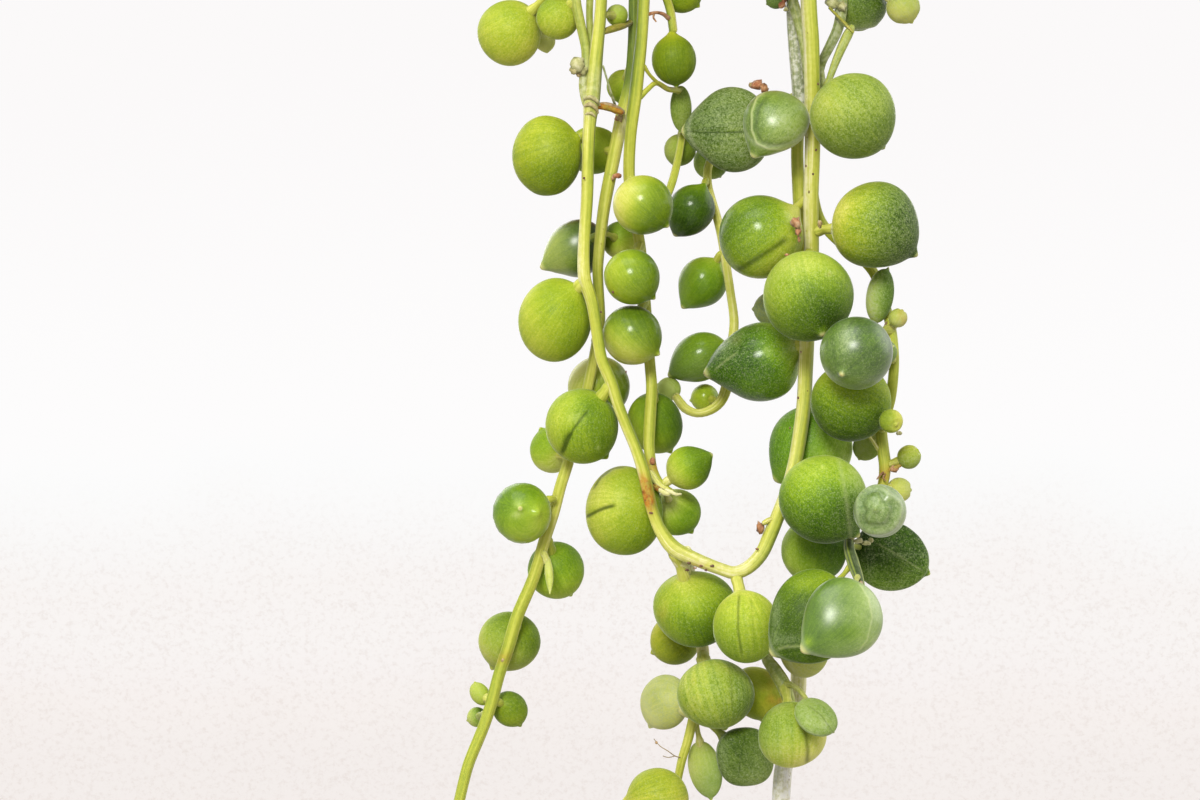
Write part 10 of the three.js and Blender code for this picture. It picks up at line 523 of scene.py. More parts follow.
    [18,0,0,-19.18,23.96,-202.39,1.97,1.03,1,-0.99,0.08,0.09,0.84,-0.24,-0.49,0.47,0.78,0.42,-15.07,22.79,-204.79,0.44,0.32,88,0.22,0,0.62,0.31,0.15,0.18,0,0,0,0,0,0.12,0,1,1,0.47],
    [18,0,0,-17.09,28.18,-204.02,2.62,1.1,1,-0.98,-0.08,0.19,0.82,-0.53,-0.21,-0.04,0.31,-0.95,-13.63,25.95,-204.89,0.43,0.32,46,0.11,0.5,0.22,0.08,0,0,0,0,0,0,0,0.04,0,1,1,0.36],
    [18,0,0,-13.22,30.94,-195.8,3.05,1,1,-0.39,0.03,0.92,0.19,-0.28,-0.94,0.85,0.53,0.01,-11.41,28.22,-204.96,0.42,0.32,25,0.11,0,0.52,0.3,0,0,0,0,0,0,0,0,2,1,1,0.41],
    [18,0,0,-8.18,37.14,-204.04,1.76,1.01,1,0.12,0.93,-0.35,0.25,-0.96,-0.14,0.45,0.24,-0.86,-6.43,30.47,-205,0.4,0.32,74,0.16,0.5,0.51,0.28,0.03,0.04,0,0,0,0,0,0.36,0,1,1,0.46],
    [18,0,0,-2.66,27.4,-204.3,1.53,1.08,1,-0.45,-0.89,0.08,0.29,0.94,-0.2,0.9,-0.34,-0.28,-1.7,30.5,-204.96,0.39,0.32,53,0.14,0,0.51,0.27,0,0,0,0,0,0,0,0.32,0,1,1,0.51],
    [18,0,0,3.83,32.22,-204.13,2.71,1.06,1,0.12,0.98,-0.15,-0.6,-0.78,-0.18,-0.77,0.63,-0.13,1.31,28.95,-204.88,0.37,0.32,32,0.15,0.5,0.47,0.22,0,0,0,0,0,0,0,0.28,2,1,1,0.56],
    [18,0,0,7.7,27.84,-204.34,1.66,1.04,1,0.88,0.38,-0.29,-0.97,-0.22,-0.09,0.23,-0.77,-0.59,3.13,26.82,-204.77,0.36,0.32,81,0.21,0,0.57,0.31,0.03,0.03,0,0,0,0,0,0.24,0,1,1,0.61],
    [18,0,0,3.43,23.3,-198.53,1.63,1.05,1,-0.42,-0.14,0.9,-0.16,0.05,-0.99,-0.49,0.86,0.12,2.46,23.58,-204.63,0.35,0.32,60,0.17,0.5,0.69,0.41,0.13,0.16,0,0,0,0,0,0.2,0,1,1,0.36],
    [18,0,0,-18.46,9.3,-204.02,1.58,1.13,1,-0.93,-0.37,0.01,0.7,0.71,-0.05,-0.55,0.49,-0.68,-12.69,15.17,-204.41,0.48,0.32,39,0.18,0.5,0.76,0.47,0.11,0.13,0,0,0,0,0,0.16,2,1,1,0.42],
    [18,0,0,-7.82,21.23,-203.84,1.53,1.01,1,0.95,-0.31,-0.02,-0.89,0.43,-0.14,0.19,0.63,0.75,-14.46,24.43,-204.85,0.44,0.32,88,0.19,0,0.61,0.3,0.06,0.07,0,0,0,0,0,0.12,0,1,1,0.47],
    [18,0,0,0.64,37.34,-205.45,1.57,1.04,1,-0.01,0.8,-0.59,-0.32,-0.94,0.07,0.78,-0.31,-0.54,-1.7,30.5,-204.96,0.39,0.32,67,0.16,0,0.53,0.22,0.09,0.11,0,0,0,0,0,0.08,0,1,1,0.52],
    [18,0,0,-2.57,23.88,-197.65,2.27,1.01,1,-0.61,-0.07,0.79,0.49,-0.26,-0.83,0.86,0.31,0.41,1.52,21.76,-204.55,0.34,0.32,74,0.15,0,0.48,0.25,0.01,0.01,0,0,0,0,0,0.36,0,1,1,0.55],
    [19,0,0,-11.09,1.97,-203.55,2.19,1.07,1,0.27,0.83,0.49,0.06,-0.75,-0.65,0.65,0.53,-0.54,-10.85,-0.93,-206.06,0.53,0.32,53,0.13,0.8,0.4,0.16,0.24,0.29,0,0,0,0,0,0.32,1,1,1,0.6],
    [19,0,0,-9.85,0.91,-196.04,2.41,1.1,1,0.52,0.45,0.73,-0.22,-0.25,-0.94,-0.23,-0.93,0.3,-11.91,-1.43,-204.93,0.52,0.32,32,0.13,0,0.56,0.3,0.09,0.11,0,0,0,0,0,0.28,2,1,1,0.35],
    [19,0,0,-12.93,-4.76,-196.84,2.45,1.02,1,0.65,0.11,0.75,-0.16,0.11,-0.98,0.81,0.58,-0.06,-14.14,-3.88,-204.32,0.5,0.32,81,0.18,0.8,0.58,0.31,0.07,0.09,0,0,0,0,0,0.24,0,1,1,0.4],
    [19,0,0,-20.62,-0.81,-204.48,1.76,1.08,1,-0.88,0.48,0.03,0.56,-0.83,0.01,0.73,0.5,0.47,-16.78,-6.51,-204.4,0.49,0.32,60,0.16,0.5,0.29,0.08,0.12,0.14,0,0,0,0,0,0.2,0,1,1,0.46],
    [19,0,0,-16.66,-10.71,-203.47,2.33,1,1,0.17,-0.98,-0.05,-0.44,0.86,-0.25,-0.74,-0.2,0.64,-18.35,-7.38,-204.41,0.48,0.32,39,0.15,0,0.56,0.27,0,0,0,0,0,0,0,0.16,2,1,1,0.51],
    [19,0,0,-24.22,-12,-196.43,2.47,1.05,1,-0.24,0.15,0.96,0.08,0.38,-0.92,0.68,-0.7,-0.23,-23.49,-8.57,-204.68,0.46,0.32,88,0.13,0,0.39,0.08,0.11,0.13,0,0,0,0,0,0.12,0,1,1,0.56],
    [19,0,0,-28.29,-16.2,-203.44,2.71,1.08,1,-0.43,-0.88,-0.18,0.38,0.91,-0.15,0.61,-0.13,0.78,-24.89,-8.11,-204.73,0.45,0.32,67,0.11,0.5,0.59,0.27,0,0,0,0,0,0,0,0.08,0,1,1,0.61],
    [19,0,0,-30.77,-9.72,-204.74,1.82,1.1,1,-0.79,-0.56,-0.23,0.66,0.75,-0.02,-0.15,0.1,-0.98,-27.7,-6.21,-204.85,0.44,0.32,46,0.12,0.5,0.7,0.37,0.15,0.18,0,0,0,0,0,0.04,0,1,1,0.36],
    [19,0,0,-26.65,-3.22,-204.46,1.63,1,1,0.57,0.82,0.04,-0.78,-0.6,-0.15,0.37,-0.65,0.66,-28.89,-4.94,-204.89,0.43,0.32,25,0.2,0,0.51,0.29,0.13,0.15,0,0,0,0,0,0,2,1,1,0.41],
    [19,0,0,-39.9,-2.02,-204.36,3.26,1,1,-0.93,0.06,-0.36,0.98,0.17,-0.07,0.18,-0.76,0.62,-30.76,-0.41,-204.98,0.41,0.32,53,0.16,0.8,0.7,0.45,0.04,0.05,0,0,0,0,0,0.32,0,1,1,0.6],
    [19,0,0,-26.85,3.06,-196.7,2.37,1.06,1,0.61,-0.45,0.65,-0.44,0.03,-0.9,-0.69,0.62,0.36,-30.97,3.3,-205,0.4,0.32,32,0.1,0.8,0.44,0.19,0.18,0.22,0,0,0,0,0,0.28,1,1,1,0.35],
    [19,0,0,-37.58,9.69,-202.01,2.05,1.02,1,-0.7,0.7,0.16,0.86,-0.38,-0.35,-0.48,-0.34,-0.81,-30.32,6.47,-204.99,0.39,0.32,81,0.14,0.5,0.54,0.27,0.07,0.08,0,0,0,0,0,0.24,0,1,1,0.4],
    [19,0,0,-31.79,12.38,-198.42,1.68,1.03,1,-0.55,0.46,0.69,0.42,-0.41,-0.81,-0.7,0.43,-0.58,-28.43,9.09,-204.92,0.38,0.32,60,0.19,0.5,0.32,0.08,0.1,0.12,0,0,0,0,0,0.2,0,1,1,0.46],
    [19,0,0,-24.66,8.16,-204.04,1.95,1.11,1,0.48,-0.88,0.06,0.04,0.97,-0.23,-0.11,0.23,0.97,-24.54,11.26,-204.77,0.36,0.32,39,0.2,0.8,0.57,0.28,0,0,0,0,0,0,0,0.16,2,1,1,0.51],
    [19,0,0,-26.29,-11.24,-202.5,2.31,1.06,1,-0.32,-0.82,0.47,0.34,0.77,-0.54,0.92,-0.16,0.36,-24.89,-8.11,-204.73,0.45,0.32,88,0.15,0.5,0.36,0.08,0,0,0,0,0,0,0,0.12,0,1,1,0.56],
    [19,0,0,-30.92,-6.53,-202.3,1.74,1.09,1,-0.72,-0.63,0.29,0.55,0.43,-0.71,-0.4,-0.61,-0.68,-28.89,-4.94,-204.89,0.43,0.32,67,0.11,0.8,0.59,0.28,0.08,0.09,0,0,0,0,0,0.08,0,1,1,0.61],
    [19,0,0,-31.2,3.32,-198.45,1.66,1,1,-0.35,-0.08,0.94,0.04,0,-1,-0.34,0.94,-0.01,-30.97,3.3,-205,0.4,0.32,46,0.14,0,0.47,0.14,0.07,0.09,0,0,0,0,0,0.04,0,1,1,0.36],
    [19,0,0,-34.19,11.27,-204.66,2.16,1.01,1,-0.88,0.2,-0.43,0.8,-0.6,-0.05,0.59,0.8,-0.06,-29.53,7.81,-204.96,0.39,0.32,25,0.2,0,0.47,0.25,0.13,0.16,0,0,0,0,0,0,2,1,1,0.41],
    [19,0,0,-18.75,13.05,-197.2,2.12,1.1,1,0.18,0.42,0.89,-0.34,-0.39,-0.86,0.76,0.42,-0.49,-21.67,9.62,-204.63,0.35,0.32,74,0.14,0,0.69,0.45,0.08,0.09,0,0,0,0,0,0.36,0,1,1,0.46],
    [20,0,0,-6.46,-7.47,-203.42,2.46,1.07,1,-0.6,0.28,0.75,0.66,-0.35,-0.66,-0.07,-0.91,0.41,-2.33,-9.67,-207.57,0.54,0.32,32,0.12,0,0.64,0.39,0.07,0.09,0,0,0,0,0,0.28,2,1,1,0.35],
    [20,0,0,-0.25,-14.24,-196.2,2.57,1.05,1,0.23,-0.34,0.91,-0.05,-0.05,-1,0.97,-0.24,-0.04,-0.68,-14.64,-204.32,0.5,0.32,81,0.11,0.8,0.41,0.15,0.11,0.13,0,0,0,0,0,0.24,0,1,1,0.4],
    [20,0,0,-2.37,-18.95,-204.02,1.98,1.03,1,-0.93,-0.3,-0.22,0.96,0.28,-0.11,-0.1,-0.04,-0.99,1,-17.97,-204.4,0.49,0.32,60,0.19,0.8,0.52,0.24,0.07,0.08,0,0,0,0,0,0.2,0,1,1,0.46],
    [20,0,0,4.16,-29.88,-201.83,2.53,1.06,1,0.76,-0.65,0.04,-0.66,0.59,-0.46,0.71,0.28,-0.65,0.02,-26.18,-204.73,0.45,0.32,39,0.11,0.5,0.41,0.12,0.04,0.05,0,0,0,0,0,0.16,2,1,1,0.51],
    [20,0,0,-1.07,-31.34,-196.79,1.99,1.07,1,0.65,-0.28,0.7,-0.18,0.35,-0.92,0.74,-0.57,-0.36,-2.66,-28.27,-204.85,0.44,0.32,88,0.21,0,0.44,0.13,0,0,0,0,0,0,0,0.12,0,1,1,0.56],
    [20,0,0,-9.19,-29.51,-196.08,2.05,1.01,1,-0.14,0.17,0.98,0.01,0.02,-1,-0.19,0.98,0.01,-9.12,-29.38,-204.98,0.41,0.32,67,0.21,0.8,0.76,0.45,0.11,0.13,0,0,0,0,0,0.08,0,1,1,0.61],
    [20,0,0,-11.78,-32.2,-203.29,1.67,1.08,1,-0.16,-0.97,0.18,0.23,0.86,-0.46,-0.83,0.42,0.37,-10.95,-29,-204.99,0.41,0.32,46,0.15,0.8,0.54,0.21,0.08,0.1,0,0,0,0,0,0.04,0,1,1,0.36],
    [20,0,0,-10.42,-22.6,-203.95,1.6,1.17,1,0.6,0.73,-0.32,-0.36,-0.92,-0.17,-0.04,0.19,-0.98,-12.71,-28.43,-205,0.4,0.32,25,0.14,0,0.55,0.33,0.14,0.16,0,0,0,0,0,0,2,1,1,0.41],
    [20,0,0,-22.83,-30.1,-205.12,1.64,1.09,1,-0.82,-0.12,-0.56,0.82,0.58,0.02,0.06,-0.12,0.99,-16.55,-25.68,-204.96,0.39,0.32,74,0.21,0.8,0.61,0.37,0.04,0.04,0,0,0,0,0,0.36,0,1,1,0.46],
    [20,0,0,-14.12,-21.33,-204.49,1.82,1.02,1,0.95,0.27,-0.11,-0.94,-0.32,-0.09,-0.32,0.81,0.5,-18.08,-22.66,-204.88,0.37,0.32,53,0.18,0.8,0.71,0.46,0,0,0,0,0,0,0,0.32,0,1,1,0.51],
    [20,0,0,-14.37,-20.64,-195.43,3.23,1.09,1,-0.16,-0.3,0.94,-0.15,0.31,-0.94,0.97,-0.14,-0.2,-15.85,-17.63,-204.63,0.35,0.32,81,0.22,0,0.62,0.35,0,0,0,0,0,0,0,0.24,0,1,1,0.4],
    [20,0,0,-13.23,-18.35,-201.06,2.28,1.1,1,-0.02,-0.52,0.85,-0.2,0.42,-0.89,0.03,-0.9,-0.43,-14.02,-16.71,-204.55,0.34,0.32,60,0.13,0,0.51,0.23,0.05,0.06,0,0,0,0,0,0.2,0,1,1,0.46],
    [20,0,0,8.27,-18.76,-198.19,2.48,1.03,1,0.77,0.37,0.51,-0.74,-0.1,-0.66,0.1,0.96,-0.26,1.35,-19.73,-204.41,0.48,0.32,39,0.21,0.8,0.47,0.18,0,0,0,0,0,0,0,0.16,2,1,1,0.51],
    [20,0,0,0.31,-33.36,-203.2,1.64,1.05,1,0.73,-0.68,0.02,-0.48,0.83,-0.27,-0.03,0.29,0.96,-2.66,-28.27,-204.85,0.44,0.32,88,0.12,0.8,0.62,0.31,0.03,0.03,0,0,0,0,0,0.12,0,1,1,0.56],
    [20,0,0,-9.68,-32.95,-198.52,1.54,1.02,1,0.26,-0.39,0.88,0.08,0.48,-0.87,-0.5,-0.74,-0.45,-9.12,-29.38,-204.98,0.41,0.32,67,0.18,0,0.59,0.27,0.19,0.23,0,0,0,0,0,0.08,1,1,1,0.61],
    [20,0,0,-11.2,-22.3,-200.16,2,1.08,1,0.34,0.79,0.51,-0.39,-0.69,-0.61,0.12,-0.7,0.7,-14.28,-27.7,-205,0.4,0.32,46,0.11,0.5,0.35,0.08,0.1,0.12,0,0,0,0,0,0.04,0,1,1,0.36],
    [20,0,0,-23.46,-17.79,-201.74,1.57,1.06,1,-0.82,0.53,-0.23,0.82,-0.33,-0.48,-0.19,0.63,-0.75,-18.29,-19.86,-204.77,0.36,0.32,25,0.17,0.8,0.53,0.31,0.07,0.08,0,0,0,0,0,0,2,1,1,0.41],
    [21,0,0,12.2,-1.31,-203.66,2.12,1.01,1,0.45,0.84,0.29,-0.5,-0.76,-0.42,0.4,-0.64,0.66,9.32,-5.63,-206.06,0.53,0.32,74,0.15,0,0.52,0.29,0.11,0.14,0,0,0,0,0,0.36,0,1,1,0.46],
    [21,0,0,9.57,-10.96,-199.87,1.61,1.01,1,-0.41,-0.1,0.91,0.13,0.71,-0.7,0.39,0.61,0.69,10.48,-5.84,-204.93,0.52,0.32,53,0.16,0.8,0.53,0.29,0,0,0,0,0,0,0,0.32,0,1,1,0.51],
    [21,0,0,14.92,0,-198.51,1.78,1.06,1,-0.01,0.44,0.9,0.09,-0.63,-0.77,-0.98,-0.19,0.04,15.6,-4.73,-204.37,0.49,0.32,32,0.16,0.5,0.4,0.15,0.28,0.33,0,0,0,0,0,0.28,1,1,1,0.56],
    [21,0,0,19.32,-4.76,-195.69,2.06,1.08,1,-0.43,0.64,0.64,-0.02,-0.01,-1,0.84,0.55,-0.02,19.18,-4.81,-204.41,0.48,0.32,60,0.11,0,0.46,0.18,0.13,0.16,0,0,0,0,0,0.2,0,1,1,0.46],
    [21,0,0,25.8,-5.41,-196.14,1.93,1.01,1,-0.19,0.24,0.95,-0.2,-0.17,-0.97,-0.79,-0.55,0.26,24.04,-6.87,-204.68,0.46,0.32,39,0.21,0.5,0.44,0.15,0.22,0.26,0,0,0,0,0,0.16,1,1,1,0.51],
    [21,0,0,32.1,-12.78,-199.14,2,1.05,1,0.44,-0.01,0.9,-0.71,-0.03,-0.7,-0.68,-0.23,0.7,26.28,-12.98,-204.89,0.43,0.32,88,0.16,0.8,0.43,0.12,0,0,0,0,0,0,0,0.12,0,1,1,0.56],
    [21,0,0,32.87,-18.47,-204.01,2.06,1.08,1,0.96,0.16,-0.24,-0.94,0.31,-0.13,0.11,0.65,0.76,25.81,-16.12,-204.96,0.42,0.32,67,0.17,0,0.71,0.39,0,0,0,0,0,0,0,0.08,0,1,1,0.61],
    [21,0,0,27.2,-21.28,-204.56,2,1.05,1,0.79,-0.56,-0.26,-0.84,0.53,-0.12,-0.51,-0.69,0.5,24.2,-19.37,-204.99,0.41,0.32,46,0.21,0.5,0.56,0.23,0.07,0.08,0,0,0,0,0,0.04,0,1,1,0.36],
    [21,0,0,20.7,-28.01,-203.11,2.11,1.01,1,0.53,-0.77,0.37,-0.28,0.88,-0.38,0.29,-0.29,-0.91,19.3,-23.68,-204.96,0.39,0.32,25,0.2,0,0.55,0.33,0.27,0.32,0,0,0,0,0,0,1,1,1,0.41],
    [21,0,0,15.87,-27.69,-203.91,2.26,1.03,1,0.02,-0.97,0.22,0.03,0.96,-0.27,-0.99,0.07,0.14,15.96,-24.19,-204.88,0.37,0.32,74,0.13,0.5,0.66,0.43,0.1,0.12,0,0,0,0,0,0.36,0,1,1,0.46],
    [21,0,0,8.95,-18.96,-203.12,1.54,1.09,1,-1,0.01,-0.08,0.87,0.15,-0.47,0.5,-0.34,0.8,11.56,-18.5,-204.55,0.34,0.32,53,0.15,0,0.59,0.35,0.13,0.16,0,0,0,0,0,0.32,0,1,1,0.51],
    [21,0,0,10.93,-5.65,-195.38,2.74,1.02,1,-0.14,0.42,0.9,0.11,0,-0.99,0.98,0.17,0.11,11.95,-5.64,-204.45,0.51,0.32,32,0.2,0,0.54,0.28,0,0,0,0,0,0,0,0.28,2,1,1,0.56],
    [21,0,0,17.53,1.59,-201.38,2.16,1.01,1,-0.01,0.98,0.2,-0.02,-0.9,-0.44,0.41,0.39,-0.82,17.4,-4.6,-204.4,0.49,0.32,81,0.18,0,0.34,0.08,0.1,0.12,0,0,0,0,0,0.24,0,1,1,0.61],
    [21,0,0,33.35,-12.58,-203.57,1.82,1.03,1,0.99,-0.06,0.14,-0.98,-0.06,-0.18,0.03,-0.99,0.15,26.28,-12.98,-204.89,0.43,0.32,39,0.15,0,0.54,0.25,0.01,0.01,0,0,0,0,0,0.16,2,1,1,0.51],
    [21,0,0,21.62,-17.75,-196.46,2.61,1.03,1,-0.08,0.27,0.96,0.28,-0.18,-0.94,0.91,0.35,0.21,24.2,-19.37,-204.99,0.41,0.32,88,0.17,0,0.64,0.34,0,0,0,0,0,0,0,0.12,0,1,1,0.56],
    [21,0,0,27.29,-28.04,-203.8,2.55,1.03,1,0.89,-0.46,0.05,-0.66,0.73,-0.15,-0.27,-0.42,-0.87,21.93,-22.14,-205,0.4,0.32,67,0.14,0,0.74,0.43,0.01,0.01,0,0,0,0,0,0.08,0,1,1,0.61],
    [21,0,0,14.24,-25.65,-195.83,2.96,1.02,1,-0.43,-0.19,0.88,0.02,0.18,-0.98,-0.61,0.78,0.13,14.43,-24.03,-204.83,0.37,0.32,46,0.17,0,0.51,0.18,0,0,0,0,0,0,0,0.04,0,1,1,0.36],
    [5,0,0,-25.81,-27.45,-203.19,1.88,1.09,1,0.29,-0.96,-0.03,-0.59,0.58,-0.56,-0.64,-0.76,-0.11,-28.05,-25.26,-205.3,0.56,0.32,25,0.15,0.8,0.53,0.31,0.03,0.04,0,0,0,0,0,0,2,1,1,0.41],
    [5,0,0,-29.5,-28.68,-200.17,2.16,1.04,1,0.1,-0.22,0.97,-0.26,0.26,-0.93,0.77,-0.53,-0.37,-30.62,-27.57,-204.08,0.56,0.32,74,0.19,0.5,0.71,0.48,0.11,0.13,0,0,0,0,0,0.36,0,1,1,0.46],
    [5,0,0,-38.59,-29.17,-204.86,2.63,1.06,1,-0.34,0.39,-0.85,0.82,-0.26,0.51,0.13,-0.79,-0.6,-34,-30.61,-201.99,0.56,0.32,53,0.16,0,0.58,0.34,0.03,0.03,0,0,0,0,0,0.32,0,1,1,0.51],
    [5,0,0,-38.21,-36.13,-203.69,2.02,1.04,1,-0.31,-0.46,-0.83,0.21,0.54,0.81,0.98,-0.14,-0.15,-37.21,-33.5,-199.78,0.56,0.32,32,0.17,0.5,0.65,0.39,0,0,0,0,0,0,0,0.28,2,1,1,0.56],
    [5,0,0,-38.91,-39.38,-196.65,1.93,1.07,1,0.22,-0.97,0.1,-0.5,0.76,-0.41,0.69,0.64,0.35,-40.68,-36.68,-198.11,0.56,0.32,81,0.15,0.8,0.58,0.31,0,0,0,0,0,0,0,0.24,0,1,1,0.61],
    [5,0,0,-48.66,-36.88,-197.02,2.24,1,1,-0.8,0.5,-0.33,0.83,-0.55,-0.07,0.42,0.71,-0.57,-44.22,-39.81,-197.4,0.56,0.32,60,0.13,0.8,0.49,0.21,0,0,0,0,0,0,0,0.2,0,1,1,0.36],
    [5,0,0,-45.74,-47.16,-199.58,2.05,1.02,1,0.21,-0.97,-0.09,-0.33,0.92,0.2,0.94,0.34,-0.02,-47.52,-42.11,-198.46,0.56,0.32,88,0.19,0.8,0.28,0.08,0.01,0.02,0,0,0,0,0,0.12,0,1,1,0.56],
    [5,0,0,-52.22,-38.91,-203.62,2.51,1.01,1,-0.15,0.38,-0.91,0.48,-0.75,0.45,0.88,0.4,-0.26,-49.25,-43.54,-200.85,0.56,0.32,67,0.12,0.5,0.33,0.08,0.12,0.15,0,0,0,0,0,0.08,0,1,1,0.61],
    [5,0,0,-45.23,-47.71,-206.79,2.69,1.03,1,0.84,-0.53,0.16,-0.8,0.59,0.15,-0.52,-0.79,0.33,-49.49,-44.56,-206,0.56,0.32,46,0.17,0,0.52,0.19,0.18,0.22,0,0,0,0,0,0.04,1,1,1,0.36],
    [5,0,0,-48.65,-48.75,-210.23,1.94,1.03,1,0.28,-0.8,-0.53,-0.16,0.99,0.02,0.09,0.03,-1,-49.22,-45.26,-210.17,0.56,0.32,25,0.11,0,0.39,0.17,0.17,0.2,0,0,0,0,0,0,2,1,1,0.41],
    [5,0,0,-49.59,-50.39,-215.27,2.44,1.05,1,-0.28,-0.94,-0.19,0.21,0.98,0.08,0.3,-0.14,0.95,-48.63,-45.89,-214.91,0.55,0.32,74,0.16,0,0.58,0.34,0.26,0.31,0,0,0,0,0,0.36,1,1,1,0.46],
    [5,0,0,-52.41,-49.18,-220.5,2.8,1.09,1,-0.39,-0.77,-0.5,0.81,0.56,0.16,0.55,-0.83,0.1,-48.21,-46.28,-219.67,0.54,0.32,53,0.18,0,0.58,0.33,0,0,0,0,0,0,0,0.32,0,1,1,0.51],
    [5,0,0,-49.05,-41.48,-224.03,2.03,1.1,1,-0.1,0.89,-0.44,0.18,-0.95,0.26,0.22,-0.22,-0.95,-48.14,-46.38,-222.7,0.53,0.32,32,0.1,0.8,0.67,0.41,0,0,0,0,0,0,0,0.28,2,1,1,0.56],
    [5,0,0,-42.63,-46.41,-228.85,2.46,1.02,1,0.8,0.08,-0.6,-0.96,0.01,0.27,0.02,-1,0.1,-48.19,-46.34,-227.26,0.52,0.32,81,0.17,0.8,0.36,0.1,0.02,0.03,0,0,0,0,0,0.24,0,1,1,0.61],
    [5,0,0,-46.78,-51.23,-233.26,3.06,1.06,1,0.39,-0.83,-0.4,-0.28,0.92,0.26,-0.55,0.07,-0.83,-48.35,-46.07,-231.82,0.51,0.32,60,0.13,0.5,0.42,0.14,0.14,0.17,0,0,0,0,0,0.2,0,1,1,0.36],
    [5,0,0,-54.36,-48.64,-237.33,2.76,1.05,1,-0.96,-0.1,-0.25,0.87,0.47,0.14,0.25,-0.17,-0.95,-48.63,-45.55,-236.38,0.49,0.32,39,0.19,0.5,0.71,0.41,0.2,0.24,0,0,0,0,0,0.16,1,1,1,0.42],
    [5,0,0,-49.22,-49.52,-242.58,2.1,1.01,1,0.1,-0.91,-0.41,0.03,0.94,0.33,-0.65,-0.23,0.73,-49.05,-44.74,-240.93,0.47,0.32,67,0.1,0.8,0.44,0.13,0,0,0,0,0,0,0,0.08,0,1,1,0.61],
    [5,0,0,-54.37,-45.11,-246.09,2.81,1.05,1,-0.93,-0.15,-0.34,0.96,0.24,0.12,0.19,-0.28,-0.94,-49.44,-43.88,-245.48,0.46,0.32,46,0.14,0,0.59,0.26,0,0,0,0,0,0,0,0.04,0,1,1,0.36],
    [5,0,0,-49.66,-37.75,-250.4,2.51,1.05,1,0.03,0.96,-0.26,0,-1,0.07,0.6,-0.06,-0.8,-49.67,-43.15,-250.03,0.44,0.32,25,0.16,0,0.6,0.38,0.02,0.03,0,0,0,0,0,0,2,1,1,0.41],
    [5,0,0,-44.65,-45.2,-254.81,3.1,1.03,1,0.59,-0.4,-0.7,-0.86,0.43,0.29,0.01,0.58,-0.81,-49.78,-42.65,-253.07,0.43,0.32,74,0.16,0.8,0.5,0.27,0.06,0.08,0,0,0,0,0,0.36,0,1,1,0.46],
    [5,0,0,-49.66,-46,-257.19,2.12,1.05,1,-0.36,-0.75,-0.55,-0.04,0.96,0.27,0.47,0.26,-0.84,-49.83,-42.21,-256.11,0.41,0.32,53,0.18,0.8,0.62,0.37,0,0,0,0,0,0,0,0.32,0,1,1,0.51],
    [5,0,0,-46.75,-39.51,-261.38,1.91,1.1,1,0.74,0.58,-0.34,-0.79,-0.59,0.19,-0.54,0.8,0.26,-49.76,-41.77,-260.67,0.39,0.32,32,0.14,0,0.6,0.35,0.03,0.04,0,0,0,0,0,0.28,2,1,1,0.56],
    [5,0,0,-46.43,-46.09,-264.51,2.98,1.01,1,0.07,-0.78,-0.62,-0.57,0.81,0.15,-0.71,-0.4,-0.58,-49.58,-41.67,-263.7,0.38,0.32,81,0.12,0,0.43,0.16,0,0,0,0,0,0,0,0.24,0,1,1,0.61],
    [5,0,0,-54.78,-44.11,-269.66,3.22,1.06,1,-0.87,0.04,-0.5,0.9,0.38,0.22,-0.13,-0.26,0.96,-49.15,-41.74,-268.26,0.36,0.32,60,0.18,0,0.56,0.28,0.11,0.13,0,0,0,0,0,0.2,0,1,1,0.36],
    [5,0,0,-44.43,-40.06,-272.15,2.56,1.07,1,0.95,0.21,-0.23,-0.91,-0.38,0.18,0.41,-0.71,0.57,-48.8,-41.9,-271.3,0.34,0.32,39,0.18,0.5,0.3,0.08,0.22,0.27,0,0,0,0,0,0.16,1,1,1,0.42],
    [5,0,0,-54.26,-39.64,-277.97,3.24,1.05,1,-0.79,0.28,-0.55,0.87,-0.38,0.31,-0.12,-0.77,-0.63,-48.28,-42.25,-275.86,0.32,0.32,88,0.14,0,0.52,0.22,0,0,0,0,0,0,0,0.12,0,1,1,0.47],
    [5,0,0,-52.66,-46.67,-281.49,3.05,1.07,1,-0.2,-0.86,-0.48,0.78,0.61,0.17,0.1,0.15,-0.98,-47.71,-42.79,-280.41,0.29,0.32,46,0.17,0.5,0.57,0.24,0.07,0.08,0,0,0,0,0,0.04,0,1,1,0.36],
    [5,0,0,-48.6,-46.93,-285.27,1.98,1.01,1,-0.55,-0.81,-0.22,0.39,0.92,0.08,0.92,-0.38,-0.1,-47.12,-43.43,-284.96,0.27,0.32,25,0.21,0,0.6,0.38,0.13,0.16,0,0,0,0,0,0,2,1,1,0.41],
    [6,0,0,-19.23,-28.94,-205.05,1.86,1.1,1,-0.74,0.67,0.12,0.62,-0.75,-0.22,-0.06,0.23,-0.97,-16.11,-32.75,-206.16,0.59,0.32,74,0.14,0.5,0.61,0.38,0,0,0,0,0,0,0,0.36,0,1,1,0.46],
    [6,0,0,-16.14,-40.15,-203.93,2.14,1,1,0.6,-0.66,-0.45,-0.63,0.77,-0.03,0.28,0.27,0.92,-19.11,-36.5,-204.08,0.59,0.32,53,0.16,0,0.4,0.16,0,0,0,0,0,0,0,0.32,0,1,1,0.51],
    [6,0,0,-17.83,-40.8,-198.72,2.68,1.08,1,0.52,0.09,0.85,-0.6,0.33,-0.73,0.71,-0.2,-0.68,-21.14,-38.99,-202.74,0.59,0.32,32,0.15,0,0.57,0.31,0.08,0.1,0,0,0,0,0,0.28,2,1,1,0.56],
    [6,0,0,-25.18,-45.21,-204.95,2.25,1.01,1,-0.23,-0.5,-0.84,0.24,0.52,0.82,-0.75,0.63,-0.19,-23.88,-42.35,-200.47,0.59,0.32,81,0.19,0,0.58,0.31,0.25,0.29,0,0,0,0,0,0.24,1,1,1,0.61],
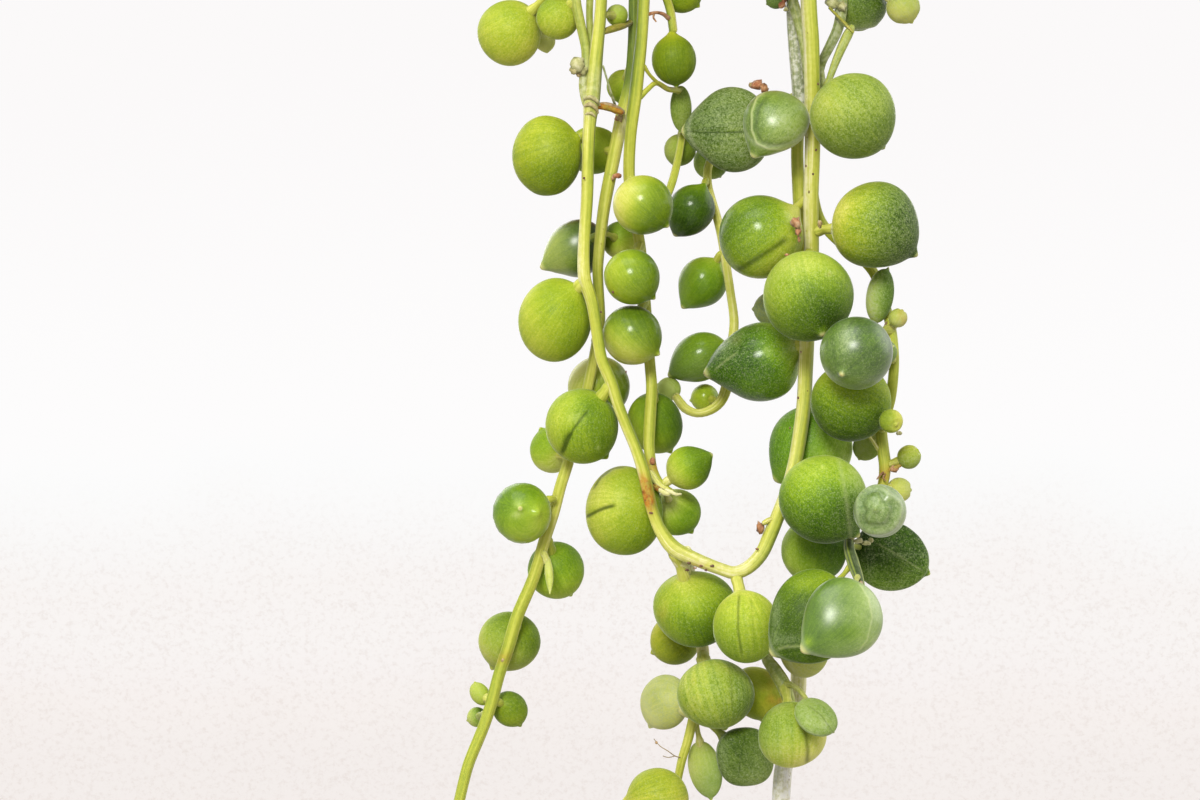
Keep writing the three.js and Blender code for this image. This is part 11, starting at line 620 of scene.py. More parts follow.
    [6,0,0,-26.52,-45.98,-192.68,2.47,1.01,1,0.24,-0.06,0.97,-0.07,0.03,-1,-0.42,-0.91,0,-26.94,-45.78,-198.63,0.59,0.32,60,0.15,0.8,0.35,0.08,0.06,0.07,0,0,0,0,0,0.2,0,1,1,0.36],
    [6,0,0,-27.76,-54.42,-192.97,3.34,1.08,1,0.75,-0.43,0.5,-0.37,0.7,-0.61,-0.92,-0.37,0.13,-30.49,-49.34,-197.42,0.59,0.32,39,0.17,0,0.66,0.37,0.1,0.12,0,0,0,0,0,0.16,2,1,1,0.42],
    [6,0,0,-40.75,-52.16,-197.99,3.25,1,1,-0.97,0.07,-0.23,0.98,-0.21,-0.07,0.01,0.36,-0.93,-34.11,-53.55,-198.46,0.59,0.32,88,0.2,0,0.52,0.22,0.1,0.12,0,0,0,0,0,0.12,0,1,1,0.47],
    [6,0,0,-40.62,-58.29,-200.55,2.43,1.13,1,-0.98,-0.18,-0.1,0.88,0.47,-0.05,-0.26,0.57,0.78,-35.32,-55.43,-200.84,0.59,0.32,67,0.15,0.5,0.58,0.26,0.16,0.19,0,0,0,0,0,0.08,0,1,1,0.52],
    [6,0,0,-31.42,-58.3,-204.79,1.97,1.06,1,0.92,-0.25,-0.3,-0.87,0.47,0.15,-0.1,0.14,-0.99,-35.33,-56.19,-204.1,0.59,0.32,25,0.21,0,0.64,0.42,0.22,0.26,0,0,0,0,0,0,1,1,1,0.41],
    [6,0,0,-40.14,-54.76,-208.74,3.09,1.02,1,-0.4,0.8,-0.46,0.9,-0.35,0.28,0.24,0.9,0.37,-35.29,-56.65,-207.24,0.59,0.32,74,0.13,0,0.46,0.23,0.06,0.07,0,0,0,0,0,0.36,0,1,1,0.46],
    [6,0,0,-31.18,-56.24,-212.5,1.93,1.01,1,0.93,0.23,-0.3,-0.95,-0.19,0.23,0.07,0.61,0.79,-35.12,-57.04,-211.54,0.59,0.32,53,0.18,0,0.63,0.39,0,0,0,0,0,0,0,0.32,0,1,1,0.51],
    [6,0,0,-33.67,-51.8,-216.38,2.77,1.05,1,0.38,0.92,-0.13,-0.23,-0.93,0.29,0.97,-0.21,0.08,-34.98,-57.19,-214.7,0.58,0.32,32,0.2,0,0.61,0.35,0.06,0.07,0,0,0,0,0,0.28,2,1,1,0.56],
    [6,0,0,-29.98,-55.88,-220.82,2.44,1.07,1,0.82,0.08,-0.57,-0.93,-0.25,0.26,0.36,-0.74,0.57,-34.89,-57.21,-219.47,0.57,0.32,81,0.19,0,0.74,0.47,0,0,0,0,0,0,0,0.24,0,1,1,0.61],
    [6,0,0,-32.14,-53.02,-225.2,2.57,1.1,1,0.31,0.85,-0.43,-0.59,-0.77,0.24,-0.03,-0.27,-0.96,-35.16,-56.92,-224,0.56,0.32,60,0.21,0.8,0.34,0.08,0.26,0.31,0,0,0,0,0,0.2,1,1,1,0.36],
    [6,0,0,-32.13,-60.15,-228.91,3.35,1.2,1,0.5,-0.77,-0.4,-0.64,0.68,0.36,0.66,0.72,-0.2,-35.53,-56.52,-227,0.56,0.32,39,0.15,0.8,0.71,0.42,0,0,0,0,0,0,0,0.16,2,1,1,0.42],
    [6,0,0,-39.16,-61.92,-231.46,3.38,1.12,1,-0.31,-0.74,-0.59,0.47,0.86,0.21,-0.88,0.43,0.19,-35.95,-56.03,-230,0.55,0.32,88,0.16,0,0.64,0.34,0.01,0.01,0,0,0,0,0,0.12,0,1,1,0.47],
    [6,0,0,-42.41,-56.8,-235.15,3.26,1.08,1,-0.99,-0.03,-0.15,0.97,0.24,0.11,0.26,-0.88,-0.39,-36.46,-55.35,-234.5,0.53,0.32,67,0.12,0,0.42,0.1,0.19,0.23,0,0,0,0,0,0.08,1,1,1,0.52],
    [6,0,0,-38.68,-50.21,-238.15,2.3,1.17,1,-0.48,0.8,-0.36,0.39,-0.91,0.12,-0.56,-0.13,0.82,-36.61,-55.03,-237.5,0.52,0.32,46,0.14,0.5,0.56,0.23,0.26,0.31,0,0,0,0,0,0.04,1,1,1,0.57],
    [6,0,0,-39.63,-58.09,-242.94,2.17,1.08,1,-0.79,-0.56,-0.24,0.64,0.75,0.2,0.77,-0.58,-0.27,-36.66,-54.61,-242,0.51,0.32,53,0.22,0.8,0.49,0.24,0.11,0.13,0,0,0,0,0,0.32,0,1,1,0.6],
    [6,0,0,-33.58,-58.41,-246.01,2.42,1.06,1,0.75,-0.58,-0.31,-0.59,0.78,0.2,-0.37,-0.48,0.79,-36.6,-54.39,-245,0.5,0.32,32,0.18,0.8,0.63,0.37,0.14,0.17,0,0,0,0,0,0.28,2,1,1,0.35],
    [6,0,0,-31.99,-51.68,-250.38,2.13,1.07,1,0.85,0.4,-0.34,-0.86,-0.49,0.17,0.19,-0.61,-0.77,-36.36,-54.16,-249.5,0.48,0.32,81,0.18,0.8,0.41,0.14,0.05,0.05,0,0,0,0,0,0.24,0,1,1,0.4],
    [6,0,0,-41.1,-53.66,-253.86,2,1.02,1,-0.92,0.1,-0.39,0.96,-0.09,0.26,0.08,1,0.03,-36.11,-54.12,-252.5,0.47,0.32,60,0.18,0.5,0.71,0.43,0.04,0.05,0,0,0,0,0,0.2,0,1,1,0.46],
    [6,0,0,-35.29,-58.95,-257.5,3.1,1.09,1,0.19,-0.98,-0.05,-0.05,0.99,0.1,0.91,0.09,-0.42,-35.51,-54.21,-257,0.45,0.32,39,0.15,0,0.6,0.3,0.1,0.11,0,0,0,0,0,0.16,2,1,1,0.51],
    [6,0,0,-37.38,-57.06,-262.32,2.03,1.03,1,-0.5,-0.74,-0.45,0.69,0.69,0.22,0.38,-0.6,0.7,-34.78,-54.43,-261.5,0.43,0.32,88,0.21,0,0.47,0.17,0,0,0,0,0,0,0,0.12,0,1,1,0.56],
    [6,0,0,-37.41,-52.02,-267.5,3.03,1.07,1,-0.53,0.58,-0.62,0.73,-0.59,0.33,0.67,0.57,-0.47,-34.1,-54.68,-266,0.41,0.32,67,0.1,0,0.44,0.13,0.1,0.12,0,0,0,0,0,0.08,0,1,1,0.61],
    [6,0,0,-37.82,-59.54,-271.74,2.57,1.03,1,-0.86,-0.36,-0.36,0.68,0.71,0.19,0.24,-0.46,0.86,-33.47,-54.98,-270.5,0.39,0.32,46,0.22,0.8,0.34,0.08,0,0,0,0,0,0,0,0.04,0,1,1,0.36],
    [6,0,0,-27.11,-53.95,-274.38,3.14,1.06,1,0.82,0.35,-0.45,-0.97,-0.2,0.14,0.21,-0.35,0.91,-33.05,-55.21,-273.5,0.38,0.32,25,0.14,0.8,0.42,0.2,0.13,0.16,0,0,0,0,0,0,2,1,1,0.41],
    [6,0,0,-32.73,-60.91,-277.01,2.25,1,1,0.22,-0.89,-0.41,0.01,1,0.09,0.99,0,-0.13,-32.69,-55.43,-276.5,0.37,0.32,74,0.15,0,0.72,0.49,0.06,0.07,0,0,0,0,0,0.36,0,1,1,0.46],
    [6,0,0,-31.53,-50.86,-282.57,3.27,1.08,1,-0.02,0.86,-0.5,-0.16,-0.94,0.3,0.8,-0.3,-0.52,-32.34,-55.69,-281,0.34,0.32,32,0.2,0.8,0.46,0.21,0.27,0.33,0,0,0,0,0,0.28,1,1,1,0.35],
    [6,0,0,-34.02,-61.72,-286.36,2.85,1,1,-0.62,-0.57,-0.54,0.27,0.95,0.14,0.88,-0.18,-0.45,-32.36,-55.8,-285.5,0.32,0.32,81,0.15,0,0.33,0.08,0.05,0.06,0,0,0,0,0,0.24,0,1,1,0.4],
    [6,0,0,-34.08,-51.03,-289.79,3.04,1.02,1,-0.5,0.73,-0.47,0.3,-0.92,0.25,0.55,0.38,0.74,-32.5,-55.82,-288.5,0.31,0.32,60,0.17,0,0.62,0.34,0.18,0.22,0,0,0,0,0,0.2,1,1,1,0.46],
    [6,0,0,-35.16,-59.41,-293.54,2.59,1.09,1,-0.18,-0.8,-0.57,0.55,0.83,0.12,-0.42,0.15,0.89,-32.8,-55.83,-293,0.28,0.32,39,0.11,0,0.46,0.17,0.17,0.2,0,0,0,0,0,0.16,2,1,1,0.51],
    [7,0,0,11.97,-33.81,-204.73,1.62,1.01,1,-0.81,-0.57,-0.11,0.9,0.16,-0.41,0.43,-0.5,0.75,15.1,-33.23,-206.16,0.62,0.32,88,0.12,0.8,0.52,0.21,0,0,0,0,0,0,0,0.12,0,1,1,0.56],
    [7,0,0,24.27,-38.42,-205,2.65,1.06,1,0.83,0,-0.55,-0.83,-0.19,0.52,-0.48,0.73,-0.49,20.68,-39.24,-202.74,0.62,0.32,67,0.16,0,0.52,0.2,0,0,0,0,0,0,0,0.08,0,1,1,0.61],
    [7,0,0,24.91,-43.4,-205.59,2.2,1.02,1,0.09,-0.35,-0.93,-0.42,0.38,0.82,-0.18,-0.92,0.33,22.68,-41.38,-201.22,0.62,0.32,46,0.11,0.8,0.57,0.24,0.02,0.02,0,0,0,0,0,0.04,0,1,1,0.36],
    [7,0,0,27.71,-45.62,-203.04,1.95,1.01,1,0.42,-0.32,-0.85,-0.42,0.25,0.87,0.81,0.54,0.24,25.86,-44.53,-199.2,0.62,0.32,25,0.12,0.5,0.58,0.36,0.18,0.22,0,0,0,0,0,0,1,1,1,0.41],
    [7,0,0,33.09,-45.29,-196.17,2.28,1.04,1,1,-0.06,0,-0.73,-0.58,-0.36,0.42,-0.79,0.44,30.04,-47.73,-197.67,0.62,0.32,74,0.19,0.5,0.37,0.14,0.07,0.08,0,0,0,0,0,0.36,0,1,1,0.46],
    [7,0,0,37.52,-52.53,-194.77,2.09,1.02,1,0.72,-0.4,0.57,-0.79,0.17,-0.58,-0.61,-0.16,0.78,33.46,-51.67,-197.75,0.62,0.32,53,0.11,0,0.49,0.25,0.09,0.11,0,0,0,0,0,0.32,0,1,1,0.51],
    [7,0,0,34.17,-60.34,-197.96,2.66,1.01,1,-0.09,-0.76,0.64,0.12,0.95,-0.29,0.99,-0.13,-0.03,34.85,-54.86,-199.6,0.62,0.32,81,0.17,0,0.54,0.27,0.04,0.05,0,0,0,0,0,0.24,0,1,1,0.4],
    [7,0,0,40.81,-58.66,-204.36,2.74,1.09,1,0.97,-0.2,-0.11,-0.85,0.53,0.04,0.42,0.62,0.66,36.11,-55.73,-204.12,0.62,0.32,60,0.14,0,0.47,0.19,0.04,0.05,0,0,0,0,0,0.2,0,1,1,0.46],
    [7,0,0,37.95,-60.15,-209.31,2.72,1.01,1,-0.02,-0.91,-0.4,-0.42,0.9,0.12,0.77,0.29,0.56,36.1,-56.16,-208.79,0.62,0.32,39,0.21,0,0.46,0.17,0.06,0.07,0,0,0,0,0,0.16,2,1,1,0.51],
    [7,0,0,32.5,-60.44,-213.65,2.36,1.11,1,-0.57,-0.82,-0.01,0.58,0.81,0,-0.18,0.12,0.98,35.23,-56.61,-213.64,0.61,0.32,88,0.13,0.5,0.56,0.26,0.19,0.22,0,0,0,0,0,0.12,1,1,1,0.56],
    [7,0,0,39.51,-59.81,-220.16,2.15,1.05,1,0.65,-0.64,-0.42,-0.84,0.48,0.24,0.44,0.36,0.82,34.35,-56.86,-218.71,0.6,0.32,67,0.19,0.8,0.55,0.23,0.12,0.14,0,0,0,0,0,0.08,0,1,1,0.61],
    [7,0,0,29.33,-54.12,-223.02,3.33,1.01,1,-0.78,0.6,-0.19,0.85,-0.48,0.19,-0.23,-0.69,-0.69,34.12,-56.82,-221.92,0.6,0.32,46,0.11,0,0.52,0.19,0.03,0.03,0,0,0,0,0,0.04,0,1,1,0.36],
    [7,0,0,38.48,-55.59,-225.75,2.87,1.03,1,0.82,0.17,-0.55,-0.96,-0.22,0.14,-0.14,-0.01,-0.99,34.08,-56.59,-225.11,0.59,0.32,25,0.14,0.8,0.65,0.43,0.18,0.22,0,0,0,0,0,0,1,1,1,0.41],
    [7,0,0,34.37,-51.46,-228.87,2.26,1.09,1,0.3,0.92,-0.26,-0.05,-0.99,0.12,-0.53,-0.08,-0.84,34.15,-56.25,-228.3,0.58,0.32,74,0.19,0,0.54,0.31,0,0,0,0,0,0,0,0.36,0,1,1,0.46],
    [7,0,0,35.2,-61.59,-234.61,2.18,1.05,1,0.32,-0.88,-0.34,-0.13,0.96,0.25,-0.95,-0.19,0.25,34.41,-55.65,-233.08,0.56,0.32,53,0.15,0.5,0.39,0.15,0.3,0.36,0,0,0,0,0,0.32,1,1,1,0.51],
    [7,0,0,37,-51.71,-236.52,2.67,1.04,1,0.7,0.7,-0.13,-0.55,-0.83,0.06,-0.82,0.53,-0.21,34.66,-55.27,-236.26,0.55,0.32,32,0.14,0.5,0.53,0.27,0,0,0,0,0,0,0,0.28,2,1,1,0.56],
    [7,0,0,32.46,-48.64,-242.29,2.82,1.13,1,-0.26,0.89,-0.36,0.42,-0.89,0.19,0.07,0.24,0.97,35.25,-54.59,-241.04,0.53,0.32,60,0.13,0.8,0.45,0.17,0.13,0.15,0,0,0,0,0,0.2,0,1,1,0.46],
    [7,0,0,34.75,-59.6,-247.59,2.29,1.08,1,-0.38,-0.84,-0.39,0.19,0.94,0.29,0.5,-0.35,0.79,35.91,-53.92,-245.81,0.52,0.32,39,0.19,0,0.82,0.53,0.07,0.08,0,0,0,0,0,0.16,2,1,1,0.51],
    [7,0,0,42.19,-53.07,-251.06,2.37,1.03,1,0.93,0.21,-0.31,-0.99,-0.07,0.08,-0.1,0.51,-0.86,36.4,-53.46,-250.59,0.5,0.32,88,0.18,0.8,0.63,0.33,0,0,0,0,0,0,0,0.12,0,1,1,0.56],
    [7,0,0,40.51,-56.09,-255.97,2.67,1.01,1,0.8,-0.5,-0.33,-0.78,0.62,0.13,-0.58,-0.78,0.24,36.81,-53.15,-255.37,0.47,0.32,67,0.16,0,0.49,0.17,0.07,0.08,0,0,0,0,0,0.08,0,1,1,0.61],
    [7,0,0,36.34,-49.2,-259.6,1.9,1.11,1,0.06,0.94,-0.34,0.17,-0.95,0.26,-0.58,-0.31,-0.75,37.01,-53.04,-258.55,0.46,0.32,46,0.11,0.5,0.74,0.41,0.1,0.12,0,0,0,0,0,0.04,0,1,1,0.36],
    [7,0,0,31.51,-56.22,-263.21,2.91,1.03,1,-0.65,-0.51,-0.56,0.85,0.48,0.22,0.11,0.25,-0.96,37.11,-53.01,-261.74,0.44,0.32,25,0.12,0,0.57,0.35,0,0,0,0,0,0,0,0,2,1,1,0.41],
    [7,0,0,40.32,-55.26,-265.55,2.07,1.04,1,0.77,-0.48,-0.42,-0.82,0.55,0.16,-0.56,-0.83,-0.04,37.08,-53.11,-264.93,0.43,0.32,74,0.15,0,0.32,0.09,0,0,0,0,0,0,0,0.36,0,1,1,0.46],
    [7,0,0,30.45,-53.06,-270.95,3.17,1.01,1,-0.73,0.26,-0.64,0.98,-0.07,0.19,-0.15,0.41,0.9,36.8,-53.49,-269.71,0.41,0.32,53,0.13,0.5,0.69,0.45,0.14,0.17,0,0,0,0,0,0.32,0,1,1,0.51],
    [7,0,0,40.48,-49.34,-275.25,3.38,1.01,1,0.34,0.4,-0.85,-0.62,-0.7,0.37,0.19,0.32,0.93,36.51,-53.84,-272.89,0.39,0.32,32,0.21,0,0.47,0.22,0.13,0.15,0,0,0,0,0,0.28,2,1,1,0.56],
    [7,0,0,40.85,-58.75,-277.12,3.24,1.04,1,0.15,-0.98,-0.11,-0.71,0.69,0.16,-0.39,-0.56,0.73,36.18,-54.2,-276.08,0.37,0.32,81,0.15,0.5,0.79,0.52,0.04,0.05,0,0,0,0,0,0.24,0,1,1,0.61],
    [7,0,0,39.92,-52.13,-280.99,2.17,1.03,1,0.79,0.55,-0.28,-0.81,-0.48,0.34,-0.46,0.14,-0.88,35.85,-54.53,-279.26,0.35,0.32,39,0.21,0,0.49,0.19,0,0,0,0,0,0,0,0.16,2,1,1,0.51],
    [7,0,0,33.2,-59.81,-282.63,2.35,1.05,1,0.16,-0.93,-0.33,0.42,0.91,0.03,-0.81,0.36,0.46,35.47,-54.88,-282.45,0.34,0.32,88,0.15,0.8,0.61,0.3,0.2,0.24,0,0,0,0,0,0.12,1,1,1,0.56],
    [7,0,0,29,-54.45,-288.14,2.37,1.05,1,-0.99,0.06,-0.16,0.97,-0.16,0.15,-0.12,0.2,0.97,34.84,-55.41,-287.22,0.31,0.32,67,0.17,0.8,0.46,0.14,0,0,0,0,0,0,0,0.08,0,1,1,0.61],
    [8,0,0,36.06,-21,-203.1,1.86,1.09,1,0.97,0.22,-0.06,-0.82,-0.5,-0.27,-0.55,0.58,0.6,31.34,-23.84,-204.66,0.58,0.32,46,0.12,0,0.4,0.08,0.09,0.11,0,0,0,0,0,0.04,0,1,1,0.36],
    [8,0,0,30.33,-29.27,-199.14,2.79,1.04,1,-0.84,-0.28,0.46,0.56,0.42,-0.71,-0.55,-0.45,-0.7,33.67,-26.74,-203.4,0.58,0.32,25,0.13,0.5,0.55,0.33,0.17,0.21,0,0,0,0,0,0,1,1,1,0.41],
    [8,0,0,40.66,-26.71,-203.07,2.32,1.04,1,0.63,0.71,-0.31,-0.9,-0.39,0.19,0.34,-0.91,-0.22,35.44,-28.94,-201.99,0.58,0.32,74,0.15,0.5,0.54,0.31,0.09,0.11,0,0,0,0,0,0.36,0,1,1,0.46],
    [8,0,0,36.94,-34.31,-203.6,2.49,1.05,1,0.18,-0.58,-0.79,0.07,0.7,0.71,0.4,0.63,-0.66,37.27,-31.24,-200.47,0.58,0.32,53,0.19,0,0.6,0.35,0.14,0.17,0,0,0,0,0,0.32,0,1,1,0.51],
    [8,0,0,35.43,-38.17,-200.26,2.59,1.04,1,-0.66,-0.67,-0.34,0.61,0.77,0.18,0.57,-0.59,0.57,39.03,-33.6,-199.2,0.58,0.32,32,0.18,0.8,0.57,0.31,0.04,0.04,0,0,0,0,0,0.28,2,1,1,0.56],
    [8,0,0,42.64,-35.55,-194.9,2.15,1.05,1,0.6,-0.32,0.73,-0.47,-0.24,-0.85,-0.31,-0.86,0.41,40.87,-36.46,-198.1,0.58,0.32,81,0.18,0.5,0.51,0.24,0,0,0,0,0,0,0,0.24,0,1,1,0.61],
    [8,0,0,47.99,-37.89,-192.66,3.31,1.05,1,0.58,0.26,0.77,-0.73,-0.19,-0.65,0.37,-0.92,-0.15,42.64,-39.31,-197.42,0.58,0.32,60,0.19,0,0.6,0.32,0.07,0.09,0,0,0,0,0,0.2,0,1,1,0.36],
    [8,0,0,43.96,-46.43,-194.7,2.57,1,1,-0.37,-0.86,0.34,0.16,0.8,-0.58,0.5,-0.57,-0.65,44.79,-42.23,-197.74,0.58,0.32,88,0.16,0,0.57,0.27,0.01,0.01,0,0,0,0,0,0.12,0,1,1,0.56],
    [8,0,0,47.21,-49.42,-198.58,2.31,1.07,1,0.11,-0.99,-0.02,-0.03,0.98,-0.22,0.99,-0.01,-0.17,47.09,-44.8,-199.6,0.58,0.32,67,0.12,0.8,0.39,0.08,0.09,0.1,0,0,0,0,0,0.08,0,1,1,0.61],
    [8,0,0,45.14,-48.12,-205.72,2.91,1.08,1,-0.39,-0.77,-0.5,0.73,0.59,0.35,0.62,-0.78,0.02,48.48,-45.42,-204.1,0.58,0.32,46,0.14,0,0.57,0.24,0.03,0.03,0,0,0,0,0,0.04,0,1,1,0.36],
    [8,0,0,53.34,-42.31,-209.76,3.37,1.04,1,0.7,0.49,-0.52,-0.81,-0.55,0.2,0.14,0.14,0.98,48.77,-45.43,-208.64,0.57,0.32,25,0.21,0.8,0.54,0.32,0,0,0,0,0,0,0,0,2,1,1,0.41],
    [8,0,0,44.81,-46.24,-213.74,1.93,1.01,1,-0.68,-0.59,-0.43,0.96,0.25,0.13,-0.13,0.79,-0.59,48.42,-45.28,-213.25,0.57,0.32,74,0.11,0,0.58,0.35,0,0,0,0,0,0,0,0.36,0,1,1,0.46],
    [8,0,0,54.48,-46.02,-219.58,3.36,1.03,1,0.47,-0.42,-0.78,-0.97,0.15,0.21,-0.23,-0.1,-0.97,47.98,-44.99,-218.16,0.56,0.32,53,0.18,0,0.55,0.31,0.03,0.04,0,0,0,0,0,0.32,0,1,1,0.51],
    [8,0,0,43.82,-43,-223.96,2.42,1.04,1,-0.85,0.11,-0.52,0.9,-0.35,0.24,0.43,0.77,-0.48,47.9,-44.58,-222.87,0.55,0.32,32,0.19,0.8,0.44,0.18,0,0,0,0,0,0,0,0.28,2,1,1,0.56],
    [8,0,0,44.98,-46.96,-229.1,3.09,1.08,1,-0.48,-0.65,-0.59,0.68,0.64,0.35,0.2,-0.62,0.76,48.2,-43.94,-227.47,0.54,0.32,81,0.14,0,0.57,0.3,0.3,0.36,0,0,0,0,0,0.24,1,1,1,0.61],
    [8,0,0,46.35,-39.49,-231.34,2.62,1.07,1,-0.04,0.55,-0.84,0.46,-0.87,0.18,0.78,0.3,-0.55,48.47,-43.47,-230.53,0.53,0.32,60,0.18,0,0.44,0.16,0,0,0,0,0,0,0,0.2,0,1,1,0.36],
    [8,0,0,52.89,-41.17,-235.56,2.54,1.05,1,0.8,0.46,-0.38,-0.92,-0.39,0.1,-0.39,0.82,-0.41,48.82,-42.9,-235.13,0.52,0.32,39,0.18,0,0.45,0.16,0.02,0.03,0,0,0,0,0,0.16,2,1,1,0.42],
    [8,0,0,52.69,-38.53,-240.76,2.51,1.05,1,0.62,0.52,-0.59,-0.66,-0.73,0.18,-0.61,0.37,-0.7,48.95,-42.68,-239.73,0.51,0.32,67,0.17,0,0.75,0.43,0,0,0,0,0,0,0,0.08,0,1,1,0.61],
    [8,0,0,45.42,-47.24,-245.4,2.13,1.07,1,-0.25,-0.79,-0.55,0.6,0.78,0.18,-0.38,0.08,0.92,48.97,-42.69,-244.33,0.49,0.32,46,0.17,0.5,0.55,0.22,0.04,0.04,0,0,0,0,0,0.04,0,1,1,0.36],
    [8,0,0,52.04,-47.77,-249.67,1.99,1.13,1,0.49,-0.87,0.03,-0.54,0.83,0.13,-0.55,-0.46,0.7,48.88,-42.89,-248.94,0.47,0.32,25,0.16,0,0.7,0.48,0.09,0.11,0,0,0,0,0,0,2,1,1,0.41],
    [8,0,0,46.29,-47.28,-253.95,2.63,1.03,1,-0.28,-0.84,-0.46,0.51,0.86,0.09,-0.85,0.52,-0.14,48.69,-43.24,-253.54,0.46,0.32,74,0.14,0.5,0.43,0.2,0.09,0.11,0,0,0,0,0,0.36,0,1,1,0.46],
    [8,0,0,49.53,-38.02,-258.96,3.11,1.01,1,0.15,0.76,-0.63,-0.17,-0.91,0.38,-0.74,-0.14,-0.66,48.47,-43.62,-256.61,0.45,0.32,53,0.18,0,0.72,0.47,0.06,0.07,0,0,0,0,0,0.32,0,1,1,0.51],
    [8,0,0,43.3,-41.49,-262.86,2.46,1.12,1,-0.72,-0.11,-0.68,0.82,-0.49,0.29,-0.39,-0.11,0.92,48.05,-44.32,-261.2,0.43,0.32,32,0.18,0,0.39,0.13,0.12,0.15,0,0,0,0,0,0.28,2,1,1,0.56],
    [8,0,0,42.58,-46.23,-266.59,2.18,1.08,1,-0.8,-0.2,-0.56,0.96,0.23,0.15,-0.28,0.81,0.52,47.64,-45,-265.8,0.41,0.32,81,0.12,0.5,0.32,0.08,0.02,0.02,0,0,0,0,0,0.24,0,1,1,0.61],
    [8,0,0,43.87,-46.26,-270.97,1.64,1.02,1,-0.86,-0.17,-0.49,0.97,0.2,0.16,-0.07,0.81,-0.58,47.3,-45.55,-270.4,0.39,0.32,60,0.13,0.5,0.48,0.2,0.16,0.19,0,0,0,0,0,0.2,0,1,1,0.36],
    [8,0,0,50.93,-43.45,-274.96,2.44,1.03,1,0.85,0.42,-0.33,-0.8,-0.51,0.31,-0.5,0.28,-0.82,47.06,-45.91,-273.46,0.38,0.32,39,0.11,0,0.56,0.26,0.12,0.15,0,0,0,0,0,0.16,2,1,1,0.42],
    [8,0,0,45.87,-41.55,-279.75,2.81,1.05,1,-0.4,0.76,-0.51,0.17,-0.93,0.33,0.62,0.36,0.69,46.76,-46.36,-278.06,0.36,0.32,88,0.19,0.8,0.46,0.15,0,0,0,0,0,0,0,0.12,0,1,1,0.47],
    [8,0,0,47.87,-50.48,-281.68,1.95,1.14,1,0.31,-0.95,0.03,-0.3,0.95,0.13,-0.57,-0.06,-0.82,46.64,-46.54,-281.13,0.34,0.32,46,0.1,0.5,0.43,0.11,0.07,0.08,0,0,0,0,0,0.04,0,1,1,0.36],
    [8,0,0,50.97,-46.25,-286.37,2.68,1.1,1,0.83,-0.4,-0.39,-0.99,-0.06,0.14,-0.13,-0.23,-0.96,46.62,-46.54,-285.73,0.32,0.32,25,0.14,0.5,0.74,0.52,0,0,0,0,0,0,0,0,2,1,1,0.41],
    [8,0,0,46.98,-49.9,-289.61,2.01,1.01,1,0.3,-0.9,-0.31,-0.07,0.97,0.22,0.87,0.17,-0.47,46.71,-46.37,-288.8,0.31,0.32,74,0.14,0.5,0.42,0.19,0.11,0.13,0,0,0,0,0,0.36,0,1,1,0.46],
    [8,0,0,47.58,-52,-294.86,2.5,1.03,1,0.1,-0.87,-0.48,-0.1,0.97,0.23,0.74,-0.08,0.66,46.93,-45.98,-293.4,0.28,0.32,53,0.22,0.5,0.56,0.31,0.08,0.1,0,0,0,0,0,0.32,0,1,1,0.51],
    [9,0,0,33.48,-5.67,-203.98,2.2,1.02,1,-0.49,0.87,-0.02,0.41,-0.77,-0.49,0.52,-0.24,0.82,35.34,-9.14,-206.16,0.61,0.32,32,0.15,0,0.4,0.14,0.05,0.06,0,0,0,0,0,0.28,2,1,1,0.56],
    [9,0,0,41.64,-6.05,-203.58,1.66,1.01,1,-0.12,0.89,-0.44,-0.39,-0.92,-0.11,-0.02,0.13,-0.99,39.95,-10.05,-204.08,0.61,0.32,81,0.11,0,0.53,0.26,0.03,0.04,0,0,0,0,0,0.24,0,1,1,0.61],
    [9,0,0,47.09,-9.46,-205.1,2.4,1.02,1,0.57,0.27,-0.78,-0.61,-0.34,0.71,-0.51,-0.52,-0.68,44.43,-10.94,-201.99,0.61,0.32,60,0.18,0.8,0.69,0.41,0.09,0.11,0,0,0,0,0,0.2,0,1,1,0.36],
    [9,0,0,45.83,-14.13,-195.65,2.05,1.08,1,-0.29,-0.55,0.78,0.25,0.47,-0.85,0.95,0.07,0.32,47.24,-11.49,-200.47,0.61,0.32,39,0.21,0,0.5,0.21,0,0,0,0,0,0,0,0.16,2,1,1,0.42],
    [9,0,0,53.92,-7.51,-199.42,2.69,1.12,1,0.47,0.76,-0.44,-0.42,-0.9,0.15,-0.9,0.43,0.05,51.68,-12.29,-198.63,0.61,0.32,88,0.16,0,0.52,0.22,0.14,0.17,0,0,0,0,0,0.12,0,1,1,0.47],
    [9,0,0,56.17,-9.93,-193.82,2.23,1.03,1,-0.58,0.55,0.6,-0.25,-0.57,-0.78,0.49,0.62,-0.61,54.95,-12.78,-197.68,0.61,0.32,67,0.17,0,0.59,0.27,0.19,0.23,0,0,0,0,0,0.08,1,1,1,0.52],
    [9,0,0,62.35,-17.66,-193.27,2.2,1.03,1,0.5,-0.29,0.81,-0.39,0.58,-0.72,0.81,0.58,0.03,59.94,-14.04,-197.74,0.61,0.32,25,0.1,0.5,0.47,0.25,0.16,0.19,0,0,0,0,0,0,2,1,1,0.41],
    [9,0,0,62.63,-13.34,-202.17,1.54,1.04,1,-0.24,0.52,-0.82,0.17,-0.59,0.79,-0.93,-0.37,-0.07,63.18,-15.25,-199.6,0.61,0.32,74,0.12,0.8,0.59,0.36,0.18,0.22,0,0,0,0,0,0.36,1,1,1,0.46],
    [9,0,0,68.3,-11.41,-204.38,3.1,1.06,1,0.66,0.73,-0.2,-0.69,-0.72,0.04,0.49,-0.51,-0.7,64.69,-15.2,-204.15,0.61,0.32,53,0.2,0,0.55,0.31,0.16,0.2,0,0,0,0,0,0.32,0,1,1,0.51],
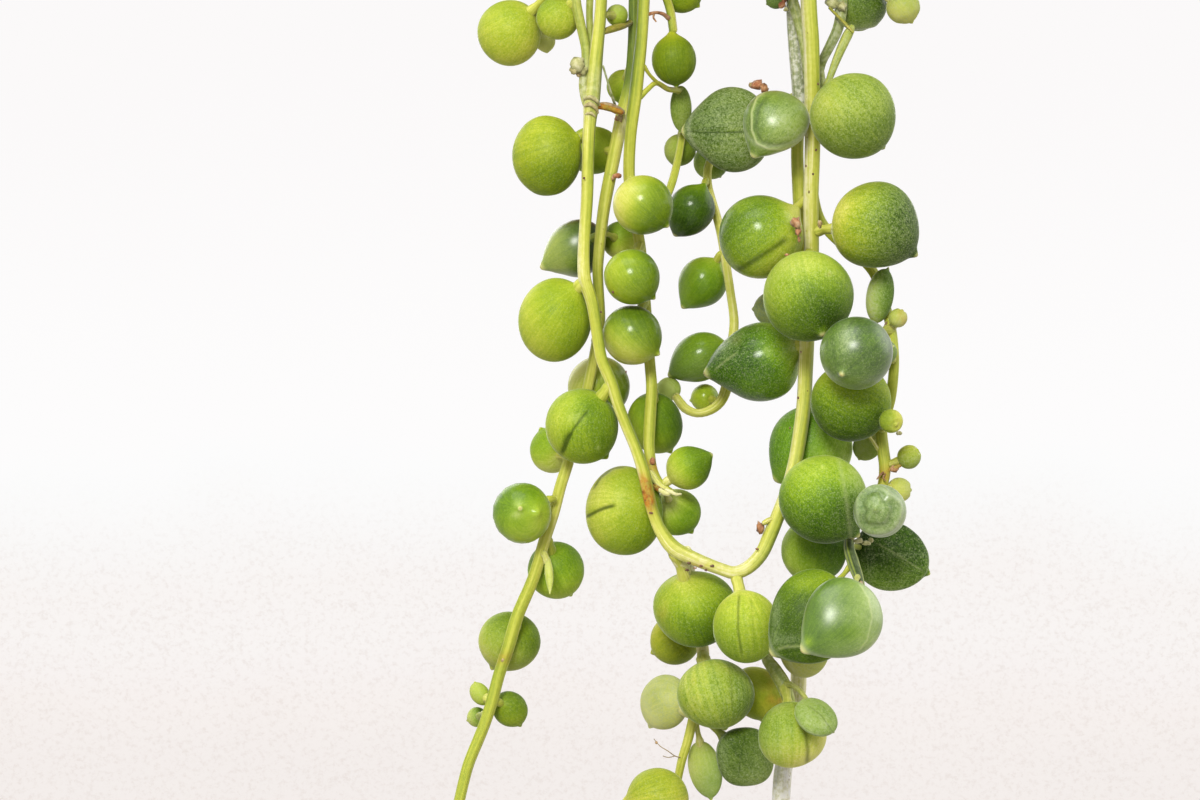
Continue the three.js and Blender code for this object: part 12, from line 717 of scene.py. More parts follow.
    [9,0,0,69.33,-14.16,-209.53,2.37,1.06,1,0.99,0.16,-0.01,-0.98,-0.06,0.16,0.17,-0.42,0.89,64.93,-14.43,-208.8,0.6,0.32,32,0.13,0.5,0.54,0.29,0,0,0,0,0,0,0,0.28,2,1,1,0.56],
    [9,0,0,66.81,-17.91,-213.9,3.3,1.04,1,0.07,-0.75,-0.65,-0.41,0.83,0.38,-0.71,-0.03,-0.7,64.66,-13.62,-211.91,0.6,0.32,81,0.11,0,0.48,0.21,0,0,0,0,0,0,0,0.24,0,1,1,0.61],
    [9,0,0,60.62,-12.23,-215.51,2.02,1.03,1,-0.94,0.22,-0.26,0.98,-0.17,0.1,0.15,0.98,0.14,64.3,-12.86,-215.15,0.59,0.32,60,0.12,0.8,0.64,0.36,0.19,0.23,0,0,0,0,0,0.2,1,1,1,0.36],
    [9,0,0,68.21,-9.33,-220.93,2.51,1.05,1,0.67,0.6,-0.44,-0.79,-0.58,0.2,0.61,-0.78,0.11,64,-12.45,-219.87,0.58,0.32,39,0.11,0,0.52,0.23,0.15,0.18,0,0,0,0,0,0.16,2,1,1,0.42],
    [9,0,0,65.99,-8.55,-226.18,2.67,1.01,1,0.42,0.67,-0.61,-0.4,-0.85,0.33,0.22,-0.44,-0.87,63.93,-12.93,-224.5,0.57,0.32,88,0.2,0,0.36,0.08,0,0,0,0,0,0,0,0.12,0,1,1,0.47],
    [9,0,0,64.94,-18.61,-229.24,2.23,1,1,0.28,-0.94,-0.18,-0.2,0.98,0.02,-0.04,0.02,-1,63.92,-13.75,-229.13,0.55,0.32,67,0.22,0.5,0.51,0.19,0,0,0,0,0,0,0,0.08,0,1,1,0.52],
    [9,0,0,69.42,-15.49,-234.52,2.57,1.04,1,0.98,0,-0.22,-0.98,0.16,0.14,0.1,-0.24,0.97,63.89,-14.62,-233.75,0.53,0.32,46,0.16,0,0.68,0.35,0.22,0.26,0,0,0,0,0,0.04,1,1,1,0.57],
    [9,0,0,63.37,-10.76,-240.69,1.91,1.03,1,-0.21,0.83,-0.52,0.09,-0.9,0.43,-0.61,-0.39,-0.69,63.85,-15.67,-238.37,0.51,0.32,74,0.11,0,0.61,0.38,0,0,0,0,0,0,0,0.36,0,1,1,0.46],
    [9,0,0,65.54,-21.13,-243.33,2.65,1.04,1,0.53,-0.84,-0.04,-0.34,0.94,0.07,0.92,0.35,-0.17,63.84,-16.49,-243,0.49,0.32,53,0.1,0.8,0.34,0.1,0,0,0,0,0,0,0,0.32,0,1,1,0.51],
    [9,0,0,58.35,-18.48,-249.23,3.24,1.05,1,-0.64,-0.55,-0.53,0.93,0.26,0.27,-0.1,-0.53,0.84,63.88,-16.92,-247.62,0.47,0.32,32,0.11,0,0.54,0.28,0,0,0,0,0,0,0,0.28,2,1,1,0.56],
    [9,0,0,68.82,-16.69,-251.44,3.24,1,1,0.87,0.37,-0.31,-0.99,-0.07,0.15,-0.12,0.93,-0.36,63.93,-17.05,-250.71,0.45,0.32,81,0.15,0.8,0.58,0.31,0.11,0.13,0,0,0,0,0,0.24,0,1,1,0.61],
    [9,0,0,58.97,-19.21,-255.41,2.37,1.06,1,-0.72,-0.44,-0.53,0.88,0.38,0.28,-0.44,0.88,0.16,63.97,-17.03,-253.79,0.43,0.32,60,0.15,0,0.61,0.33,0.15,0.18,0,0,0,0,0,0.2,0,1,1,0.36],
    [9,0,0,68.48,-19.78,-257.97,2.23,1,1,0.61,-0.58,-0.54,-0.82,0.54,0.2,-0.4,-0.29,-0.87,64.01,-16.81,-256.88,0.42,0.32,39,0.1,0,0.71,0.42,0.06,0.07,0,0,0,0,0,0.16,2,1,1,0.42],
    [9,0,0,59.18,-17.09,-263.12,3.19,1.03,1,-0.67,0.16,-0.72,0.93,0.2,0.31,0.07,-0.92,0.38,64.09,-16.06,-261.51,0.39,0.32,88,0.22,0.5,0.48,0.18,0,0,0,0,0,0,0,0.12,0,1,1,0.47],
    [9,0,0,63.24,-19.6,-267.89,2.68,1.07,1,-0.22,-0.68,-0.7,0.18,0.91,0.36,0.84,-0.34,0.43,64.13,-15.11,-266.13,0.36,0.32,67,0.18,0,0.44,0.12,0.14,0.17,0,0,0,0,0,0.08,0,1,1,0.52],
    [9,0,0,59.24,-14.5,-271.85,2.89,1.03,1,-0.78,-0.22,-0.59,0.97,0.05,0.22,-0.08,0.98,0.15,64.05,-14.27,-270.75,0.33,0.32,46,0.19,0.8,0.45,0.12,0,0,0,0,0,0,0,0.04,0,1,1,0.57],
    [9,0,0,68.9,-12.71,-276.18,2.97,1.01,1,0.89,0.37,-0.25,-0.98,-0.14,0.16,0.18,-0.92,0.34,63.85,-13.42,-275.38,0.3,0.32,25,0.12,0,0.62,0.4,0.17,0.2,0,0,0,0,0,0,2,1,1,0.62],
    [10,0,0,33.55,4.88,-204.02,1.75,1.04,1,-0.82,-0.04,0.57,0.78,-0.06,-0.63,-0.51,-0.63,-0.58,36.2,4.69,-206.16,0.56,0.32,32,0.22,0.8,0.63,0.37,0.27,0.32,0,0,0,0,0,0.28,1,1,1,0.35],
    [10,0,0,39.35,4.06,-201.06,2.17,1.04,1,-0.2,-0.54,0.82,-0.09,0.38,-0.92,-0.32,-0.89,-0.34,38.98,5.56,-204.66,0.56,0.32,81,0.12,0.8,0.52,0.26,0.21,0.25,0,0,0,0,0,0.24,1,1,1,0.4],
    [10,0,0,41.47,8.81,-199.69,2.38,1.07,1,-0.3,0.71,0.64,0.23,-0.49,-0.84,0.13,-0.84,0.52,42.48,6.67,-203.4,0.56,0.32,60,0.17,0.5,0.66,0.38,0,0,0,0,0,0,0,0.2,0,1,1,0.46],
    [10,0,0,45.64,12.13,-203.89,3.02,1.11,1,-0.41,0.83,-0.37,-0.1,-0.92,0.38,-0.02,0.38,0.92,45.13,7.51,-201.99,0.56,0.32,39,0.13,0,0.68,0.39,0.17,0.21,0,0,0,0,0,0.16,1,1,1,0.51],
    [10,0,0,46.37,13.45,-197.91,2.18,1,1,-0.37,0.89,0.25,0.26,-0.86,-0.44,0.18,-0.4,0.9,47.89,8.4,-200.47,0.56,0.32,88,0.2,0.8,0.33,0.08,0.19,0.23,0,0,0,0,0,0.12,1,1,1,0.56],
    [10,0,0,52.56,14.62,-201.75,2.3,1.12,1,0.12,0.71,-0.69,-0.07,-0.83,0.56,-1,0.07,-0.01,52.18,9.97,-198.63,0.56,0.32,67,0.15,0,0.51,0.19,0.15,0.17,0,0,0,0,0,0.08,0,1,1,0.61],
    [10,0,0,59.25,8.34,-196.82,2.04,1.1,1,0.46,-0.82,-0.34,-0.57,0.81,-0.14,0.55,0.25,-0.8,56.76,11.93,-197.42,0.56,0.32,46,0.13,0.5,0.63,0.31,0.01,0.01,0,0,0,0,0,0.04,0,1,1,0.36],
    [10,0,0,61.95,16.96,-196.12,2.31,1.02,1,0,1,-0.01,-0.35,-0.88,-0.33,-0.83,0.12,0.55,60.25,12.66,-197.74,0.56,0.32,25,0.17,0,0.66,0.44,0.05,0.06,0,0,0,0,0,0,2,1,1,0.41],
    [10,0,0,65.62,18.58,-199.6,1.98,1.08,1,0.36,0.87,-0.34,-0.32,-0.95,0,-0.93,0.31,-0.21,63.71,12.88,-199.6,0.56,0.32,74,0.14,0.8,0.45,0.22,0.32,0.39,0,0,0,0,0,0.36,1,1,1,0.46],
    [10,0,0,70.3,15.02,-204.47,3.04,1.05,1,0.67,0.63,-0.4,-0.97,-0.24,0.06,0.17,-0.82,-0.54,65,13.68,-204.13,0.56,0.32,53,0.11,0,0.37,0.12,0.03,0.03,0,0,0,0,0,0.32,0,1,1,0.51],
    [10,0,0,69.9,13.16,-209.88,2.02,1.07,1,0.93,-0.26,-0.25,-0.97,0.14,0.18,0.12,-0.35,0.93,65.16,13.87,-208.98,0.56,0.32,81,0.19,0.8,0.36,0.09,0.03,0.03,0,0,0,0,0,0.24,0,1,1,0.4],
    [10,0,0,69.2,16.26,-213.56,2.47,1.06,1,0.78,0.4,-0.48,-0.84,-0.5,0.23,0,0.42,0.91,64.91,13.72,-212.36,0.55,0.32,60,0.19,0.8,0.52,0.24,0.03,0.03,0,0,0,0,0,0.2,0,1,1,0.46],
    [10,0,0,60.64,9.98,-216.59,2.04,1.07,1,-0.88,-0.47,0.07,0.74,0.66,0.13,-0.08,0.29,-0.95,64.6,13.46,-215.89,0.55,0.32,39,0.17,0.5,0.59,0.3,0,0,0,0,0,0,0,0.16,2,1,1,0.51],
    [10,0,0,59.83,14.37,-222.7,2.93,1.01,1,-0.59,0.63,-0.51,0.91,-0.27,0.33,-0.41,-0.74,0.53,64.49,13,-221,0.54,0.32,88,0.13,0,0.37,0.08,0.19,0.22,0,0,0,0,0,0.12,1,1,1,0.56],
    [10,0,0,70.57,14.68,-225.26,3.02,1.06,1,0.73,-0.04,-0.68,-0.93,-0.34,0.15,0.27,-0.89,-0.36,64.69,12.52,-224.33,0.53,0.32,67,0.13,0,0.57,0.26,0.31,0.38,0,0,0,0,0,0.08,1,1,1,0.61],
    [10,0,0,62.06,6.68,-228.84,3.05,1.07,1,-0.1,-0.97,-0.22,0.47,0.86,0.19,-0.35,-0.01,0.94,64.97,12.01,-227.67,0.52,0.32,46,0.16,0.5,0.56,0.23,0.14,0.16,0,0,0,0,0,0.04,0,1,1,0.36],
    [10,0,0,70.83,8.87,-233.44,2.78,1.03,1,0.84,-0.51,-0.17,-0.89,0.43,0.12,0.43,0.76,0.49,65.28,11.55,-232.67,0.5,0.32,25,0.12,0.5,0.43,0.21,0.11,0.13,0,0,0,0,0,0,2,1,1,0.41],
    [10,0,0,61.85,9.89,-237.27,2.31,1.03,1,-0.87,-0.37,-0.34,0.86,0.41,0.31,0.5,-0.53,-0.68,65.37,11.58,-236,0.49,0.32,74,0.14,0.5,0.49,0.26,0.13,0.16,0,0,0,0,0,0.36,0,1,1,0.46],
    [10,0,0,61.68,16.96,-242.02,2.69,1.05,1,-0.86,0.44,-0.27,0.59,-0.79,0.16,0.5,0.2,-0.84,65.4,11.94,-241.01,0.47,0.32,53,0.17,0,0.43,0.18,0.07,0.08,0,0,0,0,0,0.32,0,1,1,0.51],
    [10,0,0,71.61,12.52,-247.19,3.36,1.07,1,0.92,0.18,-0.36,-0.98,0,0.19,-0.1,0.86,-0.51,65.3,12.52,-246,0.45,0.32,32,0.19,0.5,0.54,0.28,0.14,0.17,0,0,0,0,0,0.28,2,1,1,0.56],
    [10,0,0,61.15,14.42,-251.03,1.91,1.09,1,-0.97,0,-0.25,0.95,-0.28,0.14,0.28,0.96,0.07,65.05,13.26,-250.45,0.43,0.32,60,0.17,0.5,0.62,0.34,0.1,0.12,0,0,0,0,0,0.2,0,1,1,0.46],
    [10,0,0,63.54,8.38,-257.24,2.95,1,1,0.16,-0.85,-0.5,0.18,0.91,0.37,0.98,-0.2,0.01,64.7,14.16,-254.89,0.41,0.32,39,0.15,0,0.69,0.4,0.07,0.08,0,0,0,0,0,0.16,2,1,1,0.51],
    [10,0,0,70.23,13.41,-260.92,2.85,1.03,1,0.66,-0.05,-0.75,-0.94,0.23,0.25,0.33,0.36,0.87,64.32,14.89,-259.33,0.39,0.32,88,0.16,0.5,0.39,0.09,0,0,0,0,0,0,0,0.12,0,1,1,0.56],
    [10,0,0,61.28,18.21,-264.66,1.99,1.05,1,-0.48,0.84,-0.26,0.68,-0.73,0.09,0.47,0.52,0.71,63.85,15.43,-264.33,0.37,0.32,67,0.22,0.5,0.66,0.34,0.16,0.19,0,0,0,0,0,0.08,0,1,1,0.61],
    [10,0,0,64.88,10.66,-270.56,2.52,1.01,1,0.25,-0.96,-0.09,-0.28,0.93,0.23,0.25,-0.16,0.95,63.38,15.73,-269.33,0.34,0.32,46,0.18,0.8,0.49,0.16,0.05,0.06,0,0,0,0,0,0.04,0,1,1,0.36],
    [10,0,0,66.45,19.74,-273.8,2.95,1.01,1,0.66,0.39,-0.65,-0.62,-0.75,0.21,0.77,-0.63,0.03,63.11,15.72,-272.67,0.33,0.32,25,0.16,0,0.51,0.29,0.03,0.04,0,0,0,0,0,0,2,1,1,0.41],
    [10,0,0,62.29,20.47,-277.44,2.06,1,1,-0.13,0.74,-0.66,0.12,-0.95,0.28,0.95,0.03,-0.32,62.93,15.47,-276,0.31,0.32,74,0.11,0,0.48,0.25,0,0,0,0,0,0,0,0.36,0,1,1,0.46],
    [10,0,0,66.54,12.11,-279.76,2.78,1.06,1,0.65,-0.69,-0.31,-0.79,0.61,0.09,0.54,0.62,0.57,62.79,15.01,-279.33,0.29,0.32,53,0.12,0.8,0.61,0.36,0.05,0.05,0,0,0,0,0,0.32,0,1,1,0.51],
    [10,0,0,59.05,12.78,-284.97,2.18,1.04,1,-0.73,-0.43,-0.52,0.92,0.37,0.16,-0.2,0.76,-0.61,62.61,14.2,-284.33,0.26,0.32,32,0.11,0,0.64,0.38,0.13,0.16,0,0,0,0,0,0.28,2,1,1,0.56],
    [11,0,0,22.53,32.68,-204.82,1.8,1.03,1,-0.45,0.83,-0.33,0.43,-0.9,-0.11,-0.57,-0.36,0.73,24.4,28.79,-205.29,0.59,0.32,81,0.19,0.5,0.67,0.41,0.07,0.08,0,0,0,0,0,0.24,0,1,1,0.61],
    [11,0,0,31.18,27.27,-204.47,2.56,1,1,0.46,-0.88,-0.12,-0.73,0.68,0.08,-0.57,-0.67,0.48,27.44,30.73,-204.08,0.59,0.32,39,0.2,0,0.53,0.24,0.02,0.03,0,0,0,0,0,0.16,2,1,1,0.51],
    [11,0,0,30.11,30.6,-197.45,2.68,1.07,1,-0.21,-0.8,0.56,0.02,0.33,-0.94,-1,-0.07,-0.04,30.22,32.47,-202.74,0.59,0.32,88,0.12,0,0.65,0.35,0.11,0.13,0,0,0,0,0,0.12,0,1,1,0.56],
    [11,0,0,36.86,29.88,-201.58,2.03,1.06,1,0.1,-0.92,-0.38,-0.71,0.7,0.06,-0.68,-0.65,-0.33,32.7,34.02,-201.22,0.59,0.32,67,0.16,0.8,0.42,0.1,0.21,0.25,0,0,0,0,0,0.08,1,1,1,0.61],
    [11,0,0,39.16,33.51,-199.69,2.09,1.07,1,0.86,-0.5,-0.1,-0.68,0.72,0.13,-0.56,-0.62,0.54,36.56,36.27,-199.2,0.59,0.32,46,0.15,0.5,0.48,0.15,0.03,0.04,0,0,0,0,0,0.04,0,1,1,0.36],
    [11,0,0,38.44,42.79,-196.97,2.29,1.01,1,-0.22,0.97,-0.05,0.24,-0.95,-0.21,0.97,0.23,0.07,39.7,37.72,-198.1,0.59,0.32,25,0.16,0.8,0.56,0.34,0.3,0.36,0,0,0,0,0,0,1,1,1,0.41],
    [11,0,0,46.5,35.16,-195.78,2.44,1.01,1,0.97,-0.22,0.06,-0.65,0.7,-0.29,0.47,0.07,-0.88,42.83,39.09,-197.42,0.59,0.32,74,0.12,0.8,0.74,0.51,0.2,0.24,0,0,0,0,0,0.36,1,1,1,0.46],
    [11,0,0,49.19,40.06,-195.28,2.48,1.04,1,0.91,-0.36,0.23,-0.78,0.21,-0.6,-0.32,-0.94,0.09,45.98,40.92,-197.75,0.59,0.32,53,0.22,0,0.51,0.27,0.19,0.23,0,0,0,0,0,0.32,1,1,1,0.51],
    [11,0,0,51.27,47.99,-197.27,2.79,1.04,1,0.04,0.99,0.14,-0.42,-0.82,-0.39,-0.81,0.14,0.57,48.74,43.01,-199.6,0.59,0.32,32,0.21,0,0.46,0.21,0.09,0.11,0,0,0,0,0,0.28,2,1,1,0.56],
    [11,0,0,44.17,49.54,-205.5,3.36,1.02,1,-0.8,0.05,-0.59,0.7,-0.69,0.18,-0.69,-0.59,0.41,49.38,44.39,-204.17,0.59,0.32,81,0.19,0.5,0.38,0.11,0.18,0.21,0,0,0,0,0,0.24,1,1,1,0.61],
    [11,0,0,48.41,47.58,-208.59,1.92,1.02,1,-0.62,0.47,-0.63,0.37,-0.87,0.33,-0.85,-0.18,0.49,49.7,44.52,-207.45,0.59,0.32,60,0.22,0.8,0.57,0.29,0.11,0.14,0,0,0,0,0,0.2,0,1,1,0.36],
    [11,0,0,54.29,40.88,-210.35,2.53,1,1,0.82,-0.47,-0.32,-0.79,0.61,-0.05,-0.49,-0.69,-0.53,50.23,43.99,-210.63,0.59,0.32,88,0.21,0.5,0.58,0.27,0.06,0.07,0,0,0,0,0,0.12,0,1,1,0.56],
    [11,0,0,51.48,38.43,-214.26,2.11,1.01,1,0.37,-0.92,0.12,-0.15,0.99,0.05,-0.54,-0.04,-0.84,50.73,43.29,-214,0.58,0.32,67,0.14,0,0.44,0.12,0,0,0,0,0,0,0,0.08,0,1,1,0.61],
    [11,0,0,47.25,46.36,-218.52,2.23,1.01,1,-0.65,0.62,-0.44,0.72,-0.66,0.23,0.69,0.63,-0.35,50.96,42.95,-217.33,0.57,0.32,46,0.13,0.8,0.49,0.16,0.04,0.05,0,0,0,0,0,0.04,0,1,1,0.36],
    [11,0,0,50.37,48.71,-222.23,2.2,1.1,1,-0.16,0.96,-0.24,0.05,-1,0.01,0.63,0.03,-0.77,50.65,43.43,-222.19,0.55,0.32,25,0.1,0,0.61,0.39,0.29,0.35,0,0,0,0,0,0,1,1,1,0.41],
    [11,0,0,52.67,48.77,-227.54,2.76,1.02,1,0.38,0.88,-0.3,-0.52,-0.85,0.09,0.64,-0.46,-0.62,49.95,44.33,-227.05,0.54,0.32,74,0.13,0.5,0.45,0.22,0,0,0,0,0,0,0,0.36,0,1,1,0.46],
    [11,0,0,50.37,51.01,-232.22,2.45,1.1,1,0.13,0.99,-0.1,-0.19,-0.98,0.05,-0.43,0.13,0.89,49.18,45.01,-231.9,0.52,0.32,53,0.16,0.5,0.59,0.35,0.02,0.03,0,0,0,0,0,0.32,0,1,1,0.51],
    [11,0,0,47.78,40.72,-236.74,2.18,1.01,1,0.2,-0.76,-0.62,0.16,0.94,0.32,-0.61,0.34,-0.71,48.57,45.45,-235.14,0.5,0.32,32,0.12,0.5,0.57,0.32,0.04,0.05,0,0,0,0,0,0.28,2,1,1,0.56],
    [11,0,0,46.16,50.61,-238.71,2.03,1.09,1,-0.52,0.85,0,0.36,-0.93,0.06,-0.46,-0.12,0.88,48.02,45.75,-238.38,0.49,0.32,81,0.17,0.5,0.42,0.15,0.09,0.11,0,0,0,0,0,0.24,0,1,1,0.61],
    [11,0,0,44.63,48.54,-242.15,1.92,1,1,-0.68,0.59,-0.43,0.73,-0.67,0.13,-0.53,-0.68,-0.51,47.65,45.81,-241.62,0.47,0.32,60,0.19,0.5,0.42,0.14,0.28,0.33,0,0,0,0,0,0.2,1,1,1,0.36],
    [11,0,0,49.47,51.54,-248,2.66,1.03,1,0.04,0.94,-0.35,-0.33,-0.92,0.23,-0.62,0.03,-0.78,47.32,45.53,-246.48,0.44,0.32,39,0.16,0.5,0.68,0.39,0.22,0.27,0,0,0,0,0,0.16,1,1,1,0.42],
    [11,0,0,42.64,43.99,-250.67,1.96,1.1,1,-0.91,0.11,-0.4,0.95,0.24,0.2,0.31,-0.73,-0.61,47.24,45.17,-249.72,0.42,0.32,67,0.19,0.5,0.34,0.08,0.06,0.07,0,0,0,0,0,0.08,0,1,1,0.61],
    [11,0,0,41.83,44.48,-256.27,3.14,1.03,1,-0.92,-0.3,-0.27,0.96,-0.02,0.29,-0.07,0.96,0.28,47.4,44.36,-254.58,0.4,0.32,46,0.1,0,0.52,0.2,0.12,0.14,0,0,0,0,0,0.04,0,1,1,0.36],
    [11,0,0,52.35,39.46,-259.22,2.93,1.05,1,0.73,-0.57,-0.38,-0.76,0.64,-0.04,0.03,-0.02,-1,47.86,43.25,-259.43,0.37,0.32,25,0.19,0,0.49,0.27,0,0,0,0,0,0,0,0,2,1,1,0.41],
    [11,0,0,45.35,37.99,-263.5,3.26,1.05,1,-0.65,-0.62,-0.45,0.51,0.84,0.15,0.86,-0.5,-0.14,48.16,42.61,-262.67,0.34,0.32,74,0.17,0,0.66,0.43,0,0,0,0,0,0,0,0.36,0,1,1,0.46],
    [11,0,0,48.69,46.66,-267.22,1.57,1.11,1,0.45,0.75,-0.48,-0.06,-0.96,0.28,0.59,-0.26,-0.76,48.4,42.12,-265.9,0.32,0.32,53,0.19,0.5,0.37,0.13,0.07,0.08,0,0,0,0,0,0.32,0,1,1,0.51],
    [11,0,0,53.13,43.95,-271.48,1.99,1.04,1,0.54,0.77,-0.34,-0.87,-0.48,0.14,-0.17,0.01,-0.99,48.74,41.52,-270.76,0.29,0.32,32,0.12,0,0.6,0.35,0.26,0.31,0,0,0,0,0,0.28,1,1,1,0.56],
    [12,0,0,24.23,36.06,-202.76,1.96,1,1,0.99,0.02,0.12,-0.96,0.08,-0.25,0.13,0.98,-0.18,19.17,36.47,-204.08,0.62,0.32,81,0.2,0,0.64,0.37,0.02,0.03,0,0,0,0,0,0.24,0,1,1,0.61],
    [12,0,0,23.32,39.31,-197.39,2.1,1.03,1,0.52,0.03,0.85,-0.53,0.3,-0.79,-0.85,-0.18,0.5,20.21,41.05,-201.99,0.62,0.32,60,0.19,0,0.66,0.38,0.16,0.19,0,0,0,0,0,0.2,0,1,1,0.36],
    [12,0,0,23.11,46.49,-204.88,2.83,1.01,1,0.34,0.58,-0.74,-0.4,-0.46,0.79,-0.22,-0.79,-0.57,20.85,43.93,-200.47,0.62,0.32,39,0.17,0,0.52,0.22,0,0,0,0,0,0,0,0.16,2,1,1,0.42],
    [12,0,0,18.9,47.17,-195.61,2.74,1.01,1,-0.74,0.08,0.67,0.57,-0.07,-0.82,-0.02,0.99,-0.11,21.39,46.85,-199.2,0.62,0.32,88,0.15,0.8,0.45,0.15,0.11,0.13,0,0,0,0,0,0.12,0,1,1,0.47],
    [12,0,0,18.02,52.31,-200.81,1.53,1.04,1,-0.68,0.37,-0.63,0.74,-0.4,0.54,-0.04,0.77,0.63,21.69,50.29,-198.1,0.62,0.32,46,0.14,0.8,0.53,0.2,0,0,0,0,0,0,0,0.04,0,1,1,0.36],
    [12,0,0,20.31,59.01,-191.93,3.29,1.01,1,-0.21,0.93,0.29,0.28,-0.55,-0.78,-0.25,-0.83,0.49,22.29,55.17,-197.4,0.62,0.32,25,0.17,0,0.76,0.54,0.08,0.1,0,0,0,0,0,0,2,1,1,0.41],
    [12,0,0,19.43,62.84,-201.12,2.96,1.01,1,-0.79,0.32,-0.53,0.7,-0.6,0.39,0.3,-0.24,-0.92,24.19,58.7,-198.46,0.62,0.32,74,0.17,0,0.51,0.28,0.16,0.19,0,0,0,0,0,0.36,0,1,1,0.46],
    [12,0,0,28.46,59.03,-202.61,2.02,1.06,1,0.6,-0.08,-0.79,-0.8,0.41,0.43,-0.57,-0.31,-0.76,25.17,60.72,-200.85,0.62,0.32,53,0.12,0,0.34,0.1,0.05,0.06,0,0,0,0,0,0.32,0,1,1,0.51],
    [12,0,0,23.86,68.65,-206.26,3.07,1.06,1,0.18,0.97,-0.19,0.16,-0.99,0.04,0.98,0.15,-0.09,24.95,61.75,-206,0.62,0.32,32,0.11,0.5,0.59,0.33,0,0,0,0,0,0,0,0.28,2,1,1,0.56],
    [12,0,0,21.43,63.46,-211.04,1.72,1.14,1,-0.66,0.45,-0.6,0.93,-0.34,0.14,-0.23,-0.22,0.95,24.72,62.23,-210.53,0.62,0.32,81,0.17,0.5,0.55,0.29,0.22,0.27,0,0,0,0,0,0.24,1,1,1,0.61],
    [12,0,0,24.16,58.27,-216.94,2.24,1.01,1,0.02,-0.8,-0.6,0.05,0.95,0.3,-1,0.06,-0.04,24.37,62.46,-215.64,0.61,0.32,60,0.16,0.5,0.53,0.25,0.11,0.13,0,0,0,0,0,0.2,0,1,1,0.36],
    [12,0,0,22.35,58.66,-221.69,2.02,1.06,1,-0.6,-0.72,-0.34,0.36,0.9,0.24,0.18,0.19,-0.96,23.93,62.59,-220.63,0.6,0.32,39,0.13,0.5,0.72,0.43,0.06,0.07,0,0,0,0,0,0.16,2,1,1,0.42],
    [12,0,0,18.66,63.26,-224.25,2.25,1.04,1,-0.97,0.16,-0.16,0.99,-0.13,0.08,-0.13,-0.99,-0.02,23.51,62.63,-223.88,0.59,0.32,88,0.13,0,0.51,0.21,0.06,0.07,0,0,0,0,0,0.12,0,1,1,0.47],
    [12,0,0,26.78,61.76,-228.25,2.32,1.05,1,0.8,-0.19,-0.57,-0.94,0.21,0.28,-0.27,0.07,-0.96,23.07,62.6,-227.13,0.58,0.32,67,0.14,0.5,0.53,0.21,0.08,0.1,0,0,0,0,0,0.08,0,1,1,0.52],
    [12,0,0,17.65,58.1,-233.29,2.78,1.1,1,-0.67,-0.63,-0.4,0.75,0.64,0.19,0.46,-0.71,0.54,22.71,62.4,-232,0.56,0.32,25,0.15,0.8,0.38,0.16,0.12,0.15,0,0,0,0,0,0,2,1,1,0.41],
    [12,0,0,23,66.06,-237.91,1.93,1.08,1,0.46,0.66,-0.6,-0.03,-0.97,0.24,0.96,0.05,0.28,22.89,61.95,-236.88,0.54,0.32,74,0.13,0.8,0.53,0.29,0.12,0.15,0,0,0,0,0,0.36,0,1,1,0.46],
    [12,0,0,25.63,66.93,-243.05,2.2,1.01,1,0.55,0.76,-0.34,-0.36,-0.91,0.21,-0.5,0.38,0.77,23.38,61.33,-241.75,0.52,0.32,53,0.13,0,0.53,0.29,0.1,0.12,0,0,0,0,0,0.32,0,1,1,0.51],
    [12,0,0,29.26,59.48,-246.7,3.31,1.03,1,0.98,-0.12,-0.15,-0.97,0.22,0.01,0.18,0.82,-0.54,23.97,60.7,-246.63,0.5,0.32,32,0.21,0.8,0.56,0.31,0.06,0.07,0,0,0,0,0,0.28,2,1,1,0.56],
    [12,0,0,26.64,53.21,-251.9,3.18,1,1,0.39,-0.91,-0.13,-0.27,0.96,0.06,-0.83,-0.2,-0.52,24.76,59.99,-251.5,0.47,0.32,81,0.2,0,0.51,0.24,0.11,0.13,0,0,0,0,0,0.24,0,1,1,0.61],
    [12,0,0,19.58,61.3,-256.97,2.96,1.04,1,-0.64,0.47,-0.61,0.89,-0.28,0.35,0.42,0.28,-0.86,25.28,59.54,-254.74,0.45,0.32,60,0.17,0.8,0.46,0.18,0.1,0.12,0,0,0,0,0,0.2,0,1,1,0.36],
    [12,0,0,29.45,61.47,-260.19,2.2,1.04,1,0.53,0.83,-0.18,-0.83,-0.54,0.13,0.51,-0.83,-0.22,25.79,59.07,-259.62,0.43,0.32,39,0.22,0.8,0.59,0.3,0.04,0.05,0,0,0,0,0,0.16,2,1,1,0.42],
    [12,0,0,23.18,61.94,-263.89,2,1.02,1,-0.46,0.83,-0.32,0.66,-0.72,0.24,0.73,0.53,-0.44,25.99,58.87,-262.87,0.41,0.32,88,0.22,0,0.41,0.11,0.1,0.12,0,0,0,0,0,0.12,0,1,1,0.47],
    [12,0,0,22.37,53.33,-269.53,3.13,1.13,1,-0.3,-0.61,-0.73,0.55,0.79,0.26,0.8,-0.59,0.12,26.09,58.74,-267.75,0.38,0.32,67,0.19,0,0.32,0.08,0,0,0,0,0,0,0,0.08,0,1,1,0.52],
    [12,0,0,30.83,62.35,-273.87,2.82,1.04,1,0.84,0.51,-0.2,-0.8,-0.57,0.2,-0.55,0.82,0.13,25.88,58.83,-272.63,0.35,0.32,46,0.12,0,0.57,0.24,0,0,0,0,0,0,0,0.04,0,1,1,0.57],
    [12,0,0,21.09,58.59,-276.45,2.38,1.03,1,-0.94,-0.31,-0.16,0.99,0.11,0.13,-0.14,0.13,0.98,25.5,59.06,-275.88,0.33,0.32,74,0.13,0,0.57,0.34,0,0,0,0,0,0,0,0.36,0,1,1,0.46],
    [12,0,0,27.41,56.91,-282.38,1.9,1,1,0.49,-0.73,-0.48,-0.65,0.65,0.4,-0.66,-0.74,0.13,24.76,59.55,-280.75,0.3,0.32,53,0.16,0,0.54,0.29,0,0,0,0,0,0,0,0.32,0,1,1,0.51],
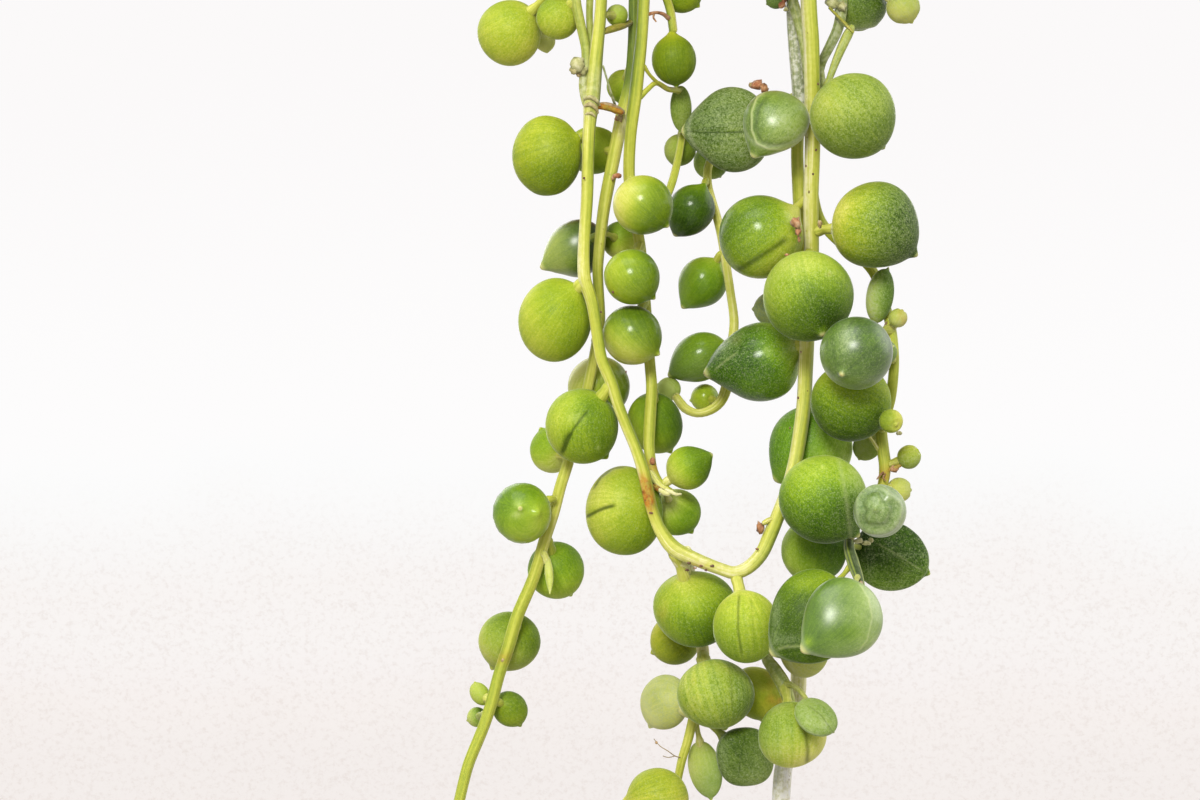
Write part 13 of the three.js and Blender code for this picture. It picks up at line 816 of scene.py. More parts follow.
    [13,0,0,-12.61,38.5,-205.58,1.66,1.01,1,0.76,0.53,-0.38,-0.8,-0.57,0.2,-0.47,0.79,0.39,-16.32,35.84,-204.66,0.58,0.32,32,0.21,0,0.65,0.39,0,0,0,0,0,0,0,0.28,2,1,1,0.56],
    [13,0,0,-23.56,38.71,-203.65,2.89,1.02,1,-0.88,-0.48,0.05,0.99,0.1,0.04,0.03,-0.66,0.75,-17.47,39.29,-203.4,0.58,0.32,81,0.11,0.5,0.65,0.38,0,0,0,0,0,0,0,0.24,0,1,1,0.61],
    [13,0,0,-16.52,41.03,-196.22,2.31,1.02,1,0.22,-0.35,0.91,-0.3,0.15,-0.94,0.89,0.39,-0.22,-18.34,41.92,-201.99,0.58,0.32,60,0.16,0.5,0.61,0.33,0.18,0.21,0,0,0,0,0,0.2,1,1,1,0.36],
    [13,0,0,-24.93,47.08,-203.14,2.75,1.01,1,-0.72,0.52,-0.45,0.83,-0.17,0.53,-0.48,-0.69,0.54,-19.68,46.03,-199.78,0.58,0.32,39,0.12,0,0.51,0.21,0.1,0.12,0,0,0,0,0,0.16,2,1,1,0.42],
    [13,0,0,-16.75,52.81,-197.09,2.83,1.03,1,0.81,0.49,0.31,-0.87,-0.45,-0.21,-0.47,0.63,0.62,-21.02,50.58,-198.11,0.58,0.32,88,0.12,0.5,0.43,0.12,0.06,0.07,0,0,0,0,0,0.12,0,1,1,0.47],
    [13,0,0,-18.51,57.78,-196.82,1.93,1.02,1,0.8,0.58,-0.19,-0.82,-0.56,-0.13,0.42,-0.43,-0.8,-22.29,55.17,-197.4,0.58,0.32,67,0.15,0,0.61,0.29,0.08,0.09,0,0,0,0,0,0.08,0,1,1,0.52],
    [13,0,0,-23.92,63.8,-194.33,2.25,1.06,1,-0.04,0.75,0.66,0.1,-0.75,-0.65,0.97,0.21,-0.1,-23.3,59.07,-198.46,0.58,0.32,46,0.22,0,0.47,0.14,0,0,0,0,0,0,0,0.04,0,1,1,0.57],
    [13,0,0,-26.36,66.19,-202.38,2.3,1.01,1,-0.61,0.59,-0.53,0.39,-0.92,0,0.49,0.21,-0.84,-24.37,61.5,-202.39,0.58,0.32,25,0.17,0.8,0.47,0.25,0.05,0.06,0,0,0,0,0,0,2,1,1,0.62],
    [13,0,0,-21.57,67.34,-209.36,3.21,1.08,1,0.39,0.88,-0.28,-0.53,-0.8,0.28,0.55,-0.57,-0.6,-25.2,61.79,-207.43,0.57,0.32,53,0.16,0,0.61,0.37,0.17,0.21,0,0,0,0,0,0.32,1,1,1,0.51],
    [13,0,0,-20.73,60.7,-214.48,2.45,1.02,1,0.84,-0.27,-0.47,-0.92,0.14,0.36,0.34,0.73,0.59,-26.09,61.52,-212.36,0.57,0.32,32,0.14,0,0.43,0.17,0.07,0.09,0,0,0,0,0,0.28,2,1,1,0.56],
    [13,0,0,-32.05,59.28,-218.4,3.21,1.01,1,-0.81,-0.57,-0.11,0.94,0.32,0.13,0.32,-0.95,0.01,-26.69,61.09,-217.64,0.56,0.32,81,0.16,0.5,0.4,0.13,0,0,0,0,0,0,0,0.24,0,1,1,0.61],
    [13,0,0,-22.34,57.32,-221.76,3.15,1.11,1,0.71,-0.6,-0.37,-0.75,0.64,0.17,-0.66,-0.73,-0.19,-26.6,60.97,-220.82,0.55,0.32,60,0.2,0.8,0.54,0.26,0.08,0.09,0,0,0,0,0,0.2,0,1,1,0.36],
    [13,0,0,-30.17,62.75,-226.94,2.33,1.03,1,-0.62,0.26,-0.74,0.87,-0.36,0.34,0.29,-0.19,-0.94,-25.83,60.93,-225.26,0.54,0.32,39,0.19,0.8,0.42,0.13,0.16,0.2,0,0,0,0,0,0.16,2,1,1,0.42],
    [13,0,0,-25.56,65.55,-230.51,1.93,1.01,1,-0.34,0.9,-0.28,0.17,-0.97,0.17,-0.84,-0.23,-0.49,-24.75,60.95,-229.7,0.52,0.32,88,0.16,0.8,0.71,0.41,0.13,0.16,0,0,0,0,0,0.12,0,1,1,0.47],
    [13,0,0,-27.22,61.84,-235.49,2.01,1,1,-0.52,0.57,-0.64,0.92,-0.25,0.31,-0.25,-0.97,-0.03,-23.85,60.94,-234.33,0.51,0.32,67,0.21,0.8,0.57,0.26,0,0,0,0,0,0,0,0.08,0,1,1,0.52],
    [13,0,0,-20.26,57.29,-238.31,2.14,1.1,1,0.43,-0.45,-0.78,-0.63,0.76,0.14,0.48,0.52,-0.71,-23.25,60.92,-237.66,0.5,0.32,46,0.11,0.8,0.52,0.19,0.15,0.18,0,0,0,0,0,0.04,0,1,1,0.57],
    [13,0,0,-18.02,62.23,-241.29,2.75,1.12,1,0.89,-0.25,-0.37,-0.96,-0.27,0.06,-0.03,-0.1,-0.99,-22.7,60.9,-240.99,0.48,0.32,25,0.21,0,0.32,0.1,0.07,0.09,0,0,0,0,0,0,2,1,1,0.62],
    [13,0,0,-23.6,55.29,-247.41,3.06,1.06,1,-0.24,-0.76,-0.6,0.24,0.94,0.24,-0.89,0.11,0.45,-22.19,60.83,-246,0.46,0.32,74,0.15,0.5,0.67,0.44,0.22,0.26,0,0,0,0,0,0.36,1,1,1,0.37],
    [13,0,0,-22.21,66.06,-252,2.25,1.03,1,0.24,0.83,-0.5,0,-0.98,0.18,-0.17,-0.18,-0.97,-22.2,60.68,-251,0.44,0.32,81,0.15,0,0.43,0.16,0.04,0.05,0,0,0,0,0,0.24,0,1,1,0.4],
    [13,0,0,-19.11,63.87,-255.59,2.75,1.11,1,0.57,0.73,-0.37,-0.68,-0.68,0.26,0.59,-0.31,0.74,-22.41,60.56,-254.34,0.43,0.32,60,0.13,0,0.37,0.09,0.12,0.14,0,0,0,0,0,0.2,0,1,1,0.46],
    [13,0,0,-17.34,60.58,-259.53,2.29,1.02,1,0.84,0.15,-0.52,-0.94,-0.03,0.33,0.21,-0.81,0.54,-22.74,60.43,-257.67,0.41,0.32,39,0.14,0,0.46,0.17,0.05,0.06,0,0,0,0,0,0.16,2,1,1,0.51],
    [13,0,0,-21.78,55.47,-263.85,2.46,1.01,1,0.56,-0.54,-0.62,-0.3,0.91,0.29,-0.5,0.11,-0.86,-23.38,60.24,-262.3,0.39,0.32,88,0.17,0.5,0.5,0.2,0,0,0,0,0,0,0,0.12,0,1,1,0.56],
    [13,0,0,-27.79,55.75,-267.24,2.88,1.01,1,-0.49,-0.73,-0.48,0.63,0.77,0.09,-0.69,0.61,-0.38,-24.27,60.02,-266.74,0.37,0.32,67,0.16,0.8,0.42,0.1,0.13,0.15,0,0,0,0,0,0.08,0,1,1,0.61],
    [13,0,0,-24.58,54.25,-272.78,2.27,1.05,1,0.18,-0.92,-0.34,-0.09,0.96,0.27,0.7,-0.13,0.7,-25.13,59.85,-271.18,0.34,0.32,46,0.15,0.5,0.43,0.1,0.18,0.22,0,0,0,0,0,0.04,1,1,1,0.36],
    [13,0,0,-23.1,65.61,-277.45,3.09,1.09,1,0.46,0.78,-0.42,-0.4,-0.89,0.22,-0.85,0.27,-0.45,-25.75,59.76,-275.99,0.32,0.32,25,0.12,0.5,0.37,0.15,0.18,0.21,0,0,0,0,0,0,1,1,1,0.41],
    [13,0,0,-28.4,63.12,-281.46,2.19,1,1,-0.76,0.42,-0.5,0.55,-0.83,0.12,0.77,0.55,0.34,-26.19,59.76,-281,0.29,0.32,74,0.13,0.5,0.47,0.24,0.1,0.12,0,0,0,0,0,0.36,0,1,1,0.46],
    [13,0,0,-21.4,57.73,-286.28,2.51,1.05,1,0.81,-0.58,-0.01,-0.87,0.35,0.34,-0.42,-0.89,-0.16,-26.46,59.77,-284.33,0.27,0.32,53,0.19,0,0.66,0.41,0,0,0,0,0,0,0,0.32,0,1,1,0.51],
    [14,0,0,-24.73,22.39,-203.61,1.82,1.02,1,0.76,-0.15,0.63,-0.82,0.1,-0.56,0.1,-0.94,-0.31,-28.48,22.83,-206.16,0.61,0.32,32,0.15,0.5,0.45,0.19,0.11,0.13,0,0,0,0,0,0.28,2,1,1,0.56],
    [14,0,0,-29.72,30.17,-205.27,1.96,1.01,1,0.28,0.55,-0.79,-0.45,-0.86,0.26,-0.89,0.46,0,-31.77,26.23,-204.08,0.61,0.32,60,0.16,0.5,0.66,0.38,0.22,0.26,0,0,0,0,0,0.2,1,1,1,0.46],
    [14,0,0,-36.6,27.08,-198.86,1.91,1.03,1,-0.51,-0.64,0.57,0.38,0.57,-0.73,-0.14,0.81,0.56,-34.95,29.52,-201.99,0.61,0.32,39,0.15,0.8,0.46,0.17,0.03,0.03,0,0,0,0,0,0.16,2,1,1,0.51],
    [14,0,0,-41.61,29.09,-195.77,2.98,1.02,1,-0.76,-0.55,0.33,0.56,0.55,-0.62,-0.72,-0.04,-0.69,-37.94,32.66,-199.78,0.61,0.32,88,0.1,0.5,0.77,0.47,0.09,0.11,0,0,0,0,0,0.12,0,1,1,0.56],
    [14,0,0,-38.27,36.56,-194.23,2.36,1.03,1,0.43,0.37,0.82,-0.35,-0.32,-0.88,0.44,0.77,-0.46,-40.01,34.94,-198.63,0.61,0.32,67,0.15,0,0.45,0.14,0,0,0,0,0,0,0,0.08,0,1,1,0.61],
    [14,0,0,-41.96,38.53,-192.35,1.56,1.02,1,0.28,0.27,0.92,-0.04,-0.2,-0.98,-0.99,0.16,0.01,-42.19,37.46,-197.68,0.61,0.32,46,0.2,0.8,0.59,0.26,0.07,0.09,0,0,0,0,0,0.04,0,1,1,0.36],
    [14,0,0,-45.92,41.73,-192.12,2.45,1.02,1,-0.53,0.59,0.61,0.29,-0.33,-0.9,0.75,-0.51,0.43,-44.22,39.81,-197.4,0.61,0.32,25,0.21,0.8,0.63,0.41,0.03,0.04,0,0,0,0,0,0,2,1,1,0.41],
    [14,0,0,-50.7,43.31,-196.28,2.41,1.01,1,-0.95,0.25,0.18,0.87,-0.1,-0.49,0.41,0.69,0.59,-46.83,42.88,-198.46,0.61,0.32,74,0.22,0,0.45,0.22,0.09,0.11,0,0,0,0,0,0.36,0,1,1,0.46],
    [14,0,0,-53.72,47.26,-202.27,2.64,1.05,1,-0.94,0.08,-0.32,0.87,-0.5,-0.03,-0.47,-0.8,-0.37,-48.98,44.52,-202.41,0.61,0.32,53,0.11,0,0.67,0.43,0.12,0.14,0,0,0,0,0,0.32,0,1,1,0.51],
    [14,0,0,-54.68,43.53,-206.8,2.7,1.07,1,-0.84,-0.4,-0.36,0.97,0.19,0.15,0.01,0.57,-0.82,-49.49,44.56,-206,0.61,0.32,32,0.18,0,0.54,0.29,0,0,0,0,0,0,0,0.28,2,1,1,0.56],
    [14,0,0,-44.64,49.93,-210.91,3.19,1.02,1,0.69,0.7,-0.18,-0.65,-0.76,0.02,-0.73,0.64,0.22,-49.03,44.86,-210.75,0.6,0.32,81,0.1,0.8,0.42,0.16,0.24,0.29,0,0,0,0,0,0.24,1,1,1,0.61],
    [14,0,0,-54.82,44.31,-216.43,2.99,1.05,1,-0.76,-0.36,-0.54,0.94,0.1,0.32,0.32,0.01,-0.95,-48.35,45.02,-214.23,0.59,0.32,39,0.19,0,0.47,0.17,0.22,0.26,0,0,0,0,0,0.16,1,1,1,0.51],
    [14,0,0,-46.45,41.68,-218.48,2.15,1.01,1,0.19,-0.78,-0.59,-0.35,0.91,0.22,-0.25,0.13,-0.96,-47.79,45.13,-217.67,0.59,0.32,88,0.13,0.8,0.51,0.21,0.13,0.16,0,0,0,0,0,0.12,0,1,1,0.56],
    [14,0,0,-47.02,40.63,-223.76,2.01,1.06,1,-0.36,-0.74,-0.57,-0.04,0.97,0.23,-0.99,-0.01,-0.12,-47.21,45.22,-222.67,0.57,0.32,67,0.18,0.8,0.38,0.08,0.11,0.13,0,0,0,0,0,0.08,0,1,1,0.61],
    [14,0,0,-44.64,40.21,-227.16,1.91,1.05,1,0.3,-0.93,-0.22,-0.41,0.89,0.21,-0.9,-0.34,-0.28,-46.92,45.2,-226,0.56,0.32,46,0.13,0.5,0.19,0.08,0,0,0,0,0,0,0,0.04,0,1,1,0.36],
    [14,0,0,-42.89,45.61,-232.27,1.95,1.07,1,0.78,-0.34,-0.53,-0.94,-0.16,0.3,0.24,-0.94,0.25,-46.88,44.92,-231,0.54,0.32,25,0.18,0,0.33,0.11,0.06,0.07,0,0,0,0,0,0,2,1,1,0.41],
    [14,0,0,-47.68,39.15,-236.55,3.2,1.03,1,-0.11,-0.98,-0.19,0.06,0.99,0.1,0.05,0.1,-0.99,-47.39,44.28,-236,0.51,0.32,74,0.19,0.5,0.66,0.42,0,0,0,0,0,0,0,0.36,0,1,1,0.46],
    [14,0,0,-53.41,41.25,-241.07,2.28,1,1,-0.89,-0.46,-0.02,0.92,0.4,0.01,-0.08,0.14,0.99,-48.09,43.58,-241,0.49,0.32,53,0.14,0,0.45,0.21,0.03,0.04,0,0,0,0,0,0.32,0,1,1,0.51],
    [14,0,0,-51.78,39.12,-246.07,2.2,1.05,1,-0.64,-0.76,-0.12,0.61,0.79,0.02,0.43,-0.31,-0.85,-48.89,42.89,-246,0.46,0.32,32,0.17,0.5,0.64,0.39,0,0,0,0,0,0,0,0.28,2,1,1,0.56],
    [14,0,0,-50.92,48.1,-250.72,2.69,1.05,1,0.28,0.96,-0.08,0.25,-0.94,0.23,-0.19,0.19,0.96,-49.45,42.47,-249.33,0.45,0.32,81,0.16,0,0.58,0.31,0.1,0.12,0,0,0,0,0,0.24,0,1,1,0.61],
    [14,0,0,-51.34,37.61,-255.37,1.96,1.05,1,-0.15,-0.8,-0.58,0.28,0.94,0.21,0.44,0.07,-0.9,-49.99,42.17,-254.33,0.42,0.32,60,0.13,0,0.61,0.33,0,0,0,0,0,0,0,0.2,0,1,1,0.36],
    [14,0,0,-54.81,38.49,-258.87,2.2,1,1,-0.69,-0.65,-0.32,0.77,0.61,0.2,0.64,-0.76,-0.13,-50.16,42.19,-257.67,0.4,0.32,88,0.12,0,0.62,0.31,0.1,0.12,0,0,0,0,0,0.12,0,1,1,0.56],
    [14,0,0,-47.56,38.84,-262.51,2.58,1.07,1,0.35,-0.82,-0.45,-0.57,0.76,0.33,0.22,0.52,-0.83,-50.2,42.35,-261.01,0.38,0.32,67,0.21,0.5,0.45,0.14,0.11,0.13,0,0,0,0,0,0.08,0,1,1,0.61],
    [14,0,0,-52.54,39.08,-267.68,2.93,1.01,1,-0.48,-0.73,-0.49,0.54,0.77,0.35,-0.84,0.51,0.17,-49.95,42.79,-266.01,0.34,0.32,46,0.13,0,0.61,0.28,0.05,0.06,0,0,0,0,0,0.04,0,1,1,0.36],
    [14,0,0,-44.29,42.24,-271.81,1.91,1.03,1,0.75,-0.41,-0.52,-0.96,0.25,0.15,-0.24,-0.37,-0.9,-49.26,43.52,-271.01,0.31,0.32,25,0.16,0,0.57,0.35,0.13,0.16,0,0,0,0,0,0,2,1,1,0.41],
    [14,0,0,-46.12,48.89,-274.25,1.97,1.05,1,0.46,0.85,-0.25,-0.47,-0.88,-0.02,-0.42,0.24,-0.87,-48.72,44.07,-274.33,0.29,0.32,74,0.22,0.5,0.38,0.15,0.06,0.08,0,0,0,0,0,0.36,0,1,1,0.46],
    [15,0,0,-38.3,15.16,-200.02,1.94,1.02,1,0.37,0.01,0.93,-0.05,-0.12,-0.99,0.65,-0.76,0.06,-38.5,14.66,-204.08,0.56,0.32,53,0.15,0.8,0.56,0.31,0.02,0.03,0,0,0,0,0,0.32,0,1,1,0.51],
    [15,0,0,-44.06,12.47,-205.43,2.5,1.04,1,-0.42,-0.6,-0.68,0.53,0.58,0.62,-0.5,-0.38,0.78,-41.75,14.98,-202.74,0.56,0.32,32,0.15,0,0.67,0.41,0.08,0.1,0,0,0,0,0,0.28,2,1,1,0.56],
    [15,0,0,-47.67,9.27,-199.78,3.2,1.02,1,-0.16,-0.97,-0.19,0.24,0.96,-0.11,-0.83,0.15,-0.54,-46.13,15.4,-200.47,0.56,0.32,81,0.21,0.5,0.68,0.41,0.03,0.03,0,0,0,0,0,0.24,0,1,1,0.61],
    [15,0,0,-52.11,14.78,-204.63,2.52,1.07,1,-0.4,-0.04,-0.92,0.48,0.12,0.87,-0.15,-0.96,0.22,-49.09,15.57,-199.2,0.56,0.32,60,0.13,0,0.64,0.36,0,0,0,0,0,0,0,0.2,0,1,1,0.36],
    [15,0,0,-53.29,10.29,-196.9,2.48,1.03,1,-0.19,-0.92,0.35,0.14,0.96,-0.22,0.3,-0.26,-0.92,-52.55,15.42,-198.1,0.56,0.32,39,0.15,0.8,0.46,0.17,0.18,0.22,0,0,0,0,0,0.16,1,1,1,0.42],
    [15,0,0,-59.61,12.05,-196.62,1.91,1.03,1,-0.36,-0.81,-0.46,0.53,0.83,-0.19,0.79,-0.39,0.47,-57.47,15.4,-197.4,0.56,0.32,67,0.2,0.5,0.57,0.26,0.08,0.1,0,0,0,0,0,0.08,0,1,1,0.61],
    [15,0,0,-64.09,19.77,-195.2,2.33,1.01,1,-0.6,0.73,0.31,0.55,-0.56,-0.62,-0.52,-0.81,0.27,-61.22,16.86,-198.46,0.56,0.32,46,0.17,0.8,0.73,0.41,0,0,0,0,0,0,0,0.04,0,1,1,0.36],
    [15,0,0,-65.83,13.77,-202.7,1.96,1.06,1,-0.48,-0.79,-0.37,0.47,0.88,0.08,-0.73,0.34,0.59,-63.86,17.45,-202.38,0.56,0.32,25,0.13,0.8,0.64,0.42,0.01,0.01,0,0,0,0,0,0,2,1,1,0.41],
    [15,0,0,-68.35,14.37,-206.69,1.96,1.09,1,-0.69,-0.62,-0.37,0.81,0.57,0.14,-0.33,0.24,0.91,-64.33,17.24,-206,0.56,0.32,74,0.12,0.5,0.41,0.18,0.06,0.08,0,0,0,0,0,0.36,0,1,1,0.46],
    [15,0,0,-66.62,11.83,-212.29,3.28,1.03,1,-0.47,-0.68,-0.57,0.39,0.87,0.32,0.68,-0.5,0.54,-64.04,17.6,-210.17,0.56,0.32,53,0.12,0.8,0.57,0.33,0.14,0.17,0,0,0,0,0,0.32,0,1,1,0.51],
    [15,0,0,-59.48,22.32,-214.99,2.4,1.01,1,0.77,0.49,-0.41,-0.67,-0.75,0.01,0.7,-0.63,-0.33,-63.2,18.14,-214.92,0.55,0.32,32,0.13,0,0.44,0.18,0.22,0.26,0,0,0,0,0,0.28,1,1,1,0.56],
    [15,0,0,-63.06,12.04,-219.44,3.39,1.02,1,-0.1,-0.92,-0.37,0.05,0.98,0.21,-0.37,0.21,-0.9,-62.73,18.32,-218.12,0.54,0.32,81,0.13,0.5,0.67,0.4,0.01,0.01,0,0,0,0,0,0.24,0,1,1,0.61],
    [15,0,0,-57.37,19.91,-222.75,2.1,1.06,1,0.56,0.1,-0.82,-0.91,-0.3,0.27,0.1,-0.81,-0.58,-62.59,18.18,-221.19,0.54,0.32,60,0.14,0.5,0.42,0.14,0.1,0.11,0,0,0,0,0,0.2,0,1,1,0.36],
    [15,0,0,-66.22,16.5,-224.44,2.19,1.05,1,-0.81,-0.36,-0.47,0.95,0.32,0.06,0.21,-0.47,-0.86,-62.65,17.71,-224.22,0.53,0.32,39,0.22,0,0.56,0.27,0.25,0.3,0,0,0,0,0,0.16,1,1,1,0.42],
    [15,0,0,-65.49,21.46,-228.91,2.9,1.04,1,-0.52,0.75,-0.4,0.49,-0.81,0.31,-0.05,-0.38,-0.92,-62.84,17.08,-227.26,0.52,0.32,88,0.12,0,0.23,0.08,0.11,0.13,0,0,0,0,0,0.12,0,1,1,0.47],
    [15,0,0,-65.87,10.71,-231.97,2.29,1.01,1,-0.48,-0.81,-0.32,0.44,0.9,0.03,-0.01,0.03,-1,-63.17,16.14,-231.81,0.51,0.32,46,0.22,0,0.6,0.28,0.12,0.15,0,0,0,0,0,0.04,0,1,1,0.36],
    [15,0,0,-61.63,18.7,-236.15,2,1.06,1,0.51,0.62,-0.6,-0.47,-0.81,0.35,0.88,-0.48,0.06,-63.34,15.72,-234.85,0.5,0.32,25,0.12,0.5,0.57,0.35,0.02,0.03,0,0,0,0,0,0,2,1,1,0.41],
    [15,0,0,-59.68,10.12,-240.94,3.16,1.02,1,0.41,-0.67,-0.62,-0.6,0.77,0.23,-0.38,-0.01,-0.93,-63.62,15.18,-239.4,0.48,0.32,74,0.1,0,0.52,0.29,0,0,0,0,0,0,0,0.36,0,1,1,0.46],
    [15,0,0,-59.27,17.1,-245.75,2.77,1.07,1,0.5,0.78,-0.39,-0.85,-0.42,0.33,0.4,-0.91,-0.11,-63.89,14.83,-243.96,0.46,0.32,53,0.19,0,0.51,0.26,0.17,0.21,0,0,0,0,0,0.32,1,1,1,0.51],
    [15,0,0,-61.42,11.15,-250.01,2.97,1.1,1,0.55,-0.59,-0.58,-0.55,0.77,0.31,-0.83,-0.51,-0.2,-64.05,14.82,-248.52,0.45,0.32,32,0.13,0.5,0.52,0.26,0.01,0.01,0,0,0,0,0,0.28,2,1,1,0.56],
    [15,0,0,-69.9,13.55,-254.24,2.3,1.04,1,-0.92,0.16,-0.37,0.94,0.27,0.19,0.33,-0.86,-0.39,-64.13,15.21,-253.08,0.43,0.32,81,0.17,0,0.45,0.18,0.07,0.09,0,0,0,0,0,0.24,0,1,1,0.61],
    [15,0,0,-67.87,21.56,-258.04,3.28,1.07,1,-0.44,0.84,-0.31,0.55,-0.83,0.06,0.76,0.53,0.38,-64.12,15.83,-257.63,0.41,0.32,60,0.21,0.8,0.45,0.17,0,0,0,0,0,0,0,0.2,0,1,1,0.36],
    [15,0,0,-62.71,20.16,-262.38,2.33,1.05,1,0.61,0.7,-0.36,-0.33,-0.94,0.05,-0.69,0.28,0.66,-64,16.5,-262.19,0.39,0.32,39,0.17,0,0.58,0.28,0.07,0.08,0,0,0,0,0,0.16,2,1,1,0.42],
    [15,0,0,-58.47,16.78,-266.49,2.37,1.04,1,0.87,-0.47,-0.15,-0.97,0.05,0.23,0.2,0.69,0.7,-63.85,17.06,-265.22,0.37,0.32,88,0.12,0.5,0.6,0.29,0,0,0,0,0,0,0,0.12,0,1,1,0.47],
    [15,0,0,-66.73,14.01,-271.63,2.02,1.09,1,-0.3,-0.94,-0.19,0.59,0.73,0.34,-0.13,0.51,-0.85,-63.55,17.95,-269.77,0.35,0.32,67,0.14,0,0.67,0.35,0.1,0.12,0,0,0,0,0,0.08,0,1,1,0.52],
    [15,0,0,-64.57,13.78,-275.9,2.51,1.03,1,-0.65,-0.57,-0.5,0.25,0.92,0.3,-0.73,0.38,-0.57,-63.24,18.61,-274.33,0.33,0.32,25,0.15,0.5,0.61,0.39,0.21,0.25,0,0,0,0,0,0,1,1,1,0.41],
    [15,0,0,-66.79,23.25,-278.29,3.33,1.01,1,-0.37,0.85,-0.38,0.64,-0.75,0.16,0.67,0.64,0.38,-63.04,18.81,-277.36,0.31,0.32,74,0.14,0,0.56,0.33,0,0,0,0,0,0,0,0.36,0,1,1,0.46],
    [15,0,0,-68.02,16.84,-283.13,3.02,1.02,1,-0.91,-0.3,-0.29,0.91,0.35,0.21,-0.4,0.66,0.64,-62.73,18.89,-281.92,0.29,0.32,53,0.12,0,0.55,0.31,0.12,0.14,0,0,0,0,0,0.32,0,1,1,0.51],
    [15,0,0,-64.24,22.17,-287.14,2.52,1.05,1,-0.44,0.83,-0.34,0.48,-0.86,0.17,0.07,-0.16,-0.98,-62.42,18.89,-286.48,0.26,0.32,32,0.19,0,0.53,0.27,0.1,0.12,0,0,0,0,0,0.28,2,1,1,0.56],
    [16,0,0,-34.65,-14.94,-201.68,2.01,1,1,0.18,-0.77,0.6,-0.2,0.52,-0.83,-0.98,-0.04,0.21,-35.55,-12.68,-205.29,0.59,0.32,81,0.19,0.5,0.64,0.37,0.14,0.17,0,0,0,0,0,0.24,0,1,1,0.61],
    [16,0,0,-40.43,-14.78,-198.93,2.21,1.1,1,0.41,-0.58,0.71,-0.12,0.38,-0.92,-0.37,0.84,0.4,-41.02,-12.91,-203.4,0.59,0.32,60,0.14,0.5,0.55,0.27,0.28,0.34,0,0,0,0,0,0.2,1,1,1,0.36],
    [16,0,0,-48.26,-16.97,-205.34,2.86,1.02,1,-0.4,-0.5,-0.77,0.46,0.61,0.65,0.68,0.22,-0.7,-45.34,-13.08,-201.22,0.59,0.32,39,0.19,0,0.47,0.18,0,0,0,0,0,0,0,0.16,2,1,1,0.42],
    [16,0,0,-48.11,-16.35,-196.68,2.48,1.1,1,0.11,-0.75,0.65,-0.05,0.72,-0.69,-0.88,-0.36,-0.31,-48.32,-13.13,-199.78,0.59,0.32,88,0.15,0.5,0.43,0.13,0.03,0.03,0,0,0,0,0,0.12,0,1,1,0.47],
    [16,0,0,-52.69,-18.45,-196.81,2.06,1.03,1,0.13,-0.99,-0.04,0.2,0.93,-0.31,-0.98,0.21,0,-51.51,-12.99,-198.63,0.59,0.32,67,0.11,0.8,0.75,0.43,0.03,0.03,0,0,0,0,0,0.08,0,1,1,0.52],
    [16,0,0,-58.01,-15.98,-194.66,1.87,1.04,1,-0.22,-0.91,0.35,0.29,0.75,-0.59,-0.76,-0.19,-0.62,-56.64,-12.44,-197.42,0.59,0.32,46,0.12,0.5,0.29,0.08,0.13,0.15,0,0,0,0,0,0.04,0,1,1,0.57],
    [16,0,0,-65.3,-16.26,-195.85,2.18,1,1,-0.98,0.07,0.16,0.57,0.67,-0.48,-0.22,0.69,0.69,-62.22,-12.64,-198.46,0.59,0.32,74,0.14,0,0.54,0.31,0.19,0.23,0,0,0,0,0,0.36,1,1,1,0.46],
    [16,0,0,-69.82,-15.85,-199.9,2.58,1.03,1,-0.55,-0.57,-0.6,0.88,0.45,-0.16,-0.4,0.51,-0.76,-64.44,-13.08,-200.86,0.59,0.32,53,0.12,0,0.67,0.43,0.04,0.05,0,0,0,0,0,0.32,0,1,1,0.51],
    [16,0,0,-66.09,-19.46,-204.52,2.83,1.12,1,0.19,-0.92,-0.34,0.18,0.98,0.06,-0.08,0.07,-0.99,-65.04,-13.58,-204.16,0.59,0.32,32,0.2,0,0.58,0.32,0.12,0.14,0,0,0,0,0,0.28,2,1,1,0.56],
    [16,0,0,-66.47,-9.05,-210.74,2.45,1.05,1,0.48,0.68,-0.56,0.25,-0.9,0.35,-0.27,-0.41,-0.87,-65.01,-14.27,-208.73,0.59,0.32,81,0.2,0,0.54,0.27,0,0,0,0,0,0,0,0.24,0,1,1,0.61],
    [16,0,0,-63.05,-18.8,-211.66,2.53,1.01,1,0.32,-0.95,0.02,-0.35,0.94,-0.02,0.93,0.35,0.08,-64.55,-14.76,-211.76,0.58,0.32,60,0.19,0,0.62,0.34,0.02,0.02,0,0,0,0,0,0.2,0,1,1,0.36],
    [16,0,0,-69.97,-15.45,-217.94,2.77,1.12,1,-0.96,-0.04,-0.29,0.97,0.01,0.23,-0.23,0.03,0.97,-63.82,-15.38,-216.47,0.57,0.32,39,0.17,0.5,0.44,0.15,0,0,0,0,0,0,0,0.16,2,1,1,0.42],
    [16,0,0,-59.6,-11.54,-222.95,2.31,1.04,1,0.8,0.57,-0.17,-0.66,-0.68,0.32,-0.23,-0.21,-0.95,-63.69,-15.7,-221,0.56,0.32,88,0.16,0.5,0.62,0.31,0.1,0.11,0,0,0,0,0,0.12,0,1,1,0.47],
    [16,0,0,-59.81,-17.79,-227.1,2.56,1,1,0.7,-0.18,-0.69,-0.85,0.41,0.33,-0.24,0.26,-0.94,-63.9,-15.81,-225.5,0.55,0.32,67,0.18,0.5,0.65,0.33,0.01,0.01,0,0,0,0,0,0.08,0,1,1,0.52],
    [16,0,0,-66.99,-12.73,-228.95,2.26,1.07,1,-0.65,0.72,-0.26,0.69,-0.71,0.11,-0.71,-0.65,0.28,-64.1,-15.72,-228.5,0.54,0.32,46,0.2,0.5,0.6,0.27,0.13,0.16,0,0,0,0,0,0.04,0,1,1,0.57],
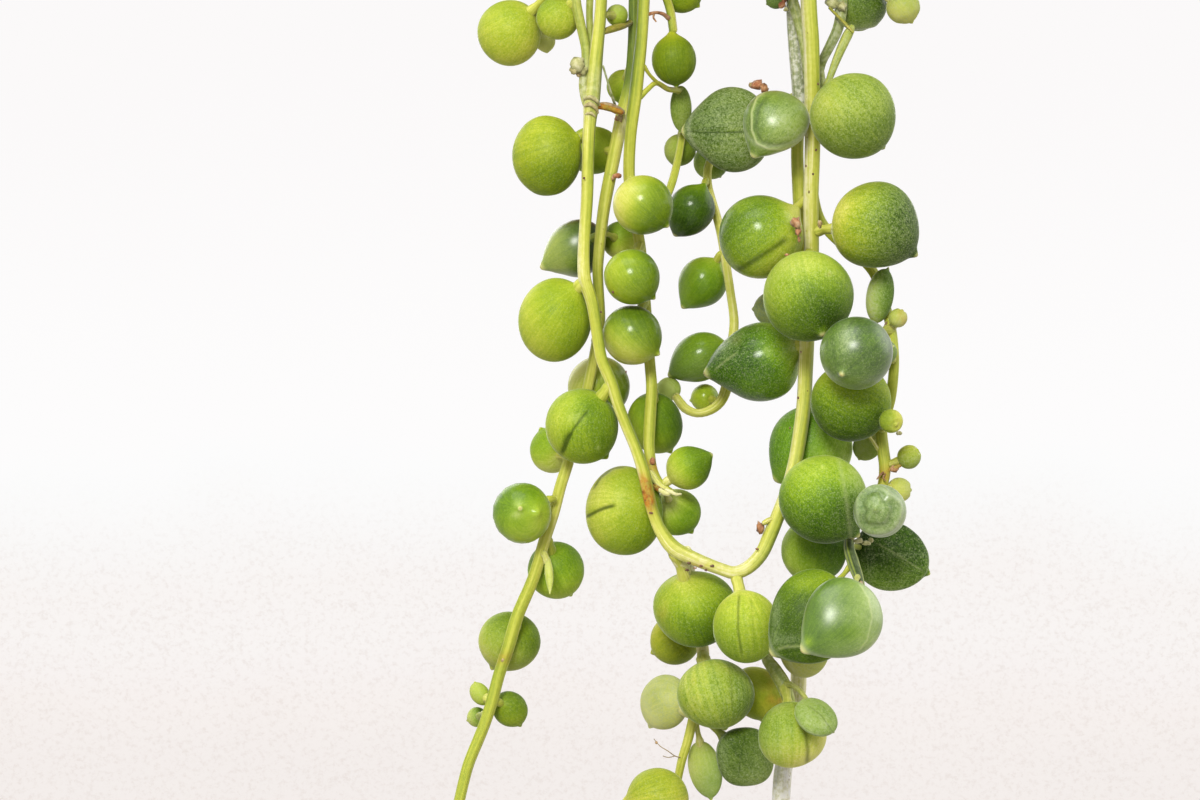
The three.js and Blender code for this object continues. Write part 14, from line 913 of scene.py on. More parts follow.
    [16,0,0,-68.91,-18.77,-234.21,2.99,1.01,1,-0.38,-0.27,-0.88,0.77,0.6,0.2,-0.46,0.75,-0.47,-64.39,-15.22,-233.01,0.52,0.32,25,0.16,0.8,0.69,0.47,0.02,0.02,0,0,0,0,0,0,2,1,1,0.62],
    [16,0,0,-59.69,-14.83,-239.5,2.79,1.04,1,0.57,0.14,-0.81,-0.93,0.09,0.37,0.14,0.98,0.12,-64.75,-14.33,-237.5,0.5,0.32,53,0.21,0.5,0.64,0.39,0.22,0.26,0,0,0,0,0,0.32,1,1,1,0.51],
    [16,0,0,-68.31,-9.07,-242.1,2.83,1.03,1,-0.89,0.38,-0.27,0.6,-0.8,0.02,0.03,0.05,1,-65.03,-13.43,-242,0.48,0.32,32,0.12,0,0.7,0.44,0.14,0.17,0,0,0,0,0,0.28,2,1,1,0.56],
    [16,0,0,-65.66,-7.88,-246.61,1.92,1.09,1,-0.49,0.81,-0.32,0.1,-0.99,0.02,-0.76,-0.09,-0.65,-65.17,-12.6,-246.5,0.45,0.32,81,0.2,0,0.57,0.3,0,0,0,0,0,0,0,0.24,0,1,1,0.61],
    [16,0,0,-61.55,-8.73,-251.81,1.92,1.02,1,0.56,0.34,-0.76,-0.75,-0.64,0.17,-0.66,0.74,-0.14,-65.2,-11.84,-251,0.43,0.32,60,0.14,0,0.69,0.41,0.07,0.08,0,0,0,0,0,0.2,0,1,1,0.36],
    [16,0,0,-64.43,-16.3,-256.47,2.19,1.01,1,0.09,-0.88,-0.46,-0.13,0.97,0.2,0.75,-0.04,0.67,-65.07,-11.5,-255.5,0.41,0.32,39,0.17,0.8,0.61,0.32,0.01,0.02,0,0,0,0,0,0.16,2,1,1,0.42],
    [16,0,0,-67.21,-8.46,-261.06,2.52,1.03,1,-0.44,0.77,-0.46,0.6,-0.76,0.25,-0.28,0.1,0.95,-64.74,-11.61,-260,0.38,0.32,88,0.21,0,0.57,0.26,0.03,0.03,0,0,0,0,0,0.12,0,1,1,0.47],
    [16,0,0,-68.1,-11.24,-265.52,2.11,1.13,1,-0.93,0.34,-0.12,0.95,-0.19,0.25,-0.26,-0.04,0.96,-64.31,-12.01,-264.51,0.35,0.32,67,0.16,0.8,0.41,0.1,0.04,0.05,0,0,0,0,0,0.08,0,1,1,0.52],
    [16,0,0,-69.95,-10.24,-271.09,3.3,1.07,1,-0.91,0.08,-0.41,0.89,-0.34,0.3,-0.33,-0.04,0.94,-63.81,-12.62,-269.01,0.33,0.32,46,0.21,0.8,0.44,0.11,0.11,0.13,0,0,0,0,0,0.04,0,1,1,0.57],
    [16,0,0,-64.3,-8.9,-273.78,2.73,1.1,1,0.29,0.81,-0.5,0.19,-0.91,0.38,-0.21,0.34,0.92,-63.43,-13.18,-272.01,0.31,0.32,25,0.16,0.5,0.4,0.18,0,0,0,0,0,0,0,0,2,1,1,0.62],
    [16,0,0,-56.81,-16.64,-275.24,3.19,1.09,1,0.84,-0.38,-0.38,-0.91,0.42,0.03,0.21,0.39,0.89,-63.03,-13.79,-275,0.29,0.32,74,0.1,0,0.69,0.45,0.02,0.03,0,0,0,0,0,0.36,0,1,1,0.37],
    [0,0,0,-11.16,-41.91,-196.97,2.5,1.01,1,-0.19,0.14,0.97,-0.29,-0.17,-0.94,0.06,-0.99,0.15,-13.05,-43,-203.2,0.7,0.32,32,0.16,0.8,0.66,0.41,0.09,0.11,0,0,0,0,0,0.28,2,1,1,0.56],
    [0,0,0,-16.53,-48.46,-202.5,1.67,1.06,1,-0.51,-0.01,-0.86,0.81,0.32,0.5,0.54,-0.07,-0.84,-13.68,-47.34,-200.75,0.7,0.32,81,0.1,0.8,0.6,0.33,0,0,0,0,0,0,0,0.24,0,1,1,0.61],
    [0,0,0,-11.52,-52.32,-193.99,2.46,1,1,0.16,0.47,0.87,-0.51,0.06,-0.86,0.76,-0.43,-0.48,-14.25,-52,-198.6,0.7,0.32,60,0.19,0,0.64,0.36,0.36,0.43,0,0,0,0,0,0.2,1,1,1,0.36],
    [0,0,0,-10.28,-59.18,-194.4,1.77,1.1,1,0.64,-0.46,0.62,-0.81,0.31,-0.5,-0.16,-0.93,-0.32,-14.78,-57.49,-197.15,0.7,0.32,39,0.18,0,0.41,0.12,0,0,0,0,0,0,0,0.16,2,1,1,0.42],
    [0,0,0,-18.95,-63.54,-200.7,2.26,1.01,1,-0.75,0.03,-0.66,0.92,0.05,0.38,-0.37,0.37,0.85,-15.02,-63.34,-199.07,0.7,0.32,88,0.21,0.5,0.62,0.32,0.09,0.1,0,0,0,0,0,0.12,0,1,1,0.47],
    [0,0,0,-12.91,-69.47,-203.19,2.11,1.07,1,0.51,-0.8,-0.31,-0.47,0.88,-0.03,0.48,0.23,-0.85,-14.98,-65.58,-203.32,0.7,0.32,67,0.18,0.5,0.49,0.17,0.07,0.08,0,0,0,0,0,0.08,0,1,1,0.52],
    [0,0,0,-11.33,-69.96,-209.54,2.01,1.02,1,0.72,-0.62,-0.3,-0.74,0.67,0.11,0.61,0.58,0.55,-14.92,-66.7,-209,0.7,0.32,46,0.18,0,0.52,0.19,0,0,0,0,0,0,0,0.04,0,1,1,0.57],
    [0,0,0,-20.76,-69.89,-215.23,2.73,1.03,1,-0.87,-0.44,-0.23,0.89,0.42,0.17,-0.36,0.43,0.83,-14.85,-67.1,-214.08,0.7,0.32,25,0.14,0,0.68,0.46,0.09,0.11,0,0,0,0,0,0,2,1,1,0.62],
    [0,0,0,-12.33,-63.24,-219.91,2.46,1.11,1,0.49,0.76,-0.44,-0.51,-0.82,0.27,-0.72,0.24,-0.65,-14.8,-67.19,-218.62,0.7,0.32,74,0.14,0,0.55,0.32,0,0,0,0,0,0,0,0.36,0,1,1,0.37],
    [0,0,0,-19.01,-67.18,-224.42,2.03,1.05,1,-0.86,0.14,-0.49,0.98,0.01,0.2,0.08,-0.92,-0.38,-14.73,-67.16,-223.53,0.7,0.32,53,0.19,0.5,0.77,0.52,0.12,0.14,0,0,0,0,0,0.32,0,1,1,0.42],
    [0,0,0,-17.62,-73.22,-229.8,3.14,1,1,-0.85,-0.5,-0.17,0.43,0.89,0.17,0.82,-0.31,-0.48,-14.62,-67.08,-228.59,0.7,0.32,60,0.18,0.8,0.62,0.34,0.11,0.14,0,0,0,0,0,0.2,0,1,1,0.46],
    [0,0,0,-21.07,-65.36,-236.89,3.33,1.01,1,-0.68,0.14,-0.72,0.94,-0.23,0.24,0.21,-0.15,-0.97,-14.41,-67,-235.19,0.7,0.32,39,0.14,0,0.51,0.22,0.16,0.2,0,0,0,0,0,0.16,2,1,1,0.51],
    [0,0,0,-13.74,-62.76,-242.56,2.18,1.03,1,0.33,0.88,-0.34,-0.07,-0.96,0.27,0.64,0.16,0.75,-14.06,-67.02,-241.38,0.7,0.32,88,0.11,0,0.34,0.08,0.07,0.08,0,0,0,0,0,0.12,0,1,1,0.56],
    [0,0,0,-11.96,-61.57,-247.44,2.54,1.02,1,-0.06,0.86,-0.51,-0.29,-0.92,0.24,0.62,-0.38,-0.69,-13.69,-67.02,-246,0.7,0.32,67,0.13,0.5,0.6,0.28,0,0,0,0,0,0,0,0.08,0,1,1,0.61],
    [0,0,0,-15.19,-71.75,-253.13,2.49,1.15,1,-0.12,-0.9,-0.41,0.39,0.9,0.18,-0.57,0.39,-0.72,-13.15,-67.02,-252.17,0.7,0.32,46,0.19,0,0.67,0.35,0.24,0.29,0,0,0,0,0,0.04,1,1,1,0.36],
    [0,0,0,-14.03,-71.89,-257.65,1.72,1.04,1,0.04,-0.89,-0.45,0.25,0.95,0.17,-0.84,0.3,-0.45,-12.76,-67.01,-256.79,0.7,0.32,25,0.21,0.5,0.65,0.43,0,0,0,0,0,0,0,0,2,1,1,0.41],
    [0,0,0,-12.59,-62.62,-262.64,2.71,1.08,1,-0.18,0.92,-0.35,0.03,-0.96,0.27,0.15,-0.26,-0.95,-12.45,-67,-261.42,0.7,0.32,74,0.1,0.8,0.6,0.37,0.24,0.28,0,0,0,0,0,0.36,1,1,1,0.46],
    [0,0,0,-15.8,-69.42,-268.37,2.66,1.11,1,-0.59,-0.44,-0.68,0.82,0.55,0.18,-0.52,0.56,0.64,-12.23,-67,-267.58,0.7,0.32,53,0.2,0.8,0.45,0.21,0.3,0.35,0,0,0,0,0,0.32,1,1,1,0.51],
    [0,0,0,-16.04,-64,-273.37,2.48,1.05,1,-0.88,0.23,-0.42,0.77,-0.6,0.23,-0.38,-0.12,0.92,-12.2,-67,-272.21,0.7,0.32,32,0.21,0,0.51,0.25,0.11,0.13,0,0,0,0,0,0.28,2,1,1,0.56],
    [0,0,0,-14.15,-62.48,-278.14,2.62,1.06,1,-0.18,0.84,-0.52,0.37,-0.89,0.26,-0.39,-0.4,-0.83,-12.26,-67,-276.83,0.7,0.32,81,0.19,0,0.62,0.35,0,0,0,0,0,0,0,0.24,0,1,1,0.61],
    [0,0,0,-6.97,-70.63,-284.27,2.76,1.06,1,0.87,-0.24,-0.44,-0.81,0.55,0.19,-0.4,-0.77,0.5,-12.35,-67,-283,0.7,0.32,39,0.18,0.8,0.3,0.08,0.16,0.19,0,0,0,0,0,0.16,2,1,1,0.51],
    [0,0,0,-15.5,-72.81,-290.22,3.21,1.06,1,-0.69,-0.59,-0.42,0.47,0.87,0.16,0.88,-0.45,-0.12,-12.38,-67,-289.17,0.7,0.32,88,0.11,0,0.37,0.08,0,0,0,0,0,0,0,0.12,0,1,1,0.56],
    [0,0,0,-9.79,-73.4,-294.84,2.83,1.01,1,0.28,-0.94,-0.17,-0.36,0.92,0.15,-0.87,-0.39,0.31,-12.28,-67,-293.83,0.7,0.32,67,0.18,0.8,0.54,0.22,0.11,0.13,0,0,0,0,0,0.08,0,1,1,0.61],
    [0,0,0,-13.56,-60.73,-300.79,2.74,1.04,1,-0.43,0.88,-0.2,0.23,-0.93,0.28,-0.33,-0.34,-0.88,-12.04,-67,-298.94,0.69,0.32,46,0.14,0,0.4,0.08,0.06,0.07,0,0,0,0,0,0.04,0,1,1,0.36],
    [0,0,0,-10.92,-63.07,-305.37,2.42,1.04,1,-0.07,0.9,-0.43,-0.19,-0.95,0.26,-0.91,0.27,0.33,-11.72,-67,-304.29,0.67,0.32,25,0.21,0.8,0.43,0.21,0,0,0,0,0,0,0,0,2,1,1,0.41],
    [0,0,0,-14.2,-71.32,-310.51,3.02,1.04,1,-0.53,-0.77,-0.36,0.54,0.82,0.19,-0.61,0.22,0.76,-11.38,-67,-309.52,0.66,0.32,74,0.2,0,0.7,0.47,0.12,0.15,0,0,0,0,0,0.36,0,1,1,0.46],
    [0,0,0,15.26,-69,-311.69,2.39,1.02,1,0.7,-0.64,-0.31,-0.73,0.66,0.18,-0.68,-0.65,-0.35,12.12,-66.13,-310.92,0.89,0.32,53,0.13,0.5,0.65,0.41,0,0,0,0,0,0,0,0.32,0,1,1,0.51],
    [0,0,0,5.97,-65.13,-307.16,2.4,1.03,1,-0.78,-0.03,-0.62,0.97,-0.16,0.2,-0.24,-0.85,0.47,12.23,-66.16,-305.85,0.88,0.32,32,0.11,0,0.56,0.31,0.06,0.07,0,0,0,0,0,0.28,2,1,1,0.56],
    [0,0,0,12.34,-71.48,-301.39,2.32,1.01,1,-0.49,-0.84,-0.23,0,0.99,0.16,0.55,-0.13,0.82,12.36,-66.19,-300.56,0.87,0.32,81,0.13,0.8,0.49,0.22,0,0,0,0,0,0,0,0.24,0,1,1,0.61],
    [0,0,0,14.06,-71.93,-296.36,2.45,1.04,1,0.05,-0.97,-0.22,-0.26,0.95,0.16,0.06,0.18,-0.98,12.51,-66.22,-295.38,0.86,0.32,60,0.14,0.5,0.61,0.33,0.07,0.08,0,0,0,0,0,0.2,0,1,1,0.36],
    [0,0,0,14.18,-70.65,-291.41,2.2,1.04,1,0.41,-0.88,-0.24,-0.32,0.93,0.17,0.78,0.16,0.61,12.65,-66.26,-290.62,0.86,0.32,88,0.15,0.5,0.69,0.39,0.13,0.16,0,0,0,0,0,0.12,0,1,1,0.56],
    [0,0,0,14.67,-62.39,-287.18,2.16,1.05,1,0.44,0.81,-0.4,-0.41,-0.87,0.26,0.46,0.05,0.88,12.84,-66.31,-286,0.86,0.32,67,0.19,0.5,0.6,0.28,0.04,0.05,0,0,0,0,0,0.08,0,1,1,0.61],
    [0,0,0,8.57,-66.95,-280.57,2.21,1.01,1,-0.85,-0.04,-0.52,0.98,0.13,0.16,0.04,0.64,-0.77,13.15,-66.36,-279.84,0.86,0.32,46,0.17,0.5,0.51,0.19,0.13,0.15,0,0,0,0,0,0.04,0,1,1,0.36],
    [0,0,0,9.59,-69.02,-274.38,2.02,1.12,1,-0.82,-0.51,-0.28,0.82,0.55,0.15,0.38,-0.33,-0.87,13.45,-66.42,-273.68,0.86,0.32,25,0.2,0,0.52,0.3,0,0,0,0,0,0,0,0,2,1,1,0.41],
    [0,0,0,16.86,-61.42,-270.65,2.33,1.06,1,0.48,0.79,-0.39,-0.52,-0.81,0.26,-0.03,-0.28,-0.96,13.62,-66.46,-269.06,0.86,0.32,74,0.14,0.5,0.62,0.39,0.04,0.05,0,0,0,0,0,0.36,0,1,1,0.46],
    [0,0,0,7.95,-67.78,-264.11,2.82,1.06,1,-0.82,-0.13,-0.56,0.96,0.21,0.2,0.2,0.04,-0.98,13.73,-66.51,-262.9,0.86,0.32,53,0.12,0,0.59,0.34,0,0,0,0,0,0,0,0.32,0,1,1,0.51],
    [0,0,0,10.21,-61.18,-260.06,2.42,1.1,1,-0.81,0.57,-0.13,0.52,-0.81,0.27,0.77,0.58,0.25,13.7,-66.56,-258.28,0.86,0.32,32,0.17,0.5,0.57,0.31,0.09,0.11,0,0,0,0,0,0.28,2,1,1,0.56],
    [0,0,0,12.58,-61.13,-253.68,2.12,1.04,1,-0.16,0.89,-0.42,0.17,-0.95,0.27,-0.92,-0.05,0.39,13.54,-66.63,-252.12,0.86,0.32,81,0.1,0.8,0.62,0.36,0.29,0.35,0,0,0,0,0,0.24,1,1,1,0.61],
    [0,0,0,20.2,-68.87,-248.61,2.96,1.11,1,0.92,-0.25,-0.32,-0.94,0.3,0.15,-0.14,0.05,-0.99,13.4,-66.67,-247.5,0.86,0.32,60,0.17,0,0.64,0.36,0.06,0.08,0,0,0,0,0,0.2,0,1,1,0.36],
    [0,0,0,16.89,-69.57,-243.59,1.69,1.06,1,0.79,-0.45,-0.41,-0.77,0.61,0.15,-0.33,-0.19,-0.92,13.29,-66.71,-242.88,0.86,0.32,39,0.17,0,0.58,0.29,0.04,0.05,0,0,0,0,0,0.16,2,1,1,0.42],
    [0,0,0,17.56,-71.02,-239.27,2.01,1.05,1,0.49,-0.74,-0.46,-0.7,0.7,0.16,-0.6,-0.7,0.39,13.26,-66.74,-238.26,0.86,0.32,67,0.13,0,0.64,0.32,0,0,0,0,0,0,0,0.08,0,1,1,0.61],
    [0,0,0,18.11,-62.47,-233.5,2.61,1.01,1,0.78,0.57,-0.24,-0.71,-0.66,0.24,-0.46,0.18,-0.87,13.39,-66.82,-231.91,0.86,0.32,46,0.16,0,0.65,0.32,0.18,0.22,0,0,0,0,0,0.04,1,1,1,0.36],
    [0,0,0,16.79,-65.3,-227.77,1.64,1.1,1,0.55,0.74,-0.39,-0.86,-0.44,0.24,0.5,-0.7,0.5,13.59,-66.94,-226.88,0.86,0.32,25,0.13,0,0.55,0.33,0.05,0.06,0,0,0,0,0,0,2,1,1,0.41],
    [0,0,0,10.63,-61.41,-223.34,2.83,1.06,1,-0.05,0.95,-0.31,0.48,-0.85,0.22,0.48,0.04,-0.88,13.85,-67.06,-221.85,0.86,0.32,74,0.17,0,0.57,0.34,0.18,0.22,0,0,0,0,0,0.36,1,1,1,0.46],
    [0,0,0,15.27,-61.67,-218.66,2.66,1.08,1,0,0.83,-0.55,-0.2,-0.94,0.28,0.04,0.28,0.96,14.1,-67.1,-217.04,0.86,0.32,53,0.15,0.5,0.59,0.34,0.06,0.07,0,0,0,0,0,0.32,0,1,1,0.51],
    [0,0,0,12.65,-63.5,-212.72,1.94,1,1,-0.34,0.89,-0.29,0.42,-0.84,0.33,-0.31,0.21,0.93,14.37,-66.93,-211.37,0.86,0.32,32,0.12,0.5,0.52,0.26,0.14,0.17,0,0,0,0,0,0.28,2,1,1,0.56],
    [0,0,0,19.01,-62.92,-209.2,2.14,1.01,1,0.7,0.44,-0.56,-0.73,-0.57,0.37,-0.53,0.14,-0.84,14.49,-66.41,-206.9,0.86,0.32,81,0.19,0.8,0.67,0.4,0.03,0.03,0,0,0,0,0,0.24,0,1,1,0.61],
    [0,0,0,15.75,-70.55,-201.01,2.37,1.02,1,-0.22,-0.96,-0.18,-0.22,0.96,-0.15,0.46,-0.03,-0.89,14.5,-65.15,-201.82,0.86,0.32,60,0.16,0.8,0.5,0.22,0.22,0.26,0,0,0,0,0,0.2,1,1,1,0.36],
    [0,0,0,12.7,-65.87,-195.56,1.66,1.06,1,-0.43,-0.87,0.26,0.39,0.77,-0.5,-0.13,-0.5,-0.86,14.53,-62.26,-197.93,0.86,0.32,39,0.11,0,0.36,0.08,0,0,0,0,0,0,0,0.16,2,1,1,0.42],
    [0,0,0,16.2,-56.14,-191.11,2.94,1.05,1,0.24,-0.61,0.76,-0.3,0.07,-0.95,0.57,0.82,-0.12,14.18,-55.7,-197.52,0.86,0.32,88,0.2,0,0.52,0.22,0,0,0,0,0,0,0,0.12,0,1,1,0.47],
    [0,0,0,18.46,-49.95,-195.64,2.37,1.06,1,0.99,0.1,-0.06,-0.8,-0.08,-0.6,0.27,-0.93,-0.23,13.73,-50.45,-199.19,0.86,0.32,46,0.15,0,0.59,0.26,0,0,0,0,0,0,0,0.04,0,1,1,0.36],
    [0,0,0,8.05,-45.6,-197.23,2.88,1.05,1,-0.84,-0.25,0.47,0.76,-0.03,-0.64,-0.64,-0.2,-0.74,13.23,-45.82,-201.6,0.86,0.32,25,0.11,0.8,0.46,0.24,0.02,0.03,0,0,0,0,0,0,2,1,1,0.41],
    [0,0,0,10.31,-41.46,-201.13,1.61,1.05,1,-0.85,0.18,0.5,0.64,0.01,-0.77,-0.59,0.65,-0.48,12.64,-41.43,-203.97,0.86,0.32,74,0.18,0,0.6,0.36,0.02,0.02,0,0,0,0,0,0.36,0,1,1,0.46],
    [3,0,0,2,-36.19,-204.95,1.9,1.06,1,-0.95,0.3,0.07,0.91,-0.3,-0.29,0.09,-0.54,0.84,6,-37.5,-206.23,0.66,0.32,53,0.17,0.8,0.55,0.31,0,0,0,0,0,0,0,0.32,0,1,1,0.51],
    [3,0,0,9.65,-44.51,-205.67,1.82,1.05,1,0.68,-0.33,-0.65,-0.69,0.38,0.62,0.38,0.91,-0.13,6.91,-43,-203.2,0.66,0.32,32,0.16,0.5,0.64,0.38,0.23,0.28,0,0,0,0,0,0.28,1,1,1,0.56],
    [3,0,0,2.73,-47.46,-197.59,2.44,1.03,1,-0.91,0.2,0.36,0.83,0.03,-0.56,0.1,-0.99,0.09,7.46,-47.3,-200.75,0.66,0.32,81,0.12,0,0.62,0.35,0.17,0.2,0,0,0,0,0,0.24,0,1,1,0.61],
    [3,0,0,5.92,-52.15,-193.35,2.48,1.01,1,-0.62,-0.32,0.71,0.36,0.03,-0.93,0.05,-1,-0.01,7.95,-52,-198.6,0.66,0.32,60,0.16,0,0.49,0.21,0,0,0,0,0,0,0,0.2,0,1,1,0.36],
    [3,0,0,4.77,-58.43,-194.33,2.06,1.05,1,-0.73,0.29,0.61,0.75,0.25,-0.61,-0.01,0.93,0.37,8.35,-57.23,-197.26,0.66,0.32,39,0.1,0,0.47,0.17,0.17,0.2,0,0,0,0,0,0.16,2,1,1,0.42],
    [3,0,0,7.68,-67.57,-194.97,1.73,1.03,1,0.35,-0.89,0.29,0.18,0.8,-0.57,0.45,-0.59,-0.68,8.63,-63.43,-197.94,0.66,0.32,88,0.15,0.5,0.6,0.3,0.04,0.05,0,0,0,0,0,0.12,0,1,1,0.47],
    [3,0,0,13.26,-63.2,-205.37,2.05,1.04,1,0.71,0.53,-0.46,-0.77,-0.54,0.34,-0.45,0.84,0.31,8.63,-66.41,-203.32,0.66,0.32,67,0.11,0,0.72,0.41,0.27,0.33,0,0,0,0,0,0.08,1,1,1,0.52],
    [3,0,0,12.25,-69.25,-210.93,2.01,1.08,1,0.91,-0.26,-0.31,-0.81,0.56,0.18,-0.08,0.18,-0.98,8.62,-66.74,-210.14,0.66,0.32,25,0.22,0.5,0.42,0.2,0,0,0,0,0,0,0,0,2,1,1,0.41],
    [3,0,0,7.62,-61.05,-216.89,2.68,1,1,-0.4,0.9,-0.16,0.14,-0.96,0.23,-0.49,0.14,0.86,8.44,-66.71,-215.52,0.66,0.32,74,0.16,0,0.52,0.29,0,0,0,0,0,0,0,0.36,0,1,1,0.46],
    [3,0,0,10.59,-69.88,-222.68,2.17,1.05,1,0.44,-0.87,-0.21,-0.56,0.8,0.2,-0.62,-0.57,0.53,8.19,-66.46,-221.81,0.66,0.32,53,0.13,0,0.49,0.24,0.12,0.14,0,0,0,0,0,0.32,0,1,1,0.51],
    [3,0,0,4.86,-71.07,-227.87,2.69,1.03,1,-0.47,-0.86,-0.22,0.54,0.83,0.18,-0.78,0.56,-0.28,8.02,-66.2,-226.81,0.66,0.32,32,0.21,0.8,0.44,0.19,0.12,0.15,0,0,0,0,0,0.28,2,1,1,0.56],
    [3,0,0,4.56,-61.12,-233.04,2.05,1.09,1,-0.42,0.8,-0.43,0.56,-0.8,0.2,0.75,0.6,0.28,7.94,-65.93,-231.81,0.66,0.32,81,0.17,0,0.57,0.31,0.07,0.08,0,0,0,0,0,0.24,0,1,1,0.61],
    [3,0,0,11.9,-63.03,-237.45,2.54,1,1,0.39,0.81,-0.45,-0.81,-0.55,0.18,-0.04,0.35,0.94,7.99,-65.7,-236.59,0.66,0.32,60,0.11,0.5,0.51,0.23,0,0,0,0,0,0,0,0.2,0,1,1,0.36],
    [3,0,0,4.43,-68.07,-242.37,2.98,1.03,1,-0.56,-0.59,-0.58,0.8,0.54,0.25,-0.58,0.6,0.56,8.22,-65.5,-241.2,0.66,0.32,39,0.1,0.5,0.39,0.1,0.04,0.05,0,0,0,0,0,0.16,2,1,1,0.42],
    [3,0,0,4.03,-62.17,-247.44,2.01,1.01,1,-0.71,0.18,-0.68,0.79,-0.54,0.29,0.43,0.82,0.37,8.61,-65.29,-245.79,0.66,0.32,88,0.12,0,0.37,0.08,0.16,0.2,0,0,0,0,0,0.12,0,1,1,0.47],
    [3,0,0,7.01,-59.93,-251.85,3.16,1.03,1,-0.44,0.69,-0.57,0.36,-0.9,0.25,-0.93,-0.33,0.16,9.08,-65.07,-250.39,0.66,0.32,67,0.15,0.8,0.48,0.16,0.14,0.17,0,0,0,0,0,0.08,0,1,1,0.52],
    [3,0,0,9.89,-70.81,-257.68,2.37,1.14,1,0.05,-0.83,-0.55,-0.03,0.98,0.19,0.73,-0.11,0.68,9.7,-64.77,-256.52,0.66,0.32,46,0.14,0,0.45,0.12,0.01,0.01,0,0,0,0,0,0.04,0,1,1,0.57],
    [3,0,0,4.67,-62.8,-262.67,2.72,1.04,1,-0.8,0.26,-0.54,0.92,-0.3,0.26,-0.14,0.39,0.91,10.06,-64.55,-261.12,0.66,0.32,74,0.11,0,0.7,0.47,0.02,0.03,0,0,0,0,0,0.36,0,1,1,0.46],
    [3,0,0,6.28,-61.49,-268.37,2.02,1.04,1,-0.77,0.15,-0.62,0.8,-0.55,0.22,-0.54,-0.51,0.67,10.29,-64.26,-267.25,0.66,0.32,53,0.21,0,0.54,0.29,0.02,0.02,0,0,0,0,0,0.32,0,1,1,0.51],
    [3,0,0,4.37,-63.38,-274.53,3.27,1.01,1,-0.63,0.41,-0.66,0.98,-0.1,0.19,-0.2,-0.68,0.7,10.29,-63.97,-273.38,0.66,0.32,32,0.17,0,0.5,0.24,0.02,0.02,0,0,0,0,0,0.28,2,1,1,0.56],
    [3,0,0,6.89,-60.71,-280.39,2.11,1.07,1,-0.49,0.76,-0.44,0.73,-0.66,0.19,-0.68,-0.65,0.34,10.16,-63.68,-279.52,0.66,0.32,81,0.21,0,0.52,0.25,0.12,0.14,0,0,0,0,0,0.24,0,1,1,0.61],
    [3,0,0,5.92,-61.9,-284.95,2.26,1.08,1,-0.77,0.5,-0.4,0.92,-0.35,0.19,0.31,0.93,0.19,10.05,-63.46,-284.12,0.66,0.32,60,0.16,0.5,0.55,0.27,0.09,0.1,0,0,0,0,0,0.2,0,1,1,0.36],
    [3,0,0,13.66,-60.9,-292.61,2.44,1.04,1,0.68,0.69,-0.26,-0.84,-0.5,0.19,-0.44,0.44,-0.78,9.96,-63.1,-291.78,0.66,0.32,39,0.11,0,0.33,0.08,0.01,0.01,0,0,0,0,0,0.16,2,1,1,0.42],
    [3,0,0,13.34,-62.67,-297.27,1.62,1.04,1,0.95,-0.02,-0.3,-0.98,-0.06,0.18,0.13,-0.89,0.44,9.99,-62.87,-296.68,0.66,0.32,88,0.19,0,0.38,0.08,0.04,0.04,0,0,0,0,0,0.12,0,1,1,0.47],
    [3,0,0,8.98,-56.93,-303.22,2.01,1.02,1,-0.19,0.9,-0.4,0.18,-0.96,0.22,0.68,-0.04,-0.73,10.05,-62.63,-301.92,0.65,0.32,67,0.2,0,0.68,0.36,0.11,0.13,0,0,0,0,0,0.08,0,1,1,0.52],
    [3,0,0,5.38,-58.12,-308.64,3.07,1.07,1,-0.64,-0.2,-0.74,0.72,-0.65,0.23,0.11,-0.21,-0.97,10.13,-62.38,-307.17,0.64,0.32,46,0.1,0,0.63,0.31,0.03,0.04,0,0,0,0,0,0.04,0,1,1,0.57],
    [3,0,0,5.92,-65.76,-313.26,2.26,1.02,1,-0.93,-0.21,-0.29,0.75,0.63,0.21,0.6,-0.52,-0.61,10.22,-62.15,-312.06,0.64,0.32,25,0.13,0.8,0.5,0.28,0,0,0,0,0,0,0,0,2,1,1,0.62],
    [4,0,0,20.06,-44.85,-206.06,1.79,1.06,1,0.64,-0.27,-0.73,-0.48,0.48,0.74,-0.6,-0.79,0.12,18.2,-43,-203.2,0.58,0.32,53,0.13,0.5,0.58,0.33,0,0,0,0,0,0,0,0.32,0,1,1,0.51],
    [4,0,0,16.05,-49.57,-203.16,2.17,1.01,1,-0.39,-0.65,-0.65,0.62,0.53,0.58,-0.37,-0.46,0.81,18.62,-47.38,-200.73,0.58,0.32,32,0.14,0,0.51,0.25,0.01,0.02,0,0,0,0,0,0.28,2,1,1,0.56],
    [4,0,0,15.9,-54.18,-195.87,1.73,1.02,1,-0.81,-0.45,0.38,0.81,0.16,-0.56,-0.5,-0.28,-0.82,19.12,-53.54,-198.07,0.58,0.32,81,0.16,0.5,0.64,0.38,0.19,0.23,0,0,0,0,0,0.24,1,1,1,0.61],
    [4,0,0,23.41,-60.31,-201.28,2.16,1.11,1,0.51,0.16,-0.84,-0.75,-0.09,0.65,0.58,0.37,0.72,19.53,-60.77,-197.91,0.58,0.32,60,0.14,0.8,0.41,0.13,0.03,0.04,0,0,0,0,0,0.2,0,1,1,0.36],
    [4,0,0,25.25,-64.45,-204.86,2.56,1.06,1,0.9,0.17,-0.4,-0.94,-0.01,0.34,-0.05,0.99,-0.12,19.49,-64.5,-202.79,0.58,0.32,39,0.15,0.5,0.41,0.12,0,0,0,0,0,0,0,0.16,2,1,1,0.42],
    [4,0,0,23.85,-63.26,-209.86,2.14,1.1,1,0.84,0.33,-0.42,-0.74,-0.51,0.44,0.16,0.5,0.85,19.45,-66.29,-207.22,0.58,0.32,88,0.19,0.5,0.56,0.26,0.06,0.07,0,0,0,0,0,0.12,0,1,1,0.47],
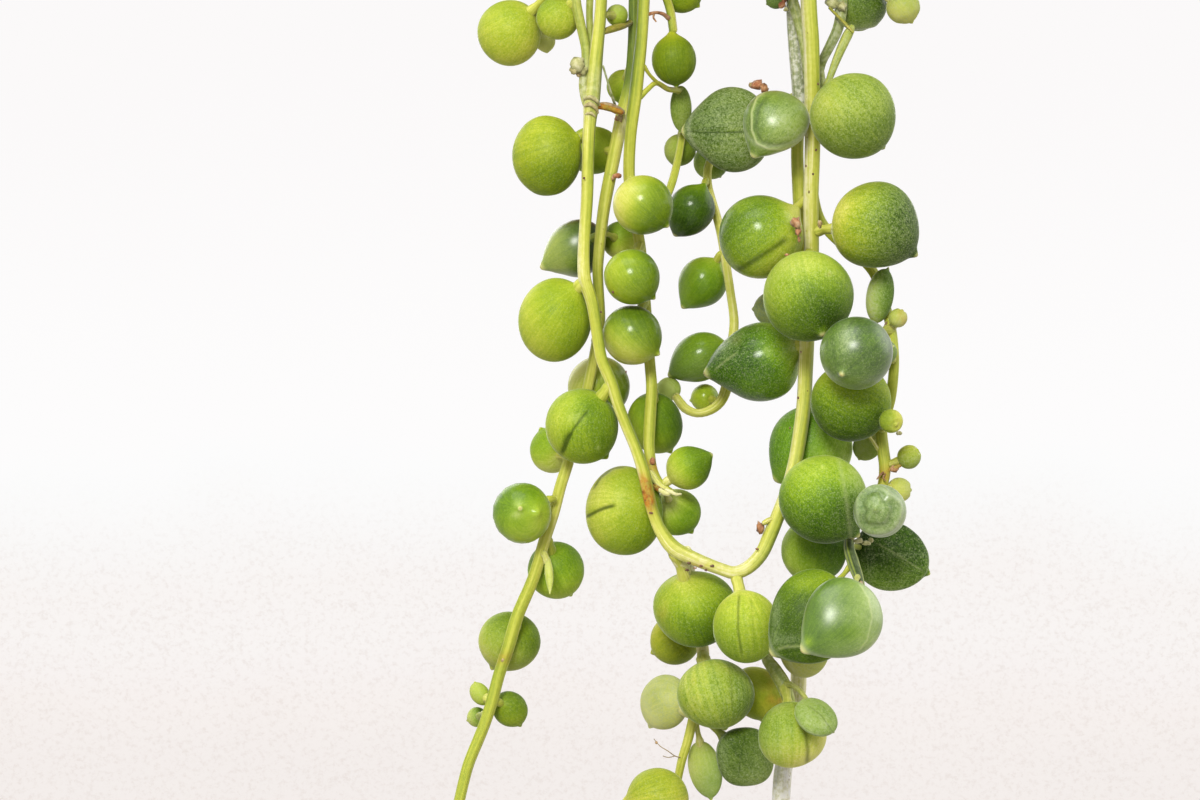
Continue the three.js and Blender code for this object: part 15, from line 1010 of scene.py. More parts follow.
    [4,0,0,24.79,-68.88,-212.45,2.65,1.09,1,0.91,-0.13,-0.39,-0.93,0.32,0.17,0.13,0.73,-0.68,19.4,-67.02,-211.44,0.58,0.32,67,0.11,0.8,0.44,0.13,0,0,0,0,0,0,0,0.08,0,1,1,0.52],
    [4,0,0,22.83,-70.82,-218.23,2.51,1.04,1,0.68,-0.57,-0.46,-0.67,0.72,0.18,0.35,0.52,-0.78,19.36,-67.09,-217.31,0.58,0.32,46,0.16,0.5,0.39,0.08,0.18,0.21,0,0,0,0,0,0.04,1,1,1,0.57],
    [4,0,0,22.7,-70.01,-223.2,2.04,1.07,1,0.79,-0.6,-0.07,-0.72,0.67,0.19,0.12,0.39,-0.91,19.31,-66.84,-222.28,0.58,0.32,25,0.2,0.5,0.64,0.42,0.21,0.25,0,0,0,0,0,0,1,1,1,0.62],
    [4,0,0,23.55,-62.63,-228.47,2.77,1.07,1,0.51,0.67,-0.54,-0.74,-0.65,0.17,0.31,-0.56,-0.77,19.23,-66.46,-227.44,0.58,0.32,74,0.11,0,0.66,0.42,0.15,0.18,0,0,0,0,0,0.36,0,1,1,0.37],
    [4,0,0,23.76,-68.09,-233.6,2.07,1.12,1,0.78,-0.42,-0.46,-0.9,0.38,0.2,-0.32,-0.27,-0.91,19.1,-66.11,-232.54,0.58,0.32,32,0.14,0.5,0.64,0.38,0.18,0.22,0,0,0,0,0,0.28,1,1,1,0.56],
    [4,0,0,22.34,-70.56,-243.46,2.49,1.08,1,0.62,-0.73,-0.3,-0.6,0.77,0.22,-0.8,-0.57,-0.19,18.57,-65.72,-242.09,0.58,0.32,81,0.2,0,0.44,0.17,0,0,0,0,0,0,0,0.24,0,1,1,0.61],
    [4,0,0,23.4,-67.81,-253.11,2.42,1.02,1,0.82,-0.09,-0.57,-0.89,0.39,0.24,0.16,0.77,-0.62,17.75,-65.35,-251.55,0.58,0.32,60,0.22,0,0.52,0.24,0.14,0.17,0,0,0,0,0,0.2,0,1,1,0.36],
    [4,0,0,21.94,-65.5,-257.41,2.12,1.14,1,0.84,-0.05,-0.54,-0.97,0.07,0.24,0.14,-0.62,0.77,17.37,-65.15,-256.27,0.58,0.32,39,0.19,0,0.7,0.41,0,0,0,0,0,0,0,0.16,2,1,1,0.42],
    [4,0,0,19.76,-61.78,-261.96,2.11,1.04,1,0.72,0.59,-0.37,-0.63,-0.75,0.22,0.64,-0.66,-0.4,17.09,-64.96,-261,0.58,0.32,88,0.16,0,0.64,0.34,0.01,0.01,0,0,0,0,0,0.12,0,1,1,0.47],
    [4,0,0,22.62,-63.2,-266.87,3.02,1.05,1,0.95,0.1,-0.29,-0.95,-0.26,0.19,0.29,-0.94,0.16,16.97,-64.78,-265.73,0.58,0.32,67,0.21,0,0.6,0.28,0.27,0.33,0,0,0,0,0,0.08,1,1,1,0.52],
    [4,0,0,20.58,-65.88,-271.08,2.08,1.12,1,0.72,-0.49,-0.48,-0.93,0.33,0.16,-0.29,-0.38,-0.88,17,-64.59,-270.46,0.58,0.32,46,0.19,0.8,0.32,0.08,0.23,0.27,0,0,0,0,0,0.04,1,1,1,0.57],
    [4,0,0,23.07,-60.83,-277.96,3.08,1.01,1,0.76,0.6,-0.26,-0.85,-0.5,0.17,-0.31,0.73,0.61,17.15,-64.34,-276.76,0.58,0.32,25,0.2,0,0.57,0.35,0,0,0,0,0,0,0,0,2,1,1,0.62],
    [4,0,0,17.25,-58.2,-284.42,2.55,1.08,1,-0.22,0.85,-0.47,0.01,-0.97,0.22,0.41,-0.2,-0.89,17.3,-64.1,-283.07,0.58,0.32,74,0.22,0.5,0.53,0.3,0.19,0.23,0,0,0,0,0,0.36,1,1,1,0.37],
    [4,0,0,22.62,-61.8,-290.56,3.26,1.09,1,0.77,0.42,-0.48,-0.91,-0.35,0.2,0.4,-0.72,0.57,17.29,-63.85,-289.37,0.58,0.32,53,0.18,0.5,0.52,0.28,0.12,0.14,0,0,0,0,0,0.32,0,1,1,0.42],
    [4,0,0,21.98,-64.91,-295.52,2.04,1.03,1,0.56,-0.64,-0.54,-0.94,0.25,0.22,-0.05,-0.77,0.64,17.1,-63.65,-294.39,0.58,0.32,81,0.13,0,0.5,0.23,0.18,0.22,0,0,0,0,0,0.24,1,1,1,0.61],
    [4,0,0,22.81,-61.48,-301.28,3.01,1,1,0.68,0.65,-0.36,-0.93,-0.3,0.23,-0.33,0.94,-0.09,16.79,-63.42,-299.76,0.58,0.32,60,0.13,0.5,0.59,0.31,0.04,0.05,0,0,0,0,0,0.2,0,1,1,0.36],
    [4,0,0,17.99,-59.24,-306.06,2.66,1.01,1,0.2,0.97,-0.16,-0.35,-0.91,0.23,0.34,0.1,0.94,16.44,-63.19,-305.08,0.58,0.32,39,0.13,0.8,0.57,0.28,0,0,0,0,0,0,0,0.16,2,1,1,0.42],
    [4,0,0,21.3,-60.05,-311.44,2.32,1.03,1,0.67,0.53,-0.52,-0.84,-0.48,0.24,-0.47,0.88,0.08,16.12,-63,-309.97,0.59,0.32,88,0.21,0.8,0.54,0.24,0.06,0.08,0,0,0,0,0,0.12,0,1,1,0.47],
    [1,0,0,-9.28,-35.14,-204.74,2.09,1.07,1,-0.76,0.64,-0.14,0.66,-0.63,-0.4,0.38,-0.17,0.91,-6.8,-37.5,-206.24,0.62,0.32,67,0.14,0,0.71,0.39,0.1,0.12,0,0,0,0,0,0.08,0,1,1,0.52],
    [1,0,0,-12.66,-46.09,-205.29,2.2,1.09,1,-0.66,-0.53,-0.53,0.8,0.31,0.51,0.01,0.85,-0.53,-8.23,-44.36,-202.45,0.62,0.32,46,0.2,0,0.4,0.08,0.06,0.08,0,0,0,0,0,0.04,0,1,1,0.57],
    [1,0,0,-9.2,-47.72,-194.69,2.07,1.03,1,-0.36,0.05,0.93,0.05,-0.21,-0.98,0.88,-0.45,0.14,-8.94,-48.85,-199.93,0.62,0.32,25,0.22,0.5,0.48,0.26,0.13,0.16,0,0,0,0,0,0,2,1,1,0.62],
    [1,0,0,-13.37,-68.19,-194.54,2.73,1,1,-0.77,-0.56,0.31,0.46,0.74,-0.5,0.47,-0.68,-0.56,-10.24,-63.17,-197.93,0.62,0.32,74,0.21,0.5,0.74,0.51,0.21,0.26,0,0,0,0,0,0.36,1,1,1,0.37],
    [1,0,0,-14.26,-62.89,-204.7,1.96,1.08,1,-0.4,0.56,-0.72,0.7,-0.52,0.49,-0.71,-0.43,0.56,-10.19,-65.9,-201.82,0.62,0.32,53,0.2,0,0.53,0.29,0,0,0,0,0,0,0,0.32,0,1,1,0.42],
    [1,0,0,-5.57,-63.86,-208.54,1.66,1.07,1,0.52,0.82,-0.24,-0.82,-0.49,0.29,0.23,0.19,0.96,-10.14,-66.59,-206.91,0.62,0.32,32,0.15,0,0.56,0.3,0.06,0.07,0,0,0,0,0,0.28,2,1,1,0.47],
    [1,0,0,-14.72,-63.44,-212.67,2.43,1.03,1,-0.75,0.57,-0.33,0.79,-0.58,0.23,0.53,0.45,-0.72,-10.18,-66.77,-211.37,0.62,0.32,39,0.2,0,0.52,0.23,0.29,0.35,0,0,0,0,0,0.16,1,1,1,0.51],
    [1,0,0,-8.61,-63.45,-216.44,1.74,1,1,0.61,0.62,-0.48,-0.45,-0.86,0.25,0.69,-0.16,0.7,-10.31,-66.7,-215.51,0.62,0.32,88,0.21,0.5,0.49,0.19,0.05,0.06,0,0,0,0,0,0.12,0,1,1,0.56],
    [1,0,0,-6.58,-61.86,-221.57,2.75,1,1,0.35,0.77,-0.53,-0.63,-0.74,0.23,0.23,-0.45,-0.86,-10.48,-66.47,-220.17,0.62,0.32,67,0.18,0.5,0.46,0.14,0,0,0,0,0,0,0,0.08,0,1,1,0.61],
    [1,0,0,-8.09,-60.63,-226.37,2.19,1.04,1,0.44,0.72,-0.54,-0.41,-0.89,0.2,0.25,-0.32,-0.91,-10.63,-66.16,-225.12,0.62,0.32,46,0.2,0,0.67,0.34,0.19,0.23,0,0,0,0,0,0.04,1,1,1,0.36],
    [1,0,0,-6.91,-63.67,-231.02,2.33,1.13,1,0.76,0.4,-0.51,-0.85,-0.48,0.2,0.52,-0.83,0.21,-10.72,-65.82,-230.14,0.62,0.32,25,0.18,0.5,0.67,0.45,0.05,0.06,0,0,0,0,0,0,2,1,1,0.41],
    [1,0,0,-6.29,-61.03,-236.18,2.28,1.1,1,0.59,0.73,-0.34,-0.69,-0.7,0.18,0.09,0.17,0.98,-10.68,-65.51,-235.01,0.62,0.32,74,0.17,0,0.48,0.24,0,0,0,0,0,0,0,0.36,0,1,1,0.46],
    [1,0,0,-9.53,-60.39,-242.08,1.92,1.05,1,0.11,0.96,-0.26,-0.16,-0.97,0.19,-0.73,0.25,0.64,-10.34,-65.18,-241.16,0.62,0.32,53,0.12,0.5,0.4,0.16,0,0,0,0,0,0,0,0.32,0,1,1,0.51],
    [1,0,0,-5.41,-62.21,-247.78,3.03,1.05,1,0.84,0.5,-0.2,-0.85,-0.52,0.1,0.53,-0.82,0.23,-9.7,-64.83,-247.28,0.62,0.32,32,0.14,0,0.23,0.08,0.19,0.23,0,0,0,0,0,0.28,1,1,1,0.56],
    [1,0,0,-4.59,-63.59,-253.76,1.65,1.03,1,0.97,0.18,-0.14,-0.98,-0.2,0.08,-0.21,0.9,-0.37,-8.96,-64.48,-253.4,0.62,0.32,81,0.17,0.8,0.33,0.08,0,0,0,0,0,0,0,0.24,0,1,1,0.61],
    [1,0,0,-2.82,-63.71,-258.54,2.28,1.02,1,0.97,-0.11,-0.22,-0.99,-0.09,0.1,-0.06,-0.36,-0.93,-8.44,-64.21,-257.99,0.62,0.32,60,0.1,0.8,0.46,0.18,0.11,0.13,0,0,0,0,0,0.2,0,1,1,0.36],
    [1,0,0,-9.8,-58.3,-266.87,2.04,1.07,1,-0.16,0.92,-0.36,0.32,-0.92,0.21,0.24,-0.13,-0.96,-7.9,-63.76,-265.65,0.62,0.32,88,0.19,0,0.52,0.21,0.17,0.21,0,0,0,0,0,0.12,1,1,1,0.56],
    [1,0,0,-12.47,-59.85,-271.43,2.22,1.08,1,-0.72,0.67,-0.16,0.77,-0.6,0.2,-0.63,-0.72,0.3,-7.79,-63.5,-270.24,0.62,0.32,67,0.12,0,0.46,0.15,0.13,0.15,0,0,0,0,0,0.08,0,1,1,0.61],
    [1,0,0,-1.42,-62.85,-277.7,2.98,1.05,1,0.84,0.17,-0.51,-0.98,-0.05,0.2,-0.18,-0.31,-0.93,-7.79,-63.15,-276.37,0.62,0.32,46,0.11,0.8,0.56,0.23,0,0,0,0,0,0,0,0.04,0,1,1,0.36],
    [1,0,0,-11.72,-64.03,-281.66,1.71,1.02,1,-0.98,0.03,-0.21,0.94,0.28,0.17,-0.3,0.52,0.8,-7.84,-62.89,-280.96,0.62,0.32,25,0.12,0,0.57,0.35,0.04,0.04,0,0,0,0,0,0,2,1,1,0.41],
    [1,0,0,-12.15,-64.18,-286.37,1.63,1.18,1,-0.94,-0.2,-0.27,0.92,0.34,0.18,-0.37,0.9,0.23,-7.89,-62.63,-285.56,0.62,0.32,74,0.11,0,0.56,0.33,0.06,0.07,0,0,0,0,0,0.36,0,1,1,0.46],
    [1,0,0,-7.98,-66.54,-290.98,2.38,1.03,1,-0.17,-0.98,-0.06,0.02,0.98,0.19,-1,0.03,-0.05,-7.9,-62.36,-290.15,0.62,0.32,53,0.14,0.8,0.62,0.38,0.15,0.18,0,0,0,0,0,0.32,0,1,1,0.51],
    [1,0,0,-8.16,-67.42,-297.62,2.46,1.07,1,0.06,-0.96,-0.26,0.07,0.98,0.2,0.39,0.16,-0.91,-7.79,-61.99,-296.52,0.62,0.32,32,0.18,0,0.46,0.2,0.21,0.25,0,0,0,0,0,0.28,1,1,1,0.56],
    [1,0,0,-9.48,-58.69,-302.36,1.65,1.05,1,-0.66,0.4,-0.64,0.51,-0.84,0.2,-0.39,-0.02,0.92,-7.65,-61.67,-301.64,0.61,0.32,81,0.15,0,0.6,0.33,0.18,0.22,0,0,0,0,0,0.24,1,1,1,0.61],
    [1,0,0,-1.33,-59.37,-307.85,3.38,1.01,1,0.87,0.37,-0.31,-0.94,-0.3,0.17,-0.34,0.74,-0.58,-7.49,-61.35,-306.77,0.61,0.32,60,0.16,0.5,0.51,0.23,0.24,0.28,0,0,0,0,0,0.2,1,1,1,0.36],
    [2,0,0,1.26,-45.97,-205.38,2.37,1.03,1,0.34,-0.53,-0.77,-0.75,0.54,0.39,0.32,-0.24,0.92,-2.87,-43,-203.2,0.66,0.32,39,0.17,0.8,0.63,0.34,0.02,0.02,0,0,0,0,0,0.16,2,1,1,0.42],
    [2,0,0,-3.09,-49.93,-204.2,2.26,1.07,1,0.25,-0.63,-0.73,-0.14,0.6,0.78,-0.57,0.6,-0.56,-3.69,-47.28,-200.76,0.66,0.32,67,0.2,0.8,0.33,0.08,0.03,0.04,0,0,0,0,0,0.08,0,1,1,0.61],
    [2,0,0,-5,-54.36,-203.13,2.33,1.03,1,-0.33,-0.2,-0.92,0.11,0.46,0.88,-0.77,0.6,-0.22,-4.42,-52,-198.6,0.66,0.32,46,0.11,0,0.4,0.08,0.06,0.07,0,0,0,0,0,0.04,0,1,1,0.36],
    [2,0,0,-0.22,-59.3,-192,3.25,1.02,1,0.9,-0.11,0.43,-0.65,0.26,-0.71,-0.4,0.68,0.61,-5.02,-57.42,-197.24,0.66,0.32,25,0.13,0,0.67,0.45,0.11,0.13,0,0,0,0,0,0,2,1,1,0.41],
    [2,0,0,-6.67,-69.94,-197.07,2.95,1.02,1,-0.44,-0.9,0,0.23,0.9,-0.37,0.92,-0.08,0.38,-5.42,-65.03,-199.07,0.66,0.32,74,0.13,0,0.35,0.12,0.1,0.12,0,0,0,0,0,0.36,0,1,1,0.46],
    [2,0,0,-0.98,-65.94,-204.51,2.35,1,1,0.99,0.08,-0.13,-0.95,-0.15,0.26,-0.21,-0.27,-0.94,-5.4,-66.63,-203.32,0.66,0.32,53,0.16,0.8,0.48,0.24,0.02,0.02,0,0,0,0,0,0.32,0,1,1,0.51],
    [2,0,0,-3.05,-71.9,-209.85,1.93,1.06,1,0.08,-0.83,-0.56,-0.41,0.9,0.15,-0.16,0.09,-0.98,-5.42,-66.7,-209,0.66,0.32,32,0.13,0.5,0.58,0.32,0.09,0.1,0,0,0,0,0,0.28,2,1,1,0.56],
    [2,0,0,-3.31,-63.02,-215.27,2.29,1.04,1,0.33,0.84,-0.42,-0.48,-0.84,0.27,-0.88,0.45,-0.16,-5.45,-66.76,-214.08,0.66,0.32,81,0.2,0.5,0.52,0.25,0.19,0.23,0,0,0,0,0,0.24,1,1,1,0.61],
    [2,0,0,-2.67,-70.99,-219.52,2.83,1.11,1,0.66,-0.54,-0.52,-0.54,0.82,0.18,-0.75,-0.38,-0.54,-5.48,-66.7,-218.6,0.66,0.32,60,0.21,0.8,0.54,0.26,0,0,0,0,0,0,0,0.2,0,1,1,0.36],
    [2,0,0,-6.8,-72,-224.45,2.73,1.08,1,-0.21,-0.52,-0.83,0.23,0.96,0.17,0.01,-0.18,0.98,-5.52,-66.6,-223.5,0.66,0.32,39,0.18,0.5,0.51,0.22,0.15,0.19,0,0,0,0,0,0.16,2,1,1,0.42],
    [2,0,0,-1.23,-62.3,-230,2.55,1.04,1,0.82,0.5,-0.29,-0.7,-0.67,0.24,-0.69,0.56,-0.45,-5.57,-66.46,-228.53,0.66,0.32,88,0.12,0.5,0.36,0.08,0.06,0.07,0,0,0,0,0,0.12,0,1,1,0.47],
    [2,0,0,-1.49,-63.88,-234.66,2.14,1.06,1,0.78,0.31,-0.54,-0.84,-0.49,0.23,0.3,-0.77,-0.56,-5.63,-66.33,-233.5,0.66,0.32,46,0.19,0,0.65,0.32,0.01,0.02,0,0,0,0,0,0.04,0,1,1,0.36],
    [2,0,0,-4.34,-70.74,-240.6,2.15,1.07,1,0.71,-0.67,-0.22,-0.29,0.94,0.18,0.83,0.16,0.53,-5.74,-66.18,-239.73,0.66,0.32,25,0.22,0,0.36,0.14,0,0,0,0,0,0,0,0,2,1,1,0.41],
    [2,0,0,-10.29,-68.1,-248.18,2.35,1.06,1,-0.71,-0.19,-0.68,0.89,0.43,0.15,0.46,-0.86,-0.23,-5.95,-65.98,-247.42,0.66,0.32,74,0.17,0.5,0.41,0.18,0.18,0.21,0,0,0,0,0,0.36,1,1,1,0.46],
    [2,0,0,-2.62,-69.53,-259.2,2.38,1.05,1,0.65,-0.67,-0.37,-0.67,0.72,0.19,0.4,0.13,0.91,-6.22,-65.67,-258.17,0.66,0.32,53,0.1,0.8,0.55,0.31,0,0.01,0,0,0,0,0,0.32,0,1,1,0.51],
    [2,0,0,-4.71,-68.94,-264.98,1.84,1.02,1,0.21,-0.86,-0.47,-0.4,0.9,0.17,0.09,0.23,-0.97,-6.24,-65.5,-264.32,0.66,0.32,32,0.11,0.8,0.77,0.51,0.03,0.03,0,0,0,0,0,0.28,2,1,1,0.56],
    [2,0,0,-2.42,-61.01,-273.17,1.71,1.06,1,0.88,0.36,-0.31,-0.63,-0.75,0.2,-0.09,0.33,0.94,-6.01,-65.29,-272,0.66,0.32,81,0.2,0.5,0.68,0.41,0.19,0.23,0,0,0,0,0,0.24,1,1,1,0.61],
    [2,0,0,-8.13,-60.26,-278.03,1.95,1.01,1,-0.58,0.73,-0.37,0.42,-0.87,0.25,0.9,0.37,-0.21,-5.77,-65.17,-276.61,0.66,0.32,60,0.16,0,0.72,0.44,0.07,0.08,0,0,0,0,0,0.2,0,1,1,0.36],
    [2,0,0,-2.01,-68.15,-283.45,2.21,1.08,1,0.57,-0.65,-0.49,-0.73,0.67,0.15,0.67,0.66,0.32,-5.45,-65,-282.76,0.66,0.32,39,0.16,0,0.57,0.28,0,0,0,0,0,0,0,0.16,2,1,1,0.42],
    [2,0,0,-0.55,-65.47,-288.19,2.64,1.01,1,0.96,-0.27,0.01,-0.98,0.12,0.17,-0.19,-0.87,-0.46,-5.27,-64.88,-287.37,0.66,0.32,88,0.13,0.5,0.64,0.33,0.03,0.03,0,0,0,0,0,0.12,0,1,1,0.47],
    [2,0,0,-4.41,-58.52,-293.53,2.72,1,1,0.37,0.78,-0.5,-0.12,-0.96,0.24,-0.08,-0.23,-0.97,-5.19,-64.75,-291.98,0.66,0.32,67,0.18,0,0.35,0.08,0.31,0.37,0,0,0,0,0,0.08,1,1,1,0.52],
    [2,0,0,-1.57,-61.23,-298.14,2.14,1.03,1,0.84,0.41,-0.36,-0.71,-0.66,0.24,0.65,-0.5,0.58,-5.25,-64.61,-296.9,0.66,0.32,25,0.18,0.5,0.62,0.4,0.05,0.06,0,0,0,0,0,0,2,1,1,0.41],
    [2,0,0,-0.36,-63.23,-303.48,1.93,1.03,1,0.86,0.3,-0.42,-0.94,-0.23,0.24,-0.3,0.3,-0.9,-5.39,-64.46,-302.19,0.66,0.32,74,0.19,0.5,0.44,0.21,0.08,0.1,0,0,0,0,0,0.36,0,1,1,0.46],
    [2,0,0,0.29,-65.56,-310.67,3.15,1.03,1,0.92,-0.38,-0.08,-0.95,0.21,0.24,0.29,0.26,0.92,-5.67,-64.26,-309.19,0.66,0.32,53,0.19,0.8,0.48,0.23,0.13,0.16,0,0,0,0,0,0.32,0,1,1,0.51],
]

STEM_NAMES = list(STEMS)


def px(u, v, d):
    """Point in mm at place (u, v) of the 1200 x 800 frame, d mm behind the stem plane."""
    s = K * (1 + d / D)
    return np.array([CX + (u - 600) * s, YS + d, CZ - (v - 400) * s])


def to_px(p):
    q = K * (1 + (p[..., 1] - YS) / D)
    return 600 + (p[..., 0] - CX) / q, 400 - (p[..., 2] - CZ) / q


def unit(v):
    v = np.asarray(v, float)
    n = np.linalg.norm(v)
    return v / n if n > 1e-9 else v


def across(a):
    """Any unit vector square to a."""
    h = np.array([0, 0, 1.0]) if abs(a[2]) < 0.9 else np.array([1.0, 0, 0])
    return unit(np.cross(a, h))


# ------------------------------------------------------------------ camera first
cam_data = bpy.data.cameras.new("camera")
cam_data.lens = 100
cam_data.sensor_width = 36
cam_data.clip_start = 0.01
cam_data.clip_end = 50
cam = bpy.data.objects.new("camera", cam_data)
cam.location = (CX * MM, (YS - D) * MM, CZ * MM)
cam.rotation_euler = (math.radians(90), 0, 0)
bpy.context.scene.collection.objects.link(cam)
bpy.context.scene.camera = cam


# ------------------------------------------------------------------ mesh building
class Builder:
    """Gathers vertices in mm, faces and per-point values, then makes one object."""

    def __init__(self, name):
        self.name = name
        self.n = 0
        self.v, self.q, self.t, self.qm, self.tm = [], [], [], [], []
        self.tone, self.mark, self.line, self.fib = [], [], [], []

    def add(self, verts, quads, tris, mat, tone, mark=None, line=None, fib=None):
        k = len(verts)
        self.v.append(verts)
        if len(quads):
            self.q.append(np.asarray(quads) + self.n)
            self.qm.append(np.full(len(quads), mat))
        if len(tris):
            self.t.append(np.asarray(tris) + self.n)
            self.tm.append(np.full(len(tris), mat))
        zero = np.zeros(4)
        for store, value in ((self.tone, tone), (self.mark, mark), (self.line, line)):
            value = zero if value is None else np.asarray(value, float)
            store.append(np.broadcast_to(value, (k, 4)).astype(np.float32))
        self.fib.append(np.zeros((k, 3), np.float32) if fib is None else fib.astype(np.float32))
        self.n += k

    def build(self, materials):
        v = np.vstack(self.v) * MM
        q = np.vstack(self.q) if self.q else np.zeros((0, 4), int)
        t = np.vstack(self.t) if self.t else np.zeros((0, 3), int)
        me = bpy.data.meshes.new(self.name)
        me.vertices.add(len(v))
        me.vertices.foreach_set("co", v.astype(np.float32).ravel())
        loops = np.concatenate([q.ravel(), t.ravel()]).astype(np.int32)
        me.loops.add(len(loops))
        me.loops.foreach_set("vertex_index", loops)
        nq, nt = len(q), len(t)
        me.polygons.add(nq + nt)
        starts = np.concatenate([np.arange(nq) * 4, nq * 4 + np.arange(nt) * 3]).astype(np.int32)
        me.polygons.foreach_set("loop_start", starts)
        mats = np.concatenate([np.concatenate(self.qm) if self.qm else [], np.concatenate(self.tm) if self.tm else []]).astype(np.int32)
        me.polygons.foreach_set("material_index", mats)
        me.update(calc_edges=True)
        me.validate()
        me.polygons.foreach_set("use_smooth", np.ones(nq + nt, bool))
        for name, store in (("tone", self.tone), ("mark", self.mark), ("line", self.line)):
            me.attributes.new(name, "FLOAT_COLOR", "POINT").data.foreach_set("color", np.vstack(store).ravel())
        me.attributes.new("fib", "FLOAT_VECTOR", "POINT").data.foreach_set("vector", np.vstack(self.fib).ravel())
        for m in materials:
            me.materials.append(m)
        o = bpy.data.objects.new(self.name, me)
        bpy.context.scene.collection.objects.link(o)
        return o


def grid_faces(n, m):
    """Faces of n rings of m points, with one point before the first ring and one after the last."""
    i = (np.arange(n - 1) * m)[:, None]
    j = np.arange(m)[None]
    k = (j + 1) % m
    quads = np.stack([1 + i + j, 1 + i + k, 1 + i + m + k, 1 + i + m + j], -1).reshape(-1, 4)
    jj, kk = np.arange(m), (np.arange(m) + 1) % m
    end = 1 + n * m
    t0 = np.stack([np.zeros(m, int), 1 + kk, 1 + jj], -1)
    t1 = np.stack([np.full(m, end), 1 + (n - 1) * m + jj, 1 + (n - 1) * m + kk], -1)
    return quads, np.vstack([t0, t1])


def outward(verts, quads, tris):
    """Turns the faces out if the closed body is inside out."""
    c = verts.mean(0)
    a, b, d, e = (verts[quads[:, i]] - c for i in range(4))
    vol = np.einsum("ij,ij->i", a, np.cross(b, d)).sum() + np.einsum("ij,ij->i", a, np.cross(d, e)).sum()
    f, g, h = (verts[tris[:, i]] - c for i in range(3))
    vol += np.einsum("ij,ij->i", f, np.cross(g, h)).sum()
    if vol < 0:
        return quads[:, ::-1], tris[:, ::-1]
    return quads, tris


def spline(P, step):
    """Rows of x, y, z, r joined by a centripetal spline and cut at about even steps."""
    P = np.asarray(P, float)
    if len(P) == 2:
        k = max(2, int(np.linalg.norm(P[1, :3] - P[0, :3]) / step) + 1)
        return P[0] + (P[1] - P[0]) * np.linspace(0, 1, k)[:, None]
    ext = np.vstack([2 * P[0] - P[1], P, 2 * P[-1] - P[-2]])
    out = []
    for i in range(len(P) - 1):
        p0, p1, p2, p3 = ext[i:i + 4]
        d01 = max(np.linalg.norm((p1 - p0)[:3]), 1e-6) ** 0.5
        d12 = max(np.linalg.norm((p2 - p1)[:3]), 1e-6) ** 0.5
        d23 = max(np.linalg.norm((p3 - p2)[:3]), 1e-6) ** 0.5
        m1 = ((p1 - p0) / d01 - (p2 - p0) / (d01 + d12) + (p2 - p1) / d12) * d12
        m2 = ((p2 - p1) / d12 - (p3 - p1) / (d12 + d23) + (p3 - p2) / d23) * d12
        k = max(1, int(round(np.linalg.norm((p2 - p1)[:3]) / step)))
        t = (np.arange(k) / k)[:, None]
        out.append((2 * t**3 - 3 * t**2 + 1) * p1 + (t**3 - 2 * t**2 + t) * m1 + (-2 * t**3 + 3 * t**2) * p2 + (t**3 - t**2) * m2)
    out.append(P[-1:])
    return np.vstack(out)


def frames(p):
    """Tangent and two turning-free cross directions along a path."""
    t = np.gradient(p, axis=0)
    t /= np.maximum(np.linalg.norm(t, axis=1), 1e-9)[:, None]
    u = np.zeros_like(t)
    u[0] = across(t[0])
    for i in range(1, len(p)):
        w = u[i - 1] - t[i] * np.dot(u[i - 1], t[i])
        u[i] = unit(w)
    return t, u, np.cross(t, u)


def tube(path, sides, ridge=0.0, ridges=5, seed=0.0, lump=0.0, squash=0.0, round_ends=True):
    """Rings of a ridged tube along rows of x, y, z, r, and its fibre values."""
    p, r = path[:, :3], path[:, 3]
    t, u, v = frames(p)
    s = np.concatenate([[0], np.cumsum(np.linalg.norm(np.diff(p, axis=0), axis=1))])
    if round_ends:
        a, b = r[0], r[-1]
        p = np.vstack([p[0] - t[0] * a * 0.75, p[0] - t[0] * a * 0.4, p, p[-1] + t[-1] * b * 0.4, p[-1] + t[-1] * b * 0.75])
        r = np.concatenate([[a * 0.55, a * 0.88], r, [b * 0.88, b * 0.55]])
        s = np.concatenate([[s[0] - a * 0.75, s[0] - a * 0.4], s, [s[-1] + b * 0.4, s[-1] + b * 0.75]])
        t, u, v = (np.vstack([x[:1], x[:1], x, x[-1:], x[-1:]]) for x in (t, u, v))
    phi = np.linspace(0, 2 * math.pi, sides, endpoint=False)[None]
    tw = (s * 0.02 + seed)[:, None]
    rr = r[:, None] * (1 + ridge * np.cos(ridges * (phi + tw)) + ridge * 0.5 * np.cos((ridges + 2) * phi - 1.7 * tw + seed)
                       + lump * np.sin(s[:, None] * 0.55 + seed * 3 + 1.3 * np.sin(phi)) + squash * np.cos(2 * phi + seed))
    rings = p[:, None] + rr[..., None] * (np.cos(phi)[..., None] * u[:, None] + np.sin(phi)[..., None] * v[:, None])
    first = p[0] - t[0] * r[0] * 0.3
    last = p[-1] + t[-1] * r[-1] * 0.3
    fib = np.stack([np.broadcast_to(np.cos(phi), rr.shape), np.broadcast_to(np.sin(phi), rr.shape), np.broadcast_to(s[:, None] + seed * 37, rr.shape)], -1)
    verts = np.vstack([first[None], rings.reshape(-1, 3), last[None]])
    fibv = np.vstack([[[0, 0, fib[0, 0, 2]]], fib.reshape(-1, 3), [[0, 0, fib[-1, 0, 2]]]])
    quads, tris = grid_faces(len(p), sides)
    quads, tris = outward(verts, quads, tris)
    sv = np.concatenate([[s[0]], np.repeat(s, sides), [s[-1]]])
    return verts, quads, tris, fibv, sv


def bump_sum(n, seed, amp):
    """A few smooth lumps over directions n."""
    rng = np.random.default_rng(int(seed * 1000) + 17)
    out = np.zeros(len(n))
    for k in range(6):
        d = rng.normal(size=3) * (1.6 + 0.5 * k)
        out += np.sin(n @ d + rng.uniform(0, 6.28)) / (1 + 0.5 * k)
    return amp * out / 2.2


def angle(n, d):
    return np.arccos(np.clip(n @ d, -1, 1))


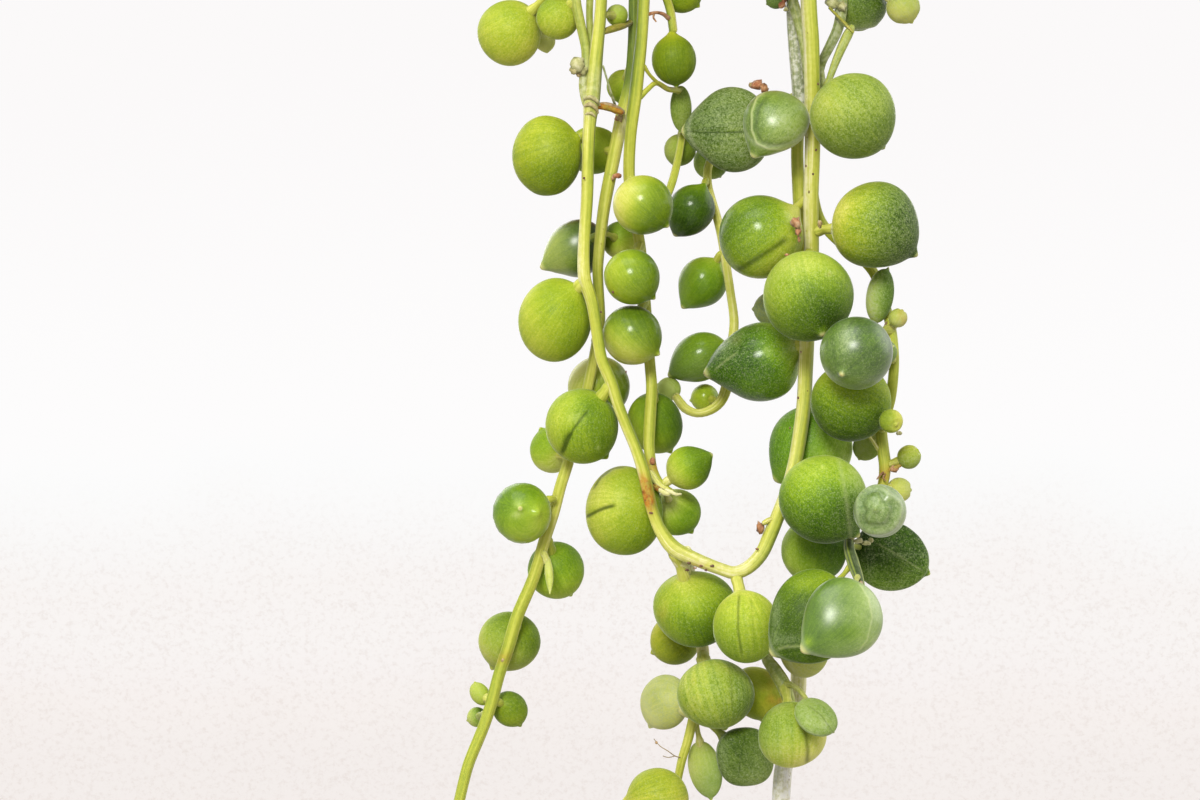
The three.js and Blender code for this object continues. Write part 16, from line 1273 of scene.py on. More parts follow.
def line_marks(verts, n, lines):
    """Signed distance to each drawn line in line widths, and how strong the line is there (below 0 is pale)."""
    out = np.zeros((len(verts), 4))
    out[:, 0] = out[:, 2] = 9.0
    u, v = to_px(verts)
    front = np.clip(0.35 - n[:, 1] * 3, 0, 1)
    push = np.zeros(len(verts))
    for k, (amount, width, pts) in enumerate(lines[:2]):
        p = np.array(pts, float)
        seg = np.linalg.norm(np.diff(p, axis=0), axis=1)
        total, run = seg.sum(), 0.0
        best, sd, along = np.full(len(u), 1e9), np.zeros(len(u)), np.zeros(len(u))
        for i in range(len(p) - 1):
            d = (p[i + 1] - p[i]) / seg[i]
            du, dv = u - p[i, 0], v - p[i, 1]
            t = du * d[0] + dv * d[1]
            side = du * d[1] - dv * d[0]
            tc = np.clip(t, 0, seg[i])
            dist = np.hypot(side, t - tc)
            m = dist < best
            best = np.where(m, dist, best)
            sd = np.where(m, np.where(side < 0, -dist, dist), sd)
            along = np.where(m, run + t, along)
            run += seg[i]
        end = min(5.0, 0.3 * total)
        fade = np.clip((along + 1) / end, 0, 1) * np.clip((total + 1 - along) / end, 0, 1)
        out[:, 2 * k] = np.clip(sd / width, -9, 9)
        out[:, 2 * k + 1] = amount * fade * front
        push += amount * fade * front * np.exp(-(sd / (1.3 * width + 1.0)) ** 2)
    return out, push


def leaf_form(L, nu, nv, seed):
    """A leaf whose lines run from its tip to its stalk: points, faces and masks."""
    C, r, e, f = np.array(L["C"]), L["r"], L["e"], L["f"]
    a, b, w = unit(L["a"]), unit(L["b"]), unit(L["w"])
    h = a + b
    if np.linalg.norm(h) < 0.05:
        m = unit(w - a * np.dot(w, a)) if np.linalg.norm(np.cross(w, a)) > 0.1 else across(a)
        beta = 0.0
        a0 = unit(a - b)
    else:
        m = unit(h)
        beta = np.linalg.norm(h) / 2
        a0 = unit(a - b)
        m = unit(m - a0 * np.dot(m, a0))
    k = np.cross(m, a0)
    root = math.sqrt(max(1 - beta * beta, 1e-4))
    # the line of the groove or of the flat face
    wm = np.dot(w, m)
    back = (root * (w - m * wm) + (wm - beta) * m) / (1 - beta * wm)
    phi_w = math.atan2(np.dot(back, k), np.dot(back, m))
    x = np.linspace(0, 1, nu, endpoint=False)
    warp = 0.35 if L["g"] > 0 else 0.0
    dphi = 2 * math.pi * x - warp * np.sin(2 * math.pi * x)
    y = (np.arange(nv) + 1) / (nv + 1)
    th = math.pi * (y ** 1.25 * (1 - 0.25 * y) / 0.75)
    TH, DP = np.meshgrid(th, dphi, indexing="ij")
    PH = phi_w + DP
    base = np.cos(TH)[..., None] * a0 + np.sin(TH)[..., None] * (np.cos(PH)[..., None] * m + np.sin(PH)[..., None] * k)
    flat = np.vstack([[a0], base.reshape(-1, 3), [-a0]])
    nm = flat @ m
    n = (root * (flat - nm[:, None] * m) + (nm + beta)[:, None] * m) / (1 + beta * nm)[:, None]
    n /= np.linalg.norm(n, axis=1)[:, None]
    grow = root / (1 + beta * nm)
    dp = np.concatenate([[0], DP.ravel(), [0]])
    dp = (dp + math.pi) % (2 * math.pi) - math.pi
    sth = np.concatenate([[0], np.sin(TH).ravel(), [0]])
    delta = dp * sth * grow                                  # signed angle from the groove line
    ta, ba = angle(n, a), angle(n, b)
    tip = L["tip"]
    if L["bud"]:
        rho = angle(n, a)
        R = 1 - 0.10 * np.exp(-((rho - 0.30) / 0.14) ** 2) + 0.04 * np.exp(-(rho / 0.16) ** 2) + 0.03 * np.exp(-((rho - 0.55) / 0.12) ** 2)
    elif tip >= 0.2:
        R = 1 + tip * (0.62 * np.exp(-(ta / 0.46) ** 2) + 0.38 * np.exp(-(ta / 0.14) ** 2))
    else:
        R = 1 + tip * (0.22 * np.exp(-(ta / 0.42) ** 2) + 0.85 * np.exp(-(ta / 0.10) ** 2))
    fl = L["flare"]
    R = R + fl * (0.15 * np.exp(-(ba / 0.30) ** 2) + 0.12 * np.exp(-(ba / 0.15) ** 2)) + (1 - min(fl, 1)) * (0.05 * np.exp(-(ba / 0.16) ** 2) - 0.035 * np.exp(-(ba / 0.42) ** 2))
    g = L["g"] if not L["lines"] else 0.0
    fade = np.clip(ta / 0.25, 0, 1) * np.clip((ba - 0.12) / 0.25, 0, 1) * np.clip(2.0 - 1.3 * np.abs(dp), 0, 1)
    R = R - g * fade * (0.022 * np.exp(-(delta / 0.07) ** 2) + 0.016 * np.exp(-(delta / 0.18) ** 2) - 0.014 * np.exp(-((np.abs(delta) - 0.36) / 0.2) ** 2))
    R = R + bump_sum(n, seed, 0.015 if L["det"] else 0.006)
    flatness = n[:, 0] ** 2 + n[:, 2] ** 2
    around = np.arctan2(-n[:, 2], n[:, 0])
    for k3, amp, phase in L["waves"]:
        R = R + amp * flatness * np.cos(k3 * (around - math.radians(phase)))
    rim = np.zeros(len(n))
    if L["ring"] > 0:
        rho = angle(n, a)
        wob = 1 + 0.10 * np.sin(2 * dp + seed) + 0.08 * np.sin(3 * dp + 1.0) + 0.05 * np.sin(5 * dp)
        lim = 1.02 * wob
        R = R + L["ring"] * (0.10 * np.exp(-((rho - lim) / 0.14) ** 2) - 0.13 * np.exp(-((rho - lim + 0.36) / 0.15) ** 2))
        rim = L["ring"] * (0.8 * np.exp(-((rho - lim) / 0.15) ** 2) - 0.55 * np.exp(-((rho - lim + 0.34) / 0.17) ** 2))
    ax = unit(a - b)
    wf = unit(w - ax * np.dot(w, ax))
    v = n * R[:, None]
    v = v + ((e - 1) * (v @ ax))[:, None] * ax
    if f < 1:
        hgt = v @ wf
        v = v + ((f - 1) * hgt)[:, None] * wf
        # a flattened leaf gets a paler band along its thin edge: partly a pale margin, partly painted rim sheen
        edge = 1 - np.abs(n @ wf)
        rim = np.maximum(rim, 0.55 * np.clip((edge - 0.84) / 0.16, 0, 1) ** 1.5)
    v = v * np.array([L["sx"], 1.0, L["sz"]])
    verts = C + r * v
    if L["lines"]:
        line, push = line_marks(verts, n, L["lines"])
        verts = verts - (r * 0.022 * push)[:, None] * n
    else:
        line = np.stack([np.clip(delta / 0.042, -9, 9), 0.8 * g * fade, np.full(len(n), 9.0), np.zeros(len(n))], -1)
    quads, tris = grid_faces(nv, nu)
    quads, tris = outward(verts, quads, tris)
    # tone and bloom run from the lighter to the darker side of the leaf: partly its own colour, partly painted light
    # and shade
    t = np.clip(0.5 + 0.62 * (n @ np.array(L["to"])), 0, 1)
    t = t * t * (3 - 2 * t)
    tone = L["hi"] + (L["lo"] - L["hi"]) * t
    tone = tone + (0.12 + 0.12 * fl) * np.exp(-(ba / (0.42 + 0.3 * fl)) ** 2)
    bloom_and_painted_light = L["b0"] + (L["b1"] - L["b0"]) * t
    brown = np.full(len(n), L["brn"])
    if L["brn"] and L["det"] == 2:
        brown = L["brn"] * np.clip(n @ unit(np.array([0.9, -0.5, 0.1])) * 1.6 - 0.1, 0, 1)
    # soft patches from SPOTS change tone, bloom and brown; some are the leaf's own marks, some painted highlights,
    # painted light or painted shade
    if L["spots"]:
        su, sv = to_px(verts)
        front = np.clip(0.5 - n[:, 1] * 3, 0, 1)
        for cu, cv, ru, rv, dt, db, dn in L["spots"]:
            g2 = front * np.exp(-((su - cu) / ru) ** 2 - ((sv - cv) / rv) ** 2)
            tone, bloom_and_painted_light, brown = tone + dt * g2, bloom_and_painted_light + db * g2, brown + dn * g2
    mark = np.stack([np.full(len(n), L["spk"]), np.exp(-(ta / (0.085 if tip < 0.2 else 0.16)) ** 2) * (0.0 if L["bud"] else 1 - min(L["ring"], 1)), np.full(len(n), L["streak"]), rim], -1)
    cph = np.concatenate([[1], np.cos(PH).ravel(), [1]])
    sph = np.concatenate([[0], np.sin(PH).ravel(), [0]])
    tt = np.concatenate([[0], (TH / math.pi).ravel(), [1]])
    fib = np.stack([cph, sph, tt + seed * 11.3], -1)
    tone = np.stack([np.clip(tone, 0, 1.05), np.clip(bloom_and_painted_light, 0, 1), np.full(len(n), L["warm"]), np.clip(brown, 0, 1)], -1)
    return verts, quads, tris, tone, mark, line, fib


def leaf_point(L):
    """Where the stalk meets the leaf."""
    b = unit(L["b"])
    ax = unit(unit(L["a"]) - b)
    v = b * (1 + 0.13 * L["flare"])
    v = v + ((L["e"] - 1) * np.dot(v, ax)) * ax
    wf = unit(L["w"])
    wf = unit(wf - ax * np.dot(wf, ax))
    if L["f"] < 1:
        v = v + ((L["f"] - 1) * np.dot(v, wf)) * wf
    return np.array(L["C"]) + L["r"] * v * np.array([L["sx"], 1.0, L["sz"]])


def stalk(L, sides, step, seed):
    """The leaf's stalk, wide where it leaves the stem and again where it runs into the leaf."""
    P, E = np.array(L["P"]), leaf_point(L)
    C = np.array(L["C"])
    inside = E + (C - E) * (0.30 if L["flare"] else 0.22)
    d = inside - P
    n = np.linalg.norm(d)
    rng = np.random.default_rng(int(seed * 991) + 5)
    side = unit(np.cross(d, rng.normal(size=3)))
    k = max(5, int(n / step) + 1)
    t = np.linspace(0, 1, k)[:, None]
    bow = side * 0.07 * n * rng.uniform(0.3, 1.0) + np.array([0, 0, 0.04 * n])
    pts = P + d * t + bow * (4 * t * (1 - t)) * (1 - t * 0.3)
    s = np.linalg.norm(pts - P, axis=1)
    le = np.linalg.norm(E - P)
    pr, ps = L["pr"], L["ps"]
    near = np.exp(-(((s - ps) / 0.75) ** 2)) * (s > ps * 0.6) + (s <= ps * 0.6) * 0.5
    far = np.exp(-((np.clip(le - s, 0, None) / (0.10 * L["r"] + 0.22 + 0.20 * L["flare"])) ** 2))
    rad = pr * (0.80 + 0.42 * near + (0.55 - 0.40 * L["flare"]) * far)
    rad = np.minimum(rad, max(0.62 * L["r"], 0.2))
    v, q, tr, fib, sv = tube(np.hstack([pts, rad[:, None]]), sides, ridge=0.02, ridges=3, seed=seed)
    f = np.clip(sv / max(n, 1e-3), 0, 1)
    return v, q, tr, fib, f


def near_axis(v, path):
    """Unit directions from a path's nearest points to points round it."""
    out = np.zeros_like(v)
    p = path[:, :3]
    for i in range(0, len(v), 4000):
        d = ((v[i:i + 4000, None] - p[None]) ** 2).sum(-1).argmin(1)
        w = v[i:i + 4000] - p[d]
        out[i:i + 4000] = w / np.maximum(np.linalg.norm(w, axis=1), 1e-9)[:, None]
    return out


def blob(centre, radii, seed, rough=0.18, detail=2, axis=None):
    """A small uneven lump: dried scale, scar, chip or grain."""
    bm = bmesh.new()
    bmesh.ops.create_icosphere(bm, subdivisions=detail, radius=1)
    v = np.array([x.co for x in bm.verts])
    f = np.array([[x.index for x in fc.verts] for fc in bm.faces])
    bm.free()
    rr = np.array([1 + rough * noise.noise(Vector(p * 1.7) + Vector((seed * 7.1, seed * 3.3, seed))) * 1.6
                   + rough * 0.5 * noise.noise(Vector(p * 4.1) + Vector((seed, seed * 5.3, seed * 2.2))) for p in v])
    v = v * rr[:, None] * np.array(radii)
    if axis is not None:
        z = unit(axis)
        x = across(z)
        v = v[:, :1] * x + v[:, 1:2] * np.cross(z, x) + v[:, 2:] * z
    return v + np.array(centre), f


# ------------------------------------------------------------------ materials
def lin(r, g, b):
    """Linear colour from 0-255 values."""
    def one(c):
        c /= 255
        return c / 12.92 if c <= 0.04045 else ((c + 0.055) / 1.055) ** 2.4
    return (one(r), one(g), one(b), 1)


class Nodes:
    def __init__(self, name):
        self.m = bpy.data.materials.new(name)
        self.m.use_nodes = True
        self.t = self.m.node_tree
        self.bsdf = self.t.nodes["Principled BSDF"]

    def new(self, kind, **kw):
        n = self.t.nodes.new(kind)
        for k, v in kw.items():
            setattr(n, k, v)
        return n

    def link(self, a, b):
        self.t.links.new(a, b)

    def put(self, socket, value):
        if isinstance(value, bpy.types.NodeSocket):
            self.link(value, socket)
        else:
            socket.default_value = value

    def math(self, op, a, b=0.0, clamp=False):
        n = self.new("ShaderNodeMath", operation=op, use_clamp=clamp)
        self.put(n.inputs[0], a)
        self.put(n.inputs[1], b)
        return n.outputs[0]

    def mul_add(self, a, b, c):
        n = self.new("ShaderNodeMath", operation="MULTIPLY_ADD")
        self.put(n.inputs[0], a)
        self.put(n.inputs[1], b)
        self.put(n.inputs[2], c)
        return n.outputs[0]

    def attr(self, name):
        return self.new("ShaderNodeAttribute", attribute_name=name)

    def split(self, colour):
        n = self.new("ShaderNodeSeparateColor")
        self.link(colour, n.inputs[0])
        return n.outputs

    def vec_mul(self, v, s):
        n = self.new("ShaderNodeVectorMath", operation="MULTIPLY")
        self.put(n.inputs[0], v)
        n.inputs[1].default_value = s
        return n.outputs[0]

    def noise(self, vector, scale, detail=2.0, rough=0.5, distort=0.0):
        n = self.new("ShaderNodeTexNoise")
        self.link(vector, n.inputs["Vector"])
        n.inputs["Scale"].default_value = scale
        n.inputs["Detail"].default_value = detail
        n.inputs["Roughness"].default_value = rough
        n.inputs["Distortion"].default_value = distort
        return n.outputs["Fac"]

    def voronoi(self, vector, scale, feature="F1", rand=1.0):
        n = self.new("ShaderNodeTexVoronoi", feature=feature)
        self.link(vector, n.inputs["Vector"])
        n.inputs["Scale"].default_value = scale
        n.inputs["Randomness"].default_value = rand
        return n.outputs["Distance"]

    def step(self, x, lo, hi, a=0.0, b=1.0):
        n = self.new("ShaderNodeMapRange", interpolation_type="SMOOTHSTEP", clamp=True)
        self.put(n.inputs["Value"], x)
        n.inputs["From Min"].default_value = lo
        n.inputs["From Max"].default_value = hi
        n.inputs["To Min"].default_value = a
        n.inputs["To Max"].default_value = b
        return n.outputs["Result"]

    def ramp(self, x, stops):
        n = self.new("ShaderNodeValToRGB")
        self.put(n.inputs[0], x)
        r = n.color_ramp
        r.elements[0].position, r.elements[0].color = stops[0]
        r.elements[1].position, r.elements[1].color = stops[-1]
        for p, c in stops[1:-1]:
            r.elements.new(p).color = c
        return n.outputs[0]

    def mix(self, fac, a, b, mode="MIX"):
        n = self.new("ShaderNodeMix", data_type="RGBA", blend_type=mode)
        n.clamp_factor = True
        self.put(n.inputs["Factor"], fac)
        self.put([i for i in n.inputs if i.name == "A" and i.type == "RGBA"][0], a)
        self.put([i for i in n.inputs if i.name == "B" and i.type == "RGBA"][0], b)
        return [o for o in n.outputs if o.type == "RGBA"][0]

    def bump(self, height, strength, distance, normal=None):
        n = self.new("ShaderNodeBump")
        self.link(height, n.inputs["Height"])
        n.inputs["Strength"].default_value = strength
        n.inputs["Distance"].default_value = distance
        if normal is not None:
            self.link(normal, n.inputs["Normal"])
        return n.outputs[0]

    def place(self):
        return self.new("ShaderNodeTexCoord").outputs["Object"]


def skin(r, g, b):
    """Plant colour as it looks under the studio light, taken down to the pigment's own."""
    return tuple(c * 0.60 for c in lin(r, g, b)[:3]) + (1,)


def leaf_material(name, sheen, rough, level, coat, coat_rough):
    m = Nodes(name)
    s = m.bsdf.inputs
    x, bloom_and_painted_light, warm = m.split(m.attr("tone").outputs["Color"])[:3]
    brn = m.attr("tone").outputs["Alpha"]
    spk, tip, streak = m.split(m.attr("mark").outputs["Color"])[:3]
    rim = m.attr("mark").outputs["Alpha"]
    ln = m.attr("line")
    s1, k1, s2 = m.split(ln.outputs["Color"])[:3]
    k2 = ln.outputs["Alpha"]
    bell1 = m.math("MULTIPLY", m.math("EXPONENT", m.math("MULTIPLY", m.math("MULTIPLY", s1, s1), -1.0)), k1)
    bell2 = m.math("MULTIPLY", m.math("EXPONENT", m.math("MULTIPLY", m.math("MULTIPLY", s2, s2), -1.0)), k2)
    both = m.math("ADD", bell1, bell2)
    dark = m.math("MULTIPLY", both, 1.0, True)
    pale = m.math("MULTIPLY", both, -1.0, True)
    fibv = m.attr("fib").outputs["Vector"]
    pos = m.place()
    fib = m.step(m.noise(m.vec_mul(fibv, (13.0, 13.0, 1.4)), 1.0, 3.0, 0.62), 0.30, 0.70)
    fine = m.step(m.noise(m.vec_mul(fibv, (44.0, 44.0, 5.0)), 1.0, 2.0, 0.6), 0.34, 0.66)
    low = m.step(m.noise(pos, 230.0, 2.0), 0.28, 0.72)
    mott = m.step(m.noise(pos, 2900.0, 4.0, 0.70), 0.36, 0.64)
    grain = m.step(m.noise(pos, 6000.0, 2.0, 0.6), 0.36, 0.64)
    x = m.mul_add(m.math("SUBTRACT", low, 0.5), 0.13, x)
    x = m.mul_add(m.math("SUBTRACT", fib, 0.5), 0.07, x)
    x = m.mul_add(m.math("SUBTRACT", fine, 0.5), 0.06, x)
    rough_skin = m.mul_add(spk, 0.95, 0.42)
    x = m.mul_add(m.math("MULTIPLY", m.math("SUBTRACT", mott, 0.5), rough_skin), 0.13, x)
    x = m.mul_add(m.math("MULTIPLY", m.math("SUBTRACT", grain, 0.5), rough_skin), 0.11, x)
    x = m.mul_add(m.math("MULTIPLY", streak, m.math("SUBTRACT", fib, 0.5)), 0.14, x)
    col = m.ramp(x, [(0.0, skin(40, 66, 8)), (0.15, skin(64, 94, 14)), (0.30, skin(90, 122, 18)), (0.45, skin(116, 147, 24)), (0.60, skin(144, 171, 33)),
                     (0.75, skin(171, 190, 54)), (0.88, skin(197, 207, 80)), (1.0, skin(224, 226, 118))])
    col = m.mix(m.math("MULTIPLY", m.math("SUBTRACT", warm, 0.5), 2.0, True), col, (1.28, 1.0, 0.72, 1), "MULTIPLY")
    col = m.mix(m.math("MULTIPLY", m.math("SUBTRACT", 0.5, warm), 2.0, True), col, (0.76, 1.0, 1.15, 1), "MULTIPLY")
    # bloom on the skin: grey-green, patchy; painted highlights and painted light from single leaf patches come in
    # through this channel too
    patchy = m.math("MULTIPLY", spk, m.mul_add(m.math("SUBTRACT", grain, 0.60), 0.40, m.math("MULTIPLY", m.math("SUBTRACT", mott, 0.60), 0.55)))
    bloom_and_painted_light = m.math("MULTIPLY", bloom_and_painted_light, m.math("ADD", m.mul_add(mott, 0.45, 0.62), m.math("MULTIPLY", patchy, 1.9)), True)
    col = m.mix(bloom_and_painted_light, col, m.ramp(low, [(0.0, skin(148, 166, 118)), (1.0, skin(186, 198, 156))]))
    # pale grains of the skin
    frost = m.step(m.noise(m.vec_mul(pos, (5600.0, 5600.0, 5600.0)), 1.0, 3.0, 0.7), 0.50, 0.68)
    col = m.mix(m.math("MULTIPLY", frost, m.mul_add(bloom_and_painted_light, 0.36, m.mul_add(spk, 0.32, 0.06))), col, skin(204, 212, 166))
    dots = m.step(m.voronoi(pos, 2300.0), 0.06, 0.22, 1.0, 0.0)
    col = m.mix(m.math("MULTIPLY", dots, m.mul_add(spk, 0.22, 0.06)), col, skin(206, 214, 164))
    col = m.mix(m.math("MULTIPLY", dark, 0.78), col, skin(38, 60, 10))
    col = m.mix(m.math("MULTIPLY", pale, 0.70), col, skin(206, 214, 150))
    # pale where the rim mask is high: the ring's crest, and the thin edge of flattened leaves, which is partly painted
    # rim sheen
    col = m.mix(m.math("MULTIPLY", rim, 0.50, True), col, skin(214, 220, 186))
    col = m.mix(m.math("MULTIPLY", rim, -0.60, True), col, skin(60, 88, 44))
    patch = m.step(m.noise(pos, 420.0, 3.0, 0.6), 0.36, 0.62)
    col = m.mix(m.math("MULTIPLY", m.math("MULTIPLY", brn, patch), 0.8), col, m.ramp(mott, [(0.0, skin(176, 120, 40)), (1.0, skin(206, 170, 60))]))
    col = m.mix(m.math("MULTIPLY", m.step(tip, 0.20, 0.80), 0.72), col, m.ramp(tip, [(0.0, skin(190, 200, 100)), (0.8, skin(226, 222, 150)), (1.0, skin(200, 170, 110))]))
    m.link(col, s["Base Color"])
    r = m.mul_add(mott, 0.10, rough)
    m.link(m.mul_add(bloom_and_painted_light, 0.10, r), s["Roughness"])
    h = m.math("ADD", m.math("MULTIPLY", fib, 0.45), m.math("MULTIPLY", mott, 0.45))
    h = m.mul_add(grain, 0.30, h)
    h = m.mul_add(both, -1.6, h)
    m.link(m.bump(h, 0.32, 0.00006), s["Normal"])
    s["Specular IOR Level"].default_value = level
    s["Sheen Weight"].default_value = sheen
    s["Sheen Roughness"].default_value = 0.18
    s["Sheen Tint"].default_value = (0.90, 0.95, 0.84, 1)
    s["Coat Weight"].default_value = coat
    s["Coat Roughness"].default_value = coat_rough
    s["Coat IOR"].default_value = 1.45
    s["IOR"].default_value = 1.42
    s["Subsurface Weight"].default_value = 0.16
    s["Subsurface Radius"].default_value = (0.9, 1.0, 0.22)
    s["Subsurface Scale"].default_value = 0.0012
    return m.m


def stem_material():
    m = Nodes("living_stem")
    s = m.bsdf.inputs
    x, wool_and_painted_light, speck = m.split(m.attr("tone").outputs["Color"])[:3]
    brn = m.attr("tone").outputs["Alpha"]
    fibv = m.attr("fib").outputs["Vector"]
    pos = m.place()
    stripe = m.step(m.noise(m.vec_mul(fibv, (1.9, 1.9, 0.05)), 1.0, 2.0, 0.55), 0.34, 0.66)
    fine = m.step(m.noise(m.vec_mul(fibv, (7.0, 7.0, 0.22)), 1.0, 2.0, 0.6), 0.36, 0.64)
    low = m.step(m.noise(pos, 120.0, 2.0), 0.3, 0.7)
    mott = m.step(m.noise(pos, 1900.0, 3.0, 0.6), 0.34, 0.66)
    x = m.mul_add(m.math("SUBTRACT", stripe, 0.5), 0.16, x)
    x = m.mul_add(m.math("SUBTRACT", fine, 0.5), 0.10, x)
    x = m.mul_add(m.math("SUBTRACT", low, 0.5), 0.08, x)
    x = m.mul_add(m.math("SUBTRACT", mott, 0.5), 0.06, x)
    col = m.ramp(x, [(0.0, skin(52, 74, 20)), (0.25, skin(105, 127, 34)), (0.50, skin(155, 169, 44)), (0.70, skin(190, 195, 64)), (0.85, skin(214, 213, 98)), (1.0, skin(240, 234, 168))])
    # grey wool, and painted light too: the paler lit side of some stems and the palest lower end of the old right stem
    grey = m.math("MULTIPLY", wool_and_painted_light, m.mul_add(mott, 0.35, 0.70), True)
    col = m.mix(grey, col, m.ramp(m.mul_add(fine, 0.22, m.mul_add(mott, 0.68, m.step(wool_and_painted_light, 0.86, 1.0, 0.0, 0.55))), [(0.0, skin(138, 142, 120)), (0.40, skin(184, 185, 168)), (0.75, skin(224, 222, 210)), (1.0, skin(246, 244, 236))]))
    dots = m.step(m.voronoi(pos, 900.0), 0.05, 0.14, 1.0, 0.0)
    keep = m.step(m.noise(pos, 330.0, 1.0), 0.48, 0.58)
    col = m.mix(m.math("MULTIPLY", m.math("MULTIPLY", dots, keep), m.mul_add(speck, 0.75, 0.15, )), col, skin(104, 70, 34))
    scar = m.math("MULTIPLY", brn, m.mul_add(mott, 0.6, 0.55), True)
    col = m.mix(scar, col, m.ramp(m.noise(pos, 1100.0, 3.0), [(0.3, skin(130, 70, 10)), (0.5, skin(178, 110, 14)), (0.7, skin(200, 144, 40))]))
    m.link(col, s["Base Color"])
    m.link(m.mul_add(mott, 0.12, 0.54), s["Roughness"])
    h = m.math("ADD", m.math("MULTIPLY", stripe, 0.6), m.math("MULTIPLY", fine, 0.4))
    h = m.mul_add(mott, 0.22, h)
    m.link(m.bump(h, 0.35, 0.00007), s["Normal"])
    s["Specular IOR Level"].default_value = 0.30
    s["Sheen Weight"].default_value = 0.08
    s["Sheen Roughness"].default_value = 0.35
    s["Sheen Tint"].default_value = (0.95, 0.95, 0.82, 1)
    s["Coat Weight"].default_value = 0.03
    s["Coat Roughness"].default_value = 0.34
    s["Subsurface Weight"].default_value = 0.16
    s["Subsurface Radius"].default_value = (1.0, 0.95, 0.30)
    s["Subsurface Scale"].default_value = 0.0009
    return m.m


def dry_material():
    m = Nodes("dried_scale")
    s = m.bsdf.inputs
    pos = m.place()
    n1 = m.noise(pos, 1300.0, 4.0, 0.65)
    kind, dark_, _ = m.split(m.attr("tone").outputs["Color"])[:3]
    a = m.ramp(n1, [(0.30, skin(106, 58, 34)), (0.48, skin(172, 106, 66)), (0.62, skin(204, 150, 108)), (0.78, skin(226, 196, 162))])
    b = m.ramp(n1, [(0.30, skin(128, 128, 70)), (0.50, skin(190, 190, 128)), (0.70, skin(226, 222, 180))])
    col = m.mix(kind, a, b)
    m.link(m.mix(dark_, col, skin(58, 44, 34)), s["Base Color"])
    m.link(m.mul_add(n1, 0.3, 0.55), s["Roughness"])
    m.link(m.bump(n1, 0.6, 0.00012), s["Normal"])
    s["Specular IOR Level"].default_value = 0.25
    s["Sheen Weight"].default_value = 0.1
    s["Sheen Roughness"].default_value = 0.5
    return m.m


def pot_material():
    m = Nodes("moulded_terracotta_plastic")
    s = m.bsdf.inputs
    pos = m.place()
    big = m.step(m.noise(m.vec_mul(pos, (28.0, 28.0, 16.0)), 1.0, 4.0, 0.6), 0.32, 0.7)
    fine = m.noise(pos, 1500.0, 4.0, 0.6)
    z = m.new("ShaderNodeSeparateXYZ")
    m.link(pos, z.inputs[0])
    foot = m.step(z.outputs["Z"], -0.262, -0.296)
    runs = m.step(m.noise(m.vec_mul(pos, (160.0, 160.0, 5.0)), 1.0, 3.0, 0.55), 0.50, 0.78)
    col = m.ramp(big, [(0.0, lin(164, 84, 54)), (0.5, lin(182, 97, 64)), (1.0, lin(196, 114, 80))])
    col = m.mix(m.math("MULTIPLY", fine, 0.22), col, lin(150, 74, 48))
    lime = m.math("MULTIPLY", runs, m.mul_add(foot, 0.30, 0.10))
    col = m.mix(lime, col, lin(222, 196, 176))
    edge = m.step(z.outputs["Z"], -0.2015, -0.1995)
    col = m.mix(m.math("MULTIPLY", edge, m.math("MULTIPLY", big, 0.35)), col, lin(214, 152, 122))
    m.link(col, s["Base Color"])
    m.link(m.mul_add(fine, 0.18, m.mul_add(runs, 0.16, 0.40)), s["Roughness"])
    wave = m.new("ShaderNodeTexWave", wave_type="BANDS", bands_direction="Z", wave_profile="SIN")
    m.link(pos, wave.inputs["Vector"])
    wave.inputs["Scale"].default_value = 46.0
    wave.inputs["Distortion"].default_value = 0.6
    wave.inputs["Detail"].default_value = 1.0
    n = m.bump(wave.outputs["Fac"], 0.10, 0.00012)
    m.link(m.bump(fine, 0.30, 0.00010, n), s["Normal"])
    return m.m


def soil_material(name, dark, light, rough=0.9, scale=900.0):
    m = Nodes(name)
    s = m.bsdf.inputs
    pos = m.place()
    n1 = m.noise(pos, scale, 5.0, 0.7)
    n2 = m.noise(pos, scale * 0.2, 3.0, 0.6)
    col = m.ramp(n1, [(0.28, dark), (0.55, tuple((a + b) / 2 for a, b in zip(dark, light))), (0.80, light)])
    col = m.mix(m.math("MULTIPLY", n2, 0.5), col, dark)
    m.link(col, s["Base Color"])
    m.link(m.mul_add(n1, 0.15, rough - 0.08), s["Roughness"])
    m.link(m.bump(n1, 0.7, 0.0004), s["Normal"])
    return m.m


def steel_material():
    m = Nodes("galvanised_wire")
    s = m.bsdf.inputs
    pos = m.place()
    cell = m.new("ShaderNodeTexVoronoi", feature="F1")
    m.link(pos, cell.inputs["Vector"])
    cell.inputs["Scale"].default_value = 700.0
    tone = m.split(cell.outputs["Color"])[0]
    n1 = m.noise(pos, 1400.0, 4.0, 0.6)
    long_ = m.noise(m.vec_mul(pos, (900.0, 900.0, 60.0)), 1.0, 2.0)
    col = m.ramp(tone, [(0.0, lin(158, 162, 166)), (0.5, lin(182, 185, 188)), (1.0, lin(206, 208, 210))])
    col = m.mix(m.math("MULTIPLY", m.step(n1, 0.55, 0.75), 0.22), col, lin(150, 148, 142))
    m.link(col, s["Base Color"])
    s["Metallic"].default_value = 1.0
    m.link(m.mul_add(n1, 0.12, m.mul_add(tone, 0.06, 0.26)), s["Roughness"])
    m.link(m.bump(m.math("ADD", long_, m.math("MULTIPLY", n1, 0.4)), 0.10, 0.00005), s["Normal"])
    return m.m


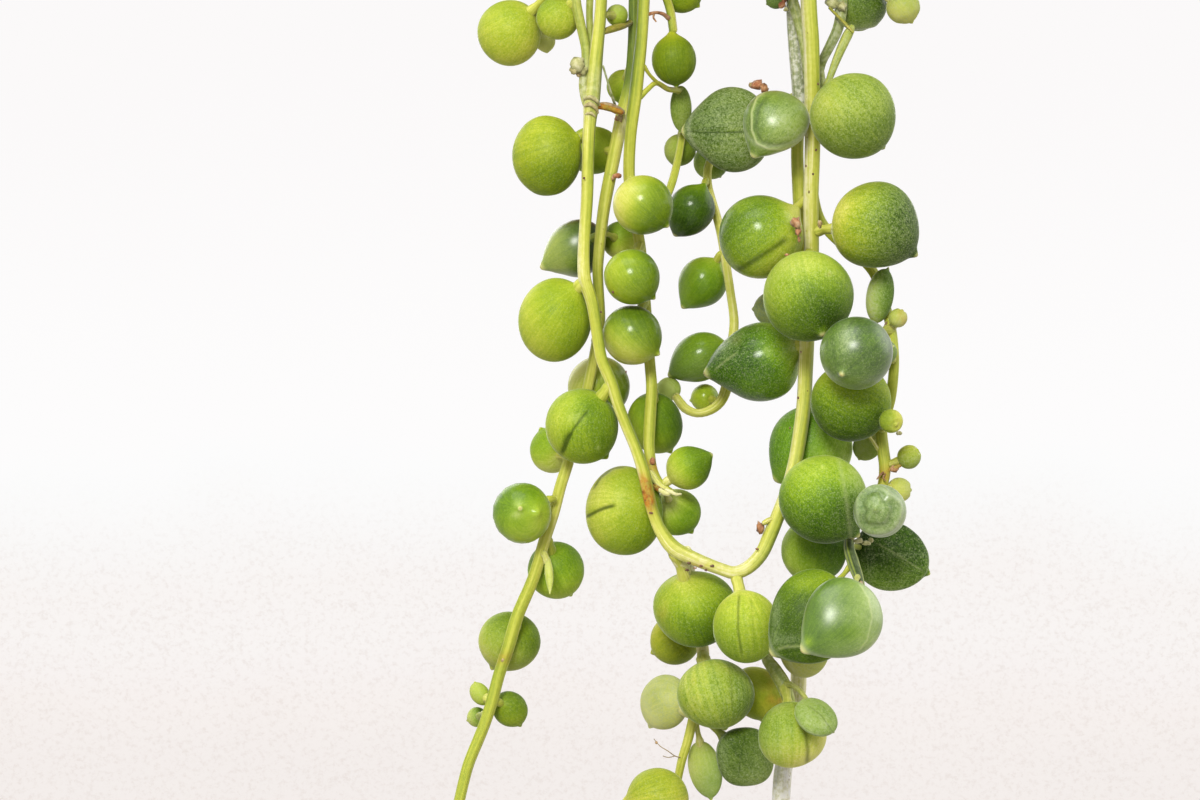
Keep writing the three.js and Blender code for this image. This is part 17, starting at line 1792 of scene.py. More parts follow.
M_STEM = stem_material()
M_SATIN = leaf_material("satin_leaf_skin", 0.30, 0.55, 0.08, 0.05, 0.34)
M_VELVET = leaf_material("bloomed_leaf_skin", 0.42, 0.55, 0.10, 1.0, 0.34)
M_GLOSS = leaf_material("glossy_leaf_skin", 0.22, 0.48, 0.08, 0.34, 0.19)
M_DRY = dry_material()
M_POT = pot_material()
M_SOIL = soil_material("potting_mix", lin(28, 18, 11), lin(92, 66, 44))
M_BARK = soil_material("bark_chip", lin(58, 34, 20), lin(140, 96, 62), 0.85, 500.0)
M_GRIT = soil_material("pumice_grain", lin(176, 170, 158), lin(232, 228, 218), 0.9, 1200.0)
M_STEEL = steel_material()
PLANT = [M_STEM, M_SATIN, M_VELVET, M_DRY, M_GLOSS]

# ------------------------------------------------------------------ leaves as records
FIELDS = ("tip", "g", "hi", "lo", "b0", "b1", "brn", "ring", "flare", "streak", "bud", "spk", "skin", "sx", "sz", "warm")
SKINS = (1, 2, 4)


def record(row):
    L = {"stem": STEM_NAMES[int(row[0])], "no": int(row[1]), "det": int(row[2]), "C": row[3:6], "r": row[6], "e": row[7], "f": row[8],
         "a": row[9:12], "b": row[12:15], "w": row[15:18], "P": row[18:21], "ps": row[21], "pr": row[22], "lines": [], "spots": [], "waves": []}
    L.update(zip(FIELDS, row[24:40]))
    way = math.radians(row[23])                              # towards the darker side, clockwise from the right; the darker side is partly the leaf's own deep green, partly painted shade
    L["to"] = (math.cos(way) * 0.94, -0.20, -math.sin(way) * 0.94)
    # tone of the stalk where it leaves the stem, and of the leaf where the stalk meets it
    t = min(max(0.5 + 0.62 * float(np.dot(unit(L["b"]), L["to"])), 0), 1)
    L["root"], L["top"] = 0.70, L["hi"] + (L["lo"] - L["hi"]) * t * t * (3 - 2 * t) + 0.12
    return L


ALL = [record(row) for row in LEAVES]
# Creases and pale lines on single leaves: strength (below 0 is pale), half width and places in the front view.
LINES = {
    18: [(0.8, 1.4, [(589, 409), (581, 419), (574, 428), (568, 440), (563, 452)]), (1.0, 3.0, [(570, 432), (565, 443), (561, 456)])],
    25: [(1.1, 2.0, [(584, 518), (595, 512), (604, 508), (616, 505)]), (0.9, 1.4, [(592, 490), (600, 477), (612, 468), (628, 465)])],
    29: [(0.3, 1.2, [(512, 622), (505, 640), (498, 655)])],
    34: [(0.5, 1.2, [(668, 622), (676, 640), (690, 652)])],
    35: [(0.62, 1.5, [(739, 593), (738, 612), (738, 632), (742, 656)]), (0.18, 1.3, [(751, 596), (753, 618), (754, 640), (752, 658)])],
    36: [(0.35, 1.4, [(729, 668), (732, 688), (732, 710)])],
    39: [(-0.35, 1.6, [(776, 650), (784, 647), (798, 646), (813, 650)])],
    40: [(-0.5, 1.0, [(858, 582), (868, 598), (872, 618), (867, 640), (858, 652)])],
    42: [(0.75, 2.4, [(795, 703), (801, 718), (806, 735), (808, 750), (807, 765)])],
    43: [(0.4, 0.9, [(808, 705), (822, 716), (832, 731)])],
    44: [(0.4, 0.9, [(745, 733), (741, 757), (738, 780)])],
    48: [(0.8, 0.9, [(686, 131.5), (700, 132.5), (722, 132.5), (748, 132)])],
    49: [(-0.85, 1.2, [(766, 92), (757, 98), (752, 112), (752, 130), (757, 143), (769, 149), (784, 149), (799, 143), (809, 133)]), (0.5, 1.8, [(769, 96), (758, 108), (756, 130), (762, 142), (775, 145.5), (792, 142)])],
    50: [(0.85, 3.2, [(788, 238), (777, 246), (763, 255), (749, 264), (735, 272)])],
    53: [(-0.35, 1.2, [(714, 371), (724, 362), (738, 352)])],
    # 64: the pale line is a painted highlight streak
    64: [(-0.3, 2.2, [(838, 458), (843, 480), (847, 505), (850, 530), (851, 545)])],
    66: [(-0.35, 0.9, [(876, 543), (893, 552), (910, 563), (924, 572)])],
}
# Soft patches on single leaves: place and half sizes in the front view, change of tone, bloom and brown. Some are the
# leaves' own marks; those noted below are painted highlights, painted light and painted shade.
SPOTS = {
    3: [(548, 148, 16, 12, 0.04, 0.06, 0)],
    # 8: a painted highlight, the lighter paler patch on the upper left
    8: [(632, 190, 11, 9, 0.06, 0.1, 0)],
    # 13: the first patch is a painted broad sheen on the upper left
    13: [(524, 292, 16, 14, 0.05, 0.03, 0), (562, 300, 6, 8, 0.06, 0, 0)],
    15: [(618, 352, 14, 8, 0.1, 0.06, 0)],
    18: [(571, 397, 12, 10, 0.1, 0.04, 0), (574, 418, 7, 5, 0.08, 0.16, 0), (598, 448, 2.0, 2.0, 0.2, 0.3, 0)],
    25: [(619, 498, 12, 10, 0.06, 0.06, 0)],
    # 26: the first patch is a painted highlight; the second is the pale mark at the tip
    26: [(519, 504, 5, 4, 0.18, 0.25, 0), (517, 515, 5.5, 4, 0.22, 0.3, 0)],
    33: [(662, 612, 6, 12, 0.04, 0.06, 0.25), (692, 628, 22, 14, -0.05, 0, 0)],
    36: [(743, 700, 11, 24, -0.14, 0, 0), (690, 690, 8, 18, -0.05, 0, 0.25), (697, 660, 10, 6, 0.06, 0, 0), (735, 690, 10, 22, 0.04, 0.06, 0)],
    38: [(776, 697, 7, 6, -0.1, 0, 0.9), (766, 672, 8, 8, -0.12, 0, 0), (757, 700, 6, 18, -0.1, 0, 0)],
    39: [(800, 583, 16, 10, 0.2, -0.1, 0), (786, 640, 20, 6, 0.02, 0.25, 0), (776, 615, 5, 20, 0, 0.25, 0)],
    # 40: the first patch is a painted highlight
    40: [(834, 612, 11, 14, 0.08, 0.34, 0), (848, 632, 16, 9, -0.02, -0.28, 0), (872, 600, 6, 24, 0.02, 0.15, 0), (808, 642, 5, 5, 0.3, 0, 0)],
    42: [(778, 712, 10, 12, 0.06, 0.05, 0), (820, 752, 6, 10, -0.08, 0, 0), (780, 745, 12, 12, 0.05, 0.12, 0)],
    43: [(826, 725, 5, 6, 0.1, 0.2, 0)],
    44: [(722, 757, 6, 20, 0.02, 0.22, 0), (744, 778, 16, 8, 0.04, 0.14, 0)],
    # 47: the first patch is a painted highlight
    47: [(837, 100, 20, 12, 0.12, 0.05, 0), (824, 88, 5, 5, -0.1, 0, 0)],
    # 49: the first patch is a painted highlight
    49: [(777, 119, 13, 8, 0.12, 0.4, 0), (757, 118, 4, 16, -0.06, 0, 0)],
    50: [(742, 205, 14, 10, 0.1, 0.04, 0), (790, 212, 10, 12, 0.14, 0, 0)],
    51: [(842, 212, 18, 18, 0.12, 0, 0), (822, 250, 9, 16, 0.08, 0, 0), (852, 205, 18, 7, 0.05, 0.05, 0)],
    # 52: the darker patch at (822, 312) is painted shade; the lighter patches at (792, 268) and (790, 262) are a
    #     painted highlight on the top
    52: [(822, 312, 22, 18, -0.15, 0, 0), (792, 268, 22, 10, 0.06, 0.1, 0), (829, 273, 3.0, 3.0, 0.15, 0.35, 0), (829.6, 273.5, 1.2, 1.2, -0.2, 0, 0.9), (862, 316, 1.8, 1.8, 0.2, 0.3, 0), (826, 331, 8, 5, 0.22, 0.0, 0), (790, 262, 18, 8, 0.05, 0.05, 0)],
    # 53: the patches at (794, 345), (768, 351) and (766, 352) are painted highlights
    53: [(772, 372, 18, 16, -0.12, -0.1, 0), (745, 366, 10, 14, -0.06, 0, 0), (794, 345, 4, 6, 0.14, 0.25, 0), (768, 351, 4, 5, 0.1, 0.2, 0), (722, 340, 12, 18, 0.04, 0.34, 0), (766, 352, 10, 5, 0.14, 0.1, 0), (742, 384, 22, 12, 0.08, -0.1, 0), (735, 340, 10, 8, 0.05, 0.05, 0.1)],
    # 54: the first patch is a painted highlight streak
    54: [(846, 338, 7, 15, 0.1, 0.42, 0), (832, 360, 10, 10, -0.05, -0.1, 0)],
    # 62: both patches are a painted highlight streak
    62: [(820, 432, 6, 10, 0.1, 0.1, 0), (812, 450, 3, 10, 0.06, 0.2, 0)],
    # 64: the patch at (858, 492) is a painted highlight streak
    64: [(836, 512, 24, 28, -0.16, 0, 0), (803, 478, 16, 16, 0.08, 0, 0), (858, 492, 14, 40, -0.04, 0.22, 0), (822, 468, 2.2, 2.2, 0.25, 0.3, 0), (838, 455, 10, 6, 0.1, 0, 0)],
    65: [(878, 505, 9, 8, 0.08, 0.15, 0)],
    66: [(905, 555, 26, 2.5, 0, 0.22, 0), (898, 590, 18, 3, 0, 0.16, 0), (870, 560, 4, 18, 0, 0.2, 0)],
}
# Waves in the outline of single leaves: how many, how strong, and where the first lies.
WAVES = {
    0: [(3, 0.012, 200)],
    10: [(3, 0.03, 190)],
    25: [(3, 0.012, 150)],
    33: [(3, 0.015, 90)],
    36: [(2, 0.02, 0)],
    39: [(3, 0.01, 140)],
    40: [(3, 0.018, 140)],
    42: [(2, -0.02, 70), (3, 0.02, 10)],
    44: [(4, 0.032, 40), (2, 0.03, 20)],
    47: [(3, 0.014, 60)],
    48: [(3, 0.03, 180), (5, 0.01, 180)],
    49: [(3, 0.02, 120)],
    50: [(3, 0.01, 0)],
    51: [(3, 0.022, 35), (4, 0.012, 35)],
    53: [(3, 0.03, 186), (5, 0.012, 186)],
    66: [(3, 0.02, 10)],
}
for i, lines in LINES.items():
    ALL[i]["lines"] = lines
for i, spots in SPOTS.items():
    ALL[i]["spots"] = spots
for i, waves in WAVES.items():
    ALL[i]["waves"] = waves


def stem_tone(name, branch, p, n):
    """Yellow-green, grey wool, specks and brown along the stems, by place in the front view; n points out of the stem.
    Terms in n[:, 0] paint light and shade by side, making one side of a stem lighter, paler or darker.
    """
    u, v = to_px(p)
    k = len(p)
    yel, gry, spk, brn = np.full(k, 0.62), np.zeros(k), np.zeros(k), np.zeros(k)
    low = (p[:, 2] > -316) * 1.0
    if name == "stem_front_loop":
        yel[:] = 0.72
        if branch == 0:
            right = np.clip((u - 745) / 20, 0, 1)
            up = np.clip((165 - v) / 80, 0, 1)
            mid = np.clip((v - 285) / 25, 0, 1) * np.clip((470 - v) / 30, 0, 1)
            left = 0.71 - 0.06 * np.exp(-((v - 80) / 26) ** 2) - 0.06 * np.exp(-((v - 160) / 22) ** 2) + 0.17 * np.exp(-((v - 262) / 30) ** 2) + 0.08 * np.clip((v - 500) / 30, 0, 1)
            # painted light and shade by side: the loop's left-facing side lighter, its right-facing side darker, here
            # and in rgt
            left = left - 0.18 * n[:, 0] - 0.20 * np.clip(n[:, 0], 0, 1) * mid
            rgt = 0.91 - 0.22 * n[:, 0] - 0.20 * np.clip((v - 330) / 60, 0, 1) - 0.10 * np.clip((v - 500) / 30, 0, 1) - 0.17 * up
            yel = (1 - right) * left + right * rgt
            yel += 0.04 * np.exp(-(((u - 715) / 60) ** 2) - ((v - 560) / 40) ** 2)
            spk += 0.75 * right + 0.8 * np.exp(-(((u - 690) / 30) ** 2) - ((v - 560) / 20) ** 2)
            gry += 0.25 * np.exp(-(((v - 92) / 24) ** 2)) * (u < 620) + 0.16 * np.exp(-(((u - 715) / 50) ** 2) - ((v - 562) / 24) ** 2)
            # painted light: greyer and paler on the left-facing side
            gry += 0.22 * np.clip(-n[:, 0], 0, 1) * np.where(right > 0.5, np.clip((330 - v) / 60, 0, 1), np.clip(1 - np.abs(v - 262) / 60, 0, 1))
            brn += 3.0 * np.exp(-((((u - 645.8) - 0.22 * (v - 493)) / 5.6) ** 2) - ((v - 493) / 13) ** 2) * (n[:, 1] < 0.5)
            brn += 0.5 * np.exp(-(((u - 694) / 12) ** 2) - ((v - 567) / 4) ** 2)
        elif branch in (1, 2):
            yel[:] = 0.60
            gry += 0.12 + 0.3 * np.exp(-(((v - 84) / 22) ** 2)) * (branch == 1)
        elif branch == 3:
            brn[:] = 0.95
        elif branch == 4:
            yel = np.where(v < 672, 1.0, 0.72)
            brn += 0.15 * np.exp(-(((v - 655) / 14) ** 2))
    elif name == "stem_front_left":
        # 0.06 * n[:, 0] is painted light on the right-facing side; the rise near v = 125 is painted light that lifts a
        # shadow there
        yel = 0.74 - 0.13 * np.clip((v - 630) / 30, 0, 1) + 0.05 * np.sin(v / 37.0) + 0.06 * n[:, 0] - 0.12 * np.exp(-((v - 285) / 22) ** 2) + 0.14 * np.exp(-((v - 125) / 14) ** 2) - 0.42 * np.clip((104 - v) / 24, 0, 1) * (1 - low)
        spk += 0.3
        brn += 0.35 * np.exp(-(((v - 658) / 6) ** 2)) * (n[:, 1] < 0)
    elif name == "stem_front_middle":
        # the n[:, 0] term is painted light and shade by side: lighter on the right-facing side at the top, a little
        # darker lower down
        yel = 0.68 + (0.34 * np.clip((150 - v) / 60, 0, 1) - 0.08) * n[:, 0] - 0.10 * np.clip((150 - v) / 60, 0, 1)
        brn += 0.6 * np.exp(-(((v - 466) / 6) ** 2)) * (branch == 0)
        if branch == 2:
            yel[:] = 0.70
            brn += 0.25 * np.exp(-(((u - 664) / 9) ** 2)) * (v < 95)
        yel = yel + 0.22 * np.clip((v - 378) / 14, 0, 1) * (v < 430) * (u > 670)
    elif name == "stem_front_right_old":
        if branch == 0:
            top = np.clip((148 - v) / 36, 0, 1)
            gry = 0.74 * top
            yel = np.where(v < 560, 0.70, 0.9) - 0.3 * top
            # paler towards the lower end: partly the dry stalk's own pale colour, partly painted light against the
            # shade of the leaves in front
            pale = np.clip((v - 590) / 60, 0, 1)
            gry += pale * 0.30 + 0.75 * np.clip((v - 690) / 50, 0, 1)
            yel = yel + 0.3 * pale
            spk += 0.6
        elif branch == 1:
            yel[:] = 0.80
        else:
            yel[:] = 0.50
            gry[:] = 0.25
    elif name == "stem_front_right_young":
        yel = 0.62 - 0.20 * np.clip((95 - v) / 30, 0, 1)
        gry += 0.34 * np.clip((95 - v) / 30, 0, 1)
        end = np.clip((v - 532) / 8, 0, 1)
        yel -= end * (0.42 + 0.40 * np.cos(12 * np.arctan2(n[:, 1], n[:, 0])))
        gry += 0.08 * end
        brn += 0.7 * np.exp(-(((u - 884) / 9) ** 2) - ((v - 475) / 7) ** 2)
    elif name.startswith("stem_crown"):
        yel[:] = 0.45
    # the oldest part, near the soil, is woody
    old = np.clip((46 - np.hypot(p[:, 0], p[:, 1])) / 10, 0, 1) * (p[:, 2] > -212)
    gry = gry + 0.35 * old
    brn = brn + 0.25 * old
    return np.clip(np.stack([yel, gry, spk, brn], -1), 0, 1)


# extra small things on the stems: stem, kind, place, size; see add_trim
TRIM = []


def lump_at(stem, u, v, d, ru, rv, seed, pale=0.0, rough=0.3, dark=0.0):
    TRIM.append((stem, "lump", px(u, v, d), (ru * K, 0.8 * min(ru, rv) * K, rv * K), seed, pale, rough, dark))


def strand(stem, pts, kind, tone=(0.6, 0, 0, 0)):
    TRIM.append((stem, kind, np.array([list(px(u, v, d)) + [r * K] for u, v, d, r in pts]), tone, len(TRIM) + 0.37))


LOOP, LEFT, MIDDLE, OLD, YOUNG = "stem_front_loop", "stem_front_left", "stem_front_middle", "stem_front_right_old", "stem_front_right_young"
# knobs and bracts of the node at the upper left
lump_at(LOOP, 580, 61, -0.6, 5.0, 4.0, 1.1, 0.9, 0.45)
lump_at(LOOP, 576, 66, -0.3, 4.0, 5.0, 2.2, 0.7, 0.45)
lump_at(LOOP, 583, 70, -0.6, 4.6, 4.6, 3.1, 0.95, 0.4)
lump_at(LOOP, 579, 74, -0.2, 3.0, 3.0, 4.3, 0.6, 0.4)
strand(LOOP, [(584.5, 99, -0.5, 1.6), (590, 97, -1.0, 2.2), (596, 100, -1.0, 2.0), (599.5, 105, -0.6, 1.2)], "dry", (0.85, 0.05, 0, 0))
strand(LOOP, [(585, 106, -0.6, 1.4), (590, 104, -1.1, 2.2), (596, 108, -1.0, 1.8), (598, 113, -0.6, 1.0)], "dry", (0.7, 0.1, 0, 0))
strand(LOOP, [(586, 114, -0.6, 1.2), (591, 113, -0.9, 1.8), (595, 116, -0.7, 1.0)], "dry", (0.8, 0.05, 0, 0))
strand(LOOP, [(603, 66, 0.2, 1.1), (606, 76, 0.6, 1.0), (609.5, 88, 1.2, 1.1), (613, 99, 2.2, 1.4), (615.5, 106, 3.6, 1.2)], "stem", (0.45, 0.45, 0, 0))
strand(LOOP, [(603, 32, 0.4, 3.0), (612, 29, 1.6, 3.8), (622, 26, 3.2, 3.6), (630, 22.5, 5.4, 3.0)], "stem", (0.52, 0.10, 0.2, 0.34))
lump_at(LEFT, 618, 119, 5.7, 3.0, 3.4, 5.2, 0.1, 0.5)
lump_at(LEFT, 617, 176, 4.2, 4.2, 3.2, 6.1, 0.0, 0.4)
lump_at(LEFT, 613, 178, 4.2, 1.8, 2.4, 6.9, 0.3, 0.4)
lump_at(LEFT, 503, 660, 4.4, 2.2, 2.0, 8.3, 0.5, 0.4)
# brown twig and hooks at the middle stem's upper shoot, and the little side shoot under it
strand(MIDDLE, [(649, 14, 3.2, 2.0), (656, 12.5, 3.8, 1.6), (663, 14, 4.6, 2.0), (668, 18, 5.6, 2.6)], "dry", (0.1, 0, 0, 0))
strand(MIDDLE, [(654, 14, 3.6, 1.2), (653.5, 18, 3.2, 1.0), (656, 21.5, 3.2, 0.8)], "dry", (0.15, 0.1, 0, 0))
strand(MIDDLE, [(644, 66, 3.3, 2.2), (649, 74, 3.9, 1.8), (657, 82, 5.0, 1.9), (667, 88.5, 6.6, 1.6)], "stem", (0.72, 0, 0, 0.15))
lump_at(MIDDLE, 652.5, 461, 3.35, 2.8, 4.2, 9.1, 0.05, 0.3)
strand(MIDDLE, [(651, 473, 3.2, 3.2), (656, 481, 2.8, 3.4), (662, 487, 2.5, 3.0), (668, 489.5, 2.4, 1.8)], "stem", (0.84, 0.05, 0.2, 0))
strand(MIDDLE, [(654, 486, 2.5, 2.2), (658, 489, 2.2, 2.8), (662, 492, 2.1, 2.4)], "stem", (0.70, 0, 0.2, 0.9))
strand(MIDDLE, [(660, 490, 2.0, 2.2), (664, 493, 1.9, 3.0), (668, 494, 1.9, 2.8), (672, 491, 2.0, 1.4)], "stem", (0.98, 0.10, 0, 0))
strand(MIDDLE, [(666, 490, 1.9, 1.8), (671, 492, 1.8, 2.0), (676, 494.5, 1.8, 1.7), (681, 494, 2.0, 1.0)], "stem", (1.0, 0.15, 0, 0))
# grey-green shoot crossing in front of the old right stem at its top
strand(OLD, [(785, -22, 4.8, 4.0), (790, -6, 4.2, 5.4), (795, 8, 3.9, 5.8), (799, 24, 3.8, 5.0), (803, 42, 3.8, 4.2), (805, 62, 3.9, 3.4), (806, 82, 4.4, 2.4)], "stem", (0.50, 0.30, 0.2, 0))
lump_at(OLD, 782, 3, 3.4, 4.5, 5.5, 12.2, 0.0, 0.5)
lump_at(OLD, 786, 9, 3.4, 2.2, 2.6, 12.8, 0.9, 0.5)
lump_at(OLD, 757, 85, 3.0, 6.4, 4.6, 13.1, 0.0, 0.45)
lump_at(OLD, 764, 88.5, 2.6, 4.4, 4.2, 13.9, 0.15, 0.5)
lump_at(OLD, 751, 85, 3.6, 2.6, 2.8, 14.3, 0.5, 0.5)
# curved stalk of the upper right leaf, and the thin stalk above it
strand(YOUNG, [(829.5, 8, 3.4, 1.4), (837, 15.5, 2.6, 1.6), (844, 22.5, 1.9, 1.7), (849, 28, 1.4, 1.8), (853, 32, 1.2, 1.5)], "stem", (0.50, 0.12, 0.5, 0.25))
strand(YOUNG, [(851.5, 28, 1.9, 3.8), (849, 33, 1.8, 4.9), (845.5, 40, 1.6, 5.0), (840.5, 51, 1.3, 4.6), (835.5, 63, 1.0, 4.1), (831, 75, 0.7, 3.5), (827, 86, 0.4, 2.9)], "stem", (0.52, 0.16, 0.5, 0))
lump_at(YOUNG, 833, 3, 4.0, 9.0, 6.0, 15.1, 1.0, 0.4)
lump_at(YOUNG, 842, 6, 3.4, 5.0, 5.0, 15.8, 0.95, 0.4)
strand(YOUNG, [(820, 66, 4.8, 3.4), (822, 76, 4.4, 3.2), (823, 86, 3.8, 2.4)], "stem", (0.45, 0.3, 0.2, 0))
# dried bits on the right arm
lump_at(LOOP, 796, 222, -1.6, 5.2, 5.4, 16.1, 0.15, 0.5)
lump_at(LOOP, 798, 231, -1.4, 2.8, 5.0, 16.8, 0.05, 0.5)
lump_at(LOOP, 799, 239, -1.2, 1.6, 3.0, 17.1, 0.2, 0.5)
lump_at(LOOP, 787, 255, -1.4, 2.6, 1.4, 17.7, 0.0, 0.5)
lump_at(LOOP, 820, 224, 0.8, 2.4, 3.6, 18.1, 0.5, 0.4)
lump_at(LOOP, 760.5, 528, 0.6, 4.0, 5.6, 19.1, 0.12, 0.4)
strand(LOOP, [(777, 522, 1.0, 2.8), (770, 520, 0.7, 3.2), (764, 523, 0.5, 2.6)], "stem", (0.85, 0.05, 0, 0.1))
for u, v, k in ((683, 553, 1), (689, 563, 2), (695, 568, 3), (701, 566, 4), (687, 570, 5), (706, 570, 6), (651, 513, 7), (712, 566, 8), (757, 549, 9), (644, 483, 10), (647, 500, 11)):
    lump_at(LOOP, u, v, -0.72 if k < 9 else -0.5, 1.5 + 0.3 * (k % 3), 1.2, 20.0 + k, 0.1, 0.5, 0.35 + 0.2 * (k % 3))
# young right stem: threads, bulb and bracts
lump_at(YOUNG, 894, 469, 2.4, 4.6, 3.4, 31.1, 0.2, 0.35)
strand(YOUNG, [(885, 468, 3.0, 2.0), (890, 469.5, 2.6, 2.2), (899, 466, 2.3, 2.0), (904, 463, 2.3, 1.6)], "stem", (0.6, 0.1, 0, 0.6))
strand(YOUNG, [(884, 472, 2.6, 1.0), (880, 475, 1.8, 0.9), (877, 479, 1.6, 0.7)], "dry", (0.1, 0.4, 0, 0))
strand(YOUNG, [(885, 474, 2.4, 0.9), (883, 478, 1.8, 0.8), (886, 481, 1.8, 0.6)], "dry", (0.2, 0.3, 0, 0))
strand(YOUNG, [(866, 432, 0.6, 1.2), (870, 437, 1.8, 1.4), (874, 443, 2.6, 1.7), (878, 449, 3.0, 2.2)], "stem", (0.85, 0.1, 0, 0))
strand(YOUNG, [(887, 322, 4.4, 0.9), (884.5, 326, 4.0, 0.8), (886, 330, 3.8, 0.8)], "dry", (0.2, 0.5, 0, 0))
lump_at(YOUNG, 899, 433, 1.2, 3.0, 2.6, 33.1, 0.9, 0.3)
for u, v, ru, rv, k in ((852, 536, 4.4, 3.4, 1), (858, 541, 4.6, 3.0, 2), (866, 543, 4.6, 2.6, 3), (871, 540, 2.4, 2.6, 4), (850, 531, 2.6, 2.2, 5)):
    lump_at(YOUNG, u, v, -2.6 + 0.3 * k, ru, rv, 34.0 + k, 0.95, 0.4)
strand(YOUNG, [(861, 583, -6.2, 2.4), (859.5, 588, -8.6, 2.0), (858.5, 591, -10.0, 1.8)], "dry", (0.5, 0.1, 0, 0))
# rootlets beside the lower stalk
strand(LOOP, [(682, 758, 7.9, 0.7), (675, 756, 7.4, 0.55), (668, 751, 7.0, 0.5), (660, 746, 6.9, 0.45), (654, 739, 6.9, 0.4)], "dry", (0.5, 0.3, 0, 0))
strand(LOOP, [(675, 756, 7.4, 0.5), (668, 757.5, 7.0, 0.45), (663, 756, 6.8, 0.4)], "dry", (0.5, 0.3, 0, 0))
lump_at(LOOP, 656.5, 742.5, 6.9, 1.5, 1.5, 41.3, 0.3, 0.4)
# thicker dried flower stalk at the node, and scars on the right arm
strand(LOOP, [(597, 106, 0.4, 2.6), (603, 105.5, 1.2, 3.6), (610, 107, 2.2, 4.2), (617, 110, 3.6, 4.4), (622, 112, 4.6, 3.2)], "dry", (0.42, 0, 0, 0))
lump_at(LEFT, 620, 118, 5.4, 3.2, 4.4, 43.3, 0.55, 0.5)
for u, v, k in ((813, 174, 1), (809, 192, 2), (816, 150, 3), (806, 166, 4), (804, 326, 5), (801, 352, 6), (812, 120, 7), (818, 84, 8), (798, 398, 9), (790, 428, 10), (613, 292, 11), (601, 312, 12), (584, 178, 13), (626, 372, 14)):
    lump_at(LOOP, u, v, -0.75 if u > 700 else -1.1, 0.8 + 0.3 * (k % 2), 1.3, 50.0 + k, 0.0, 0.4, 0.7)
# strand over the neck of the leaf below the loop: its tone, the palest, is partly painted light that lifts the stem's
# shadow there
strand(LOOP, [(670, 546, 0.1, 5.2), (675, 555, 0.5, 6.2), (681, 564, 1.3, 6.6), (687, 571, 2.9, 5.0)], "stem", (1.0, 0, 0.5, 0))
lump_at(LOOP, 577.5, 64.5, -0.9, 7.2, 7.6, 61.3, 0.95, 0.22)
lump_at(LOOP, 574, 70, -0.7, 4.6, 4.0, 62.1, 0.80, 0.30)



# ------------------------------------------------------------------ stems with their leaves
def add_leaf(b, L, seed):
    big = L["det"] == 2
    nu, nv = (72, 52) if big and L["r"] > 2.0 else (36, 24) if big else (22, 15) if L["det"] else (16, 11)
    v, q, t, tone, mark, line, fib = leaf_form(L, nu, nv, seed)
    b.add(v, q, t, SKINS[int(L["skin"])], tone, mark, line, fib)


def add_stalk(b, L, seed):
    big = L["det"] == 2
    v, q, t, fib, f = stalk(L, 14 if big else 7, 0.35 if big else 0.8, seed)
    tone = np.stack([np.clip(L["root"] + (0.75 * L["top"] + 0.14 - L["root"] + 0.12 * L["flare"]) * f, 0, 1), np.full(len(f), 0.4 * L["b0"]), np.full(len(f), 0.3), np.zeros(len(f))], -1)
    b.add(v, q, t, 0, tone, fib=fib)


def add_trim(b, name):
    for item in TRIM:
        if item[0] != name:
            continue
        if item[1] == "lump":
            _, _, c, radii, seed, pale, rough, dark = item
            v, f = blob(c, radii, seed, rough)
            b.add(v, [], f, 3, np.array([pale, dark, 0, 0]))
        else:
            _, kind, rows, tone, seed = item
            v, q, t, fib, _ = tube(spline(rows, 0.4), 10, ridge=0.05, ridges=3, seed=seed)
            b.add(v, q, t, 3 if kind == "dry" else 0, np.array(tone), fib=fib)


for si, (name, branches) in enumerate(STEMS.items()):
    b = Builder("living_" + name)
    front = name.startswith("stem_front")
    for bi, flat in enumerate(branches):
        rows = np.array(flat).reshape(-1, 4)
        path = spline(rows, 0.55 if front else 0.9)
        v, q, t, fib, _ = tube(path, 20 if front else 10, ridge=0.045 if front else 0.03, ridges=5, seed=si * 0.7 + bi * 1.9, lump=0.03, squash=0.03)
        b.add(v, q, t, 0, stem_tone(name, bi, v, near_axis(v, path)), fib=fib)
    for li, L in enumerate(ALL):
        if L["stem"] != name:
            continue
        add_stalk(b, L, li + 1)
        if not L["no"]:
            add_leaf(b, L, li + 1)
    add_trim(b, name)
    o = b.build(PLANT)
    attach(o, "root")
    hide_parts(name)

for li, L in enumerate(ALL):
    if L["no"]:
        b = Builder("skin_pearl_%02d" % L["no"])
        add_leaf(b, L, li + 1)
        o = b.build(PLANT)
        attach(o, "root")
        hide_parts("pearl_%02d" % L["no"])


# ------------------------------------------------------------------ pot
RIM_Z, BASE_Z, RIM_H = -200.0, -295.0, 12.0
LUGS = {"hanger_wire_back": math.pi / 2, "hanger_wire_front_left": math.pi * 7 / 6, "hanger_wire_front_right": math.pi * 11 / 6}


def plain_object(name, verts, faces):
    me = bpy.data.meshes.new(name)
    me.from_pydata([tuple(float(c) * MM for c in v) for v in verts], [], [tuple(int(i) for i in f) for f in faces])
    me.update()
    o = bpy.data.objects.new(name, me)
    bpy.context.scene.collection.objects.link(o)
    return o


def lathe(profile, seg):
    """Closed body of revolution about Z from (radius, z) points that start and end on the axis."""
    pr = np.array(profile, float)
    ang = np.linspace(0, 2 * math.pi, seg, endpoint=False)
    inner = pr[1:-1]
    rings = np.stack([inner[:, :1] * np.cos(ang), inner[:, :1] * np.sin(ang), np.repeat(inner[:, 1:], seg, 1)], -1)
    verts = np.vstack([[[0, 0, pr[0, 1]]], rings.reshape(-1, 3), [[0, 0, pr[-1, 1]]]])
    quads, tris = grid_faces(len(inner), seg)
    quads, tris = outward(verts, quads, tris)
    return verts, [list(f) for f in quads] + [list(f) for f in tris]


def arc(cx, cz, r, a0, a1, n):
    return [(cx + r * math.cos(math.radians(a0 + (a1 - a0) * i / n)), cz + r * math.sin(math.radians(a0 + (a1 - a0) * i / n))) for i in range(n + 1)]


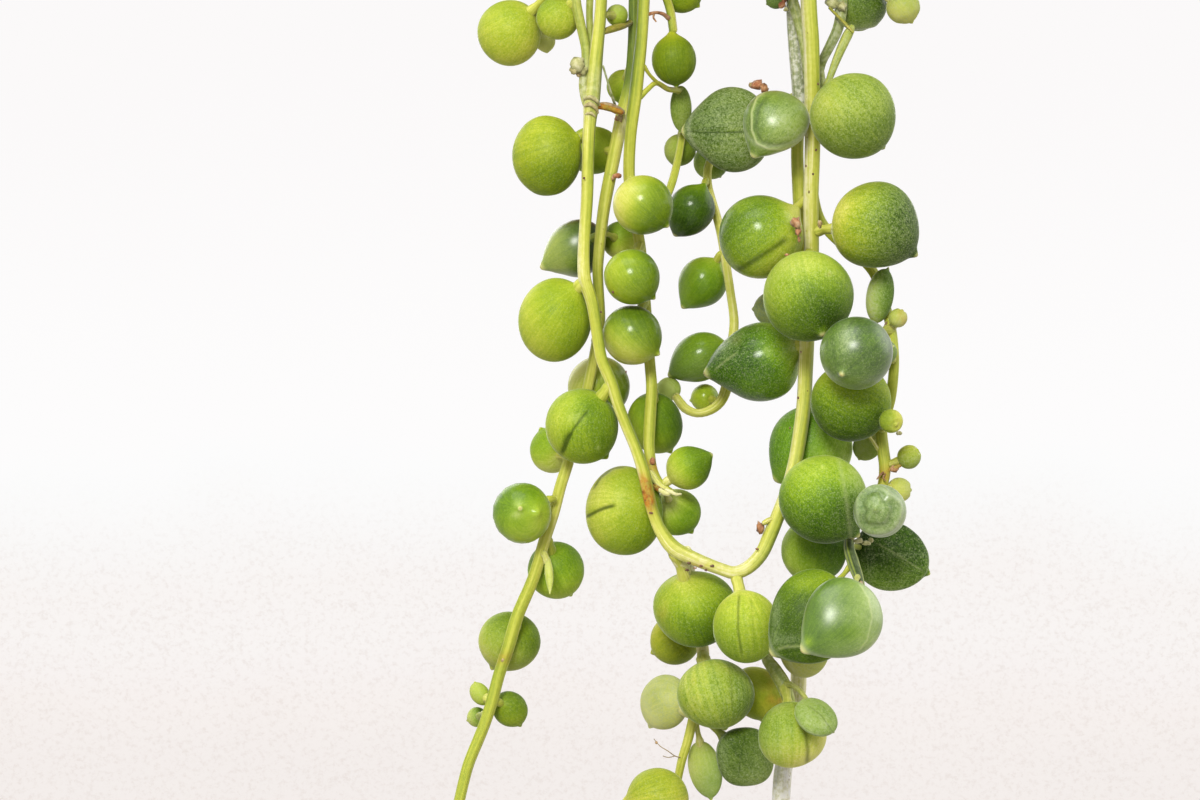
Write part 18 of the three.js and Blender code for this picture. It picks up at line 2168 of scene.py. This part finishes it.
def slab(outline, z0, z1, soft):
    """A flat plate with softened edges from a closed outline (counter-clockwise)."""
    o = np.array(outline, float)
    nrm = np.roll(o, -1, 0) - np.roll(o, 1, 0)
    nrm = np.stack([nrm[:, 1], -nrm[:, 0]], -1)
    nrm /= np.linalg.norm(nrm, axis=1)[:, None]
    levels = [(z0, soft), (z0 + 0.3 * soft, 0.3 * soft), (z0 + soft, 0), (z1 - soft, 0), (z1 - 0.3 * soft, 0.3 * soft), (z1, soft)]
    rings = np.stack([np.hstack([o - nrm * inset, np.full((len(o), 1), z)]) for z, inset in levels])
    c = o.mean(0)
    verts = np.vstack([[[c[0], c[1], z0]], rings.reshape(-1, 3), [[c[0], c[1], z1]]])
    quads, tris = grid_faces(len(levels), len(o))
    quads, tris = outward(verts, quads, tris)
    return verts, [list(f) for f in quads] + [list(f) for f in tris]


def turn(verts, a):
    c, s = math.cos(a), math.sin(a)
    return verts @ np.array([[c, s, 0], [-s, c, 0], [0, 0, 1]])


def cylinder(x, y, z0, z1, r, seg, flare=0.0):
    ang = np.linspace(0, 2 * math.pi, seg, endpoint=False)
    rings = np.stack([np.stack([x + rr * np.cos(ang), y + rr * np.sin(ang), np.full(seg, z)], -1) for z, rr in ((z0, r + flare), (z1, r))])
    verts = np.vstack([[[x, y, z0]], rings.reshape(-1, 3), [[x, y, z1]]])
    quads, tris = grid_faces(2, seg)
    quads, tris = outward(verts, quads, tris)
    return verts, [list(f) for f in quads] + [list(f) for f in tris]


wall_out = lambda z: 45 + (z - BASE_Z) * (59 - 45) / (RIM_Z - RIM_H - BASE_Z)
profile = [(0, BASE_Z), (20, BASE_Z), (44.2, BASE_Z), (44.8, BASE_Z + 0.25), (45.25, BASE_Z + 0.9), (45.3, BASE_Z + 2.0)]
profile += [(wall_out(z), z) for z in np.linspace(BASE_Z + 4, RIM_Z - RIM_H - 7, 12)]
profile += [(wall_out(RIM_Z - RIM_H - 5.5) + 0.45, RIM_Z - RIM_H - 5.3), (wall_out(RIM_Z - RIM_H - 4) + 0.45, RIM_Z - RIM_H - 4.0), (wall_out(RIM_Z - RIM_H - 3), RIM_Z - RIM_H - 3.4)]
profile += [(58.95, RIM_Z - RIM_H - 0.6), (59.25, RIM_Z - RIM_H - 0.1), (61.4, RIM_Z - RIM_H), (61.85, RIM_Z - RIM_H + 0.2), (62, RIM_Z - RIM_H + 0.7)]
profile += [(62, RIM_Z - 7.5), (61.8, RIM_Z - 7.2), (61.8, RIM_Z - 6.6), (62, RIM_Z - 6.3), (62, RIM_Z - 1.4)]
profile += arc(60.8, RIM_Z - 1.2, 1.2, 10, 90, 5) + arc(58.4, RIM_Z - 0.9, 0.9, 90, 180, 4)
profile += [(57.3, RIM_Z - 6), (57.0, RIM_Z - RIM_H), (49.6, -250), (43.2, BASE_Z + 5.5), (42.3, BASE_Z + 3.4), (41.2, BASE_Z + 3.0), (20, BASE_Z + 3), (0, BASE_Z + 3)]
pot = plain_object("pot_shell", *lathe(profile, 144))
adds, cuts = [], []
for a in LUGS.values():
    side = [(59.4, 4.5), (59.4, -4.5)]
    right = [(60.9, -4.5), (62.4, -4.5), (63.9, -4.5), (65.2, -4.4)]
    end = [(65.4 + 4.1 * math.cos(t), 4.3 * math.sin(t)) for t in np.linspace(-1.25, 1.25, 15)]
    left = [(x, -y) for x, y in right[::-1]]
    v, f = slab(side[1:] + right + end + left + side[:1], RIM_Z - 3.9, RIM_Z - 1.3, 0.35)
    adds.append((turn(v, a), f))
    v, f = cylinder(66, 0, RIM_Z - 6, RIM_Z + 1, 2.3, 28)
    cuts.append((turn(v, a), f))
for i in range(4):
    a = math.pi / 4 + i * math.pi / 2
    cuts.append(cylinder(26 * math.cos(a), 26 * math.sin(a), BASE_Z - 2, BASE_Z + 6, 4.0, 32))
helpers = []
for k, (v, f) in enumerate(adds + cuts):
    h = plain_object("tool_%d" % k, v, f)
    helpers.append(h)
    mod = pot.modifiers.new("b%d" % k, "BOOLEAN")
    mod.operation = "UNION" if k < len(adds) else "DIFFERENCE"
    mod.solver = "EXACT"
    mod.object = h
bpy.context.view_layer.update()
done = bpy.data.meshes.new_from_object(pot.evaluated_get(bpy.context.evaluated_depsgraph_get()))
pot.modifiers.clear()
pot.data = done
for h in helpers:
    bpy.data.objects.remove(h)
bm = bmesh.new()
bm.from_mesh(pot.data)
bmesh.ops.remove_doubles(bm, verts=bm.verts, dist=0.00001)
bm.to_mesh(pot.data)
bm.free()
pot.data.polygons.foreach_set("use_smooth", np.ones(len(pot.data.polygons), bool))
pot.data.set_sharp_from_angle(angle=math.radians(38))
pot.data.materials.clear()
pot.data.materials.append(M_POT)
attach(pot, "root")
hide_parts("pot")


# ------------------------------------------------------------------ soil
def soil_z(q):
    return -205.5 - 3.0 * (q / 57) ** 2


b = Builder("potting_mix_bed")
wall_in = lambda z: 42.5 + (z + 292) * (57 - 42.5) / (RIM_Z - RIM_H + 292)
seg, rings = 120, []
ang = np.linspace(0, 2 * math.pi, seg, endpoint=False)
for q in [0.6 + 56.0 * (i / 46) for i in range(46)]:
    x, y = q * np.cos(ang), q * np.sin(ang)
    z = np.full(seg, soil_z(q))
    fade = min(1, (56.4 - q) / 4)
    hgt = np.array([noise.fractal(Vector((xx * 0.16, yy * 0.16, 3.1)), 1.0, 2.0, 5) + 0.5 * noise.noise(Vector((xx * 0.9, yy * 0.9, 7.7))) for xx, yy in zip(x, y)])
    rings.append(np.stack([x, y, z + (0.15 + 0.75 * fade) * hgt - 0.25], -1))
for q, z in [(56.35, soil_z(56.3) - 0.6), (wall_in(-212) - 0.6, -212), (wall_in(-250) - 0.6, -250), (wall_in(-280) - 0.6, -280), (42.0, -291.5), (20, -291.6)]:
    rings.append(np.stack([q * np.cos(ang), q * np.sin(ang), np.full(seg, z)], -1))
rings = np.stack(rings)
verts = np.vstack([[rings[0].mean(0)], rings.reshape(-1, 3), [[0, 0, -291.6]]])
quads, tris = grid_faces(len(rings), seg)
quads, tris = outward(verts, quads, tris)
b.add(verts, quads, tris, 0, np.zeros(4))
rng = np.random.default_rng(41)
for i in range(520):
    q, a = 55.0 * math.sqrt(rng.uniform(0.0, 1)), rng.uniform(0, 2 * math.pi)
    kind = rng.choice([0, 1, 2], p=[0.5, 0.38, 0.12])
    s = rng.uniform(0.35, 1.3) if kind != 1 else rng.uniform(0.6, 2.0)
    c = (q * math.cos(a), q * math.sin(a), soil_z(q) + 0.12 + 0.2 * s)
    radii = (s, s * rng.uniform(0.6, 0.9), s * rng.uniform(0.55, 0.8)) if kind != 1 else (s * rng.uniform(1.0, 1.7), s * 0.62, s * 0.3)
    ax = unit(np.array([rng.normal() * 0.35, rng.normal() * 0.35, 1.0]))
    v, f = blob(c, radii, i * 0.77, 0.45, 1 if s < 0.9 else 2, ax)
    b.add(v, [], f, int(kind), np.zeros(4))
soil = b.build([M_SOIL, M_BARK, M_GRIT])
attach(soil, "root")
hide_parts("potting_soil")

# ------------------------------------------------------------------ hook and hanger wires
HOOK_R, HOOK_IN, EYE_Z, EYE_R, WIRE_R = 1.6, 10.0, -44.0, 8.5, 1.1
b = Builder("hanger_hook_wire")
ax_r = HOOK_IN + HOOK_R
pts = [(ax_r * math.cos(math.radians(d)), 0, -HOOK_IN + ax_r * math.sin(math.radians(d)), HOOK_R) for d in range(205, -16, -10)]
pts += [(8.9, 0, -19.2, HOOK_R), (5, 0, -24, HOOK_R), (1.7, 0, -28, HOOK_R), (0.35, 0, -30.2, HOOK_R), (0, 0, -32, HOOK_R), (0, 0, -34, HOOK_R), (0, 0, EYE_Z + EYE_R, HOOK_R)]
v, q, t, fib, _ = tube(spline(pts, 0.7), 20, seed=0.3)
b.add(v, q, t, 0, np.zeros(4), fib=fib)
ring = np.array([(EYE_R * math.sin(x), 0, EYE_Z + EYE_R * math.cos(x)) for x in np.linspace(0, 2 * math.pi, 72, endpoint=False)])
nx = ring - np.array([0, 0, EYE_Z])
nx /= np.linalg.norm(nx, axis=1)[:, None]
ph = np.linspace(0, 2 * math.pi, 18, endpoint=False)
tor = ring[:, None] + HOOK_R * (np.cos(ph)[None, :, None] * nx[:, None] + np.sin(ph)[None, :, None] * np.array([0, 1.0, 0]))
nr, nc = 72, 18
i, j = np.meshgrid(np.arange(nr), np.arange(nc), indexing="ij")
quads = np.stack([i * nc + j, i * nc + (j + 1) % nc, ((i + 1) % nr) * nc + (j + 1) % nc, ((i + 1) % nr) * nc + j], -1).reshape(-1, 4)
vt = tor.reshape(-1, 3)
quads, _ = outward(vt, quads, np.zeros((0, 3), int))
b.add(vt, quads, [], 0, np.zeros(4))
v, f = blob((0, 0, EYE_Z + EYE_R), (2.15, 1.95, 1.7), 2.2, 0.10)
b.add(v, [], f, 0, np.zeros(4))
hook = b.build([M_STEEL])
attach(hook, "root")
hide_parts("hanger_hook")

for name, (sx, side) in {"hanger_wire_back": (0, 1), "hanger_wire_front_left": (-4, -1), "hanger_wire_front_right": (4, -1)}.items():
    a = LUGS[name]
    zc = EYE_Z - math.sqrt(EYE_R**2 - sx**2)
    loop = HOOK_R + WIRE_R + 0.65
    polar = lambda r, z: np.array([r * math.cos(a), r * math.sin(a), z])
    pts = [np.array([sx, -side * loop * math.cos(math.radians(d)), zc + loop * math.sin(math.radians(d))]) for d in range(-45, 182, 15)]
    pts.append(np.array([sx, side * loop, zc - 3]))
    foot, top = polar(66, RIM_Z + 5), np.array([sx, side * loop, zc - 7])
    pts.append(top + np.array([0, side * 0.2, 0]))
    pts += [top + (foot - top) * k for k in (0.08, 0.5, 0.965)]
    pts += [polar(65.85, RIM_Z + 2.2), polar(66, RIM_Z - 1), polar(66, RIM_Z - 6)]
    pts += [polar(68.8 + 2.8 * math.cos(math.radians(d)), RIM_Z - 7 + 2.8 * math.sin(math.radians(d))) for d in range(200, 361, 16)]
    pts.append(polar(71.6, RIM_Z - 4.6))
    path = spline(np.hstack([np.array(pts), np.full((len(pts), 1), WIRE_R)]), 0.8)
    b = Builder("galvanised_" + name)
    v, q, t, fib, _ = tube(path, 16, seed=1.1)
    b.add(v, q, t, 0, np.zeros(4), fib=fib)
    o = b.build([M_STEEL])
    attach(o, "root")
    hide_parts(name)


# ------------------------------------------------------------------ pale studio sweep and light
def sweep():
    prof = [(0.0, -1.5), (1.2, -1.5), (2.4, -1.5)]
    prof += [(2.4 + 1.4 * math.sin(t), -1.5 + 1.4 * (1 - math.cos(t))) for t in np.linspace(0.08, math.pi / 2, 18)]
    prof += [(3.8, 0.6), (3.8, 1.4), (3.8, 2.6)]
    pr = np.array(prof[1:])
    seg = 96
    ang = np.linspace(0, 2 * math.pi, seg, endpoint=False)
    rings = np.stack([pr[:, :1] * np.cos(ang), pr[:, :1] * np.sin(ang), np.repeat(pr[:, 1:], seg, 1)], -1)
    verts = np.vstack([[[0, 0, -1.5]], rings.reshape(-1, 3)])
    n = len(pr)
    i = (np.arange(n - 1) * seg)[:, None]
    j = np.arange(seg)[None]
    k = (j + 1) % seg
    quads = np.stack([1 + i + j, 1 + i + k, 1 + i + seg + k, 1 + i + seg + j], -1).reshape(-1, 4)
    tris = [[0, 1 + int(a), 1 + int((a + 1) % seg)] for a in range(seg)]
    me = bpy.data.meshes.new("studio_sweep")
    me.from_pydata([tuple(map(float, p)) for p in verts], [], tris + [list(map(int, f)) for f in quads])
    me.polygons.foreach_set("use_smooth", np.ones(len(me.polygons), bool))
    o = bpy.data.objects.new("studio_sweep", me)
    bpy.context.scene.collection.objects.link(o)
    m = Nodes("pale_sweep")
    pos = m.place()
    z = m.new("ShaderNodeSeparateXYZ")
    m.link(pos, z.inputs[0])
    cloud = m.noise(pos, 2.2, 3.0, 0.55)
    grit = m.noise(pos, 150.0, 4.0, 0.75)
    edge = m.mul_add(m.math("SUBTRACT", cloud, 0.5), 0.22, z.outputs["Z"])
    down = m.step(edge, -0.42, -0.62)
    low = m.step(edge, -0.42, -0.86)
    col = m.ramp(m.step(edge, -0.40, 0.10), [(0.0, lin(253, 252, 252)), (1.0, lin(251, 249, 249))])
    col = m.mix(m.step(edge, -0.40, -0.46), col, m.ramp(low, [(0.0, lin(252, 252, 252)), (0.16, lin(250, 248, 247)), (0.32, lin(249, 245, 243)), (0.52, lin(249, 245, 243)), (0.68, lin(248, 243, 241)), (0.80, lin(247, 241, 238)), (0.92, lin(245, 239, 236)), (1.0, lin(244, 238, 235))]))
    col = m.mix(m.math("MULTIPLY", down, m.step(grit, 0.46, 0.70, 0.0, 0.28)), col, lin(214, 200, 192))
    em = m.new("ShaderNodeEmission")
    m.link(col, em.inputs["Color"])
    em.inputs["Strength"].default_value = 1.0
    out = [n_ for n_ in m.t.nodes if n_.type == "OUTPUT_MATERIAL"][0]
    m.link(em.outputs[0], out.inputs["Surface"])
    m.t.nodes.remove(m.bsdf)
    me.materials.append(m.m)


sweep()
world = bpy.data.worlds.new("soft_world")
world.use_nodes = True
bg = world.node_tree.nodes["Background"]
bg.inputs["Color"].default_value = (0.98, 0.985, 1.0, 1)
bg.inputs["Strength"].default_value = 0.82
bpy.context.scene.world = world


def soft_light(name, where, target, size, watts, colour=(1, 1, 1), shape="DISK"):
    d = bpy.data.lights.new(name, "AREA")
    d.shape = shape
    d.size = size
    d.energy = watts
    d.color = colour
    o = bpy.data.objects.new(name, d)
    o.location = where
    o.rotation_euler = (Vector(target) - Vector(where)).to_track_quat("-Z", "Y").to_euler()
    o.visible_camera = False
    bpy.context.scene.collection.objects.link(o)
    return o


heart = (-0.011, -0.067, -0.364)
soft_light("key", (-0.13, -0.76, -0.02), heart, 0.24, 8.0, (1.0, 0.99, 0.96))
soft_light("top", (-0.25, -0.35, 0.75), (0, 0, -0.25), 1.0, 10.0)
soft_light("side", (0.9, 0.25, 0.1), (0, 0, -0.22), 1.0, 5.0)
soft_light("back", (-0.55, 0.95, 0.2), (0, 0, -0.22), 1.0, 6.0)

scene = bpy.context.scene
scene.view_settings.view_transform = "Standard"
scene.view_settings.look = "None"
